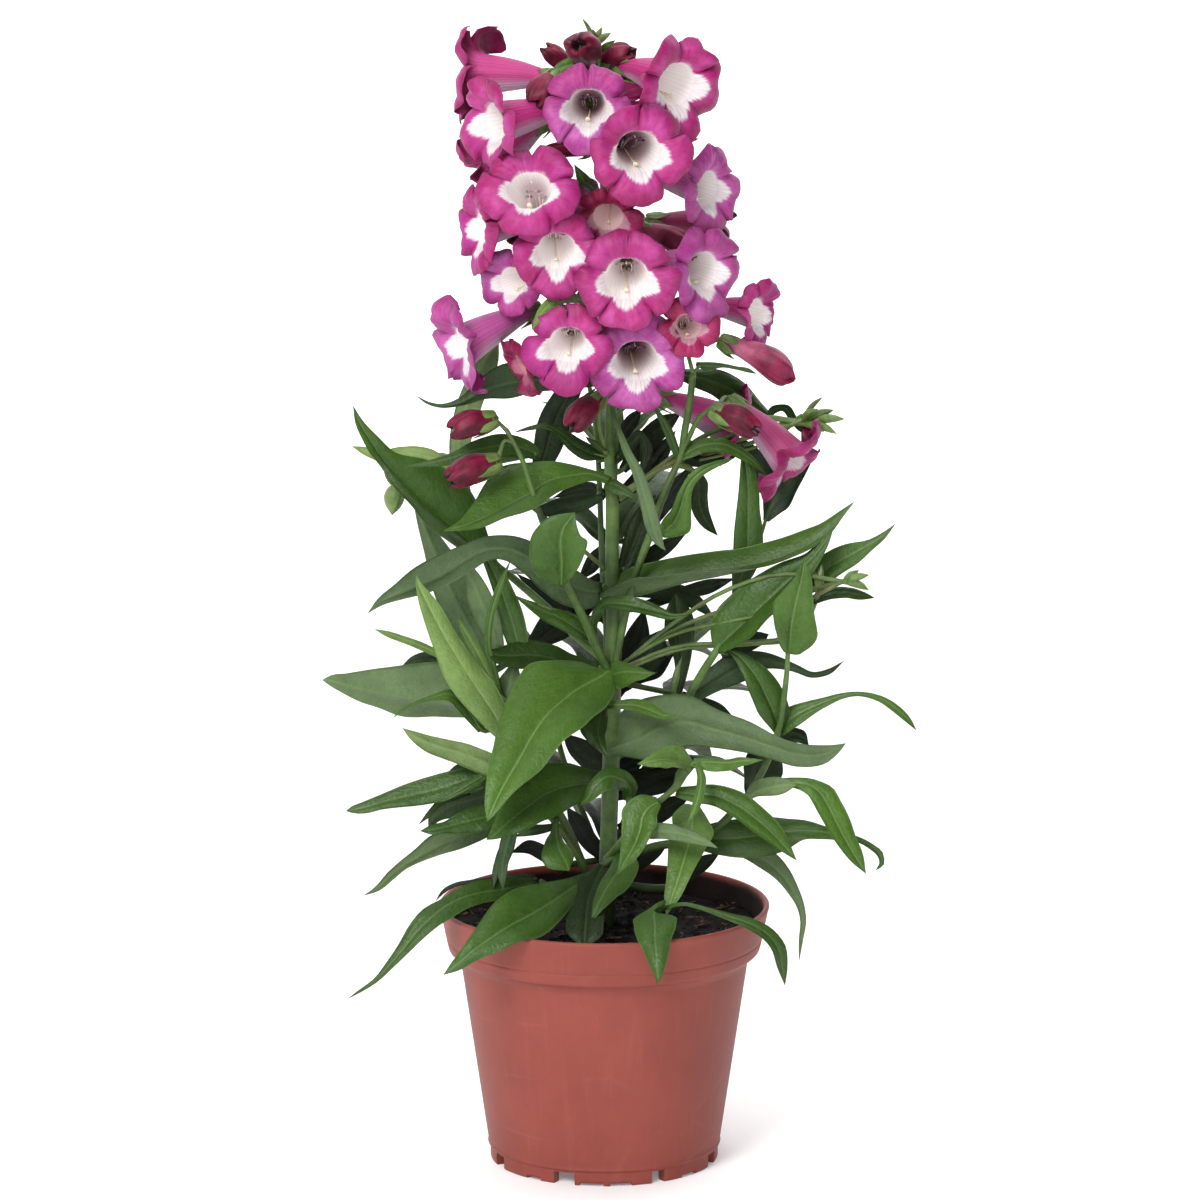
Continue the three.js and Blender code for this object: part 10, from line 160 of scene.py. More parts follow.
  "C22": {"node":"back_shoot","side":"U","tint":0.0,"wave":0,"sheen":0,"st":[[2.9,14.7,284.7,4.5,14.0,283.8,6.2,13.3,282.8],[6.2,20.0,290.2,8.5,19.0,288.8,10.7,18.1,287.4],[9.7,22.8,293.9,11.6,21.9,292.6,13.5,21.1,291.3],[14.7,24.0,296.2,14.7,24.0,296.2,14.7,24.0,296.2]],"foot":[2.6,13.4,276,1.3]},
  "C23": {"node":"back_shoot","side":"U","tint":0.0,"wave":0,"sheen":0,"st":[[8.3,14.8,236.0,9.3,14.0,234.4,10.2,13.2,232.8],[16.3,19.9,240.7,17.9,18.7,238.2,19.5,17.4,235.7],[23.6,22.8,244.2,25.0,21.7,242.0,26.4,20.6,239.8],[32.1,24.0,246.0,32.1,24.0,246.0,32.1,24.0,246.0]],"foot":[2.5,13.8,234.4,1.3]},
  "B11": {"node":"back_shoot","side":"U","tint":0.3,"wave":0.5,"sheen":0,"st":[[-0.2,12.9,124.7,1.8,13.6,124.0,4.0,13.6,124.7],[-4.4,23.8,129.9,-0.2,24.9,128.4,4.2,25.3,129.9],[-8.6,35.6,132.8,-2.3,36.9,130.5,4.1,37.8,132.8],[-11.4,48.1,132.9,-4.4,49.0,130.4,2.5,50.5,132.9],[-12.8,60.5,130.1,-6.5,61.0,127.9,-0.5,62.7,130.1],[-12.5,72.2,124.6,-8.5,72.2,123.3,-4.8,73.5,124.6],[-10.3,82.4,116.7,-10.3,82.4,116.7,-10.3,82.4,116.7]]},
  "B12": {"node":"back_shoot","side":"U","tint":0.32,"wave":0.5,"sheen":0,"st":[[-0.2,13.9,150.9,2.2,14.0,150.0,4.5,13.1,150.6],[-0.0,26.5,158.8,4.8,26.4,156.8,9.7,24.8,158.1],[0.5,40.5,164.1,7.6,39.8,161.0,14.9,38.0,163.1],[2.6,55.0,165.9,10.3,53.8,162.4,18.3,52.5,164.8],[5.8,69.3,164.0,12.5,67.9,161.0,19.7,67.5,163.0],[9.9,82.5,158.6,14.1,81.5,156.8,18.6,81.7,158.0],[14.9,94.1,150.0,14.9,94.1,150.0,14.9,94.1,150.0]]},
  "B13": {"node":"back_shoot","side":"U","tint":0.36,"wave":0.5,"sheen":0,"st":[[-0.4,13.6,182.6,2.0,14.8,182.0,4.5,14.9,182.9],[-7.1,25.1,191.1,-2.1,27.3,189.8,3.0,27.9,191.9],[-14.0,38.4,197.0,-6.5,41.1,194.9,1.0,42.4,198.3],[-19.1,53.4,199.5,-10.8,55.7,197.2,-2.8,57.5,201.0],[-22.1,69.3,198.5,-14.5,70.5,196.5,-7.6,72.4,199.8],[-22.2,84.9,194.1,-17.5,85.1,192.9,-13.1,86.4,194.9],[-19.3,99.0,186.6,-19.3,99.0,186.6,-19.3,99.0,186.6]]},
  "B14": {"node":"back_shoot","side":"U","tint":0.32,"wave":0.5,"sheen":0,"st":[[0.6,15.5,182.8,2.7,14.6,182.0,4.3,12.9,182.5],[5.7,25.7,190.2,9.7,23.6,188.2,13.2,20.3,189.4],[11.5,36.8,195.3,17.3,33.4,192.3,22.7,28.9,194.1],[18.8,47.8,197.3,24.9,43.8,193.9,31.3,39.4,196.0],[27.0,58.2,196.1,32.2,54.5,193.2,38.2,51.2,195.0],[35.5,67.7,191.8,38.8,65.3,190.0,42.7,63.7,191.1],[44.2,75.8,184.6,44.2,75.8,184.6,44.2,75.8,184.6]]},
  "B15": {"node":"back_shoot","side":"U","tint":0.4,"wave":0.5,"sheen":0,"st":[[0.1,14.3,212.8,2.4,14.8,212.0,4.8,14.1,212.5],[-1.2,26.2,222.2,3.7,26.8,220.3,8.7,25.5,221.6],[-2.2,39.7,229.3,5.0,40.1,226.3,12.5,38.8,228.3],[-1.6,54.2,233.1,6.2,54.3,229.7,14.3,53.6,232.0],[0.1,69.2,233.4,7.0,68.9,230.4,14.1,69.0,232.4],[2.8,83.7,230.2,7.1,83.5,228.3,11.6,83.9,229.6],[6.6,97.3,223.6,6.6,97.3,223.6,6.6,97.3,223.6]]},
  "B16": {"node":"back_shoot","side":"U","tint":0.36,"wave":0.5,"sheen":0,"st":[[0.7,12.7,212.4,1.8,14.5,212.0,3.4,15.6,212.7],[-7.5,16.8,219.2,-5.1,20.3,218.3,-1.9,22.6,219.9],[-16.5,21.8,224.3,-12.8,26.8,222.8,-8.2,30.5,225.5],[-25.2,28.9,227.2,-20.7,33.9,225.5,-15.9,38.1,228.6],[-33.0,37.6,227.8,-28.5,41.6,226.3,-24.4,45.4,229.0],[-38.9,47.6,225.9,-35.8,49.7,225.0,-33.3,52.1,226.7],[-42.2,58.1,221.8,-42.2,58.1,221.8,-42.2,58.1,221.8]]},
  "B17": {"node":"back_shoot","side":"U","tint":0.44,"wave":0.5,"sheen":0,"st":[[0.8,14.7,242.7,2.9,14.3,242.0,4.6,12.9,242.4],[3.3,24.0,251.6,7.5,23.0,249.9,11.2,20.3,250.9],[6.5,34.6,258.7,12.7,32.9,256.0,18.3,29.3,257.6],[11.5,45.8,263.0,18.0,43.7,259.9,24.4,40.3,261.8],[17.5,57.2,264.4,23.1,55.1,261.7,29.1,52.7,263.4],[24.3,68.2,262.8,27.7,66.9,261.1,31.6,65.8,262.2],[31.5,78.7,258.3,31.5,78.7,258.3,31.5,78.7,258.3]]},
  "B18": {"node":"back_shoot","side":"U","tint":0.44,"wave":0.5,"sheen":0,"st":[[1.0,12.8,242.4,2.1,14.2,242.0,3.6,14.9,242.6],[-5.6,17.4,248.3,-3.2,20.1,247.5,-0.2,21.8,248.9],[-12.9,22.9,252.8,-9.1,26.7,251.4,-4.8,29.4,253.6],[-19.6,30.1,255.2,-15.2,33.9,253.7,-10.7,37.0,256.2],[-25.4,38.6,255.5,-21.2,41.5,254.1,-17.3,44.3,256.3],[-29.5,47.8,253.6,-26.7,49.3,252.8,-24.3,51.1,254.1],[-31.5,57.1,249.7,-31.5,57.1,249.7,-31.5,57.1,249.7]]},
  "B19": {"node":"back_shoot","side":"U","tint":0.6,"wave":0.5,"sheen":0,"st":[[0.9,13.5,272.4,2.6,14.0,272.0,4.3,13.6,272.4],[-1.1,20.5,280.6,2.3,21.5,279.6,5.8,20.8,280.6],[-3.1,29.0,287.5,2.0,30.1,285.9,7.2,29.3,287.5],[-3.9,38.7,292.5,1.7,39.6,290.6,7.3,39.1,292.5],[-3.6,49.2,295.6,1.3,49.8,293.8,6.3,49.6,295.6],[-2.1,60.2,296.4,1.0,60.4,295.3,4.1,60.4,296.4],[0.6,71.0,295.1,0.6,71.0,295.1,0.6,71.0,295.1]]},
  "B20": {"node":"back_shoot","side":"U","tint":0.7,"wave":0.5,"sheen":0,"st":[[2.0,14.4,276.2,3.0,13.8,276.0,3.5,12.7,276.2],[4.2,17.8,281.8,6.2,16.4,281.2,7.2,14.2,281.8],[7.0,21.6,286.8,9.9,19.5,285.8,11.5,16.3,286.8],[11.1,25.4,290.8,14.1,23.0,289.7,15.9,19.7,290.8],[16.1,29.1,293.8,18.6,26.8,292.7,20.4,24.0,293.8],[22.0,32.4,295.5,23.5,30.9,294.8,24.6,29.2,295.5],[28.5,35.1,296.0,28.5,35.1,296.0,28.5,35.1,296.0]]},
  "B21": {"node":"back_shoot","side":"U","tint":0.7,"wave":0.5,"sheen":0,"st":[[1.7,12.6,276.2,2.2,13.7,276.0,3.1,14.4,276.2],[-2.2,14.2,282.1,-1.2,16.4,281.5,0.7,17.9,282.1],[-6.7,16.3,287.3,-5.2,19.5,286.3,-2.5,21.8,287.3],[-11.5,19.7,291.5,-9.8,23.1,290.4,-6.9,25.6,291.5],[-16.3,24.0,294.6,-14.7,26.9,293.5,-12.3,29.2,294.6],[-21.0,29.2,296.5,-19.9,31.0,295.7,-18.5,32.5,296.5],[-25.3,35.2,297.0,-25.3,35.2,297.0,-25.3,35.2,297.0]]},
  "B22": {"node":"back_shoot","side":"U","tint":0.3,"wave":0.5,"sheen":0,"st":[[-15.3,25.9,146.5,-13.6,27.1,146.0,-11.8,27.7,146.8],[-22.2,34.3,150.3,-18.6,36.4,149.1,-14.9,38.0,150.8],[-29.2,43.3,151.8,-23.7,46.1,150.1,-18.4,48.8,152.7],[-34.9,53.4,150.7,-28.6,55.9,148.8,-23.1,59.1,151.6],[-38.8,63.7,147.1,-33.0,65.4,145.5,-28.2,68.5,147.8],[-40.4,73.6,141.0,-36.7,74.3,140.2,-33.7,76.3,141.5],[-39.6,82.2,133.0,-39.6,82.2,133.0,-39.6,82.2,133.0]]},
  "B23": {"node":"back_shoot","side":"U","tint":0.3,"wave":0.5,"sheen":0,"st":[[-13.9,24.8,146.4,-14.0,26.6,146.0,-13.6,28.2,146.7],[-22.5,23.6,149.1,-22.3,27.2,148.2,-21.8,30.5,149.8],[-31.5,22.5,150.1,-31.0,27.9,148.8,-30.5,32.8,151.2],[-40.7,23.0,149.2,-39.5,28.8,147.8,-39.3,34.2,150.4],[-49.2,25.1,146.4,-47.7,30.0,145.2,-47.6,34.8,147.3],[-56.5,28.6,141.8,-55.2,31.6,141.1,-55.1,34.6,142.4],[-61.7,33.5,135.7,-61.7,33.5,135.7,-61.7,33.5,135.7]]},
  "B24": {"node":"back_shoot","side":"U","tint":0.33,"wave":0.5,"sheen":0,"st":[[-22.3,32.4,170.6,-20.6,33.1,170.0,-18.7,33.1,170.6],[-25.9,41.6,175.7,-22.2,42.7,174.4,-18.4,42.9,175.7],[-29.5,51.6,178.9,-24.0,52.9,176.9,-18.5,53.6,178.9],[-31.9,62.4,179.6,-25.9,63.4,177.4,-19.9,64.5,179.6],[-33.1,73.3,177.7,-27.7,73.7,175.8,-22.5,75.1,177.7],[-32.9,83.6,173.3,-29.5,83.7,172.2,-26.2,84.7,173.3],[-31.1,92.7,166.8,-31.1,92.7,166.8,-31.1,92.7,166.8]]},
  "B25": {"node":"back_shoot","side":"U","tint":0.33,"wave":0.5,"sheen":0,"st":[[-21.4,31.1,170.4,-21.0,32.8,170.0,-20.0,34.1,170.7],[-29.7,32.4,174.6,-28.6,35.8,173.7,-26.8,38.7,175.3],[-38.7,34.2,177.2,-36.6,39.2,175.8,-34.3,43.6,178.2],[-47.5,37.7,177.7,-44.9,42.8,176.2,-42.6,47.7,178.9],[-55.7,42.5,176.1,-52.8,46.8,174.9,-50.9,51.2,177.1],[-62.3,48.6,172.6,-60.2,51.0,171.9,-59.0,53.8,173.2],[-66.6,55.4,167.3,-66.6,55.4,167.3,-66.6,55.4,167.3]]},
  "B26": {"node":"back_shoot","side":"U","tint":0.56,"wave":0.5,"sheen":0,"st":[[-26.2,35.2,190.4,-25.3,36.4,190.0,-23.9,36.9,190.4],[-31.2,39.2,196.1,-29.3,41.5,195.2,-26.6,42.8,196.1],[-36.8,44.0,200.7,-33.8,47.2,199.3,-30.0,49.4,200.7],[-42.1,50.2,203.7,-38.6,53.4,202.0,-34.6,56.0,203.7],[-46.9,57.3,204.8,-43.7,59.9,203.3,-40.3,62.4,204.8],[-50.9,64.9,204.1,-48.8,66.5,203.2,-46.8,68.1,204.1],[-53.8,72.9,201.6,-53.8,72.9,201.6,-53.8,72.9,201.6]]},
  "B27": {"node":"back_shoot","side":"U","tint":0.3,"wave":0.5,"sheen":0,"st":[[14.6,26.8,150.8,16.5,26.1,150.0,18.2,25.0,150.5],[17.8,37.0,154.9,21.4,35.5,153.1,25.0,33.3,154.3],[21.3,47.8,156.8,26.5,45.1,154.2,32.1,42.4,156.0],[25.9,58.1,155.9,31.4,54.9,153.1,37.7,52.4,155.0],[31.1,67.5,152.3,35.9,64.5,150.0,41.6,62.8,151.6],[36.6,75.5,146.2,39.7,73.5,144.9,43.3,72.8,145.8],[42.6,81.6,138.1,42.6,81.6,138.1,42.6,81.6,138.1]]},
  "B28": {"node":"back_shoot","side":"U","tint":0.3,"wave":0.5,"sheen":0,"st":[[16.3,27.1,150.7,16.8,25.7,150.0,16.9,24.1,150.4],[23.3,29.7,153.7,24.1,26.7,152.2,24.4,23.4,153.0],[30.8,32.3,155.3,31.6,27.8,153.1,32.4,23.0,154.3],[38.4,34.1,155.0,39.1,29.2,152.6,40.5,24.0,153.9],[45.9,35.1,152.7,46.4,30.8,150.7,48.1,26.4,151.8],[52.8,35.5,148.7,53.1,32.7,147.5,54.5,30.1,148.2],[59.0,34.9,143.1,59.0,34.9,143.1,59.0,34.9,143.1]]},
  "B29": {"node":"back_shoot","side":"U","tint":0.33,"wave":0.5,"sheen":0,"st":[[23.4,31.6,174.6,25.1,31.5,174.0,26.7,30.9,174.6],[23.2,39.2,178.1,26.7,38.9,176.8,30.0,37.8,178.1],[23.2,47.5,180.2,28.3,46.5,178.3,33.3,45.3,180.2],[24.5,55.7,180.4,30.0,54.4,178.3,35.5,53.4,180.4],[26.9,63.6,178.7,31.6,62.1,176.9,36.6,61.5,178.7],[30.2,70.5,175.1,33.2,69.4,174.1,36.3,69.2,175.1],[34.6,76.1,170.0,34.6,76.1,170.0,34.6,76.1,170.0]]},
  "B30": {"node":"back_shoot","side":"U","tint":0.33,"wave":0.5,"sheen":0,"st":[[24.6,32.4,174.6,25.5,31.2,174.0,26.0,29.7,174.3],[30.7,36.9,178.9,32.4,34.3,177.5,33.5,31.2,178.3],[37.5,41.6,181.7,39.8,37.7,179.5,41.8,33.2,180.7],[45.0,45.7,182.4,47.3,41.3,180.0,49.8,36.6,181.3],[52.6,49.2,181.0,54.5,45.2,178.9,57.2,41.4,180.1],[60.0,51.9,177.6,61.2,49.4,176.3,63.2,47.3,177.0],[67.1,53.8,172.3,67.1,53.8,172.3,67.1,53.8,172.3]]},
  "B31": {"node":"back_shoot","side":"U","tint":0.58,"wave":0.5,"sheen":0,"st":[[28.9,33.9,192.4,30.3,33.4,192.0,31.2,32.3,192.4],[31.1,39.9,198.1,33.9,38.7,197.2,36.0,36.6,198.1],[34.0,46.7,202.7,37.9,44.8,201.3,41.2,41.8,202.7],[38.2,53.6,205.7,42.4,51.3,204.0,46.0,48.3,205.7],[43.5,60.4,206.8,47.0,58.1,205.3,50.3,55.7,206.8],[49.5,66.6,206.1,51.6,65.0,205.2,53.8,63.7,206.1],[56.2,71.8,203.6,56.2,71.8,203.6,56.2,71.8,203.6]]}
}''')
# stems: node, points x y z radius
STEMS = json.loads(r'''[
  ["main_stem",[[0.7,0.0,90.1,3.55],[1.4,0.0,120.1,3.42],[2.6,0.0,160.5,3.37],[3.4,0.0,197.4,3.32],[3.8,0.0,216.5,3.2],[3.0,0.5,240.3,2.73],[3.0,1.0,264.0,2.53],[1.8,2.0,281.6,1.94],[1.8,3.0,291.3,1.55],[2.2,4.0,303.0,1.71],[3.0,5.0,326.4,1.71],[2.2,5.0,349.9,1.55],[1.3,5.0,363.8,1.46]]],
  ["raceme_tip",[[1.26,5.0,364.12,1.46],[0.6,5.0,373.4,1.39],[-1.7,4.0,400.7,1.23],[-4.0,2.0,424.3,1.0],[-5.5,0.0,437.6,0.84],[-4.8,0.0,443.8,0.69]]],
  ["main_stem",[[3.0,4.0,263.4,1.17],[3.8,6.0,272.6,1.32],[4.1,8.0,282.5,1.32],[5.3,10.0,294.0,1.17],[6.9,12.0,307.5,1.01],[8.4,12.0,321.3,0.93]]],
  ["left_front_shoot",[[1.8,-4.0,196.6,1.56],[0.2,-6.0,200.3,1.71],[-5.6,-12.0,214.3,1.79],[-11.4,-20.0,228.7,1.7],[-16.0,-26.0,240.2,1.54],[-20.2,-27.0,251.8,1.39],[-24.4,-27.0,262.8,1.31],[-27.9,-26.0,273.2,1.15],[-31.3,-25.0,284.0,1.0],[-34.8,-24.0,291.2,0.92],[-37.4,-24.0,295.9,0.92]]],
  ["left_front_shoot",[[-37.4,-24.0,295.9,0.92],[-40.1,-24.0,298.6,0.69],[-42.4,-24.0,300.6,0.69]]],
  ["left_front_shoot",[[-34.8,-24.0,291.2,0.77],[-38.2,-24.0,292.0,0.69],[-39.8,-25.0,288.6,0.85],[-40.5,-26.0,284.1,0.85]]],
  ["left_back_shoot",[[-0.1,3.0,199.9,1.56],[-11.5,4.0,209.7,1.56],[-23.2,4.0,221.3,1.56],[-34.8,2.0,232.1,1.48],[-44.5,-1.0,241.4,1.4],[-49.2,0.0,252.3,1.24],[-52.3,1.0,262.0,1.17],[-53.8,3.0,271.6,0.93],[-54.6,4.0,276.9,0.62]]],
  ["left_low_shoot",[[-1.7,-2.0,102.4,1.73],[-7.6,-6.0,117.6,1.73],[-17.3,-10.0,140.7,1.72],[-28.2,-13.0,157.5,1.72],[-36.0,-14.0,169.7,1.64],[-39.1,-13.0,181.5,1.56],[-41.0,-12.0,191.2,1.4],[-43.0,-10.0,199.6,1.17],[-44.5,-9.0,206.5,0.93]]],
  ["centre_shoot",[[1.4,7.0,191.0,1.33],[0.6,8.0,214.8,1.25],[-0.9,9.0,238.6,1.17],[-1.7,9.0,262.5,1.09],[-2.9,9.0,286.3,1.01],[-4.8,8.0,302.3,0.93],[-6.4,7.0,310.3,0.78]]],
  ["right_shoot",[[4.5,-3.0,200.4,1.4],[6.9,-5.0,213.6,1.48],[10.0,-7.0,228.0,1.48],[13.8,-9.0,241.5,1.47],[17.7,-10.0,252.3,1.55],[21.5,-10.0,264.2,1.47],[25.4,-9.0,273.9,1.39],[29.3,-8.0,282.7,1.32],[31.1,-10.0,293.7,1.39],[33.0,-12.0,305.8,1.39],[34.1,-14.0,316.4,1.31]]],
  ["right_shoot",[[29.3,-8.0,283.5,1.01],[33.1,-10.0,291.7,1.0],[36.5,-12.0,298.8,0.93],[39.9,-14.0,302.3,0.85],[43.0,-16.0,304.6,0.85]]],
  ["right_mid_shoot",[[3.8,2.0,160.0,1.57],[14.0,0.0,170.5,1.57],[23.7,-4.0,180.6,1.56],[32.6,-8.0,187.5,1.56],[35.3,-10.0,192.8,1.56],[39.9,-14.0,201.6,1.55],[44.1,-16.0,208.8,1.4],[48.1,-10.0,214.7,1.17],[51.3,-4.0,219.8,0.93]]],
  ["right_outer_shoot",[[2.2,4.0,116.7,1.73],[18.0,2.0,124.5,1.73],[33.6,-4.0,129.2,1.65],[43.3,-8.0,134.6,1.57],[50.3,-10.0,141.9,1.56],[56.1,-11.0,149.0,1.48],[60.7,-12.0,156.9,1.4],[64.6,-13.0,165.5,1.33],[68.0,-15.0,177.2,1.25],[70.1,-18.0,192.6,1.16],[70.8,-20.0,201.0,1.01],[71.1,-22.0,209.3,0.93]]],
  ["right_outer_shoot",[[71.1,-22.0,209.3,0.77],[74.8,-12.0,215.1,0.78],[78.3,-12.0,222.3,0.85],[81.6,-16.0,228.6,0.93],[83.4,-18.0,233.0,0.93]]],
  ["right_outer_shoot",[[82.7,-17.0,231.2,0.77],[86.5,-18.0,234.2,0.62],[90.4,-19.0,236.0,0.58],[94.2,-20.0,236.2,0.62]]],
  ["low_front_shoot",[[0.7,-6.0,121.6,1.57],[8.1,-16.0,132.9,1.56],[15.8,-26.0,144.6,1.48],[20.0,-30.0,150.0,1.32],[24.6,-32.0,154.4,1.24],[28.1,-33.0,158.2,1.55],[30.0,-34.0,162.9,2.32],[33.1,-34.0,166.4,1.55]]],
  ["base_left_shoot",[[-1.3,-8.0,99.9,1.57],[-11.5,-12.0,107.0,1.33],[-20.5,-13.0,112.1,1.17],[-25.2,-13.0,114.9,1.02]]],
  ["base_left_shoot",[[-1.3,-8.0,99.9,1.57],[-5.6,-10.0,114.5,1.41],[-11.9,-12.0,127.1,1.33],[-18.9,-12.0,137.6,1.25],[-25.2,-10.0,144.3,1.17],[-32.2,-8.0,150.3,1.17],[-37.7,-7.0,154.9,1.02],[-40.8,-8.0,159.1,0.78]]],
  ["right_mid_shoot",[[51.3,-4.0,219.8,0.86],[56.9,7.0,234.2,0.7],[63.0,6.0,255.5,0.7]]],
  ["right_shoot",[[30.8,-9.0,289.6,0.77],[41.1,4.0,284.8,0.7],[52.0,8.0,286.1,0.7]]],
  ["left_back_shoot",[[-79.4,2.0,281.6,0.54],[-84.9,3.0,277.9,0.47],[-84.5,3.0,272.3,0.47],[-82.2,3.0,269.6,0.47],[-79.5,3.0,270.0,0.62]]],
  ["right_shoot",[[39.9,-14.0,302.3,0.77],[50.6,0.0,298.2,0.7],[62.4,4.0,295.1,0.7],[70.1,2.0,293.5,0.7],[76.6,0.0,297.8,0.7]]],
  ["back_shoot",[[1.9,12.5,102,1.6],[2,13,140,1.6],[2.2,14,180,1.6],[2.4,14,220,1.5],[2.6,13.6,250,1.3],[2.6,13.4,276,1.1]]],
  ["back_shoot",[[1,13.2,112,1.3],[-6,20,128,1.3],[-15,28,150,1.2],[-21,33,172,1.1],[-25,36,190,0.9]]],
  ["back_shoot",[[2.5,13.2,118,1.3],[9,20,134,1.3],[18,27,154,1.2],[25,31,174,1.1],[30,33,192,0.9]]]
]''')
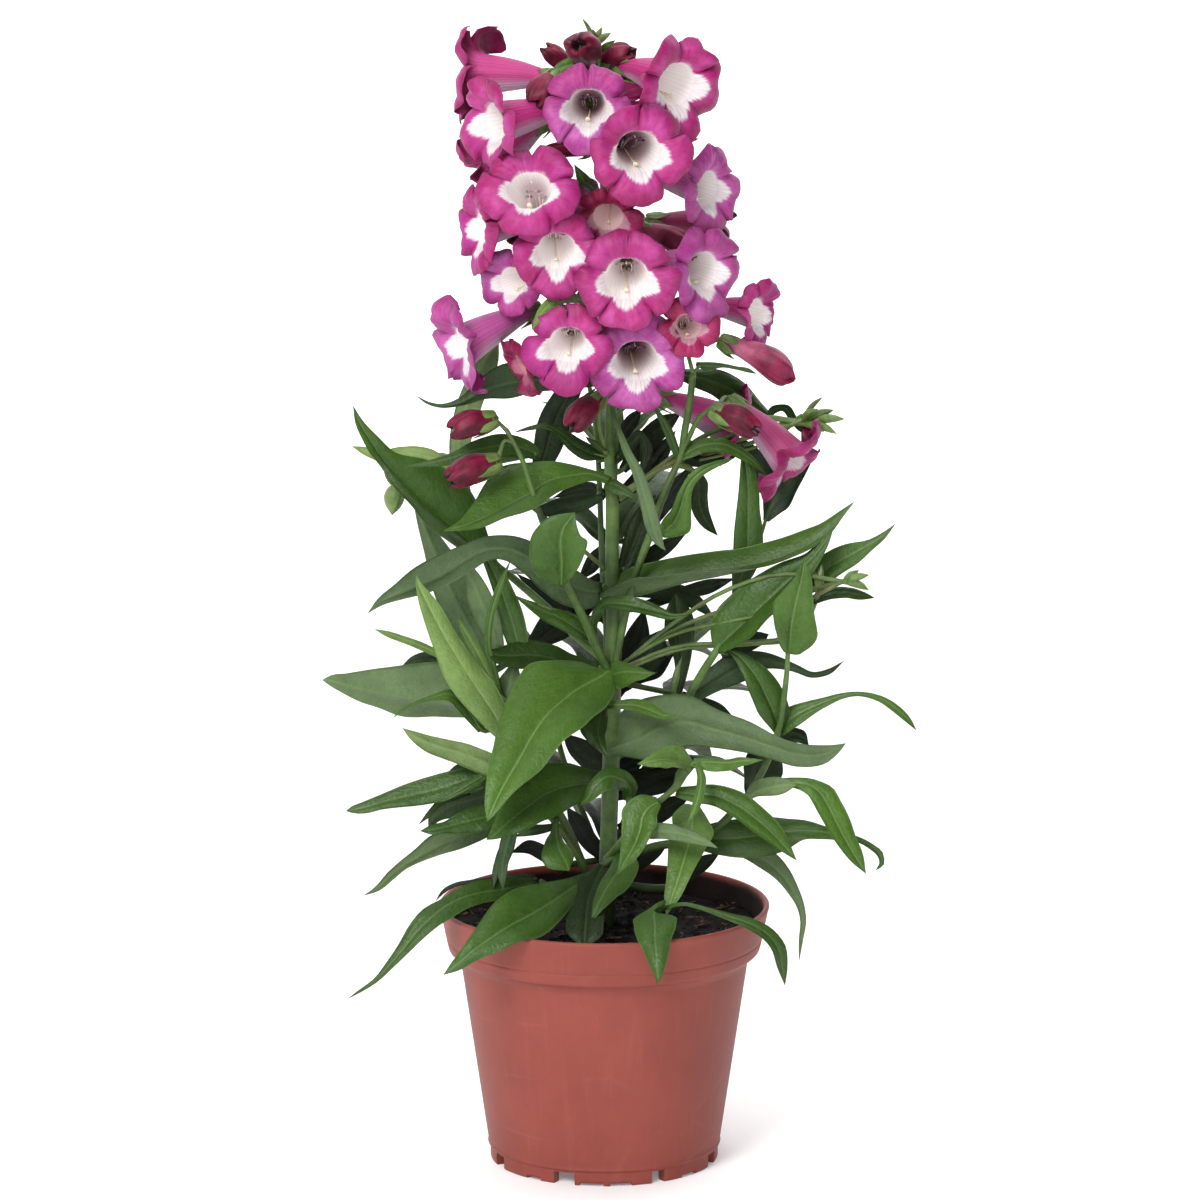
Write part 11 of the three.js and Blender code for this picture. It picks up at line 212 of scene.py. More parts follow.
# flowers: mouth centre, facing direction, up direction, scale, hue, stalk
FLOWERS = json.loads(r'''{
  "F01": {"node":"flower_01","m":[-47.1,8.0,430.0],"d":[-0.913,0.4065,0.0349],"u":[0.0319,-0.0142,0.9994],"s":1.04,"hue":"m","ped":[[-5.2,1.4,423.1],[-8.0,-0.8,425.6],[-10.9,-3.5,427.4],[-14.0,-5.4,428.5],[-17.7,-5.1,428.9]],"seed":167,"curl":12,"ruf":2.4,"dark":0,"bend":[0,0,0,20,45],"lob":[1.05,1,1.0,1.05,1.0]},
  "F02": {"node":"flower_02","m":[-40.8,-30.0,416.6],"d":[-0.8639,-0.4988,-0.0698],"u":[-0.0604,-0.0349,0.9976],"s":1.06,"hue":"m","ped":[[-3.5,1.7,411.6],[-5.2,-2.1,414.9],[-6.6,-6.3,417.3],[-8.8,-10.3,418.7],[-12.4,-13.6,418.9]],"seed":168,"curl":0,"ruf":1.6,"dark":0.6,"bend":[0,0,0,-12,-12],"lob":[1,1,1,1,1]},
  "F26": {"node":"flower_26","m":[-43.9,-8.0,395.5],"d":[-0.7656,0.0267,-0.6428],"u":[-0.6424,0.0224,0.766],"s":0.98,"hue":"m","ped":[[-3.6,2.6,406.6],[-7.6,-0.7,411.0],[-11.7,-4.5,414.9],[-16.0,-7.6,416.8],[-20.6,-8.8,415.0]],"seed":174,"curl":15,"ruf":1.8,"dark":0,"bend":[0,0,0,0,0],"lob":[1,1,1,1,1]},
  "F03": {"node":"flower_03","m":[-6.2,-38.0,423.5],"d":[-0.0347,-0.9939,0.1045],"u":[0.0036,0.1045,0.9945],"s":0.96,"hue":"v","ped":[[-3.5,1.2,416.0],[-3.9,-1.0,417.8],[-4.5,-3.2,419.0],[-5.0,-5.6,419.9],[-5.2,-8.4,420.3]],"seed":169,"curl":0,"ruf":1.25,"dark":0.8,"bend":[0,0,0,0,0],"lob":[1,1,1,1,1]},
  "F04": {"node":"flower_04","m":[27.1,-30.0,431.5],"d":[0.6142,-0.7861,-0.0698],"u":[0.0429,-0.055,0.9976],"s":1.12,"hue":"m","ped":[[-3.3,0.7,429.4],[-1.0,0.2,431.3],[1.4,-0.2,432.8],[3.7,-1.0,433.8],[5.8,-2.7,434.0]],"seed":170,"curl":6,"ruf":1.7,"dark":0,"bend":[0,0,0,0,0],"lob":[1.08,1.0,1,1.05,0.9]},
  "F05": {"node":"flower_05","m":[12.7,-46.0,407.8],"d":[0.2078,-0.9776,0.0349],"u":[-0.0073,0.0341,0.9994],"s":1.08,"hue":"m","ped":[[-0.9,2.5,399.2],[0.8,-1.0,402.3],[2.6,-4.6,404.6],[4.3,-8.6,406.0],[5.7,-13.3,406.6]],"seed":171,"curl":0,"ruf":1.25,"dark":1,"bend":[0,0,0,0,0],"lob":[1,1,1,1,1]},
  "F06": {"node":"flower_06","m":[-28.2,-42.0,392.4],"d":[-0.118,-0.8398,0.5299],"u":[0.0738,0.5248,0.848],"s":1.04,"hue":"m","ped":[[-0.2,3.8,362.5],[-6.9,-0.0,367.2],[-14.5,-3.7,369.6],[-21.0,-8.3,371.6],[-24.4,-14.9,375.3]],"seed":172,"curl":0,"ruf":1.25,"dark":0,"bend":[0,0,0,0,0],"lob":[1,1,1,1,1]},
  "F07": {"node":"flower_07","m":[38.8,-22.0,390.2],"d":[0.807,-0.5864,-0.0698],"u":[0.0564,-0.041,0.9976],"s":0.95,"hue":"v","ped":[[1.1,3.7,384.9],[4.4,1.8,388.0],[7.6,-0.0,390.4],[11.1,-2.1,391.9],[15.0,-4.7,392.2]],"seed":173,"curl":0,"ruf":1.4,"dark":0.5,"bend":[0,0,0,0,0],"lob":[1,1,1,1,1]},
  "F08": {"node":"flower_08","m":[-46.1,-18.0,374.5],"d":[-0.9374,-0.3412,-0.0698],"u":[-0.0655,-0.0239,0.9976],"s":0.95,"hue":"m","ped":[[-0.6,4.0,367.5],[-4.5,1.0,371.5],[-8.5,-2.2,374.5],[-13.0,-5.3,376.3],[-18.5,-8.0,376.6]],"seed":174,"curl":6,"ruf":1.8,"dark":0,"bend":[0,0,0,0,0],"lob":[1,1,1,1,1]},
  "F09": {"node":"flower_09","m":[1.4,-27.0,379.8],"d":[-0.0677,-0.9679,-0.2419],"u":[-0.0169,-0.2413,0.9703],"s":0.74,"hue":"y","ped":[[0.5,3.0,381.3],[1.2,1.2,383.1],[2.1,-0.6,384.5],[2.7,-2.5,385.4],[2.9,-4.8,385.3]],"seed":175,"curl":0,"ruf":1.25,"dark":0,"bend":[0,0,0,0,0],"lob":[1,1,1,1,1]},
  "F10": {"node":"flower_10","m":[-18.0,-42.0,369.4],"d":[0.0518,-0.9889,-0.1392],"u":[0.0073,-0.139,0.9903],"s":0.95,"hue":"m","ped":[[-0.1,3.8,362.7],[-5.7,0.5,367.6],[-12.3,-2.6,371.3],[-17.6,-6.6,373.4],[-19.5,-12.9,373.5]],"seed":167,"curl":0,"ruf":1.25,"dark":0,"bend":[0,0,0,0,0],"lob":[1,1,1,1,1]},
  "F11": {"node":"flower_11","m":[8.5,-46.0,359.3],"d":[0.0,-1.0,0.0],"u":[0.0,0.0,1.0],"s":1.08,"hue":"m","ped":[[2.8,3.1,351.7],[4.4,-0.4,354.9],[6.3,-3.9,357.3],[7.9,-7.8,358.8],[8.5,-12.5,359.3]],"seed":168,"curl":0,"ruf":1.25,"dark":0,"bend":[0,0,0,0,0],"lob":[1,1,1,1,1]},
  "F12": {"node":"flower_12","m":[37.2,-31.0,360.0],"d":[0.6691,-0.7431,0.0],"u":[0.0,0.0,1.0],"s":1.0,"hue":"v","ped":[[3.5,3.7,352.0],[6.6,1.1,355.3],[9.7,-1.5,357.8],[12.9,-4.4,359.4],[16.5,-8.0,360.0]],"seed":169,"curl":0,"ruf":1.3,"dark":0.5,"bend":[0,0,0,0,0],"lob":[1,1,1,1,1]},
  "F13": {"node":"flower_13","m":[-35.0,-24.0,354.6],"d":[-0.5592,-0.829,0.0],"u":[0.0,0.0,1.0],"s":0.74,"hue":"v","ped":[[0.5,4.2,344.2],[-5.2,2.8,348.7],[-11.3,1.7,351.9],[-17.2,-0.4,353.9],[-22.1,-5.0,354.6]],"seed":170,"curl":0,"ruf":1.25,"dark":0,"bend":[0,0,0,0,0],"lob":[1,1,1,1,1]},
  "F14": {"node":"flower_14","m":[-13.9,-42.0,333.2],"d":[-0.087,-0.9948,-0.0523],"u":[-0.0046,-0.0521,0.9986],"s":0.93,"hue":"m","ped":[[1.6,3.3,325.5],[-2.0,-0.3,329.5],[-6.1,-3.7,332.5],[-9.6,-7.8,334.3],[-11.4,-13.3,334.7]],"seed":171,"curl":0,"ruf":1.25,"dark":0,"bend":[0,0,0,0,0],"lob":[1,1,1,1,1]},
  "F15": {"node":"flower_15","m":[12.4,-36.0,326.0],"d":[0.1045,-0.9939,-0.0349],"u":[0.0036,-0.0347,0.9994],"s":1.05,"hue":"v","ped":[[4.1,3.1,322.9],[5.5,1.6,324.6],[7.0,0.2,326.0],[8.3,-1.4,326.9],[9.0,-3.6,327.2]],"seed":172,"curl":0,"ruf":1.25,"dark":1,"bend":[0,0,0,0,0],"lob":[1,1,1,1,1]},
  "F16": {"node":"flower_16","m":[31.9,-34.0,338.8],"d":[0.1029,-0.9794,0.1736],"u":[-0.0182,0.1727,0.9848],"s":0.66,"hue":"y","ped":[[34.0,-14.0,316.9],[32.5,-13.0,322.6],[31.0,-11.3,328.3],[29.9,-11.0,332.9],[29.8,-14.0,335.3]],"seed":173,"curl":0,"ruf":1.25,"dark":0,"bend":[0,0,0,0,0],"lob":[1,1,1,1,1]},
  "F17": {"node":"flower_17","m":[-53.1,-20.0,329.9],"d":[-0.8585,-0.3822,-0.342],"u":[-0.3125,-0.1391,0.9397],"s":1.02,"hue":"v","ped":[[1.0,4.1,328.2],[-5.3,1.3,334.2],[-11.7,-1.5,339.0],[-18.5,-4.6,341.6],[-26.0,-7.9,340.7]],"seed":174,"curl":-6,"ruf":2.0,"dark":0,"bend":[50,0,-10,-30,-20],"lob":[1.05,1,1.1,1.1,1.0]},
  "F18": {"node":"flower_18","m":[-30.8,-26.0,322.3],"d":[-0.7936,-0.422,-0.4384],"u":[-0.3871,-0.2058,0.8988],"s":0.72,"hue":"c","ped":[[1.5,3.1,321.4],[-1.5,-2.0,326.6],[-4.5,-7.4,331.0],[-8.1,-12.6,333.3],[-13.1,-16.6,332.1]],"seed":175,"curl":0,"ruf":1.6,"dark":0,"bend":[0,0,0,0,0],"lob":[1,1,1,1,1]},
  "F19": {"node":"flower_19","m":[58.0,-8.0,339.5],"d":[0.848,-0.5299,0.0],"u":[0.0,0.0,1.0],"s":0.8,"hue":"m","ped":[[5.1,5.0,325.8],[12.7,6.0,331.6],[20.5,7.7,336.0],[28.7,8.1,338.6],[37.0,5.1,339.5]],"seed":176,"curl":14,"ruf":1.8,"dark":0,"bend":[0,0,0,0,0],"lob":[0.9,1,1,0.9,1.0]},
  "F21": {"node":"flower_21","m":[71.3,-12.0,283.9],"d":[0.7178,-0.2332,-0.6561],"u":[0.6239,-0.2027,0.7547],"s":1.0,"hue":"d","ped":[[43.6,-15.5,304.9],[44.9,-11.9,305.1],[45.9,-8.2,305.6],[47.1,-5.4,305.5],[49.1,-4.8,304.2]],"seed":169,"curl":30,"ruf":2.2,"dark":0.6,"bend":[0,0,0,0,0],"lob":[1,1,1,1,1]},
  "F22": {"node":"flower_22","m":[48.2,14.0,291.7],"d":[0.9266,0.0324,-0.3746],"u":[0.3744,0.0131,0.9272],"s":1.0,"hue":"m","ped":[[3.7,4.4,295.5],[7.3,6.8,299.2],[10.8,9.6,302.3],[14.8,11.9,304.0],[19.5,13.0,303.3]],"seed":170,"curl":0,"ruf":1.25,"dark":0,"bend":[0,0,0,0,0],"lob":[1,1,1,1,1]},
  "F23": {"node":"flower_23","m":[43.3,14.0,369.7],"d":[0.9848,0.1384,-0.1045],"u":[0.1035,0.0145,0.9945],"s":0.85,"hue":"c","ped":[[2.9,5.6,365.4],[6.2,6.8,368.4],[9.5,8.2,370.7],[13.1,9.4,372.2],[17.3,10.4,372.4]],"seed":171,"curl":0,"ruf":1.25,"dark":0,"bend":[0,0,0,0,0],"lob":[1,1,1,1,1]},
  "FB1": {"node":"flower_back_1","m":[0.6,46.0,410.6],"d":[0.0872,0.9962,0.0],"u":[0.0,0.0,1.0],"s":0.95,"hue":"m","ped":[[-2.1,5.3,405.2],[-2.1,7.9,407.4],[-2.1,10.5,409.1],[-2.1,13.4,410.2],[-1.9,16.7,410.6]],"seed":185,"curl":0,"ruf":1.25,"dark":0,"bend":[0,0,0,0,0],"lob":[1,1,1,1,1]},
  "FB2": {"node":"flower_back_2","m":[-1.7,48.0,366.1],"d":[-0.1392,0.9903,0.0],"u":[0.0,0.0,1.0],"s":1.0,"hue":"v","ped":[[1.6,6.9,361.1],[2.0,9.3,363.1],[2.5,11.7,364.7],[2.8,14.3,365.7],[2.6,17.3,366.1]],"seed":186,"curl":0,"ruf":1.25,"dark":0,"bend":[0,0,0,0,0],"lob":[1,1,1,1,1]},
  "FB3": {"node":"flower_back_3","m":[3.0,48.0,327.9],"d":[0.0348,0.997,-0.0698],"u":[0.0024,0.0697,0.9976],"s":1.0,"hue":"m","ped":[[2.8,7.1,325.2],[2.5,9.4,327.2],[2.2,11.7,328.8],[2.0,14.2,329.8],[1.9,17.1,330.0]],"seed":187,"curl":0,"ruf":1.25,"dark":0,"bend":[0,0,0,0,0],"lob":[1,1,1,1,1]}
}''')
# buds: base, tip, radius, kind, stalk
BUDS = json.loads(r'''{
  "bud_front": {"node":"raceme_tip","b":[-5.5,-4.0,435.8],"t":[-10.1,-22.0,445.0],"r":6.89,"kind":"m","ped":[[-5.0,0.7,432.8],[-5.2,-1.5,433.7],[-5.2,-2.2,434.5],[-5.3,-3.0,435.2],[-5.5,-4.0,435.8]]},
  "bud_right": {"node":"raceme_tip","b":[-1.7,0.0,433.8],"t":[10.5,-8.0,440.2],"r":5.18,"kind":"m","ped":[[-4.7,1.0,430.8],[-2.9,0.5,431.5],[-2.6,0.4,432.4],[-2.3,0.3,433.2],[-1.7,0.0,433.8]]},
  "bud_left": {"node":"raceme_tip","b":[-14.0,0.0,431.5],"t":[-22.4,-4.0,441.2],"r":4.22,"kind":"m","ped":[[-4.4,1.5,427.8],[-7.8,1.0,429.0],[-10.0,0.9,429.6],[-12.1,0.6,430.2],[-14.0,0.0,431.5]]},
  "bud_low_left": {"node":"raceme_tip","b":[-18.5,-16.0,432.0],"t":[-27.2,-26.0,422.6],"r":5.72,"kind":"m","ped":[[-3.9,2.1,423.3],[-8.0,-3.1,427.9],[-11.4,-7.4,431.8],[-14.9,-11.8,433.7],[-18.5,-16.0,432.0]]},
  "bud_dark": {"node":"raceme_tip","b":[-6.3,-4.0,401.1],"t":[-22.4,-14.0,402.5],"r":3.26,"kind":"m","ped":[[-1.4,4.1,397.4],[-3.1,1.0,398.9],[-3.7,-0.8,400.0],[-4.7,-2.5,400.7],[-6.3,-4.0,401.1]]},
  "bud_small_right": {"node":"raceme_tip","b":[21.4,-2.0,401.6],"t":[34.4,-6.0,406.8],"r":2.11,"kind":"m","ped":[[-1.0,4.3,392.0],[5.5,2.5,395.6],[10.4,1.2,397.9],[15.7,-0.3,399.6],[21.4,-2.0,401.6]]},
  "bud_fill": {"node":"raceme_tip","b":[-11.7,-2.0,362.8],"t":[-36.2,-12.0,369.0],"r":3.85,"kind":"m","ped":[[1.7,5.0,356.8],[-2.7,2.6,359.1],[-5.4,1.1,360.7],[-8.3,-0.5,361.8],[-11.7,-2.0,362.8]]},
  "bud_crimson": {"node":"raceme_tip","b":[12.2,0.0,371.8],"t":[32.9,-6.0,363.4],"r":5.2,"kind":"p","ped":[[1.1,5.0,366.8],[4.9,3.2,369.0],[7.1,2.0,371.0],[9.5,0.9,372.1],[12.2,0.0,371.8]]},
  "B_L1": {"node":"left_front_shoot","b":[-42.4,-24.0,300.6],"t":[-58.5,-28.0,296.2],"r":5.76,"kind":"m","ped":[[-40.1,-24.0,298.6],[-42.4,-24.0,300.6]]},
  "B_L2": {"node":"left_front_shoot","b":[-41.3,-26.0,284.1],"t":[-59.2,-32.0,278.2],"r":6.15,"kind":"m","ped":[[-39.8,-25.0,288.6],[-41.3,-26.0,284.1]]},
  "B_C": {"node":"bud_centre","b":[-1.7,-10.0,307.0],"t":[-12.5,-18.0,296.0],"r":5.79,"kind":"m","ped":[[0.2,-0.1,284.6],[-2.1,-6.0,294.9],[-1.7,-10.0,307.0]]},
  "B_R": {"node":"right_shoot","b":[42.1,-22.0,303.7],"t":[58.2,-28.0,296.6],"r":5.76,"kind":"m","ped":[[39.9,-14.0,302.3],[42.1,-22.0,303.7]]},
  "F20": {"node":"flower_young_right","b":[45.2,-14.0,329.2],"t":[72.4,-22.0,315.8],"r":6.35,"kind":"p","ped":[[4.4,3.5,310.7],[13.9,-0.9,319.8],[23.6,-5.5,327.5],[33.9,-10.1,331.4],[45.2,-14.0,329.2]]},
  "calyx_old": {"node":"left_back_shoot","b":[-79.9,3.0,270.0],"t":[-82.6,1.0,258.1],"r":4.28,"kind":"g","ped":[[-0.1,0.5,237.0],[-21.9,2.0,255.8],[-46.4,4.0,273.5],[-67.8,5.0,281.2],[-79.9,3.0,270.0]]},
  "g_r1": {"node":"right_shoot","b":[80.5,0.0,295.4],"t":[93.1,-4.0,296.9],"r":1.94,"kind":"g","ped":[[6.0,1.0,264.0],[23.2,2.0,277.1],[40.9,3.8,286.1],[59.8,4.0,291.9],[80.5,0.0,295.4]]},
  "g_r2": {"node":"right_shoot","b":[78.2,0.0,295.8],"t":[89.0,0.0,299.8],"r":1.94,"kind":"g","ped":[[5.8,1.0,265.3],[22.6,0.7,277.0],[39.8,0.4,284.2],[58.2,0.1,289.5],[78.2,0.0,295.8]]},
  "g_r3": {"node":"right_shoot","b":[78.9,-1.0,294.8],"t":[90.0,-6.0,291.4],"r":1.74,"kind":"g","ped":[[6.0,0.9,264.0],[23.1,2.0,278.4],[40.9,4.2,290.0],[59.5,4.2,296.3],[78.9,-1.0,294.8]]},
  "g_r4": {"node":"right_shoot","b":[77.5,2.0,296.6],"t":[84.8,4.0,304.2],"r":1.16,"kind":"g","ped":[[5.7,1.2,266.4],[23.3,0.6,276.6],[42.2,-0.4,281.2],[60.7,-0.4,285.9],[77.5,2.0,296.6]]},
  "g_r5": {"node":"right_shoot","b":[76.6,-2.0,296.2],"t":[82.6,-5.0,301.0],"r":1.74,"kind":"g","ped":[[5.7,1.0,266.3],[23.0,1.6,276.8],[41.3,3.1,282.2],[59.6,2.8,287.1],[76.6,-2.0,296.2]]},
  "g_r6": {"node":"right_shoot","b":[77.3,-2.0,294.6],"t":[85.0,-7.0,292.4],"r":1.74,"kind":"g","ped":[[5.9,0.9,264.4],[23.0,2.3,278.4],[40.9,5.0,289.5],[59.2,5.0,295.6],[77.3,-2.0,294.6]]},
  "g_o1": {"node":"right_outer_shoot","b":[82.7,-17.0,228.9],"t":[81.5,-18.0,239.7],"r":1.55,"kind":"g","ped":[[7.1,-0.8,196.4],[29.2,-5.0,206.0],[55.0,-9.7,208.8],[75.7,-13.9,213.5],[82.7,-17.0,228.9]]},
  "g_o2": {"node":"right_outer_shoot","b":[83.5,-17.0,230.4],"t":[84.2,-16.0,242.1],"r":1.55,"kind":"g","ped":[[7.1,-0.8,197.6],[28.6,-5.8,207.3],[53.3,-11.8,210.1],[74.0,-16.3,214.8],[83.5,-17.0,230.4]]},
  "g_o3": {"node":"right_outer_shoot","b":[93.4,-20.0,236.2],"t":[102.2,-22.0,239.0],"r":1.74,"kind":"g","ped":[[7.1,-0.8,199.2],[27.0,-5.2,213.7],[47.4,-9.7,222.8],[69.3,-14.6,229.3],[93.4,-20.0,236.2]]},
  "g_o4": {"node":"right_outer_shoot","b":[93.4,-20.0,235.8],"t":[102.3,-20.0,232.6],"r":1.74,"kind":"g","ped":[[7.1,-0.8,198.8],[26.9,-6.3,216.6],[47.3,-12.6,231.0],[69.2,-17.8,238.6],[93.4,-20.0,235.8]]},
  "g_o5": {"node":"right_outer_shoot","b":[92.6,-20.0,236.2],"t":[98.5,-18.0,240.1],"r":1.55,"kind":"g","ped":[[7.1,-0.8,199.5],[27.5,-7.7,212.7],[48.9,-16.3,219.6],[70.8,-22.0,225.7],[92.6,-20.0,236.2]]},
  "g_t1": {"node":"raceme_tip","b":[-4.0,0.0,442.3],"t":[-8.6,-2.0,452.5],"r":0.96,"kind":"g","ped":[[-5.3,0.0,439.3],[-3.6,0.0,439.9],[-3.5,0.1,440.7],[-3.7,0.1,441.5],[-4.0,0.0,442.3]]},
  "g_t2": {"node":"raceme_tip","b":[-3.6,0.0,441.5],"t":[-0.9,0.0,448.8],"r":1.53,"kind":"g","ped":[[-5.4,0.0,438.5],[-3.7,0.0,439.1],[-3.7,0.0,439.9],[-3.7,0.0,440.7],[-3.6,0.0,441.5]]},
  "g_t3": {"node":"raceme_tip","b":[-3.6,0.0,441.5],"t":[2.5,-3.0,446.9],"r":1.53,"kind":"g","ped":[[-5.4,0.0,438.5],[-3.8,0.1,439.2],[-3.9,0.1,440.0],[-3.9,0.2,440.8],[-3.6,0.0,441.5]]},
  "g_t4": {"node":"raceme_tip","b":[-4.0,-1.0,441.6],"t":[-4.4,-5.0,448.6],"r":1.34,"kind":"g","ped":[[-5.4,0.0,438.6],[-4.0,-0.9,439.3],[-3.9,-0.8,440.0],[-3.9,-0.8,440.8],[-4.0,-1.0,441.6]]}
}''')
# collars of the leaf pairs, and short stalks inside one node
JOINTS = json.loads(r'''[
  ["leaf_pair_low_front",[3.0,-1.0,196.8,5.6]],
  ["leaf_pair_middle",[2.6,-1.0,227.9,5.2]],
  ["leaf_pair_upper",[1.8,-1.0,271.9,5.0]],
  ["leaf_pair_top",[2.6,4.0,310.1,4.8]],
  ["leaf_pair_low",[2.2,-1.0,159.9,6.5]],
  ["leaf_pair_left_shoot_1",[-35.9,-17.0,167.6,6.5]],
  ["leaf_pair_left_shoot_2",[-37.9,-13.0,182.3,4.0]],
  ["leaf_pair_right_mid",[44.1,-15.0,207.4,4.0]],
  ["leaf_pair_right_outer",[68.0,-13.0,175.1,4.0]],
  ["leaf_pair_front_shoot",[23.9,-32.0,152.8,5.8]],
  ["leaf_pair_right_low_1",[57.6,-13.0,151.5,5.2]],
  ["leaf_pair_right_low_2",[32.8,-5.0,129.8,4.2]],
  ["leaf_pair_base_left_1",[-37.6,-10.0,154.4,4.0]],
  ["leaf_pair_base_left_2",[-36.1,-10.0,139.1,4.2]],
  ["leaves_over_rim_front",[-0.5,-8.0,119.7,5.0]],
  ["leaves_over_rim_left",[-26.0,-13.0,115.3,3.2]],
  ["leaves_over_rim_right",[21.5,-44.0,110.0,3.6]],
  ["leaf_front_right",[36.2,-8.0,141.8,2.4]]
]''')
LINKS = json.loads(r'''[
  ["leaf_pair_low_front",[[2.6,-6.4,194.0,1.4],[0.3,-6.2,183.5,1.4]]],
  ["leaves_over_rim_front",[[0.3,-8.0,120.5,1.6],[6.1,-7.0,127.1,1.6]]],
  ["leaves_over_rim_right",[[17.7,-42.0,93.8,1.4],[19.6,-43.0,101.3,1.4],[21.5,-44.0,109.6,1.4]]],
  ["centre_shoot",[[-1.9,9.0,265.5,0.95],[-2.9,-2.2,265.3,0.78]]],
  ["leaf_pair_middle",[[2.6,-1.0,227.9,1.43],[0.7,-3.5,226.8,1.17]]],
  ["leaf_pair_top",[[2.6,4.0,310.1,1.43],[10.6,8.0,308.9,1.17]]],
  ["leaf_pair_low_front",[[3.0,-1.0,196.8,0.97],[2.3,-7.2,183.9,0.8]]],
  ["leaf_pair_low_front",[[3.0,-1.0,196.8,1.43],[-0.7,-6.0,182.3,1.17]]],
  ["left_front_shoot",[[-3.8,-10.1,209.9,0.9],[-4.1,-5.9,213.6,0.74]]],
  ["left_front_shoot",[[-3.1,-9.5,208.4,0.98],[-5.7,-5.6,210.4,0.81]]],
  ["centre_shoot",[[1.2,7.3,197.5,1.43],[-2.0,-2.6,197.9,1.17]]],
  ["centre_shoot",[[1.3,7.2,195.3,1.43],[8.8,1.3,196.5,1.17]]],
  ["leaf_pair_left_shoot_1",[[-35.9,-17.0,167.6,1.23],[-36.8,-22.8,173.7,1.0]]],
  ["left_low_shoot",[[-42.7,-10.3,198.3,1.43],[-44.9,-7.8,199.8,1.17]]],
  ["left_low_shoot",[[-43.4,-9.7,201.5,1.43],[-41.3,-12.8,205.6,1.17]]],
  ["left_low_shoot",[[-42.7,-10.3,198.5,1.43],[-33.2,-10.4,204.4,1.17]]],
  ["left_low_shoot",[[-40.9,-12.0,190.9,0.77],[-41.6,-16.9,194.8,0.63]]],
  ["left_back_shoot",[[-45.1,-0.9,242.9,1.43],[-47.6,-4.7,244.3,1.17]]],
  ["left_back_shoot",[[-54.5,3.9,276.4,1.43],[-26.5,-7.2,283.8,1.17]]],
  ["left_back_shoot",[[-52.6,1.4,264.0,1.43],[-53.8,0.1,266.7,1.17]]],
  ["left_front_shoot",[[-15.1,-24.8,237.9,1.38],[-16.6,-27.4,237.0,1.13]]],
  ["centre_shoot",[[-6.4,7.0,310.3,1.43],[-9.5,4.3,309.9,1.17]]],
  ["centre_shoot",[[-0.6,8.8,233.2,1.43],[7.8,2.8,236.7,1.17]]],
  ["centre_shoot",[[-2.5,9.0,278.2,1.11],[5.6,5.5,280.4,0.91]]],
  ["centre_shoot",[[1.4,7.0,191.0,1.28],[28.6,2.0,186.3,1.04]]],
  ["centre_shoot",[[1.4,7.0,191.0,0.77],[27.1,-2.5,188.4,0.63]]],
  ["right_shoot",[[18.2,-10.0,253.9,1.43],[22.5,-10.4,253.3,1.17]]],
  ["leaf_pair_right_mid",[[44.1,-15.0,207.4,0.9],[47.8,-10.1,205.1,0.74]]],
  ["right_mid_shoot",[[51.7,-3.2,220.9,1.27],[51.6,-1.8,223.1,1.04]]],
  ["right_mid_shoot",[[31.9,-7.7,186.9,1.43],[35.5,-5.7,187.5,1.17]]],
  ["right_mid_shoot",[[29.8,-6.7,185.3,0.9],[32.8,-0.7,186.2,0.74]]],
  ["right_outer_shoot",[[77.9,-12.0,221.5,1.24],[74.2,-7.8,225.7,1.02]]],
  ["right_outer_shoot",[[53.4,-10.5,145.7,1.15],[57.4,2.3,146.7,0.94]]],
  ["right_outer_shoot",[[81.5,-15.9,228.5,0.93],[82.8,-17.2,228.4,0.76]]],
  ["low_front_shoot",[[33.1,-34.0,166.4,0.77],[36.1,-36.3,165.9,0.63]]],
  ["low_front_shoot",[[9.7,-18.0,135.3,1.43],[9.5,-8.2,148.0,1.17]]],
  ["leaves_over_rim_front",[[-0.5,-8.0,119.7,1.43],[5.9,-9.7,125.9,1.17]]],
  ["leaf_front_right",[[36.2,-8.0,141.8,1.43],[34.9,-10.0,143.0,1.17]]],
  ["low_front_shoot",[[15.8,-26.0,144.6,1.43],[15.8,-35.9,139.9,1.17]]],
  ["leaf_pair_right_low_1",[[57.6,-13.0,151.5,0.91],[63.0,-18.8,153.9,0.75]]],
  ["leaf_pair_right_low_1",[[57.6,-13.0,151.5,0.77],[56.5,-19.1,150.6,0.63]]],
  ["leaf_pair_base_left_2",[[-36.1,-10.0,139.1,1.43],[-38.5,-12.6,142.1,1.17]]],
  ["leaf_pair_base_left_2",[[-36.1,-10.0,139.1,1.43],[-38.4,-4.3,134.9,1.17]]],
  ["base_left_shoot",[[-40.8,-8.0,159.1,1.22],[-42.2,-16.9,161.0,1.0]]],
  ["leaf_pair_base_left_1",[[-37.6,-10.0,154.4,1.43],[-40.7,-1.1,150.8,1.17]]],
  ["base_left_shoot",[[-20.4,-11.5,139.2,0.77],[-18.9,-14.7,139.5,0.63]]],
  ["leaves_over_rim_front",[[-0.5,-8.0,119.7,1.25],[-3.9,-14.2,118.0,1.02]]],
  ["right_shoot",[[34.1,-14.0,316.4,0.77],[36.9,-13.3,319.9,0.63]]],
  ["right_shoot",[[62.1,3.9,295.2,0.77],[63.8,3.9,296.6,0.63]]],
  ["back_shoot",[[1.9,12.7,118.4,1.43],[-1.5,11.5,120.3,1.17]]],
  ["back_shoot",[[-0.9,15.1,116.4,1.43],[-18.0,10.5,115.2,1.17]]],
  ["back_shoot",[[2.6,13.5,263.5,1.43],[-1.6,13.4,264.3,1.17]]],
  ["back_shoot",[[2.6,13.7,242.8,1.43],[-0.9,13.7,240.8,1.17]]],
  ["back_shoot",[[2.1,13.3,150.8,1.43],[3.3,13.6,151.7,1.17]]]
]''')

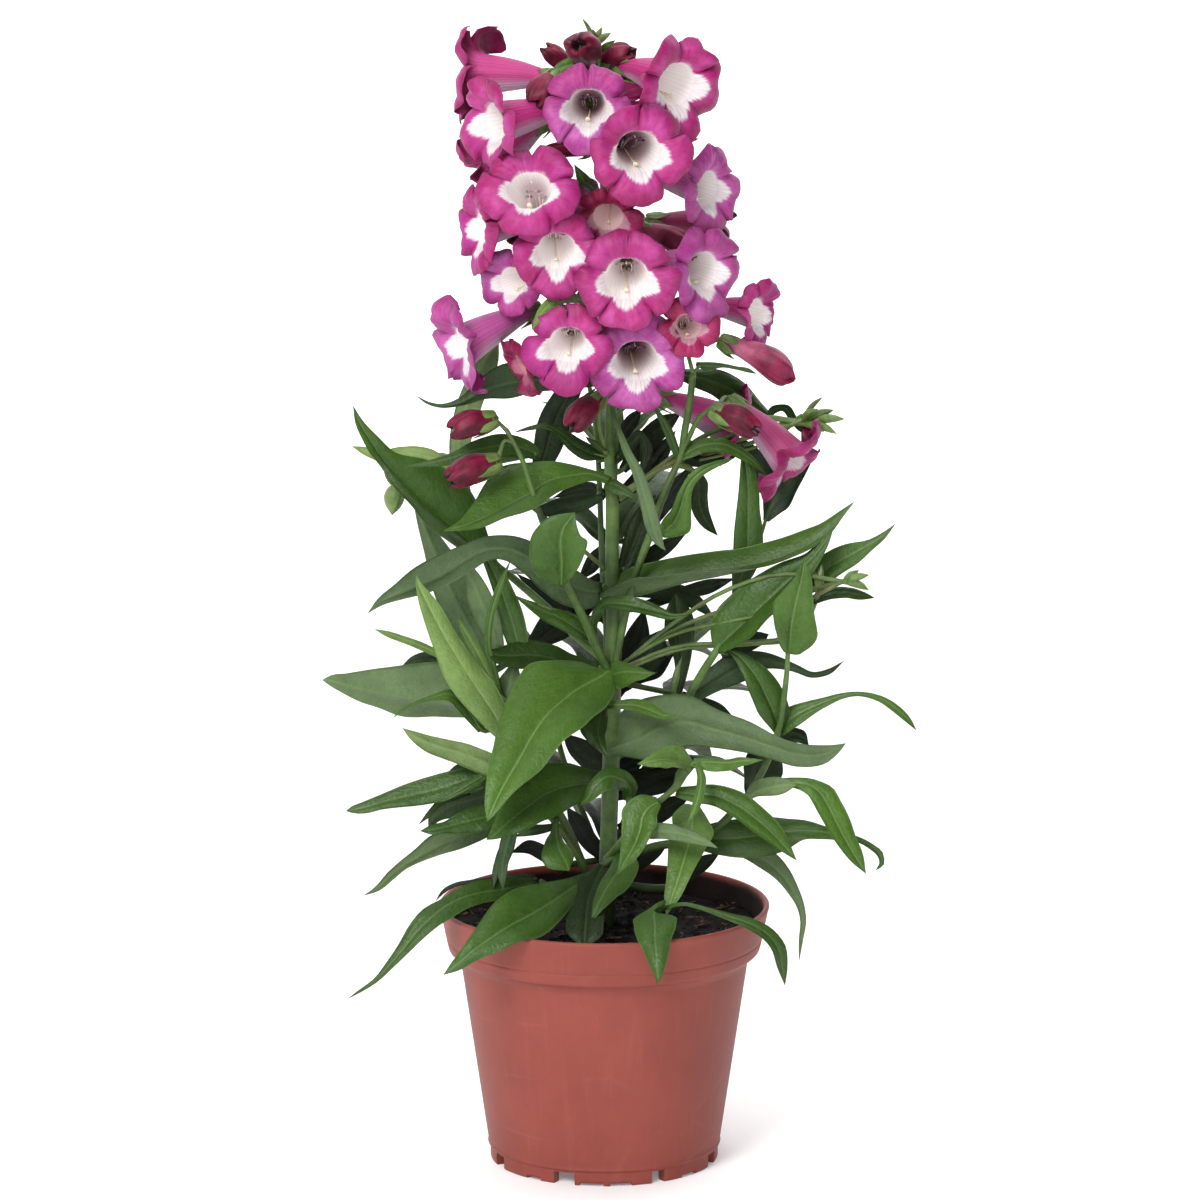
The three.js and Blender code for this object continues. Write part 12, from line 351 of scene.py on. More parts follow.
EYE = np.array([-1.7, -2590.0, 767.0])
PITCH = math.radians(11.83)

# ------------------------------------------------------------------ numbers
def U(v):
    v = np.asarray(v, float)
    n = np.linalg.norm(v, axis=-1, keepdims=True)
    return v / np.where(n < 1e-9, 1, n)

def spline(P, n):
    """Catmull-Rom through the rows of P, n samples, by length of the first three columns."""
    P = np.asarray(P, float)
    d = np.linalg.norm(np.diff(P[:, :3], axis=0), axis=1)
    d = np.maximum(d, 0.05)
    t = np.concatenate([[0], np.cumsum(d)])
    m = np.zeros_like(P)
    for i in range(1, len(P) - 1):
        a = (P[i] - P[i - 1]) / (t[i] - t[i - 1]); b = (P[i + 1] - P[i]) / (t[i + 1] - t[i])
        wa, wb = (t[i + 1] - t[i]), (t[i] - t[i - 1])
        m[i] = (a * wa + b * wb) / (wa + wb)
    m[0] = (P[1] - P[0]) / (t[1] - t[0]) * 1.0
    m[-1] = (P[-1] - P[-2]) / (t[-1] - t[-2])
    x = np.linspace(0, t[-1], n)
    k = np.clip(np.searchsorted(t, x, side='right') - 1, 0, len(P) - 2)
    h = (t[k + 1] - t[k])[:, None]; u = ((x - t[k]) / (t[k + 1] - t[k]))[:, None]
    return ((2*u**3 - 3*u**2 + 1) * P[k] + (u**3 - 2*u**2 + u) * h * m[k]
            + (-2*u**3 + 3*u**2) * P[k + 1] + (u**3 - u**2) * h * m[k + 1]), x

def frames(C):
    """Parallel-transported frames along the points C: tangents, side, up."""
    T = U(np.gradient(C, axis=0))
    s = np.cross(T[0], [0, 0, 1.0] if abs(T[0][2]) < 0.9 else [0, 1.0, 0]); s = U(s)
    S = [s]
    for i in range(1, len(C)):
        s = S[-1] - T[i] * np.dot(S[-1], T[i]); S.append(U(s))
    S = np.array(S)
    return T, S, np.cross(T, S)

# ------------------------------------------------------------------ painted shade: how deep inside the foliage a point lies, from rays cast at a coarse copy of the leaves and pot
def foliage_tree():
    from mathutils.bvhtree import BVHTree
    V, F = [], []
    for L in LEAVES.values():
        st = np.asarray(L['st'], float)
        b = len(V)
        for q in st: V += [tuple(q[0:3]), tuple(q[3:6]), tuple(q[6:9])]
        for i in range(len(st) - 1):
            k = b + 3 * i; F += [(k, k + 1, k + 4, k + 3), (k + 1, k + 2, k + 5, k + 4)]
    n = 24
    for r0, z0, r1, z1 in ((0.5, 93, 61, 93), (65, 103, 57, 82), (57, 82, 45, 0)):
        b = len(V)
        for r, z in ((r0, z0), (r1, z1)):
            V += [(r * math.cos(2 * math.pi * k / n), r * math.sin(2 * math.pi * k / n), z) for k in range(n)]
        F += [(b + k, b + (k + 1) % n, b + n + (k + 1) % n, b + n + k) for k in range(n)]
    return BVHTree.FromPolygons(V, F)
FOLIAGE = foliage_tree()
DIRS = []
for _k in range(48):
    _z = 1 - (2 * _k + 1) / 48; _a = _k * 2.399963
    DIRS.append((math.sqrt(1 - _z * _z) * math.cos(_a), math.sqrt(1 - _z * _z) * math.sin(_a), _z))
def depth_at(p, front=0.10):
    from mathutils import Vector
    p = Vector([float(c) for c in p]); s = 0.0
    for d in DIRS:
        d = Vector(d); h = FOLIAGE.ray_cast(p + d * 2.5, d, 80)
        if h[0] is not None: s += 1.0 if h[3] < 30 else 1.0 - 0.7 * (h[3] - 30) / 50
    s /= len(DIRS)
    # painted shade weights: front sets how much shows at the front, back makes it full behind the plant, foot darkens
    # points low near the middle above the pot
    back = min(1.0, max(0.0, (p.y + 14) / 26))
    foot = min(1.0, max(0.0, (128 - p.z) / 26)) * min(1.0, max(0.0, (56 - math.hypot(p.x, p.y)) / 30))
    return max(0.92 * foot, min(1.0, max(0.0, (s - 0.28) / 0.32)) * (front + (1 - front) * back))

# ------------------------------------------------------------------ mesh collector
class Mesh:
    def __init__(self):
        self.v, self.f, self.m, self.a, self.b, self.n = [], [], [], [], [], 0
        self.mats = []
    def slot(self, mat):
        if mat not in self.mats: self.mats.append(mat)
        return self.mats.index(mat)
    def points(self, P, A=None, B=None):
        P = np.asarray(P, float).reshape(-1, 3)
        A = np.zeros_like(P) if A is None else np.asarray(A, float).reshape(-1, 3)
        B = np.zeros_like(P) if B is None else np.asarray(B, float).reshape(-1, 3)
        self.v.append(P); self.a.append(A); self.b.append(B)
        s = self.n; self.n += len(P)
        return s
    def faces(self, F, mat):
        k = self.slot(mat)
        self.f.extend([tuple(int(i) for i in f) for f in F]); self.m.extend([k] * len(F))
    def grid(self, P, mat, A=None, B=None, wrap=False, flip=False):
        """P rows x cols x 3"""
        r, c = P.shape[:2]
        s = self.points(P, A, B)
        cols = c if wrap else c - 1
        i = np.arange(r - 1)[:, None]; j = np.arange(cols)[None, :]
        a = s + i * c + j; b = s + i * c + (j + 1) % c; d = a + c; e = b + c
        F = np.stack([a, b, e, d], -1).reshape(-1, 4)
        if flip: F = F[:, ::-1]
        self.faces(F, mat)
        return s
    def build(self, name, scale=0.001):
        V = np.concatenate(self.v) * scale
        me = bpy.data.meshes.new(name)
        me.from_pydata(V.tolist(), [], self.f)
        me.polygons.foreach_set('material_index', self.m)
        me.polygons.foreach_set('use_smooth', [True] * len(self.f))
        for nm, arr in (('va', self.a), ('vb', self.b)):
            at = me.attributes.new(nm, 'FLOAT_VECTOR', 'POINT')
            at.data.foreach_set('vector', np.concatenate(arr).astype(np.float32).ravel())
        for m in self.mats: me.materials.append(MAT[m])
        me.update(); me.validate()
        o = bpy.data.objects.new(name, me)
        bpy.context.scene.collection.objects.link(o)
        return o

def tube(M, pts, mat, sides=10, seg=None, B=(0, 0, 0), cap=True, shade=0.35):
    """Round stalk through points x y z r."""
    P = np.asarray(pts, float)
    n = seg or max(4, 6 * (len(P) - 1))
    Q, x = spline(P, n)
    C, R = Q[:, :3], np.maximum(Q[:, 3], 0.08)
    T, S, W = frames(C)
    a = np.linspace(0, 2 * math.pi, sides, endpoint=False)
    G = C[:, None] + R[:, None, None] * (np.cos(a)[None, :, None] * S[:, None] + np.sin(a)[None, :, None] * W[:, None])
    A = np.zeros(G.shape); A[..., 0] = (x / 100)[:, None]; A[..., 1] = (a / (2 * math.pi))[None, :]
    # stems and stalks carry the painted shade from the foliage rays in va z
    if mat in ('stem', 'pedicel'):
        kd = np.linspace(0, n - 1, max(2, n // 5)).astype(int)
        A[..., 2] = np.interp(np.arange(n), kd, [depth_at(C[i], shade) for i in kd])[:, None]
    Bv = np.broadcast_to(np.asarray(B, float), G.shape)
    s = M.grid(G, mat, A, Bv, wrap=True)
    if cap:
        for row, end, fl in ((0, C[0] - T[0] * R[0] * 0.4, True), (n - 1, C[-1] + T[-1] * R[-1] * 0.4, False)):
            e = M.points([end], [A[row, 0]], [B])
            F = [(s + row * sides + j, s + row * sides + (j + 1) % sides, e) for j in range(sides)]
            if fl: F = [f[::-1] for f in F]
            M.faces(F, mat)

# ------------------------------------------------------------------ leaf
def leaf(M, L, seed, top='leaf_top', under='leaf_under', n=40, cols=6, thick=0.42):
    st = np.asarray(L['st'], float)
    rnd = np.random.RandomState(seed)
    Q, x = spline(np.concatenate([st[:, 3:6], st[:, 0:3] - st[:, 3:6], st[:, 6:9] - st[:, 3:6]], axis=1), n)
    C, DA, DB = Q[:, :3], Q[:, 3:6], Q[:, 6:9]
    T = U(np.gradient(C, axis=0))
    length = x[-1]
    # normal of each half blade, and the side that faces up
    nA = U(np.cross(-DA, T)); nB = U(np.cross(DB, T))
    wA = np.linalg.norm(DA, axis=1); wB = np.linalg.norm(DB, axis=1)
    nC = U(nA * wA[:, None] + nB * wB[:, None] + 1e-9)
    eye = U(EYE - C)
    face = np.sum(nC * eye * (wA + wB)[:, None])
    up = 1.0 if face > 0 else -1.0
    if L['side'] == 'D': up = -up
    # a local normal that keeps its direction when a half blade gets very narrow
    for i in range(1, n):
        if np.dot(nC[i], nC[i - 1]) < 0: nC[i] = -nC[i]
    wmax = max(wA.max(), wB.max())
    k = (0.10 + 0.05 * rnd.rand())
    W = np.concatenate([-np.linspace(1, 0, cols + 1), np.linspace(0, 1, cols + 1)[1:]])
    rows = []
    ph = rnd.rand(4) * 6.28
    amp = (0.45 + 1.0 * L.get('wave', 0)) * min(1.0, wmax / 8)
    fr = (8 + 5 * rnd.rand(), 8 + 5 * rnd.rand())
    for w in W:
        D, N, h = (DA, nA, wA) if w < 0 else (DB, nB, wB)
        q = abs(w)
        N2 = U(N * q + nC * (1 - q))
        arch = k * h * 4 * q * (1 - q) * 0.9 - 0.02 * h * q ** 3
        k2 = 0 if w < 0 else 1
        wave = amp * q ** 2 * (np.sin(x / length * fr[k2] + ph[k2]) + 0.45 * np.sin(x / length * fr[k2] * 2.3 + ph[k2 + 2])) * np.minimum(1, 4 * (1 - x / length))
        rows.append(C + D * q + N2 * up * (arch + wave)[:, None])
    G = np.stack(rows, 1)                       # n x (2cols+1) x 3
    # surface normal of the sheet
    gu = np.gradient(G, axis=0); gv = np.gradient(G, axis=1)
    NN = U(np.cross(gv, gu)); 
    flip = np.sum(NN * nC[:, None]) * up < 0
    if flip: NN = -NN
    q = np.abs(W)[None, :]
    taper = np.clip((1 - x / length) * 6, 0.25, 1)[:, None]
    t = thick * (0.15 + 0.85 * (1 - q ** 6)) * taper
    hw = np.where(W[None, :] < 0, wA[:, None], wB[:, None])
    rib = 0.55 * np.exp(-(q * np.maximum(hw, 0.8) / 0.75) ** 2) * (1 - 0.75 * x / length)[:, None] * min(1.0, wmax / 5)
    channel = -0.16 * np.exp(-(q * np.maximum(hw, 0.8) / 0.6) ** 2) * min(1.0, wmax / 5)
    top_g = G + NN * (t / 2 + channel)[..., None]
    bot_g = G - NN * (t / 2 + rib)[..., None]
    A = np.zeros(G.shape)
    A[..., 0] = (x / 100)[:, None]; A[..., 1] = np.broadcast_to(W[None, :], A.shape[:2]); A[..., 2] = hw / 10
    B = np.zeros(G.shape)
    # vb holds the tone, the painted shade from the foliage rays, and a seed
    kd = np.linspace(0, n - 1, 7).astype(int); dc = [0, cols // 2, cols, cols + (cols + 1) // 2, 2 * cols]
    D7 = np.array([[depth_at(G[i, j]) for j in dc] for i in kd])
    Dr = np.stack([np.interp(np.arange(n), kd, D7[:, j]) for j in range(5)], 1)
    B[..., 0] = L['tint']; B[..., 1] = np.stack([np.interp(np.arange(2 * cols + 1), dc, r_) for r_ in Dr]); B[..., 2] = (seed % 97) / 97.0
    # orientation of faces: top faces look along NN
    e1 = np.cross(G[n // 2, 1] - G[n // 2, 0], G[n // 2 + 1, 0] - G[n // 2, 0])
    f = np.dot(e1, NN[n // 2, 0]) < 0
    s1 = M.grid(top_g, top, A, B, flip=f)
    s2 = M.grid(bot_g, under, A, B, flip=not f)
    c = 2 * cols + 1
    F = []
    for i in range(n - 1):
        a, b = s1 + i * c, s1 + (i + 1) * c; d, e = s2 + i * c, s2 + (i + 1) * c
        F.append((a, b, e, d)); a2 = [z + c - 1 for z in (a, b, e, d)]; F.append(tuple(a2[::-1]))
    if f: F = [q_[::-1] for q_ in F]
    for r_ in (0, n - 1):
        for j in range(c - 1):
            q_ = (s1 + r_ * c + j, s1 + r_ * c + j + 1, s2 + r_ * c + j + 1, s2 + r_ * c + j)
            F.append(q_ if (r_ == 0) != f else q_[::-1])
    M.faces([q_[::-1] for q_ in F], under)
    if L.get('foot'):
        ft = L['foot']; d = U(C[2] - C[0])
        tube(M, [ft, list(C[0] + 0.0 * d) + [ft[3] * 0.8], list(C[3]) + [ft[3] * 0.35]], 'stem', sides=8, seg=8, B=(L['tint'], 0, 0))

# ------------------------------------------------------------------ open flower
TUBE_T = [0, 0.12, 0.25, 0.4, 0.55, 0.7, 0.85, 1.0]
TUBE_R = [2.7, 2.9, 3.5, 4.8, 6.1, 7.1, 7.9, 8.8]
def clear_of_tubes(G, nt, name):
    """A lobe that lies behind a nearer flower bends round that flower's tube."""
    me = FLOWERS[name]; mine = np.array(me['m'], float)
    for other, q in FLOWERS.items():
        m = np.array(q['m'], float)
        if other == name or np.linalg.norm(m - mine) > 75: continue
        d, s = U(q['d']), q['s']
        # nearer to the eye, judged at the mouths
        if np.linalg.norm(EYE - m) > np.linalg.norm(EYE - mine): continue
        P = G[nt:] - m
        x = P @ d
        q_ = P - x[..., None] * d
        rho = np.linalg.norm(q_, axis=-1)
        t = 1 + x / (31.0 * s)
        R = np.interp(t, TUBE_T + [1.12, 1.3], TUBE_R + [12.0, 15.5]) * s + 0.8
        inside = (t > 0) & (t < 1.3) & (rho < R)
        k = np.where(inside, R / np.maximum(rho, 0.3), 1.0)
        G[nt:] = m + x[..., None] * d + q_ * k[..., None]
    return G

def flower(M, q, seed, name):
    rnd = np.random.RandomState(seed)
    m, d, u, s = np.array(q['m'], float), U(q['d']), np.array(q['u'], float), q['s']
    u = U(u - d * np.dot(u, d)); r = np.cross(d, u)
    hue = q['hue']
    per = 16; N = 5 * per
    L = 31.0
    th = np.arange(N) * 2 * math.pi / N                       # 0 = up, towards r
    # lobes: notches at 0, 72, 144 ... degrees, so lobe centres at 36, 108, 180, 252, 324
    lob = np.floor(th / (2 * math.pi / 5)).astype(int)
    phi = (th - (lob + 0.5) * 2 * math.pi / 5) / (math.pi / 5)  # -1..1
    notch = np.arange(N) % per == 0
    a = np.abs(phi)
    low = np.where((lob == 0) | (lob == 4), 0.0, 1.0)
    low[0] = 0; low[notch & (th > 0.1) & ((lob == 1) | (lob == 4))] = 0.5
    # tube rows
    nt = 16
    tt = np.linspace(0, 1, nt)
    key_t = [0, 0.12, 0.25, 0.4, 0.55, 0.7, 0.85, 1.0]
    key_top = [2.5, 2.7, 3.1, 4.0, 4.9, 5.6, 6.2, 7.0]
    key_bot = [2.5, 2.8, 3.5, 4.8, 6.0, 6.9, 7.6, 8.4]
    key_sid = [2.6, 2.9, 3.4, 4.6, 5.7, 6.5, 7.2, 8.1]
    def kk(t, y): return np.interp(t, key_t, y)
    def smooth(y):
        y = np.array(y); 
        for _ in range(2): y[1:-1] = (y[:-2] + 2 * y[1:-1] + y[2:]) / 4
        return y
    tf = np.linspace(0, 1, nt)
    rt, rb, rs = smooth(kk(tf, key_top)), smooth(kk(tf, key_bot)), smooth(kk(tf, key_sid))
    ct, sn = np.cos(th), np.sin(th)
    up_w = np.clip(ct, 0, 1) ** 2; dn_w = np.clip(-ct, 0, 1) ** 2; sd_w = sn ** 2
    R = rt[:, None] * up_w + rb[:, None] * dn_w + rs[:, None] * sd_w
    # five shallow folds along the tube below each notch, two ridges on the floor
    R *= 1 - 0.035 * np.clip(tt[:, None] * 2 - 0.6, 0, 1) * (a[None, :] ** 4)
    R -= 0.5 * np.exp(-((phi[None, :] * 36) / 9) ** 2) * (lob[None, :] == 2) * np.clip(tt[:, None] * 2 - 0.7, 0, 1)
    X = -L + L * tt[:, None] + 0 * R
    bend = 1.2 * np.sin(tt * math.pi) * 0.8                    # the tube's back is gently arched
    TX, TR = X, R
    # limb rows: arc bending outwards
    nl = 18
    qq = np.linspace(0, 1, nl + 1)[1:]
    ruf, curl = q.get('ruf', 1.0), q.get('curl', 0.0)
    mult = np.array(q.get('lob', [1, 1, 1, 1, 1]), float)
    tipR = np.array([17.2, 18.8, 19.6, 18.8, 17.2]) * mult * (1 + 0.10 * (rnd.rand(5) - 0.5))
    Rn = np.array([12.4, 12.9, 14.4, 14.4, 12.9]) + 1.8 * (rnd.rand(5) - 0.5)
    prof = (1 - a ** 2.7) ** 0.52
    notchR = Rn[lob] * (phi < 0) + Rn[(lob + 1) % 5] * (phi >= 0)
    skew = (rnd.rand(5) - 0.5)[lob] * 0.9
    outR = tipR[lob] * prof * (1 + 0.03 * skew * phi) + notchR * (1 - prof)
    # margins slightly scalloped, a faint dent at the lobe's tip
    sc1 = rnd.rand(5)[lob] * 6.28
    outR = outR - 0.40 * np.exp(-(phi / 0.10) ** 2) + (0.34 * np.sin(phi * 7.5 + sc1) + 0.16 * np.sin(phi * 15.0 + sc1 * 2)) * (1 - a ** 8) * ruf ** 0.5
    aend = np.radians(np.array([122, 106, 96, 106, 122]) + 30 * (rnd.rand(5) - 0.5) + curl * (0.6 + 0.8 * rnd.rand(5)) + np.array(q.get('bend', [0, 0, 0, 0, 0])))
    a0 = math.radians(30)
    prog = np.clip(qq / 0.46, 0, 1); prog = prog * prog * (3 - 2 * prog)
    am = math.radians(74 if curl > -1 else 60)
    # the end angle runs smoothly from lobe to lobe
    k1 = np.where(phi < 0, (lob - 1) % 5, (lob + 1) % 5); bl = 0.5 * np.clip((a - 0.3) / 0.7, 0, 1) ** 1.5
    ae = aend[lob] * (1 - bl) + aend[k1] * bl
    al = a0 + (am - a0) * prog[:, None] + (ae[None, :] - am) * (np.clip((qq - 0.36) / 0.64, 0, 1) ** 1.5)[:, None]
    r0 = R[-1]
    span = outR - r0
    dq = 1.0 / nl
    cs, sc_ = np.cos(al), np.sin(al)
    norm = np.sum(sc_, axis=0) * dq
    norm = np.maximum(norm, 0.55)
    len_ = span / norm
    LX = np.cumsum(cs * dq, axis=0) * len_; LR = r0 + np.cumsum(sc_ * dq, axis=0) * len_
    # each lobe is a cushion: side margins fall back, edges wave, the whole lobe tilts and twists
    wob = rnd.rand(5, 8)
    Q2 = qq[:, None] ** 2
    A1 = (0.9 + 1.3 * wob[lob, 0]) * ruf; P1 = wob[lob, 1] * 6.28
    LX += Q2 * A1 * (np.sin(phi * 3.2 + P1) * 0.55 + np.sin(phi * 6.1 + P1 * 1.7) * 0.42 * qq[:, None] + np.sin(phi * 11.0 + P1 * 2.3) * 0.16 * Q2) * (0.35 + a)
    LX += Q2 * ruf * (wob[lob, 2] - 0.5) * 3.4 * phi * (1 - a ** 6)
    LX += (qq[:, None] ** 1.3) * (1 - a ** 4)[None, :] * (wob[lob, 3] - 0.5) * 4.2 * ruf
    LX += 1.5 * np.sin(np.clip(qq, 0, 1) * math.pi)[:, None] ** 1.2 * (1 - a ** 2)[None, :] - 0.9 * Q2 * (a ** 4)[None, :]
    LR += (qq[:, None] ** 3) * 0.45 * np.sin(phi * 5.0 + wob[lob, 4] * 6.28)
    # a shallow groove down the middle of each lobe and soft folds beside it
    LX -= 0.55 * np.exp(-(phi / 0.16) ** 2)[None, :] * np.sin(np.clip(qq * 1.15, 0, 1) * math.pi)[:, None]
    LX += 0.22 * np.sin(phi * 16 + wob[lob, 6] * 6.28)[None, :] * np.sin(qq * math.pi)[:, None]
    # lobes wider outwards, so that they nearly touch or overlap beyond each notch
    dth = (math.pi / 5) * (0.21 * np.sin(math.pi * phi)[None, :] + (wob[lob, 5] - 0.5) * 0.62 * (1 - a ** 4)) * qq[:, None] ** 1.2
    TH = np.concatenate([np.broadcast_to(th, (nt, N)), th[None, :] + dth])
    XX = np.concatenate([TX, LX]); RR = np.concatenate([TR, LR])
    # lip over lip at each notch: one edge forward, the other back
    over = np.concatenate([np.zeros((nt, N)), 1.1 * np.sign(phi)[None, :] * (a ** 3 * (1 - a ** 10))[None, :] * qq[:, None]])
    XX = XX + over
    arch = np.concatenate([bend, np.zeros(nl)])[:, None]
    def place(XX, RR):
        c, sn_ = np.cos(TH), np.sin(TH)
        return m + s * (XX[..., None] * d + (RR * c + arch)[..., None] * u + (RR * sn_)[..., None] * r)
    G = place(XX, RR)
    G = clear_of_tubes(G, nt, name)
    gu = np.gradient(G, axis=0)
    gv = np.roll(G, -1, 1) - np.roll(G, 1, 1)
    NN = U(np.cross(gv, gu))
    # outward is away from the axis on the tube
    ax = m + s * XX[..., None] * d
    if np.sum(NN[:nt] * (G[:nt] - ax[:nt])) < 0: NN = -NN
    rows = np.concatenate([tt * 0 + tt, 1 + qq])
    th_ = 0.5 * s * np.concatenate([np.full(nt, 1.0), 1 - 0.75 * qq ** 3])[:, None, None]
    Gi = G - NN * th_ / 2; Go = G + NN * th_ / 2
    A = np.zeros(G.shape); A[..., 0] = rows[:, None]; A[..., 1] = a[None, :]; A[..., 2] = low[None, :]
    # vb y: seed plus ten times the dark-throat amount; a high amount gives the throat a darker ramp of painted shade
    # and less painted glow
    B = np.zeros(G.shape); B[..., 0] = np.cos(th)[None, :]; B[..., 1] = (seed % 89) / 89.0 + 10.0 * q.get('dark', 0); B[..., 2] = th[None, :] / 6.2832
    # the inner sheet faces the axis and the viewer
    e = np.cross(G[5, 1] - G[5, 0], G[6, 0] - G[5, 0]); f = np.dot(e, NN[5, 0]) < 0
    si = M.grid(Gi, 'in_' + hue, A, B, wrap=True, flip=not f)
    so = M.grid(Go, 'out_' + hue, A, B, wrap=True, flip=f)
    n_ = nt + nl - 1
    F = [(si + n_ * N + j, si + n_ * N + (j + 1) % N, so + n_ * N + (j + 1) % N, so + n_ * N + j) for j in range(N)]
    if not f: F = [x_[::-1] for x_ in F]
    M.faces(F, 'in_' + hue)
    # closed base, inside and out
    for st, mat, fl in ((si, 'in_' + hue, not f), (so, 'out_' + hue, f)):
        c0 = M.points([m - d * L * s + (0.3 * d if st == si else -0.3 * d)], [[0, 0, 0]], [[0, 0, 0]])
        F = [(st + j, st + (j + 1) % N, c0) for j in range(N)]
        if not fl: F = [x_[::-1] for x_ in F]
        M.faces(F, mat)
    loc = lambda x_, y_, z_: m + s * (x_ * d + y_ * u + z_ * r)      # forward, up, right
    # four stamens: filaments along the roof, two long and two short, anthers under the upper lip
    small = s < 0.8
    shy = q.get('dark', 0) < 0.4
    back, fil, ant = (4.5, 'filament_pale', 'anther_pale') if shy else (0.5, 'filament', 'anther')
    for k, (z0, x1, y1, z1) in enumerate([(-1.7, -5.2 - back, 3.7, -1.6), (1.7, -5.6 - back, 3.6, 1.7), (-2.6, -8.6 - back, 2.7, -2.6), (2.6, -9.2 - back, 2.6, 2.7)]):
        j = (rnd.rand(3) - 0.5) * 0.9
        x1 += j[0]; y1 += j[1] * 0.6; z1 += j[2]
        tube(M, [list(loc(-26, -1.0, z0 * 0.3)) + [0.30 * s], list(loc(-20, -1.6, z0 * 0.7)) + [0.28 * s], list(loc(-15, 0.3, z0 * 1.05)) + [0.24 * s], list(loc(x1, y1, z1)) + [0.20 * s]], fil, sides=6, seg=14)
        for sd in (-1, 1):
            blob(M, loc(x1 + 0.3, y1 - 0.2, z1 + sd * 0.6), [d * 0.45 * s, u * 0.5 * s, r * 0.8 * s], ant, seed + k)
    tube(M, [list(loc(-26, 0, 0)) + [0.3 * s], list(loc(-14, 2.6, 0)) + [0.24 * s], list(loc(-6, 4.5, 0.2)) + [0.2 * s], list(loc(-3.2, 4.3, 0.3)) + [0.28 * s]], fil, sides=6, seg=12)
    # beard tongue: the fifth, sterile stamen lies on the lower lip, its tip broad
    tube(M, [list(loc(-24, -1.6, 0)) + [0.3 * s], list(loc(-15, -3.4, 0)) + [0.34 * s], list(loc(-8, -4.7, 0.1)) + [0.4 * s], list(loc(-4.6, -5.2, 0.2)) + [0.6 * s]], 'staminode', sides=6, seg=12)
    blob(M, loc(-3.4, -5.3, 0.2), [d * 1.5 * s + u * 0.5 * s, u * 0.7 * s, r * 1.05 * s], 'staminode', seed)
    # calyx and stalk
    base = m - d * L * s
    calyx(M, base - d * 1.4 * s, d, u, r, s, seed)
    P = np.array(q['ped'], float)
    pts = [list(p) + [0.95 * s if s > 0.9 else 0.8] for p in P]
    pts[-1] = list(base - d * 0.2 * s) + [1.25 * s]
    tube(M, pts, 'pedicel', sides=8, seg=18)

def calyx(M, base, d, u, r, s, seed, length=9.2, rad=3.5, open_=0.0, mat='calyx'):
    rnd = np.random.RandomState(seed + 7)
    # receptacle
    tube(M, [list(base - d * 0.6 * s) + [1.2 * s], list(base + d * 0.8 * s) + [2.5 * s], list(base + d * 2.2 * s) + [rad * 0.86 * s]], mat, sides=14, seg=6)
    n, c = 10, 7
    for k in range(5):
        th = (k + 0.5) * 2 * math.pi / 5 + 0.15 * (rnd.rand() - 0.5)
        ln = length * (0.9 + 0.25 * rnd.rand())
        t = np.linspace(0, 1, n); w = np.linspace(-1, 1, c)
        half = 2.15 * np.sin(np.clip(t * 0.86 + 0.14, 0, 1) * math.pi) ** 0.75 * (1 - t ** 5) * s + 0.05
        ra = (rad * (0.72 + 0.36 * np.sin(np.clip(t * 1.4, 0, 1) * math.pi * 0.5)) + open_ * t ** 2 * 2 + 0.3 + 0.25 * rnd.rand() * t) * s
        G = np.zeros((n, c, 3)); A = np.zeros((n, c, 3)); B = np.zeros((n, c, 3))
        for i in range(n):
            an = th + w * half[i] / max(ra[i], 1.0)
            rr = ra[i] + 0.25 * s * (1 - np.abs(w)) * 0.8
            G[i] = base + d * (t[i] * ln * s) + rr[:, None] * (np.cos(an)[:, None] * u + np.sin(an)[:, None] * r)
            A[i, :, 0] = t[i] / 10; A[i, :, 1] = w; A[i, :, 2] = half[i] / 10
        B[..., 0] = 0.5; B[..., 2] = rnd.rand()
        C = base + d * (t[:, None] * ln * s)
        N = U(G - C[:, None])
        e = np.cross(G[2, 1] - G[2, 0], G[3, 0] - G[2, 0]); f = np.dot(e, N[2, 0]) < 0
        s1 = M.grid(G + N * 0.14, mat, A, B, flip=f); s2 = M.grid(G - N * 0.14, mat, A, B, flip=not f)
        F = []
        for i in range(n - 1):
            for o in (0, c - 1):
                x_ = (s1 + i * c + o, s1 + (i + 1) * c + o, s2 + (i + 1) * c + o, s2 + i * c + o)
                F.append(x_ if (o == 0) == f else x_[::-1])
        for j in range(c - 1):
            F.append((s1 + (n - 1) * c + j, s1 + (n - 1) * c + j + 1, s2 + (n - 1) * c + j + 1, s2 + (n - 1) * c + j))
            F.append((s1 + j, s1 + j + 1, s2 + j + 1, s2 + j)[::-1])
        M.faces(F, mat)

def blob(M, c, axes, mat, seed, n=7, k=10):
    """Small rounded body on three half axes, slightly uneven."""
    rnd = np.random.RandomState(seed)
    t = np.linspace(0, math.pi, n + 2)[1:-1]; p = np.linspace(0, 2 * math.pi, k, endpoint=False)
    a, b, e = [np.asarray(x_, float) for x_ in axes]
    w = 1 + 0.08 * (rnd.rand(n, k) - 0.5)
    G = c + (np.cos(t)[:, None, None] * a + (np.sin(t)[:, None] * np.cos(p) * w)[..., None] * b + (np.sin(t)[:, None] * np.sin(p) * w)[..., None] * e)
    A = np.zeros(G.shape); A[..., 0] = np.cos(t)[:, None]; A[..., 1] = (p / 6.283)[None, :]
    f = np.dot(np.cross(a, b), e) > 0
    s = M.grid(G, mat, A, None, wrap=True, flip=not f)
    for row, sgn in ((0, 1), (n - 1, -1)):
        z = M.points([c + sgn * a], [[sgn, 0, 0]])
        F = [(s + row * k + j, s + row * k + (j + 1) % k, z) for j in range(k)]
        if (row == 0) == f: F = [x_[::-1] for x_ in F]
        M.faces(F, mat)

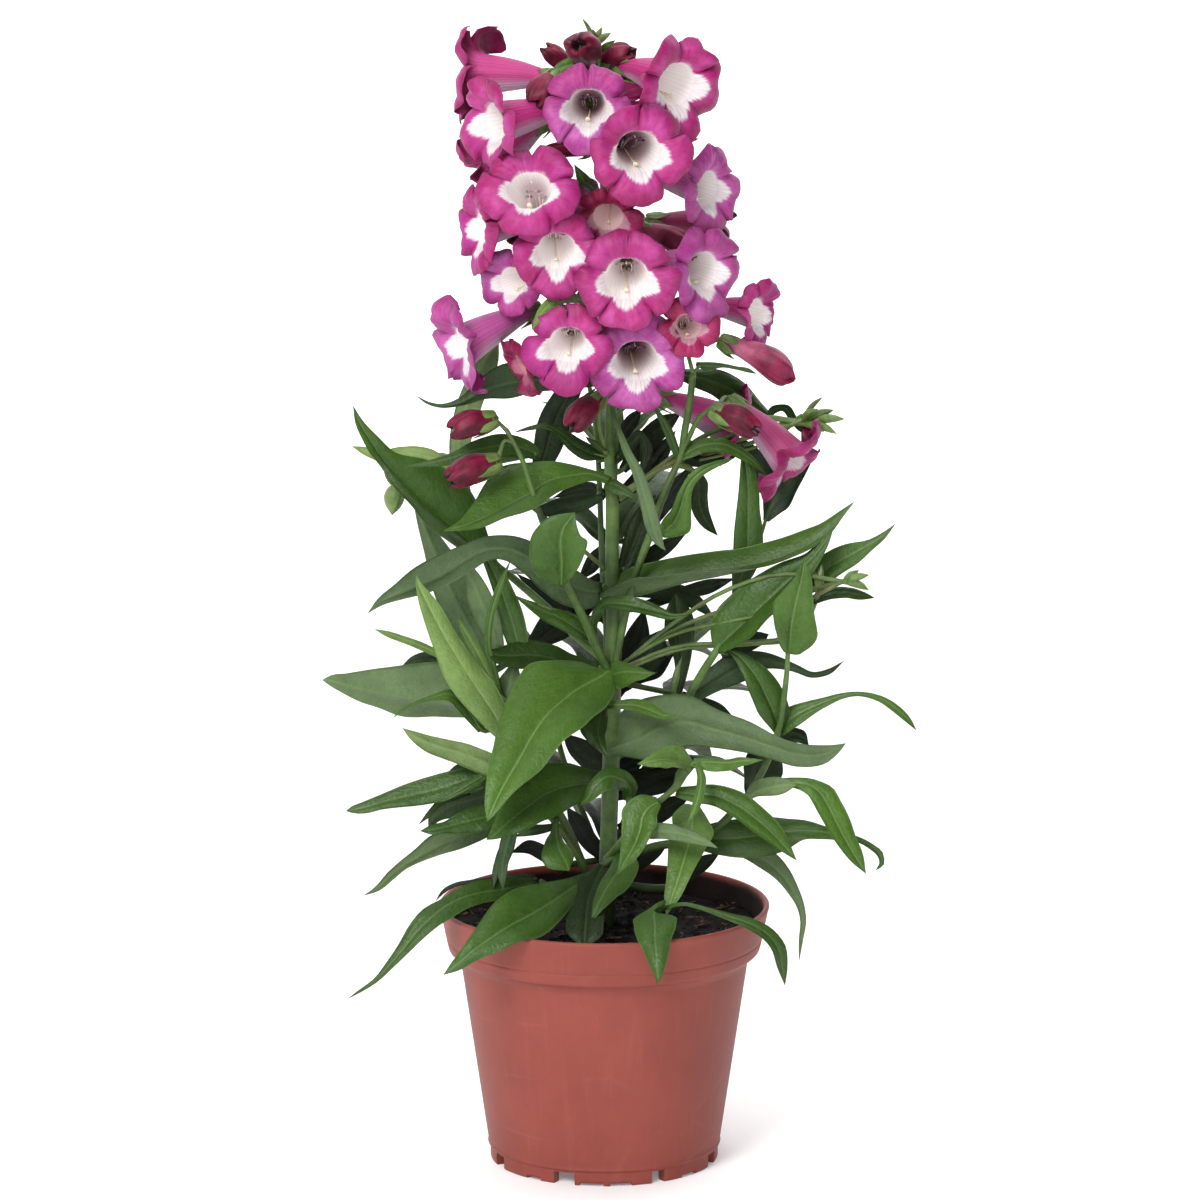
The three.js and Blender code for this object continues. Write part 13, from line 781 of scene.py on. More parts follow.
# ------------------------------------------------------------------ buds
def bud(M, q, seed):
    rnd = np.random.RandomState(seed)
    b, t = np.array(q['b'], float), np.array(q['t'], float)
    d = U(t - b); L = np.linalg.norm(t - b); R = q['r']; kind = q['kind']
    u = np.array([0, 0, 1.0]); u = U(u - d * np.dot(u, d)); r = np.cross(d, u)
    k = 40
    if kind == 'g':
        x = np.linspace(0, 1, 22); k = 20
        prof = np.interp(x, [0, 0.08, 0.25, 0.5, 0.75, 0.92, 1], [0.3, 0.7, 0.95, 1.0, 0.7, 0.25, 0.04]); mat = 'calyx'; ax_ = x
    elif kind == 'p':
        x = np.linspace(0, 1, 30)
        prof = np.interp(x, [0, 0.06, 0.2, 0.35, 0.6, 0.78, 0.9, 0.97, 1], [0.30, 0.44, 0.56, 0.72, 0.95, 1.0, 0.86, 0.55, 0.05]); mat = 'bud_p'; ax_ = x
    else:
        # the folded lobes stand round a small dark well at the tip
        x = np.array([0, .04, .08, .13, .18, .24, .30, .36, .42, .48, .54, .60, .66, .72, .77, .82, .87, .91, .945, .975, .992, 1.0, .985, .95, .90, .86, .84])
        prof = np.array([.40, .48, .56, .65, .73, .80, .86, .91, .95, .98, 1.0, 1.0, .99, .965, .94, .90, .85, .79, .72, .63, .54, .44, .35, .27, .19, .11, .02]); mat = 'bud_m'
        ax_ = np.where(np.arange(len(x)) > 20, 1.0 + 0.05 * (np.arange(len(x)) - 20), x)
    n = len(x)
    if kind != 'm':
        for _ in range(2): prof[1:-1] = (prof[:-2] + 2 * prof[1:-1] + prof[2:]) / 4
    th = np.linspace(0, 2 * math.pi, k, endpoint=False)
    sag = 0.10 * L * np.sin(np.clip(x, 0, 1) * math.pi) * (0.4 + 0.5 * rnd.rand())
    ph0 = rnd.rand() * 6
    if kind == 'g':
        fold = 1 + 0.10 * np.cos(5 * th + ph0)[None, :] * np.clip(x * 1.6 - 0.45, 0, 1)[:, None] ** 0.5
        push = np.zeros((n, k))
    else:
        # overlapping lobes: a soft ramp that drops at each lobe's free edge, winding round the bud
        grow = np.clip((x - 0.28) / 0.45, 0, 1)[:, None]
        turn = (3 * th[None, :] / (2 * math.pi) + 0.5 * x[:, None] + ph0) % 1.0
        saw = np.where(turn < 0.86, turn / 0.86, 1 - (turn - 0.86) / 0.14)
        fold = 1 + grow * (0.17 * (saw - 0.5) + 0.05 * np.sin(5 * th + ph0)[None, :]) + 0.03 * np.sin(8 * th + ph0 * 2)[None, :] * np.clip(x * 2 - 0.3, 0, 1)[:, None]
        rim = np.clip((ax_ - 0.72) / 0.3, 0, 1)[:, None] ** 1.5
        push = 0.10 * L * rim * (np.sin(3 * th + ph0 * 1.7)[None, :] * 0.7 + 0.3 * np.sin(7 * th + ph0)[None, :])
        if kind == 'p': push *= 0.5
    flat = 0.92
    G = b + ((x * L)[:, None] + push)[..., None] * d + (R * prof[:, None] * fold * np.cos(th) * flat + sag[:, None])[..., None] * u + (R * prof[:, None] * fold * np.sin(th))[..., None] * r
    if kind != 'g': x = ax_
    A = np.zeros(G.shape); A[..., 0] = x[:, None]; A[..., 1] = np.cos(th)[None, :]; A[..., 2] = np.abs(np.cos(2.5 * th))[None, :]
    B = np.zeros(G.shape); B[..., 0] = 0.5; B[..., 1] = rnd.rand(); B[..., 2] = rnd.rand()
    e = np.cross(G[5, 1] - G[5, 0], G[6, 0] - G[5, 0]); f = np.dot(e, G[5, 0] - (b + x[5] * L * d)) < 0
    s = M.grid(G, mat, A, B, wrap=True, flip=f)
    for row, pt in ((0, b - d * 0.2), (n - 1, np.mean(G[-1], 0) + (d * 0.1 if kind != 'm' else 0))):
        z = M.points([pt + (u * sag[row] if row == 0 else 0)], [A[row, 0]], [B[0, 0]])
        F = [(s + row * k + j, s + row * k + (j + 1) % k, z) for j in range(k)]
        if (row == 0) != f: F = [x_[::-1] for x_ in F]
        M.faces(F, mat)
    if kind != 'g':
        cs = R / 6.3 if kind == 'm' else R / 6.6
        calyx(M, b - d * 1.0, d, u, r, cs, seed, length=10.5 if kind == 'm' else 9.5, rad=4.4 if kind == 'm' else 3.6)
    P = [list(p) + [min(0.85, R * 0.5)] for p in q['ped']]
    P[-1] = list(b + d * 0.6) + [min(1.1, R * 0.55)]
    tube(M, P, 'pedicel', sides=8, seg=14)

# ------------------------------------------------------------------ materials
MAT = {}
class NT:
    """Small helper to write a node tree."""
    def __init__(self, name, rough=0.5, spec=0.5, **kw):
        m = bpy.data.materials.new(name); m.use_nodes = True
        self.m = m; self.t = m.node_tree; self.t.nodes.clear()
        self.out = self.t.nodes.new('ShaderNodeOutputMaterial')
        self.p = self.t.nodes.new('ShaderNodeBsdfPrincipled')
        self.t.links.new(self.p.outputs[0], self.out.inputs[0])
        self.p.inputs['Roughness'].default_value = rough
        self.p.inputs['Specular IOR Level'].default_value = spec
        for k, v in kw.items(): self.p.inputs[k.replace('_', ' ')].default_value = v
        MAT[name] = m
    def n(self, typ, **kw):
        x = self.t.nodes.new(typ)
        for k, v in kw.items(): setattr(x, k, v)
        return x
    def put(self, sock, v):
        if isinstance(v, bpy.types.NodeSocket): self.t.links.new(v, sock)
        elif v is not None:
            if hasattr(sock, 'default_value') and not isinstance(sock.default_value, (float, int)) and isinstance(v, (tuple, list)) and len(v) == 3 and len(sock.default_value) == 4: v = (*v, 1)
            sock.default_value = v
    def attr(self, name):
        x = self.n('ShaderNodeAttribute', attribute_name=name); s = self.n('ShaderNodeSeparateXYZ')
        self.t.links.new(x.outputs['Vector'], s.inputs[0])
        return s.outputs[0], s.outputs[1], s.outputs[2]
    def math(self, op, a, b=None, c=None, clamp=False):
        x = self.n('ShaderNodeMath', operation=op, use_clamp=clamp)
        for i, v in enumerate((a, b, c)):
            if v is not None: self.put(x.inputs[i], v)
        return x.outputs[0]
    def mix(self, f, a, b):
        x = self.n('ShaderNodeMix', data_type='RGBA'); 
        self.put(x.inputs[0], f); self.put(x.inputs[6], a); self.put(x.inputs[7], b)
        return x.outputs[2]
    def mul(self, f, a, b):
        x = self.n('ShaderNodeMix', data_type='RGBA', blend_type='MULTIPLY')
        self.put(x.inputs[0], f); self.put(x.inputs[6], a); self.put(x.inputs[7], b)
        return x.outputs[2]
    def ramp(self, f, stops, ease='LINEAR'):
        x = self.n('ShaderNodeValToRGB'); self.put(x.inputs[0], f)
        cr = x.color_ramp; cr.interpolation = ease
        while len(cr.elements) < len(stops): cr.elements.new(0.5)
        for e, (p, c) in zip(cr.elements, stops):
            e.position = p; e.color = (*c, 1) if len(c) == 3 else c
        return x.outputs[0]
    def step(self, x, lo, hi):
        y = self.n('ShaderNodeMapRange', interpolation_type='SMOOTHSTEP')
        self.put(y.inputs[0], x); y.inputs[1].default_value = lo; y.inputs[2].default_value = hi
        y.inputs[3].default_value = 0; y.inputs[4].default_value = 1
        return y.outputs[0]
    def noise(self, scale, detail=3, rough=0.5, vec=None, dist=0.0):
        x = self.n('ShaderNodeTexNoise'); x.inputs['Scale'].default_value = scale; x.inputs['Detail'].default_value = detail
        x.inputs['Roughness'].default_value = rough; x.inputs['Distortion'].default_value = dist
        if vec is None: vec = self.pos()
        self.put(x.inputs['Vector'], vec)
        return x.outputs['Fac']
    def pos(self):
        if not hasattr(self, '_p'): self._p = self.n('ShaderNodeTexCoord').outputs['Object']
        return self._p
    def vec(self, x, y, z):
        c = self.n('ShaderNodeCombineXYZ')
        for i, v in enumerate((x, y, z)): self.put(c.inputs[i], v)
        return c.outputs[0]
    def bump(self, h, strength=0.3, dist=0.0005, prev=None):
        b = self.n('ShaderNodeBump'); b.inputs['Strength'].default_value = strength; b.inputs['Distance'].default_value = dist
        self.put(b.inputs['Height'], h)
        if prev is not None: self.put(b.inputs['Normal'], prev)
        return b.outputs[0]
    def color(self, c): self.put(self.p.inputs['Base Color'], c)
    def normal(self, n): self.put(self.p.inputs['Normal'], n)
    def rough(self, r): self.put(self.p.inputs['Roughness'], r)

def leaf_material(name, under):
    N = NT(name, rough=0.4, spec=0.24 if not under else 0.18)
    s, w, hw = N.attr('va'); tint, sheen, sd = N.attr('vb')
    aw = N.math('ABSOLUTE', w)
    mm = N.math('MULTIPLY', N.math('MULTIPLY', aw, hw), 10.0)          # mm from the midrib
    # leaf colour by tone: the leaf's own green, with low values standing in as painted shade for leaves in shadow
    if under:
        col = N.ramp(tint, [(0.0, (0.010, 0.022, 0.009)), (0.25, (0.034, 0.062, 0.026)), (0.55, (0.105, 0.160, 0.072)), (0.85, (0.175, 0.255, 0.085)), (1.0, (0.25, 0.34, 0.11))])
    else:
        col = N.ramp(tint, [(0.0, (0.005, 0.012, 0.002)), (0.2, (0.015, 0.035, 0.005)), (0.45, (0.038, 0.087, 0.012)), (0.65, (0.062, 0.134, 0.019)), (0.85, (0.125, 0.212, 0.055)), (1.0, (0.205, 0.30, 0.095))])
    big = N.noise(60, 3, 0.6); fine = N.noise(900, 2, 0.5)
    net = N.n('ShaderNodeTexVoronoi', feature='DISTANCE_TO_EDGE'); net.inputs['Scale'].default_value = 420; N.put(net.inputs['Vector'], N.pos())
    mesh_ = N.step(net.outputs['Distance'], 0.10, 0.02)
    blot = N.noise(170, 4, 0.65)
    col = N.mul(0.55, col, N.ramp(big, [(0.3, (0.68, 0.72, 0.66)), (0.7, (1.18, 1.16, 1.1))]))
    col = N.mul(0.25, col, N.ramp(fine, [(0.3, (0.8, 0.8, 0.8)), (0.7, (1.15, 1.15, 1.15))]))
    col = N.mul(0.42, col, N.ramp(blot, [(0.32, (0.74, 0.78, 0.70)), (0.68, (1.22, 1.18, 1.16))]))
    col = N.mix(N.math('MULTIPLY', mesh_, 0.10), col, N.mul(1.0, col, (1.9, 1.7, 2.0)))
    # side veins: they leave the midrib at a low angle and curve forward
    t = N.math('SUBTRACT', N.math('MULTIPLY', s, 100.0), N.math('MULTIPLY', N.math('POWER', mm, 1.2), 1.15))
    side = N.math('MULTIPLY', N.math('SIGN', w), 1.7)
    ph = N.math('ADD', N.math('ADD', N.math('MULTIPLY', t, 0.62), side), N.math('MULTIPLY', N.noise(90, 2), 3.4))
    vein = N.math('POWER', N.math('ABSOLUTE', N.math('SINE', ph)), 26.0)
    vein = N.math('MULTIPLY', vein, N.step(N.noise(120, 2), 0.30, 0.60))
    vein = N.math('MULTIPLY', vein, N.step(aw, 1.0, 0.55))
    vein = N.math('MULTIPLY', vein, N.step(mm, 0.4, 1.0))
    rib = N.step(mm, 0.62 if not under else 0.85, 0.12)
    rib = N.math('MULTIPLY', rib, N.step(hw, 0.05, 0.18))
    # a pale line along the margin: partly the leaf's own margin, partly a painted edge highlight
    edge = N.math('MULTIPLY', N.step(aw, 0.955, 0.995), N.step(hw, 0.1, 0.25))
    pale = N.ramp(tint, [(0.0, (0.018, 0.038, 0.010)), (0.3, (0.070, 0.120, 0.040)), (0.6, (0.165, 0.240, 0.090)), (1.0, (0.34, 0.42, 0.17))])
    col = N.mix(N.math('MULTIPLY', vein, 0.09 if not under else 0.16), col, pale)
    col = N.mix(N.math('MULTIPLY', rib, 0.50 if not under else 0.40), col, pale)
    col = N.mix(N.math('MULTIPLY', edge, 0.35), col, pale)
    # painted shade: points deep in the foliage darkened almost to black, and made rougher
    col = N.mix(N.math('MULTIPLY', sheen, 0.93), col, N.mul(1.0, col, (0.045, 0.065, 0.030)))
    N.color(col)
    N.rough(N.math('ADD', N.math('MULTIPLY', sheen, 0.35), N.math('ADD', 0.40 if under else 0.27, N.math('MULTIPLY', N.noise(110, 3), 0.26 if not under else 0.2))))
    b0 = N.bump(N.noise(60, 3, 0.5), 0.42, 0.0035)
    h = N.math('SUBTRACT', N.math('ADD', N.math('MULTIPLY', N.noise(300, 3, 0.6), 1.0), N.math('MULTIPLY', N.math('MINIMUM', net.outputs['Distance'], 0.25), 1.2)), N.math('MULTIPLY', vein, 0.30 if not under else -0.4))
    b = N.bump(h, 0.42, 0.0006, b0)
    b = N.bump(N.noise(2400, 2, 0.6), 0.16, 0.0002, b)
    N.normal(b)
    N.p.inputs['Subsurface Weight'].default_value = 0.0
    return N

def petal_material(hue, inside):
    N = NT(('in_' if inside else 'out_') + hue, rough=0.48, spec=0.26)
    t, a, low = N.attr('va'); cth, sd, sth = N.attr('vb')
    P = {'m': dict(face=(0.312, 0.010, 0.116), lite=(0.415, 0.050, 0.232), deep=(0.165, 0.003, 0.046), alt=(0.295, 0.016, 0.185), tube=(0.400, 0.030, 0.170), back=(0.195, 0.006, 0.070)),
         'v': dict(face=(0.300, 0.030, 0.205), lite=(0.430, 0.110, 0.345), deep=(0.165, 0.008, 0.085), alt=(0.330, 0.022, 0.150), tube=(0.390, 0.080, 0.260), back=(0.165, 0.010, 0.075)),
         'c': dict(face=(0.170, 0.005, 0.038), lite=(0.290, 0.015, 0.085), deep=(0.060, 0.002, 0.015), alt=(0.230, 0.008, 0.060), tube=(0.225, 0.016, 0.075), back=(0.095, 0.003, 0.020)),
         'd': dict(face=(0.250, 0.006, 0.085), lite=(0.360, 0.030, 0.170), deep=(0.110, 0.002, 0.030), alt=(0.210, 0.008, 0.110), tube=(0.330, 0.040, 0.140), back=(0.120, 0.003, 0.036)),
         'y': dict(face=(0.270, 0.009, 0.062), lite=(0.400, 0.035, 0.140), deep=(0.120, 0.003, 0.028), alt=(0.210, 0.006, 0.040), tube=(0.270, 0.022, 0.090), back=(0.130, 0.005, 0.032))}[hue]
    vec = N.vec(N.math('MULTIPLY', a, 2.2), N.math('MULTIPLY', t, 3.0), sd)
    n1 = N.noise(130, 3, 0.55); n2 = N.noise(700, 2, 0.5)
    q = N.math('SUBTRACT', t, 1.0)                                   # 0 at the mouth, 1 at the lobe edge
    if inside:
        sdf = N.math('FRACT', sd)
        side = N.math('ADD', 0.5, N.math('MULTIPLY', N.math('SINE', N.math('ADD', N.math('MULTIPLY', sth, 6.2832), N.math('MULTIPLY', sdf, 40.0))), 0.5))
        col = N.mix(N.step(n1, 0.32, 0.70), P['face'], P['lite'])
        col = N.mix(N.math('MULTIPLY', side, N.math('MULTIPLY', sdf, 0.9)), col, P['alt'])
        col = N.mix(N.math('MULTIPLY', N.step(N.noise(75, 2, 0.5), 0.42, 0.66), 0.45), col, P['deep'])
        # darker towards the lobe margins and at the notches: partly the petals' own deeper edge colour, partly painted
        # shade where the margins reflex and the lobes overlap
        col = N.mix(N.math('MULTIPLY', N.step(q, 0.62, 1.0), 0.50), col, P['deep'])
        col = N.mix(N.math('MULTIPLY', N.step(a, 0.60, 1.0), 0.30), col, P['deep'])
        # fine veins along the lobes
        vv = N.noise(30.0, 2, 0.5, N.vec(N.math('MULTIPLY', sth, 9.0), N.math('MULTIPLY', q, 0.16), sdf))
        col = N.mix(N.math('MULTIPLY', N.step(vv, 0.50, 0.68), 0.26), col, P['deep'])
        col = N.mix(N.math('MULTIPLY', N.step(vv, 0.46, 0.28), 0.20), col, P['lite'])
        # white bowl: the lip all round, drawn out into a feathered point along the middle of each lower lobe
        ring = N.vec(N.math('MULTIPLY', N.math('SINE', N.math('MULTIPLY', sth, 6.2832)), 1.0), N.math('MULTIPLY', N.math('COSINE', N.math('MULTIPLY', sth, 6.2832)), 1.0), N.math('ADD', N.math('MULTIPLY', q, 0.16), N.math('MULTIPLY', sd, 9.0)))
        feather = N.noise(15.0, 4, 0.65, ring); broad = N.noise(2.2, 2, 0.5, ring)
        tipw = N.math('POWER', N.math('SUBTRACT', 1.0, a), 1.25)
        reach = N.math('ADD', N.math('ADD', 0.03, N.math('MULTIPLY', low, 0.13)), N.math('MULTIPLY', tipw, N.math('ADD', 0.07, N.math('MULTIPLY', low, 0.21))))
        reach = N.math('MULTIPLY', reach, N.math('ADD', 0.52, N.math('MULTIPLY', broad, 0.96)))
        edge = N.math('ADD', N.math('SUBTRACT', reach, q), N.math('MULTIPLY', N.math('SUBTRACT', feather, 0.5), 0.22))
        white = N.math('MAXIMUM', N.math('MULTIPLY', N.step(edge, -0.06, 0.09), N.math('ADD', 0.42, N.math('MULTIPLY', low, 0.58))), N.math('MULTIPLY', N.step(edge, -0.03, 0.24), 0.95))
        haze = N.math('MULTIPLY', N.step(edge, -0.34, 0.05), 0.40)
        wcol = N.mix(N.step(feather, 0.35, 0.7), (0.58, 0.515, 0.540), (0.69, 0.655, 0.640))
        amt = {'m': 0.98, 'v': 0.96, 'c': 0.15, 'y': 0.36, 'd': 0.70}[hue]
        col = N.mix(haze, col, P['lite'])
        col = N.mix(N.math('MULTIPLY', white, amt), col, wcol)
        # throat: white at the lip, greige, then purplish brown deep inside; the darkening inwards is partly the
        # throat's own colour and partly painted shade, and a second, much darker ramp of painted shade serves flowers
        # with a dark throat
        thr = N.ramp(t, [(0.0, (0.52, 0.40, 0.41)), (0.22, (0.58, 0.48, 0.485)), (0.38, (0.65, 0.575, 0.57)), (0.55, (0.69, 0.635, 0.625)), (0.75, (0.70, 0.66, 0.645)), (1.0, (0.69, 0.655, 0.64))])
        dusk = N.ramp(t, [(0.0, (0.10, 0.045, 0.050)), (0.22, (0.17, 0.085, 0.092)), (0.42, (0.29, 0.185, 0.190)), (0.60, (0.45, 0.35, 0.35)), (0.78, (0.62, 0.56, 0.55)), (0.92, (0.68, 0.64, 0.63)), (1.0, (0.69, 0.655, 0.64))])
        thr = N.mix(N.step(sd, 4.0, 6.0), thr, dusk)
        if hue == 'c': thr = N.mul(0.9, thr, (0.55, 0.16, 0.20))
        if hue == 'y': thr = N.mul(0.8, thr, (0.74, 0.48, 0.50))
        # painted shade: the roof of the tube darker towards the inside, partly its own mauve
        roof = N.mix(N.math('MULTIPLY', N.math('MULTIPLY', N.step(cth, 0.2, 1.0), N.step(t, 1.05, 0.6)), 0.42), thr, (0.28, 0.14, 0.16))
        lines = N.math('MULTIPLY', N.math('POWER', N.math('ABSOLUTE', N.math('SINE', N.math('MULTIPLY', a, 9.0))), 12.0), N.step(t, 0.35, 0.8))
        roof = N.mix(N.math('MULTIPLY', lines, 0.10), roof, (0.30, 0.06, 0.14))
        col = N.mix(N.step(t, 0.97, 1.03), roof, col)
    else:
        # outside: magenta on the back of the tube, pale lilac belly with faint lengthwise veins
        belly = N.step(cth, 0.05, -0.75)
        pale = (0.47, 0.30, 0.42) if hue in 'mvd' else (0.33, 0.11, 0.16)
        col = N.mix(N.math('MULTIPLY', belly, N.step(t, 1.08, 0.85)), P['tube'], pale)
        col = N.mix(N.math('MULTIPLY', N.step(t, 0.35, 0.0), 0.6), col, P['deep'] if hue in 'cy' else P['tube'])
        v = N.math('POWER', N.math('ABSOLUTE', N.math('SINE', N.math('ADD', N.math('MULTIPLY', a, 9.4), N.math('MULTIPLY', n1, 1.2)))), 8.0)
        col = N.mix(N.math('MULTIPLY', v, 0.30), col, P['back'])
        col = N.mix(N.step(t, 1.0, 1.25), col, N.mix(N.step(n1, 0.35, 0.7), P['back'], P['deep']))
        col = N.mul(0.25, col, N.ramp(n2, [(0.3, (0.85, 0.8, 0.82)), (0.7, (1.12, 1.1, 1.1))]))
    N.color(col)
    if inside:
        # painted light: the tube and inner lip emit a little of their own colour, standing in for light shining
        # through the petals; less in flowers with a dark throat
        glow = N.math('MULTIPLY', N.step(q, 0.35, -0.15), 1.0)
        N.put(N.p.inputs['Emission Color'], col)
        N.put(N.p.inputs['Emission Strength'], N.math('MULTIPLY', glow, N.math('SUBTRACT', 0.26, N.math('MULTIPLY', N.step(sd, 4.0, 6.0), 0.12))))
    h = N.math('ADD', N.math('MULTIPLY', N.math('ABSOLUTE', N.math('SINE', N.math('MULTIPLY', a, 12.0))), 0.5), N.math('MULTIPLY', N.noise(320, 3, 0.6), 0.9))
    b = N.bump(h, 0.35, 0.0005)
    b = N.bump(N.noise(3000, 2), 0.12, 0.00015, b)
    N.normal(b)
    N.rough(N.math('ADD', 0.40, N.math('MULTIPLY', N.noise(240, 2), 0.22)))
    N.p.inputs['Sheen Weight'].default_value = 0.10
    N.p.inputs['Sheen Roughness'].default_value = 0.4
    N.p.inputs['Sheen Tint'].default_value = (1.0, 0.55, 0.8, 1)
    return N

def materials():
    leaf_material('leaf_top', False); leaf_material('leaf_under', True)
    for h in 'mvcyd':
        petal_material(h, True); petal_material(h, False)
    # stems
    for nm, c0, c1, c2 in (('stem', (0.048, 0.102, 0.018), (0.094, 0.170, 0.034), (0.080, 0.075, 0.026)), ('pedicel', (0.075, 0.130, 0.028), (0.135, 0.205, 0.055), (0.13, 0.055, 0.048))):
        N = NT(nm, rough=0.45, spec=0.4)
        s, w, deep_in = N.attr('va')
        n = N.noise(140, 3, 0.6)
        col = N.mix(N.step(n, 0.3, 0.7), c0, c1)
        col = N.mix(N.math('MULTIPLY', N.step(N.noise(45, 2), 0.5, 0.75), 0.55), col, c2)
        col = N.mul(0.4, col, N.ramp(N.noise(1200, 2), [(0.3, (0.75, 0.75, 0.75)), (0.7, (1.2, 1.2, 1.2))]))
        # painted shade: stems and stalks deep in the foliage darkened
        col = N.mix(N.math('MULTIPLY', deep_in, 0.88), col, N.mul(1.0, col, (0.11, 0.14, 0.08)))
        N.color(col)
        st = N.noise(500, 2, 0.5, N.vec(N.math('MULTIPLY', s, 0.2), N.math('MULTIPLY', w, 0.5), 0.0))
        N.normal(N.bump(N.math('ADD', st, N.math('MULTIPLY', N.noise(2500, 2), 0.4)), 0.35, 0.0004))
        N.rough(N.math('ADD', 0.36, N.math('MULTIPLY', n, 0.25)))
    # calyx
    N = NT('calyx', rough=0.42, spec=0.4)
    s, w, _ = N.attr('va')
    aw = N.math('ABSOLUTE', w)
    col = N.mix(N.step(N.noise(180, 3, 0.6), 0.3, 0.7), (0.060, 0.115, 0.022), (0.135, 0.215, 0.050))
    col = N.mix(N.math('MULTIPLY', N.step(aw, 0.6, 1.0), 0.45), col, (0.19, 0.23, 0.08))
    col = N.mix(N.math('MULTIPLY', N.step(N.noise(90, 2), 0.52, 0.72), 0.5), col, (0.10, 0.035, 0.030))
    N.color(col)
    v = N.math('ABSOLUTE', N.math('SINE', N.math('MULTIPLY', w, 7.0)))
    N.normal(N.bump(N.math('ADD', N.math('MULTIPLY', v, 0.4), N.noise(900, 3, 0.6)), 0.45, 0.0004))
    # closed buds
    for nm, base, deep, tip in (('bud_m', (0.145, 0.0045, 0.026), (0.048, 0.0015, 0.009), (0.27, 0.013, 0.062)), ('bud_p', (0.190, 0.007, 0.045), (0.085, 0.0025, 0.018), (0.31, 0.030, 0.105))):
        N = NT(nm, rough=0.50, spec=0.24)
        x, c, f = N.attr('va')
        n = N.noise(160, 3, 0.6)
        col = N.mix(N.step(n, 0.3, 0.7), deep, base)
        # painted highlight: the upper side of the bud lighter, in patches
        col = N.mix(N.math('MULTIPLY', N.math('MULTIPLY', N.step(c, 0.0, 0.95), N.step(n, 0.25, 0.8)), 0.55), col, tip)
        # painted shade: darker in the folds between the lobes
        col = N.mix(N.math('MULTIPLY', N.step(f, 0.30, 0.05), 0.5), col, deep)
        if nm == 'bud_p': col = N.mix(N.math('MULTIPLY', N.step(x, 0.62, 0.25), 0.8), col, N.mix(N.step(n, 0.35, 0.7), (0.36, 0.065, 0.150), (0.44, 0.150, 0.230)))
        col = N.mix(N.math('MULTIPLY', N.step(x, 0.30, 0.05), 0.35), col, (0.20, 0.07, 0.05))
        # painted shade: the small well at the tip nearly black
        col = N.mix(N.step(x, 0.99, 1.14), col, (0.012, 0.002, 0.004))
        N.color(col)
        N.normal(N.bump(N.math('ADD', N.noise(420, 3, 0.6), N.math('MULTIPLY', f, 0.6)), 0.4, 0.0005))
        N.p.inputs['Sheen Weight'].default_value = 0.12
        N.p.inputs['Sheen Roughness'].default_value = 0.35
        N.p.inputs['Sheen Tint'].default_value = (1.0, 0.7, 0.8, 1)
    N = NT('filament', rough=0.4, spec=0.4)
    N.color(N.mix(N.step(N.noise(300, 2), 0.35, 0.7), (0.20, 0.12, 0.14), (0.52, 0.42, 0.44))); N.normal(N.bump(N.noise(1500, 2), 0.3, 0.0003))
    N = NT('filament_pale', rough=0.45, spec=0.4)
    N.color(N.mix(N.step(N.noise(300, 2), 0.35, 0.7), (0.55, 0.44, 0.45), (0.72, 0.65, 0.64))); N.normal(N.bump(N.noise(1500, 2), 0.3, 0.0003))
    N = NT('anther_pale', rough=0.6, spec=0.25)
    N.color(N.mix(N.step(N.noise(900, 3), 0.35, 0.65), (0.20, 0.10, 0.14), (0.42, 0.28, 0.32))); N.normal(N.bump(N.noise(2500, 2), 0.6, 0.0004))
    N = NT('anther', rough=0.6, spec=0.25)
    N.color(N.mix(N.step(N.noise(900, 3), 0.35, 0.65), (0.030, 0.010, 0.030), (0.12, 0.05, 0.09))); N.normal(N.bump(N.noise(2500, 2), 0.6, 0.0004))
    N = NT('staminode', rough=0.5, spec=0.3)
    N.color(N.mix(N.step(N.noise(700, 3), 0.3, 0.7), (0.66, 0.56, 0.36), (0.80, 0.74, 0.56))); N.normal(N.bump(N.noise(2200, 2), 0.6, 0.0004))
    # pot: moulded plastic with fine streaks, a dull bloom and a few scuffs
    N = NT('pot_plastic', rough=0.42, spec=0.28)
    o = N.pos(); sp = N.n('ShaderNodeSeparateXYZ'); N.t.links.new(o, sp.inputs[0])
    an = N.math('ARCTAN2', sp.outputs[1], sp.outputs[0])
    cyl = N.vec(N.math('MULTIPLY', an, 0.055), 0.0, N.math('MULTIPLY', sp.outputs[2], 1.0))
    streak = N.noise(220, 4, 0.65, N.vec(N.math('MULTIPLY', an, 0.055), 0.0, N.math('MULTIPLY', sp.outputs[2], 0.12)))
    cloud = N.noise(28, 4, 0.6); fine = N.noise(1800, 3, 0.6)
    col = N.mix(N.step(cloud, 0.3, 0.7), (0.212, 0.043, 0.031), (0.250, 0.053, 0.038))
    col = N.mix(N.math('MULTIPLY', N.step(streak, 0.5, 0.8), 0.22), col, (0.33, 0.105, 0.080))
    scr = N.n('ShaderNodeTexVoronoi', feature='DISTANCE_TO_EDGE'); scr.inputs['Scale'].default_value = 34; N.put(scr.inputs['Vector'], N.vec(N.math('MULTIPLY', an, 0.02), 0.0, sp.outputs[2]))
    scuff = N.math('MULTIPLY', N.step(scr.outputs['Distance'], 0.035, 0.0), N.step(N.noise(40, 3, 0.6), 0.52, 0.68))
    col = N.mix(N.math('MULTIPLY', scuff, 0.06), col, (0.42, 0.22, 0.18))
    dust = N.math('MULTIPLY', N.step(fine, 0.60, 0.74), N.step(cloud, 0.35, 0.7))
    col = N.mix(N.math('MULTIPLY', dust, 0.20), col, (0.42, 0.24, 0.20))
    rad = N.math('SQRT', N.math('ADD', N.math('MULTIPLY', sp.outputs[0], sp.outputs[0]), N.math('MULTIPLY', sp.outputs[1], sp.outputs[1])))
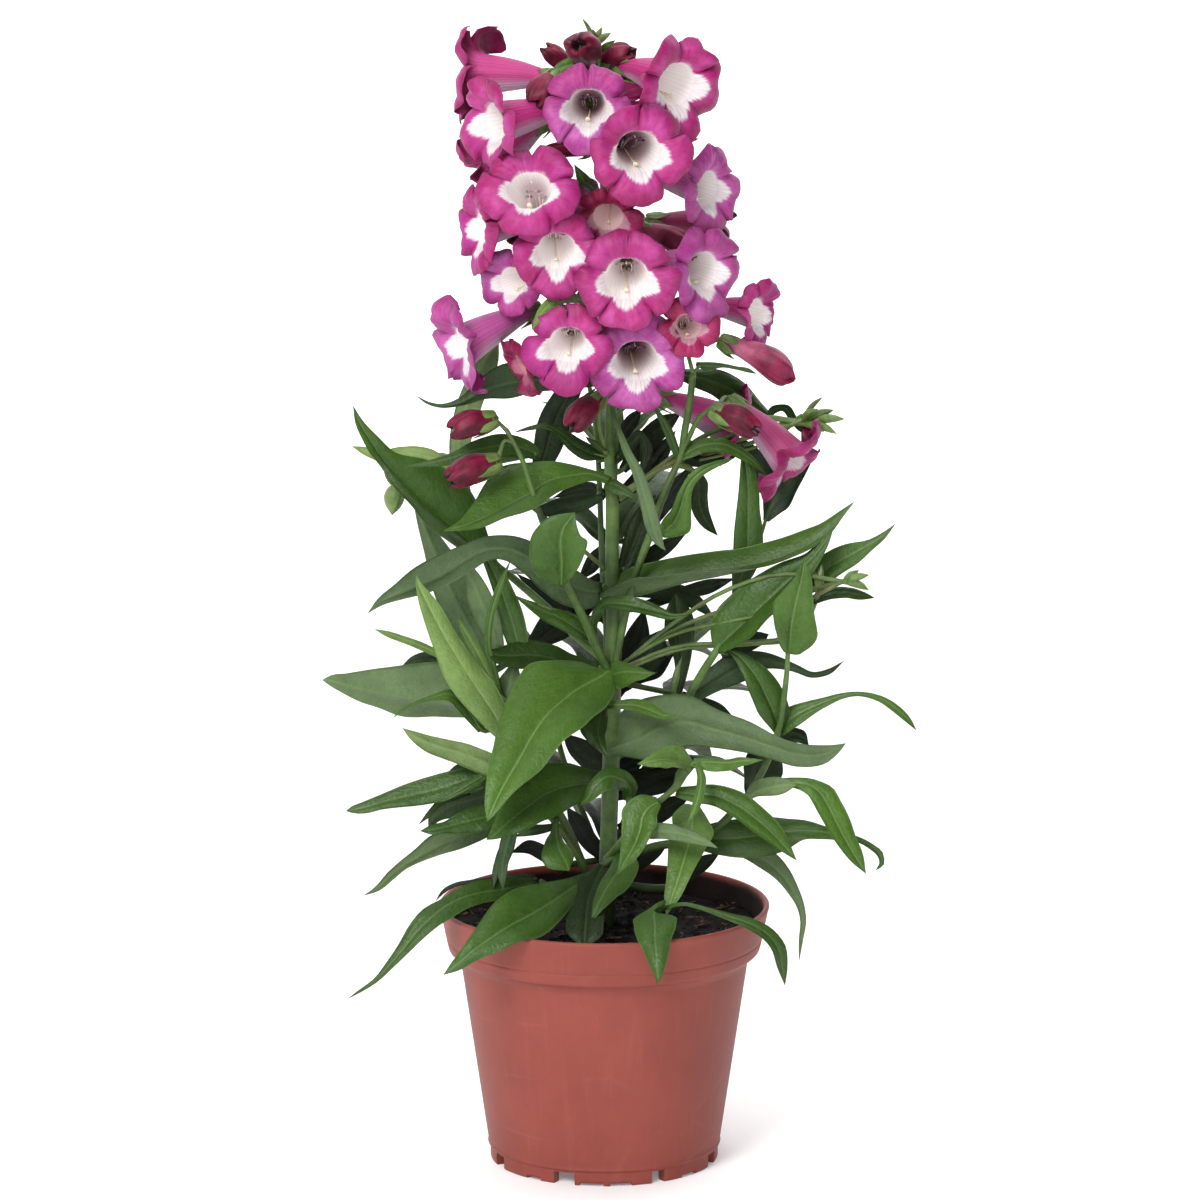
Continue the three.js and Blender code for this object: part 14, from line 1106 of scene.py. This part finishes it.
    # the inner wall darkened to near-black from 87 mm up to about 101 mm, just under the lip
    soil = N.math('MULTIPLY', N.step(N.math('ADD', sp.outputs[2], N.math('MULTIPLY', N.math('SUBTRACT', cloud, 0.5), 0.006)), 0.1022, 0.0995), N.step(N.math('SUBTRACT', N.math('ADD', 0.0605, N.math('MULTIPLY', N.math('SUBTRACT', sp.outputs[2], 0.085), 0.202)), rad), -0.0002, 0.0006))
    soil = N.math('MULTIPLY', soil, N.step(sp.outputs[2], 0.0865, 0.0885))
    col = N.mix(N.math('MULTIPLY', soil, N.math('ADD', 0.92, N.math('MULTIPLY', N.step(fine, 0.35, 0.6), 0.08))), col, (0.007, 0.004, 0.003))
    N.color(col)
    N.rough(N.math('ADD', 0.42, N.math('ADD', N.math('MULTIPLY', cloud, 0.12), N.math('MULTIPLY', streak, 0.14))))
    b = N.bump(N.math('ADD', fine, N.math('MULTIPLY', streak, 0.5)), 0.22, 0.0003)
    N.normal(b)
    # compost
    N = NT('compost_mix', rough=0.92, spec=0.2)
    n1, n2, n3 = N.noise(160, 4, 0.7), N.noise(700, 4, 0.7), N.noise(2600, 3, 0.7)
    col = N.mix(N.step(n1, 0.35, 0.65), (0.0022, 0.0015, 0.0012), (0.006, 0.004, 0.003))
    col = N.mix(N.step(n2, 0.60, 0.76), col, (0.040, 0.020, 0.010))
    col = N.mix(N.math('MULTIPLY', N.step(n3, 0.68, 0.76), 0.6), col, (0.12, 0.07, 0.04))
    N.color(col)
    N.normal(N.bump(N.math('ADD', n2, N.math('MULTIPLY', n3, 0.5)), 0.9, 0.0012))
    N = NT('fibre', rough=0.85, spec=0.2)
    N.color(N.mix(N.step(N.noise(260, 3), 0.35, 0.65), (0.025, 0.013, 0.008), (0.15, 0.078, 0.038))); N.normal(N.bump(N.noise(1500, 3), 0.7, 0.0006))
    N = NT('floor', rough=0.75, spec=0.2)
    N.color(N.mix(N.noise(6, 2), (0.88, 0.88, 0.88), (0.91, 0.91, 0.91)))
    N.p.inputs['Emission Color'].default_value = (1, 1, 1, 1)
    # the far floor and backdrop stay as pale as the floor round the pot
    sp = N.n('ShaderNodeSeparateXYZ'); N.put(sp.inputs[0], N.pos())
    far = N.math('SQRT', N.math('ADD', N.math('MULTIPLY', sp.outputs[0], sp.outputs[0]), N.math('MULTIPLY', sp.outputs[1], sp.outputs[1])))
    N.put(N.p.inputs['Emission Strength'], N.math('ADD', 0.16, N.math('MULTIPLY', N.step(far, 0.9, 1.7), 0.52)))

# ------------------------------------------------------------------ pot, turned finely
NOTCH = [(-20.5, 8.2, 5.0), (-6.5, 9.5, 1.2), (8.5, 8.5, 1.2), (28.0, 5.4, 5.0), (-38.0, 6.5, 1.2), (48.0, 8.0, 1.2), (70.0, 7.0, 5.0), (96.0, 8.5, 1.2),
         (118.0, 7.0, 5.0), (142.0, 8.5, 1.2), (166.0, 7.0, 5.0), (-66.0, 7.0, 5.0), (-92.0, 8.5, 1.2), (-115.0, 7.0, 5.0), (-140.0, 8.5, 1.2), (-164.0, 7.0, 5.0)]
def turned_pot():
    M = Mesh()
    def r_out(z): return 61.4 + 3.6 * (z - 85.2) / 17.8 if z >= 85.2 else 45.6 + 11.2 * (z - 6) / 75.7
    P = []
    def arc(cx, cz, r, a0, a1, n):
        for k in range(n + 1):
            a = math.radians(a0 + (a1 - a0) * k / n); P.append((cx + r * math.cos(a), cz + r * math.sin(a)))
    P += [(40.5, 5.0), (40.5, 0.35), (40.9, 0.0), (44.4, 0.0), (44.8, 0.2), (44.98, 0.7), (45.0, 2.5), (45.0, 5.2), (45.06, 5.7)]
    P += [(45.35, 6.0), (45.85, 6.15), (46.05, 6.6), (45.9, 7.1), (45.75, 7.6)]
    for z in np.linspace(9, 78, 22): P.append((r_out(z), z))
    P += [(56.35, 79.6), (56.6, 80.7), (57.0, 81.7), (57.7, 82.8), (58.8, 83.7), (59.9, 84.2), (60.6, 84.5), (61.05, 84.9), (61.35, 85.5), (61.5, 86.2)]
    for z in (87.3, 88.3, 89.0): P.append((r_out(z), z))
    P += [(r_out(89.3) - 0.12, 89.3), (r_out(89.5) - 0.28, 89.5), (r_out(89.7) - 0.12, 89.7)]
    for z in (90.0, 91.5, 93.5, 95.5, 97.5, 99.2, 100.4): P.append((r_out(z), z))
    P += [(64.72, 101.2), (64.92, 101.9), (64.9, 102.4), (64.6, 102.8), (64.1, 103.0), (63.5, 102.95), (63.05, 102.6), (62.8, 102.0), (62.6, 101.2)]
    for z in (99, 96, 93, 90, 87.2): P.append((r_out(z) - 1.9, z))
    P += [(59.3, 86.0), (57.0, 84.0), (55.4, 82.4)]
    for z in (76, 60, 40, 20, 7.6): P.append((r_out(min(z, 81)) - 1.5, z))
    P += [(0.6, 7.5)]
    n = 240
    edges = []
    for c, w, h in NOTCH:
        hw = math.degrees(w / 2 / 43.0); edges += [c - hw - 0.12, c - hw + 0.12, c + hw - 0.12, c + hw + 0.12]
    ang = np.unique(np.round(np.concatenate([np.linspace(-180, 180, n, endpoint=False), edges]), 3))
    keep = [ang[0]]
    for x in ang[1:]:
        if x - keep[-1] > 0.1: keep.append(x)
    ang = np.array(keep)
    lift = np.zeros(len(ang))
    for c, w, h in NOTCH:
        hw = math.degrees(w / 2 / 43.0)
        lift = np.maximum(lift, np.where(np.abs(ang - c) < hw, h, 0))
    a = np.radians(ang)
    dirs = np.stack([np.sin(a), -np.cos(a), 0 * a], -1)
    G = np.zeros((len(P), len(a), 3))
    for i, (r, z) in enumerate(P):
        zz = np.where((z < 5.01) & (i < 9), np.maximum(z, lift), z)
        G[i] = dirs * r; G[i, :, 2] = zz
    M.grid(G, 'pot_plastic', wrap=True)
    # underside: floor between the foot ring and the pad
    Q = [(40.5, 5.0), (36.0, 5.0), (33.0, 5.0), (25.2, 5.0), (20.0, 5.0), (15.2, 5.0), (14.7, 4.5), (14.2, 0.5), (13.9, 0.1), (13.4, 0.0), (0.5, 0.0)]
    G = np.zeros((len(Q), len(a), 3))
    for i, (r, z) in enumerate(Q): G[i] = dirs * r; G[i, :, 2] = z
    M.grid(G, 'pot_plastic', wrap=True, flip=True)
    return M

def compost():
    M = Mesh(); rnd = np.random.RandomState(5)
    nr, na = 56, 160
    r = np.linspace(0.5, 60.4, nr); a = np.linspace(0, 2 * math.pi, na, endpoint=False)
    Rr, Aa = np.meshgrid(r, a, indexing='ij')
    z = 93.0 + 0.7 * np.sin(3 * Aa + Rr * 0.21) + 0.5 * np.sin(7 * Aa - Rr * 0.33) + 0.45 * np.cos(5 * Aa + Rr * 0.5) + 1.0 * np.exp(-(Rr / 26) ** 2) - 0.9 * np.clip((Rr - 52) / 9, 0, 1) ** 2
    X, Y = Rr * np.cos(Aa), Rr * np.sin(Aa)
    # crumbs: many small cells of random height
    cells = rnd.rand(1400, 2) * 124 - 62; ch = rnd.rand(1400) ** 2 * 1.5
    P = np.stack([X.ravel(), Y.ravel()], -1)
    best = np.full(len(P), 1e9); idx = np.zeros(len(P), int)
    for k0 in range(0, 1400, 200):
        D = ((P[:, None] - cells[None, k0:k0 + 200]) ** 2).sum(-1); j = D.argmin(1); dmin = D[np.arange(len(P)), j]
        up = dmin < best; best[up] = dmin[up]; idx[up] = j[up] + k0
    z = z + (ch[idx] * np.clip(1 - best / 5.0, 0, 1)).reshape(z.shape) + 0.25 * (rnd.rand(*z.shape) - 0.5)
    z = np.minimum(z, 95.6)
    M.grid(np.stack([X, Y, z], -1), 'compost_mix', wrap=True, flip=False)
    # wall down the pot, out of sight
    G = np.zeros((4, na, 3))
    for i, (rr, zz) in enumerate(((60.4, None), (58.6, 88.6), (54.0, 82.0), (44.0, 8.2))):
        G[i, :, 0] = rr * np.cos(a); G[i, :, 1] = rr * np.sin(a); G[i, :, 2] = z[-1] if zz is None else zz
    M.grid(G, 'compost_mix', wrap=True, flip=False)
    # fibres and chips lying on it
    for k in range(520):
        rr = 60 * math.sqrt(rnd.rand()); an = rnd.rand() * 6.283
        x, y = rr * math.cos(an), rr * math.sin(an)
        i = min(nr - 1, int(rr / 60.4 * nr)); j = int(an / 6.2832 * na) % na
        c = np.array([x, y, z[i, j] + 0.25])
        ln = 0.8 + 2.8 * rnd.rand() ** 2; w = 0.25 + 0.6 * rnd.rand()
        dirn = U([rnd.randn(), rnd.randn(), 0.25 * rnd.randn()]); b = U(np.cross(dirn, [0, 0, 1])); cc = np.cross(dirn, b)
        blob(M, c, [dirn * ln, b * w, cc * w * 0.6], 'fibre' if rnd.rand() < 0.45 else 'compost_mix', k, n=3, k=5)
    return M

# ------------------------------------------------------------------ build every piece
materials()
nodes = {}
def mesh_of(node):
    if node not in nodes: nodes[node] = Mesh()
    return nodes[node]
for i, (name, L) in enumerate(LEAVES.items()):
    w = max(np.linalg.norm(np.array(s[0:3]) - np.array(s[6:9])) for s in L['st'])
    leaf(mesh_of(L['node']), L, 11 + 3 * i, n=48 if w > 12 else 30, cols=8 if w > 12 else 4, thick=0.45 if w > 6 else 0.35)
for node, pts in STEMS:
    tube(mesh_of(node), pts, 'stem', sides=14, seg=max(12, 8 * len(pts)), shade=0.45 if node == 'main_stem' else 0.75)
for node, pts in LINKS:
    tube(mesh_of(node), pts, 'stem', sides=8, seg=8, shade=0.75)
for i, (name, q) in enumerate(BUDS.items()):
    bud(mesh_of(q['node']), q, 100 + i)
for i, (name, q) in enumerate(FLOWERS.items()):
    flower(mesh_of(q['node']), q, 200 + 17 * i, name)
nodes['pot'] = turned_pot()
nodes['compost'] = compost()
tris = 0
for n, M in nodes.items():
    o = M.build('fine_' + n)
    tris += sum(len(f) - 2 for f in M.f)
    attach(o, 'root'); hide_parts(n)
print('triangles', tris, 'pieces', len(nodes))

# ------------------------------------------------------------------ floor, light, camera
me = bpy.data.meshes.new('floor')
S = 6.0; prof = [(-S, 0.0), (2.5, 0.0)] + [(2.5 + 0.8 * math.sin(t), 0.8 - 0.8 * math.cos(t)) for t in np.linspace(0.1, math.pi / 2, 12)] + [(3.3, 5.0)]
V = [(x, y, z) for (y, z) in prof for x in (-S, S)]
me.from_pydata(V, [], [(2 * i, 2 * i + 1, 2 * i + 3, 2 * i + 2) for i in range(len(prof) - 1)])
me.polygons.foreach_set('use_smooth', [True] * (len(prof) - 1))
me.materials.append(MAT['floor'])
fl = bpy.data.objects.new('floor', me); bpy.context.scene.collection.objects.link(fl)

def area(name, loc, target, size, power, color=(1, 1, 1), size_y=None):
    l = bpy.data.lights.new(name, 'AREA'); l.energy = power; l.color = color; l.size = size
    if size_y: l.shape = 'RECTANGLE'; l.size_y = size_y
    o = bpy.data.objects.new(name, l); bpy.context.scene.collection.objects.link(o)
    o.location = loc
    d = np.array(target, float) - np.array(loc, float)
    from mathutils import Vector
    o.rotation_euler = Vector(d).to_track_quat('-Z', 'Y').to_euler()
    return o
area('key', (-1.0, -1.9, 1.7), (0, 0, 0.22), 1.0, 58)
area('fill', (0.2, -2.3, 1.0), (0, 0, 0.2), 1.2, 15)
area('top', (0.0, 0.2, 2.0), (0, 0, 0.2), 1.1, 20)
area('rim', (0.9, 1.2, 1.2), (0, 0, 0.3), 0.8, 4)
w = bpy.data.worlds.new('studio'); w.use_nodes = True
wt = w.node_tree; bg = wt.nodes['Background']
tc = wt.nodes.new('ShaderNodeTexCoord'); sx = wt.nodes.new('ShaderNodeSeparateXYZ'); mr = wt.nodes.new('ShaderNodeMapRange')
wt.links.new(tc.outputs['Generated'], sx.inputs[0]); wt.links.new(sx.outputs[0], mr.inputs[0])
mr.inputs[1].default_value = -0.2; mr.inputs[2].default_value = 0.8; mr.inputs[3].default_value = 0.34; mr.inputs[4].default_value = 0.07
bg.inputs[0].default_value = (1, 1, 1, 1)
wt.links.new(mr.outputs[0], bg.inputs[1])
bpy.context.scene.world = w

cam = bpy.data.cameras.new('camera'); cam.sensor_width = 36; cam.sensor_fit = 'HORIZONTAL'; cam.lens = 6787 * 36 / 1200
cam.clip_start = 0.1; cam.clip_end = 30
co = bpy.data.objects.new('camera', cam); bpy.context.scene.collection.objects.link(co)
co.location = EYE * 0.001
co.rotation_euler = (math.pi / 2 - PITCH, 0, 0)
bpy.context.scene.camera = co
bpy.context.scene.view_settings.view_transform = 'Standard'

def flat(x):
    return [[float(c) for c in p] for p in x]
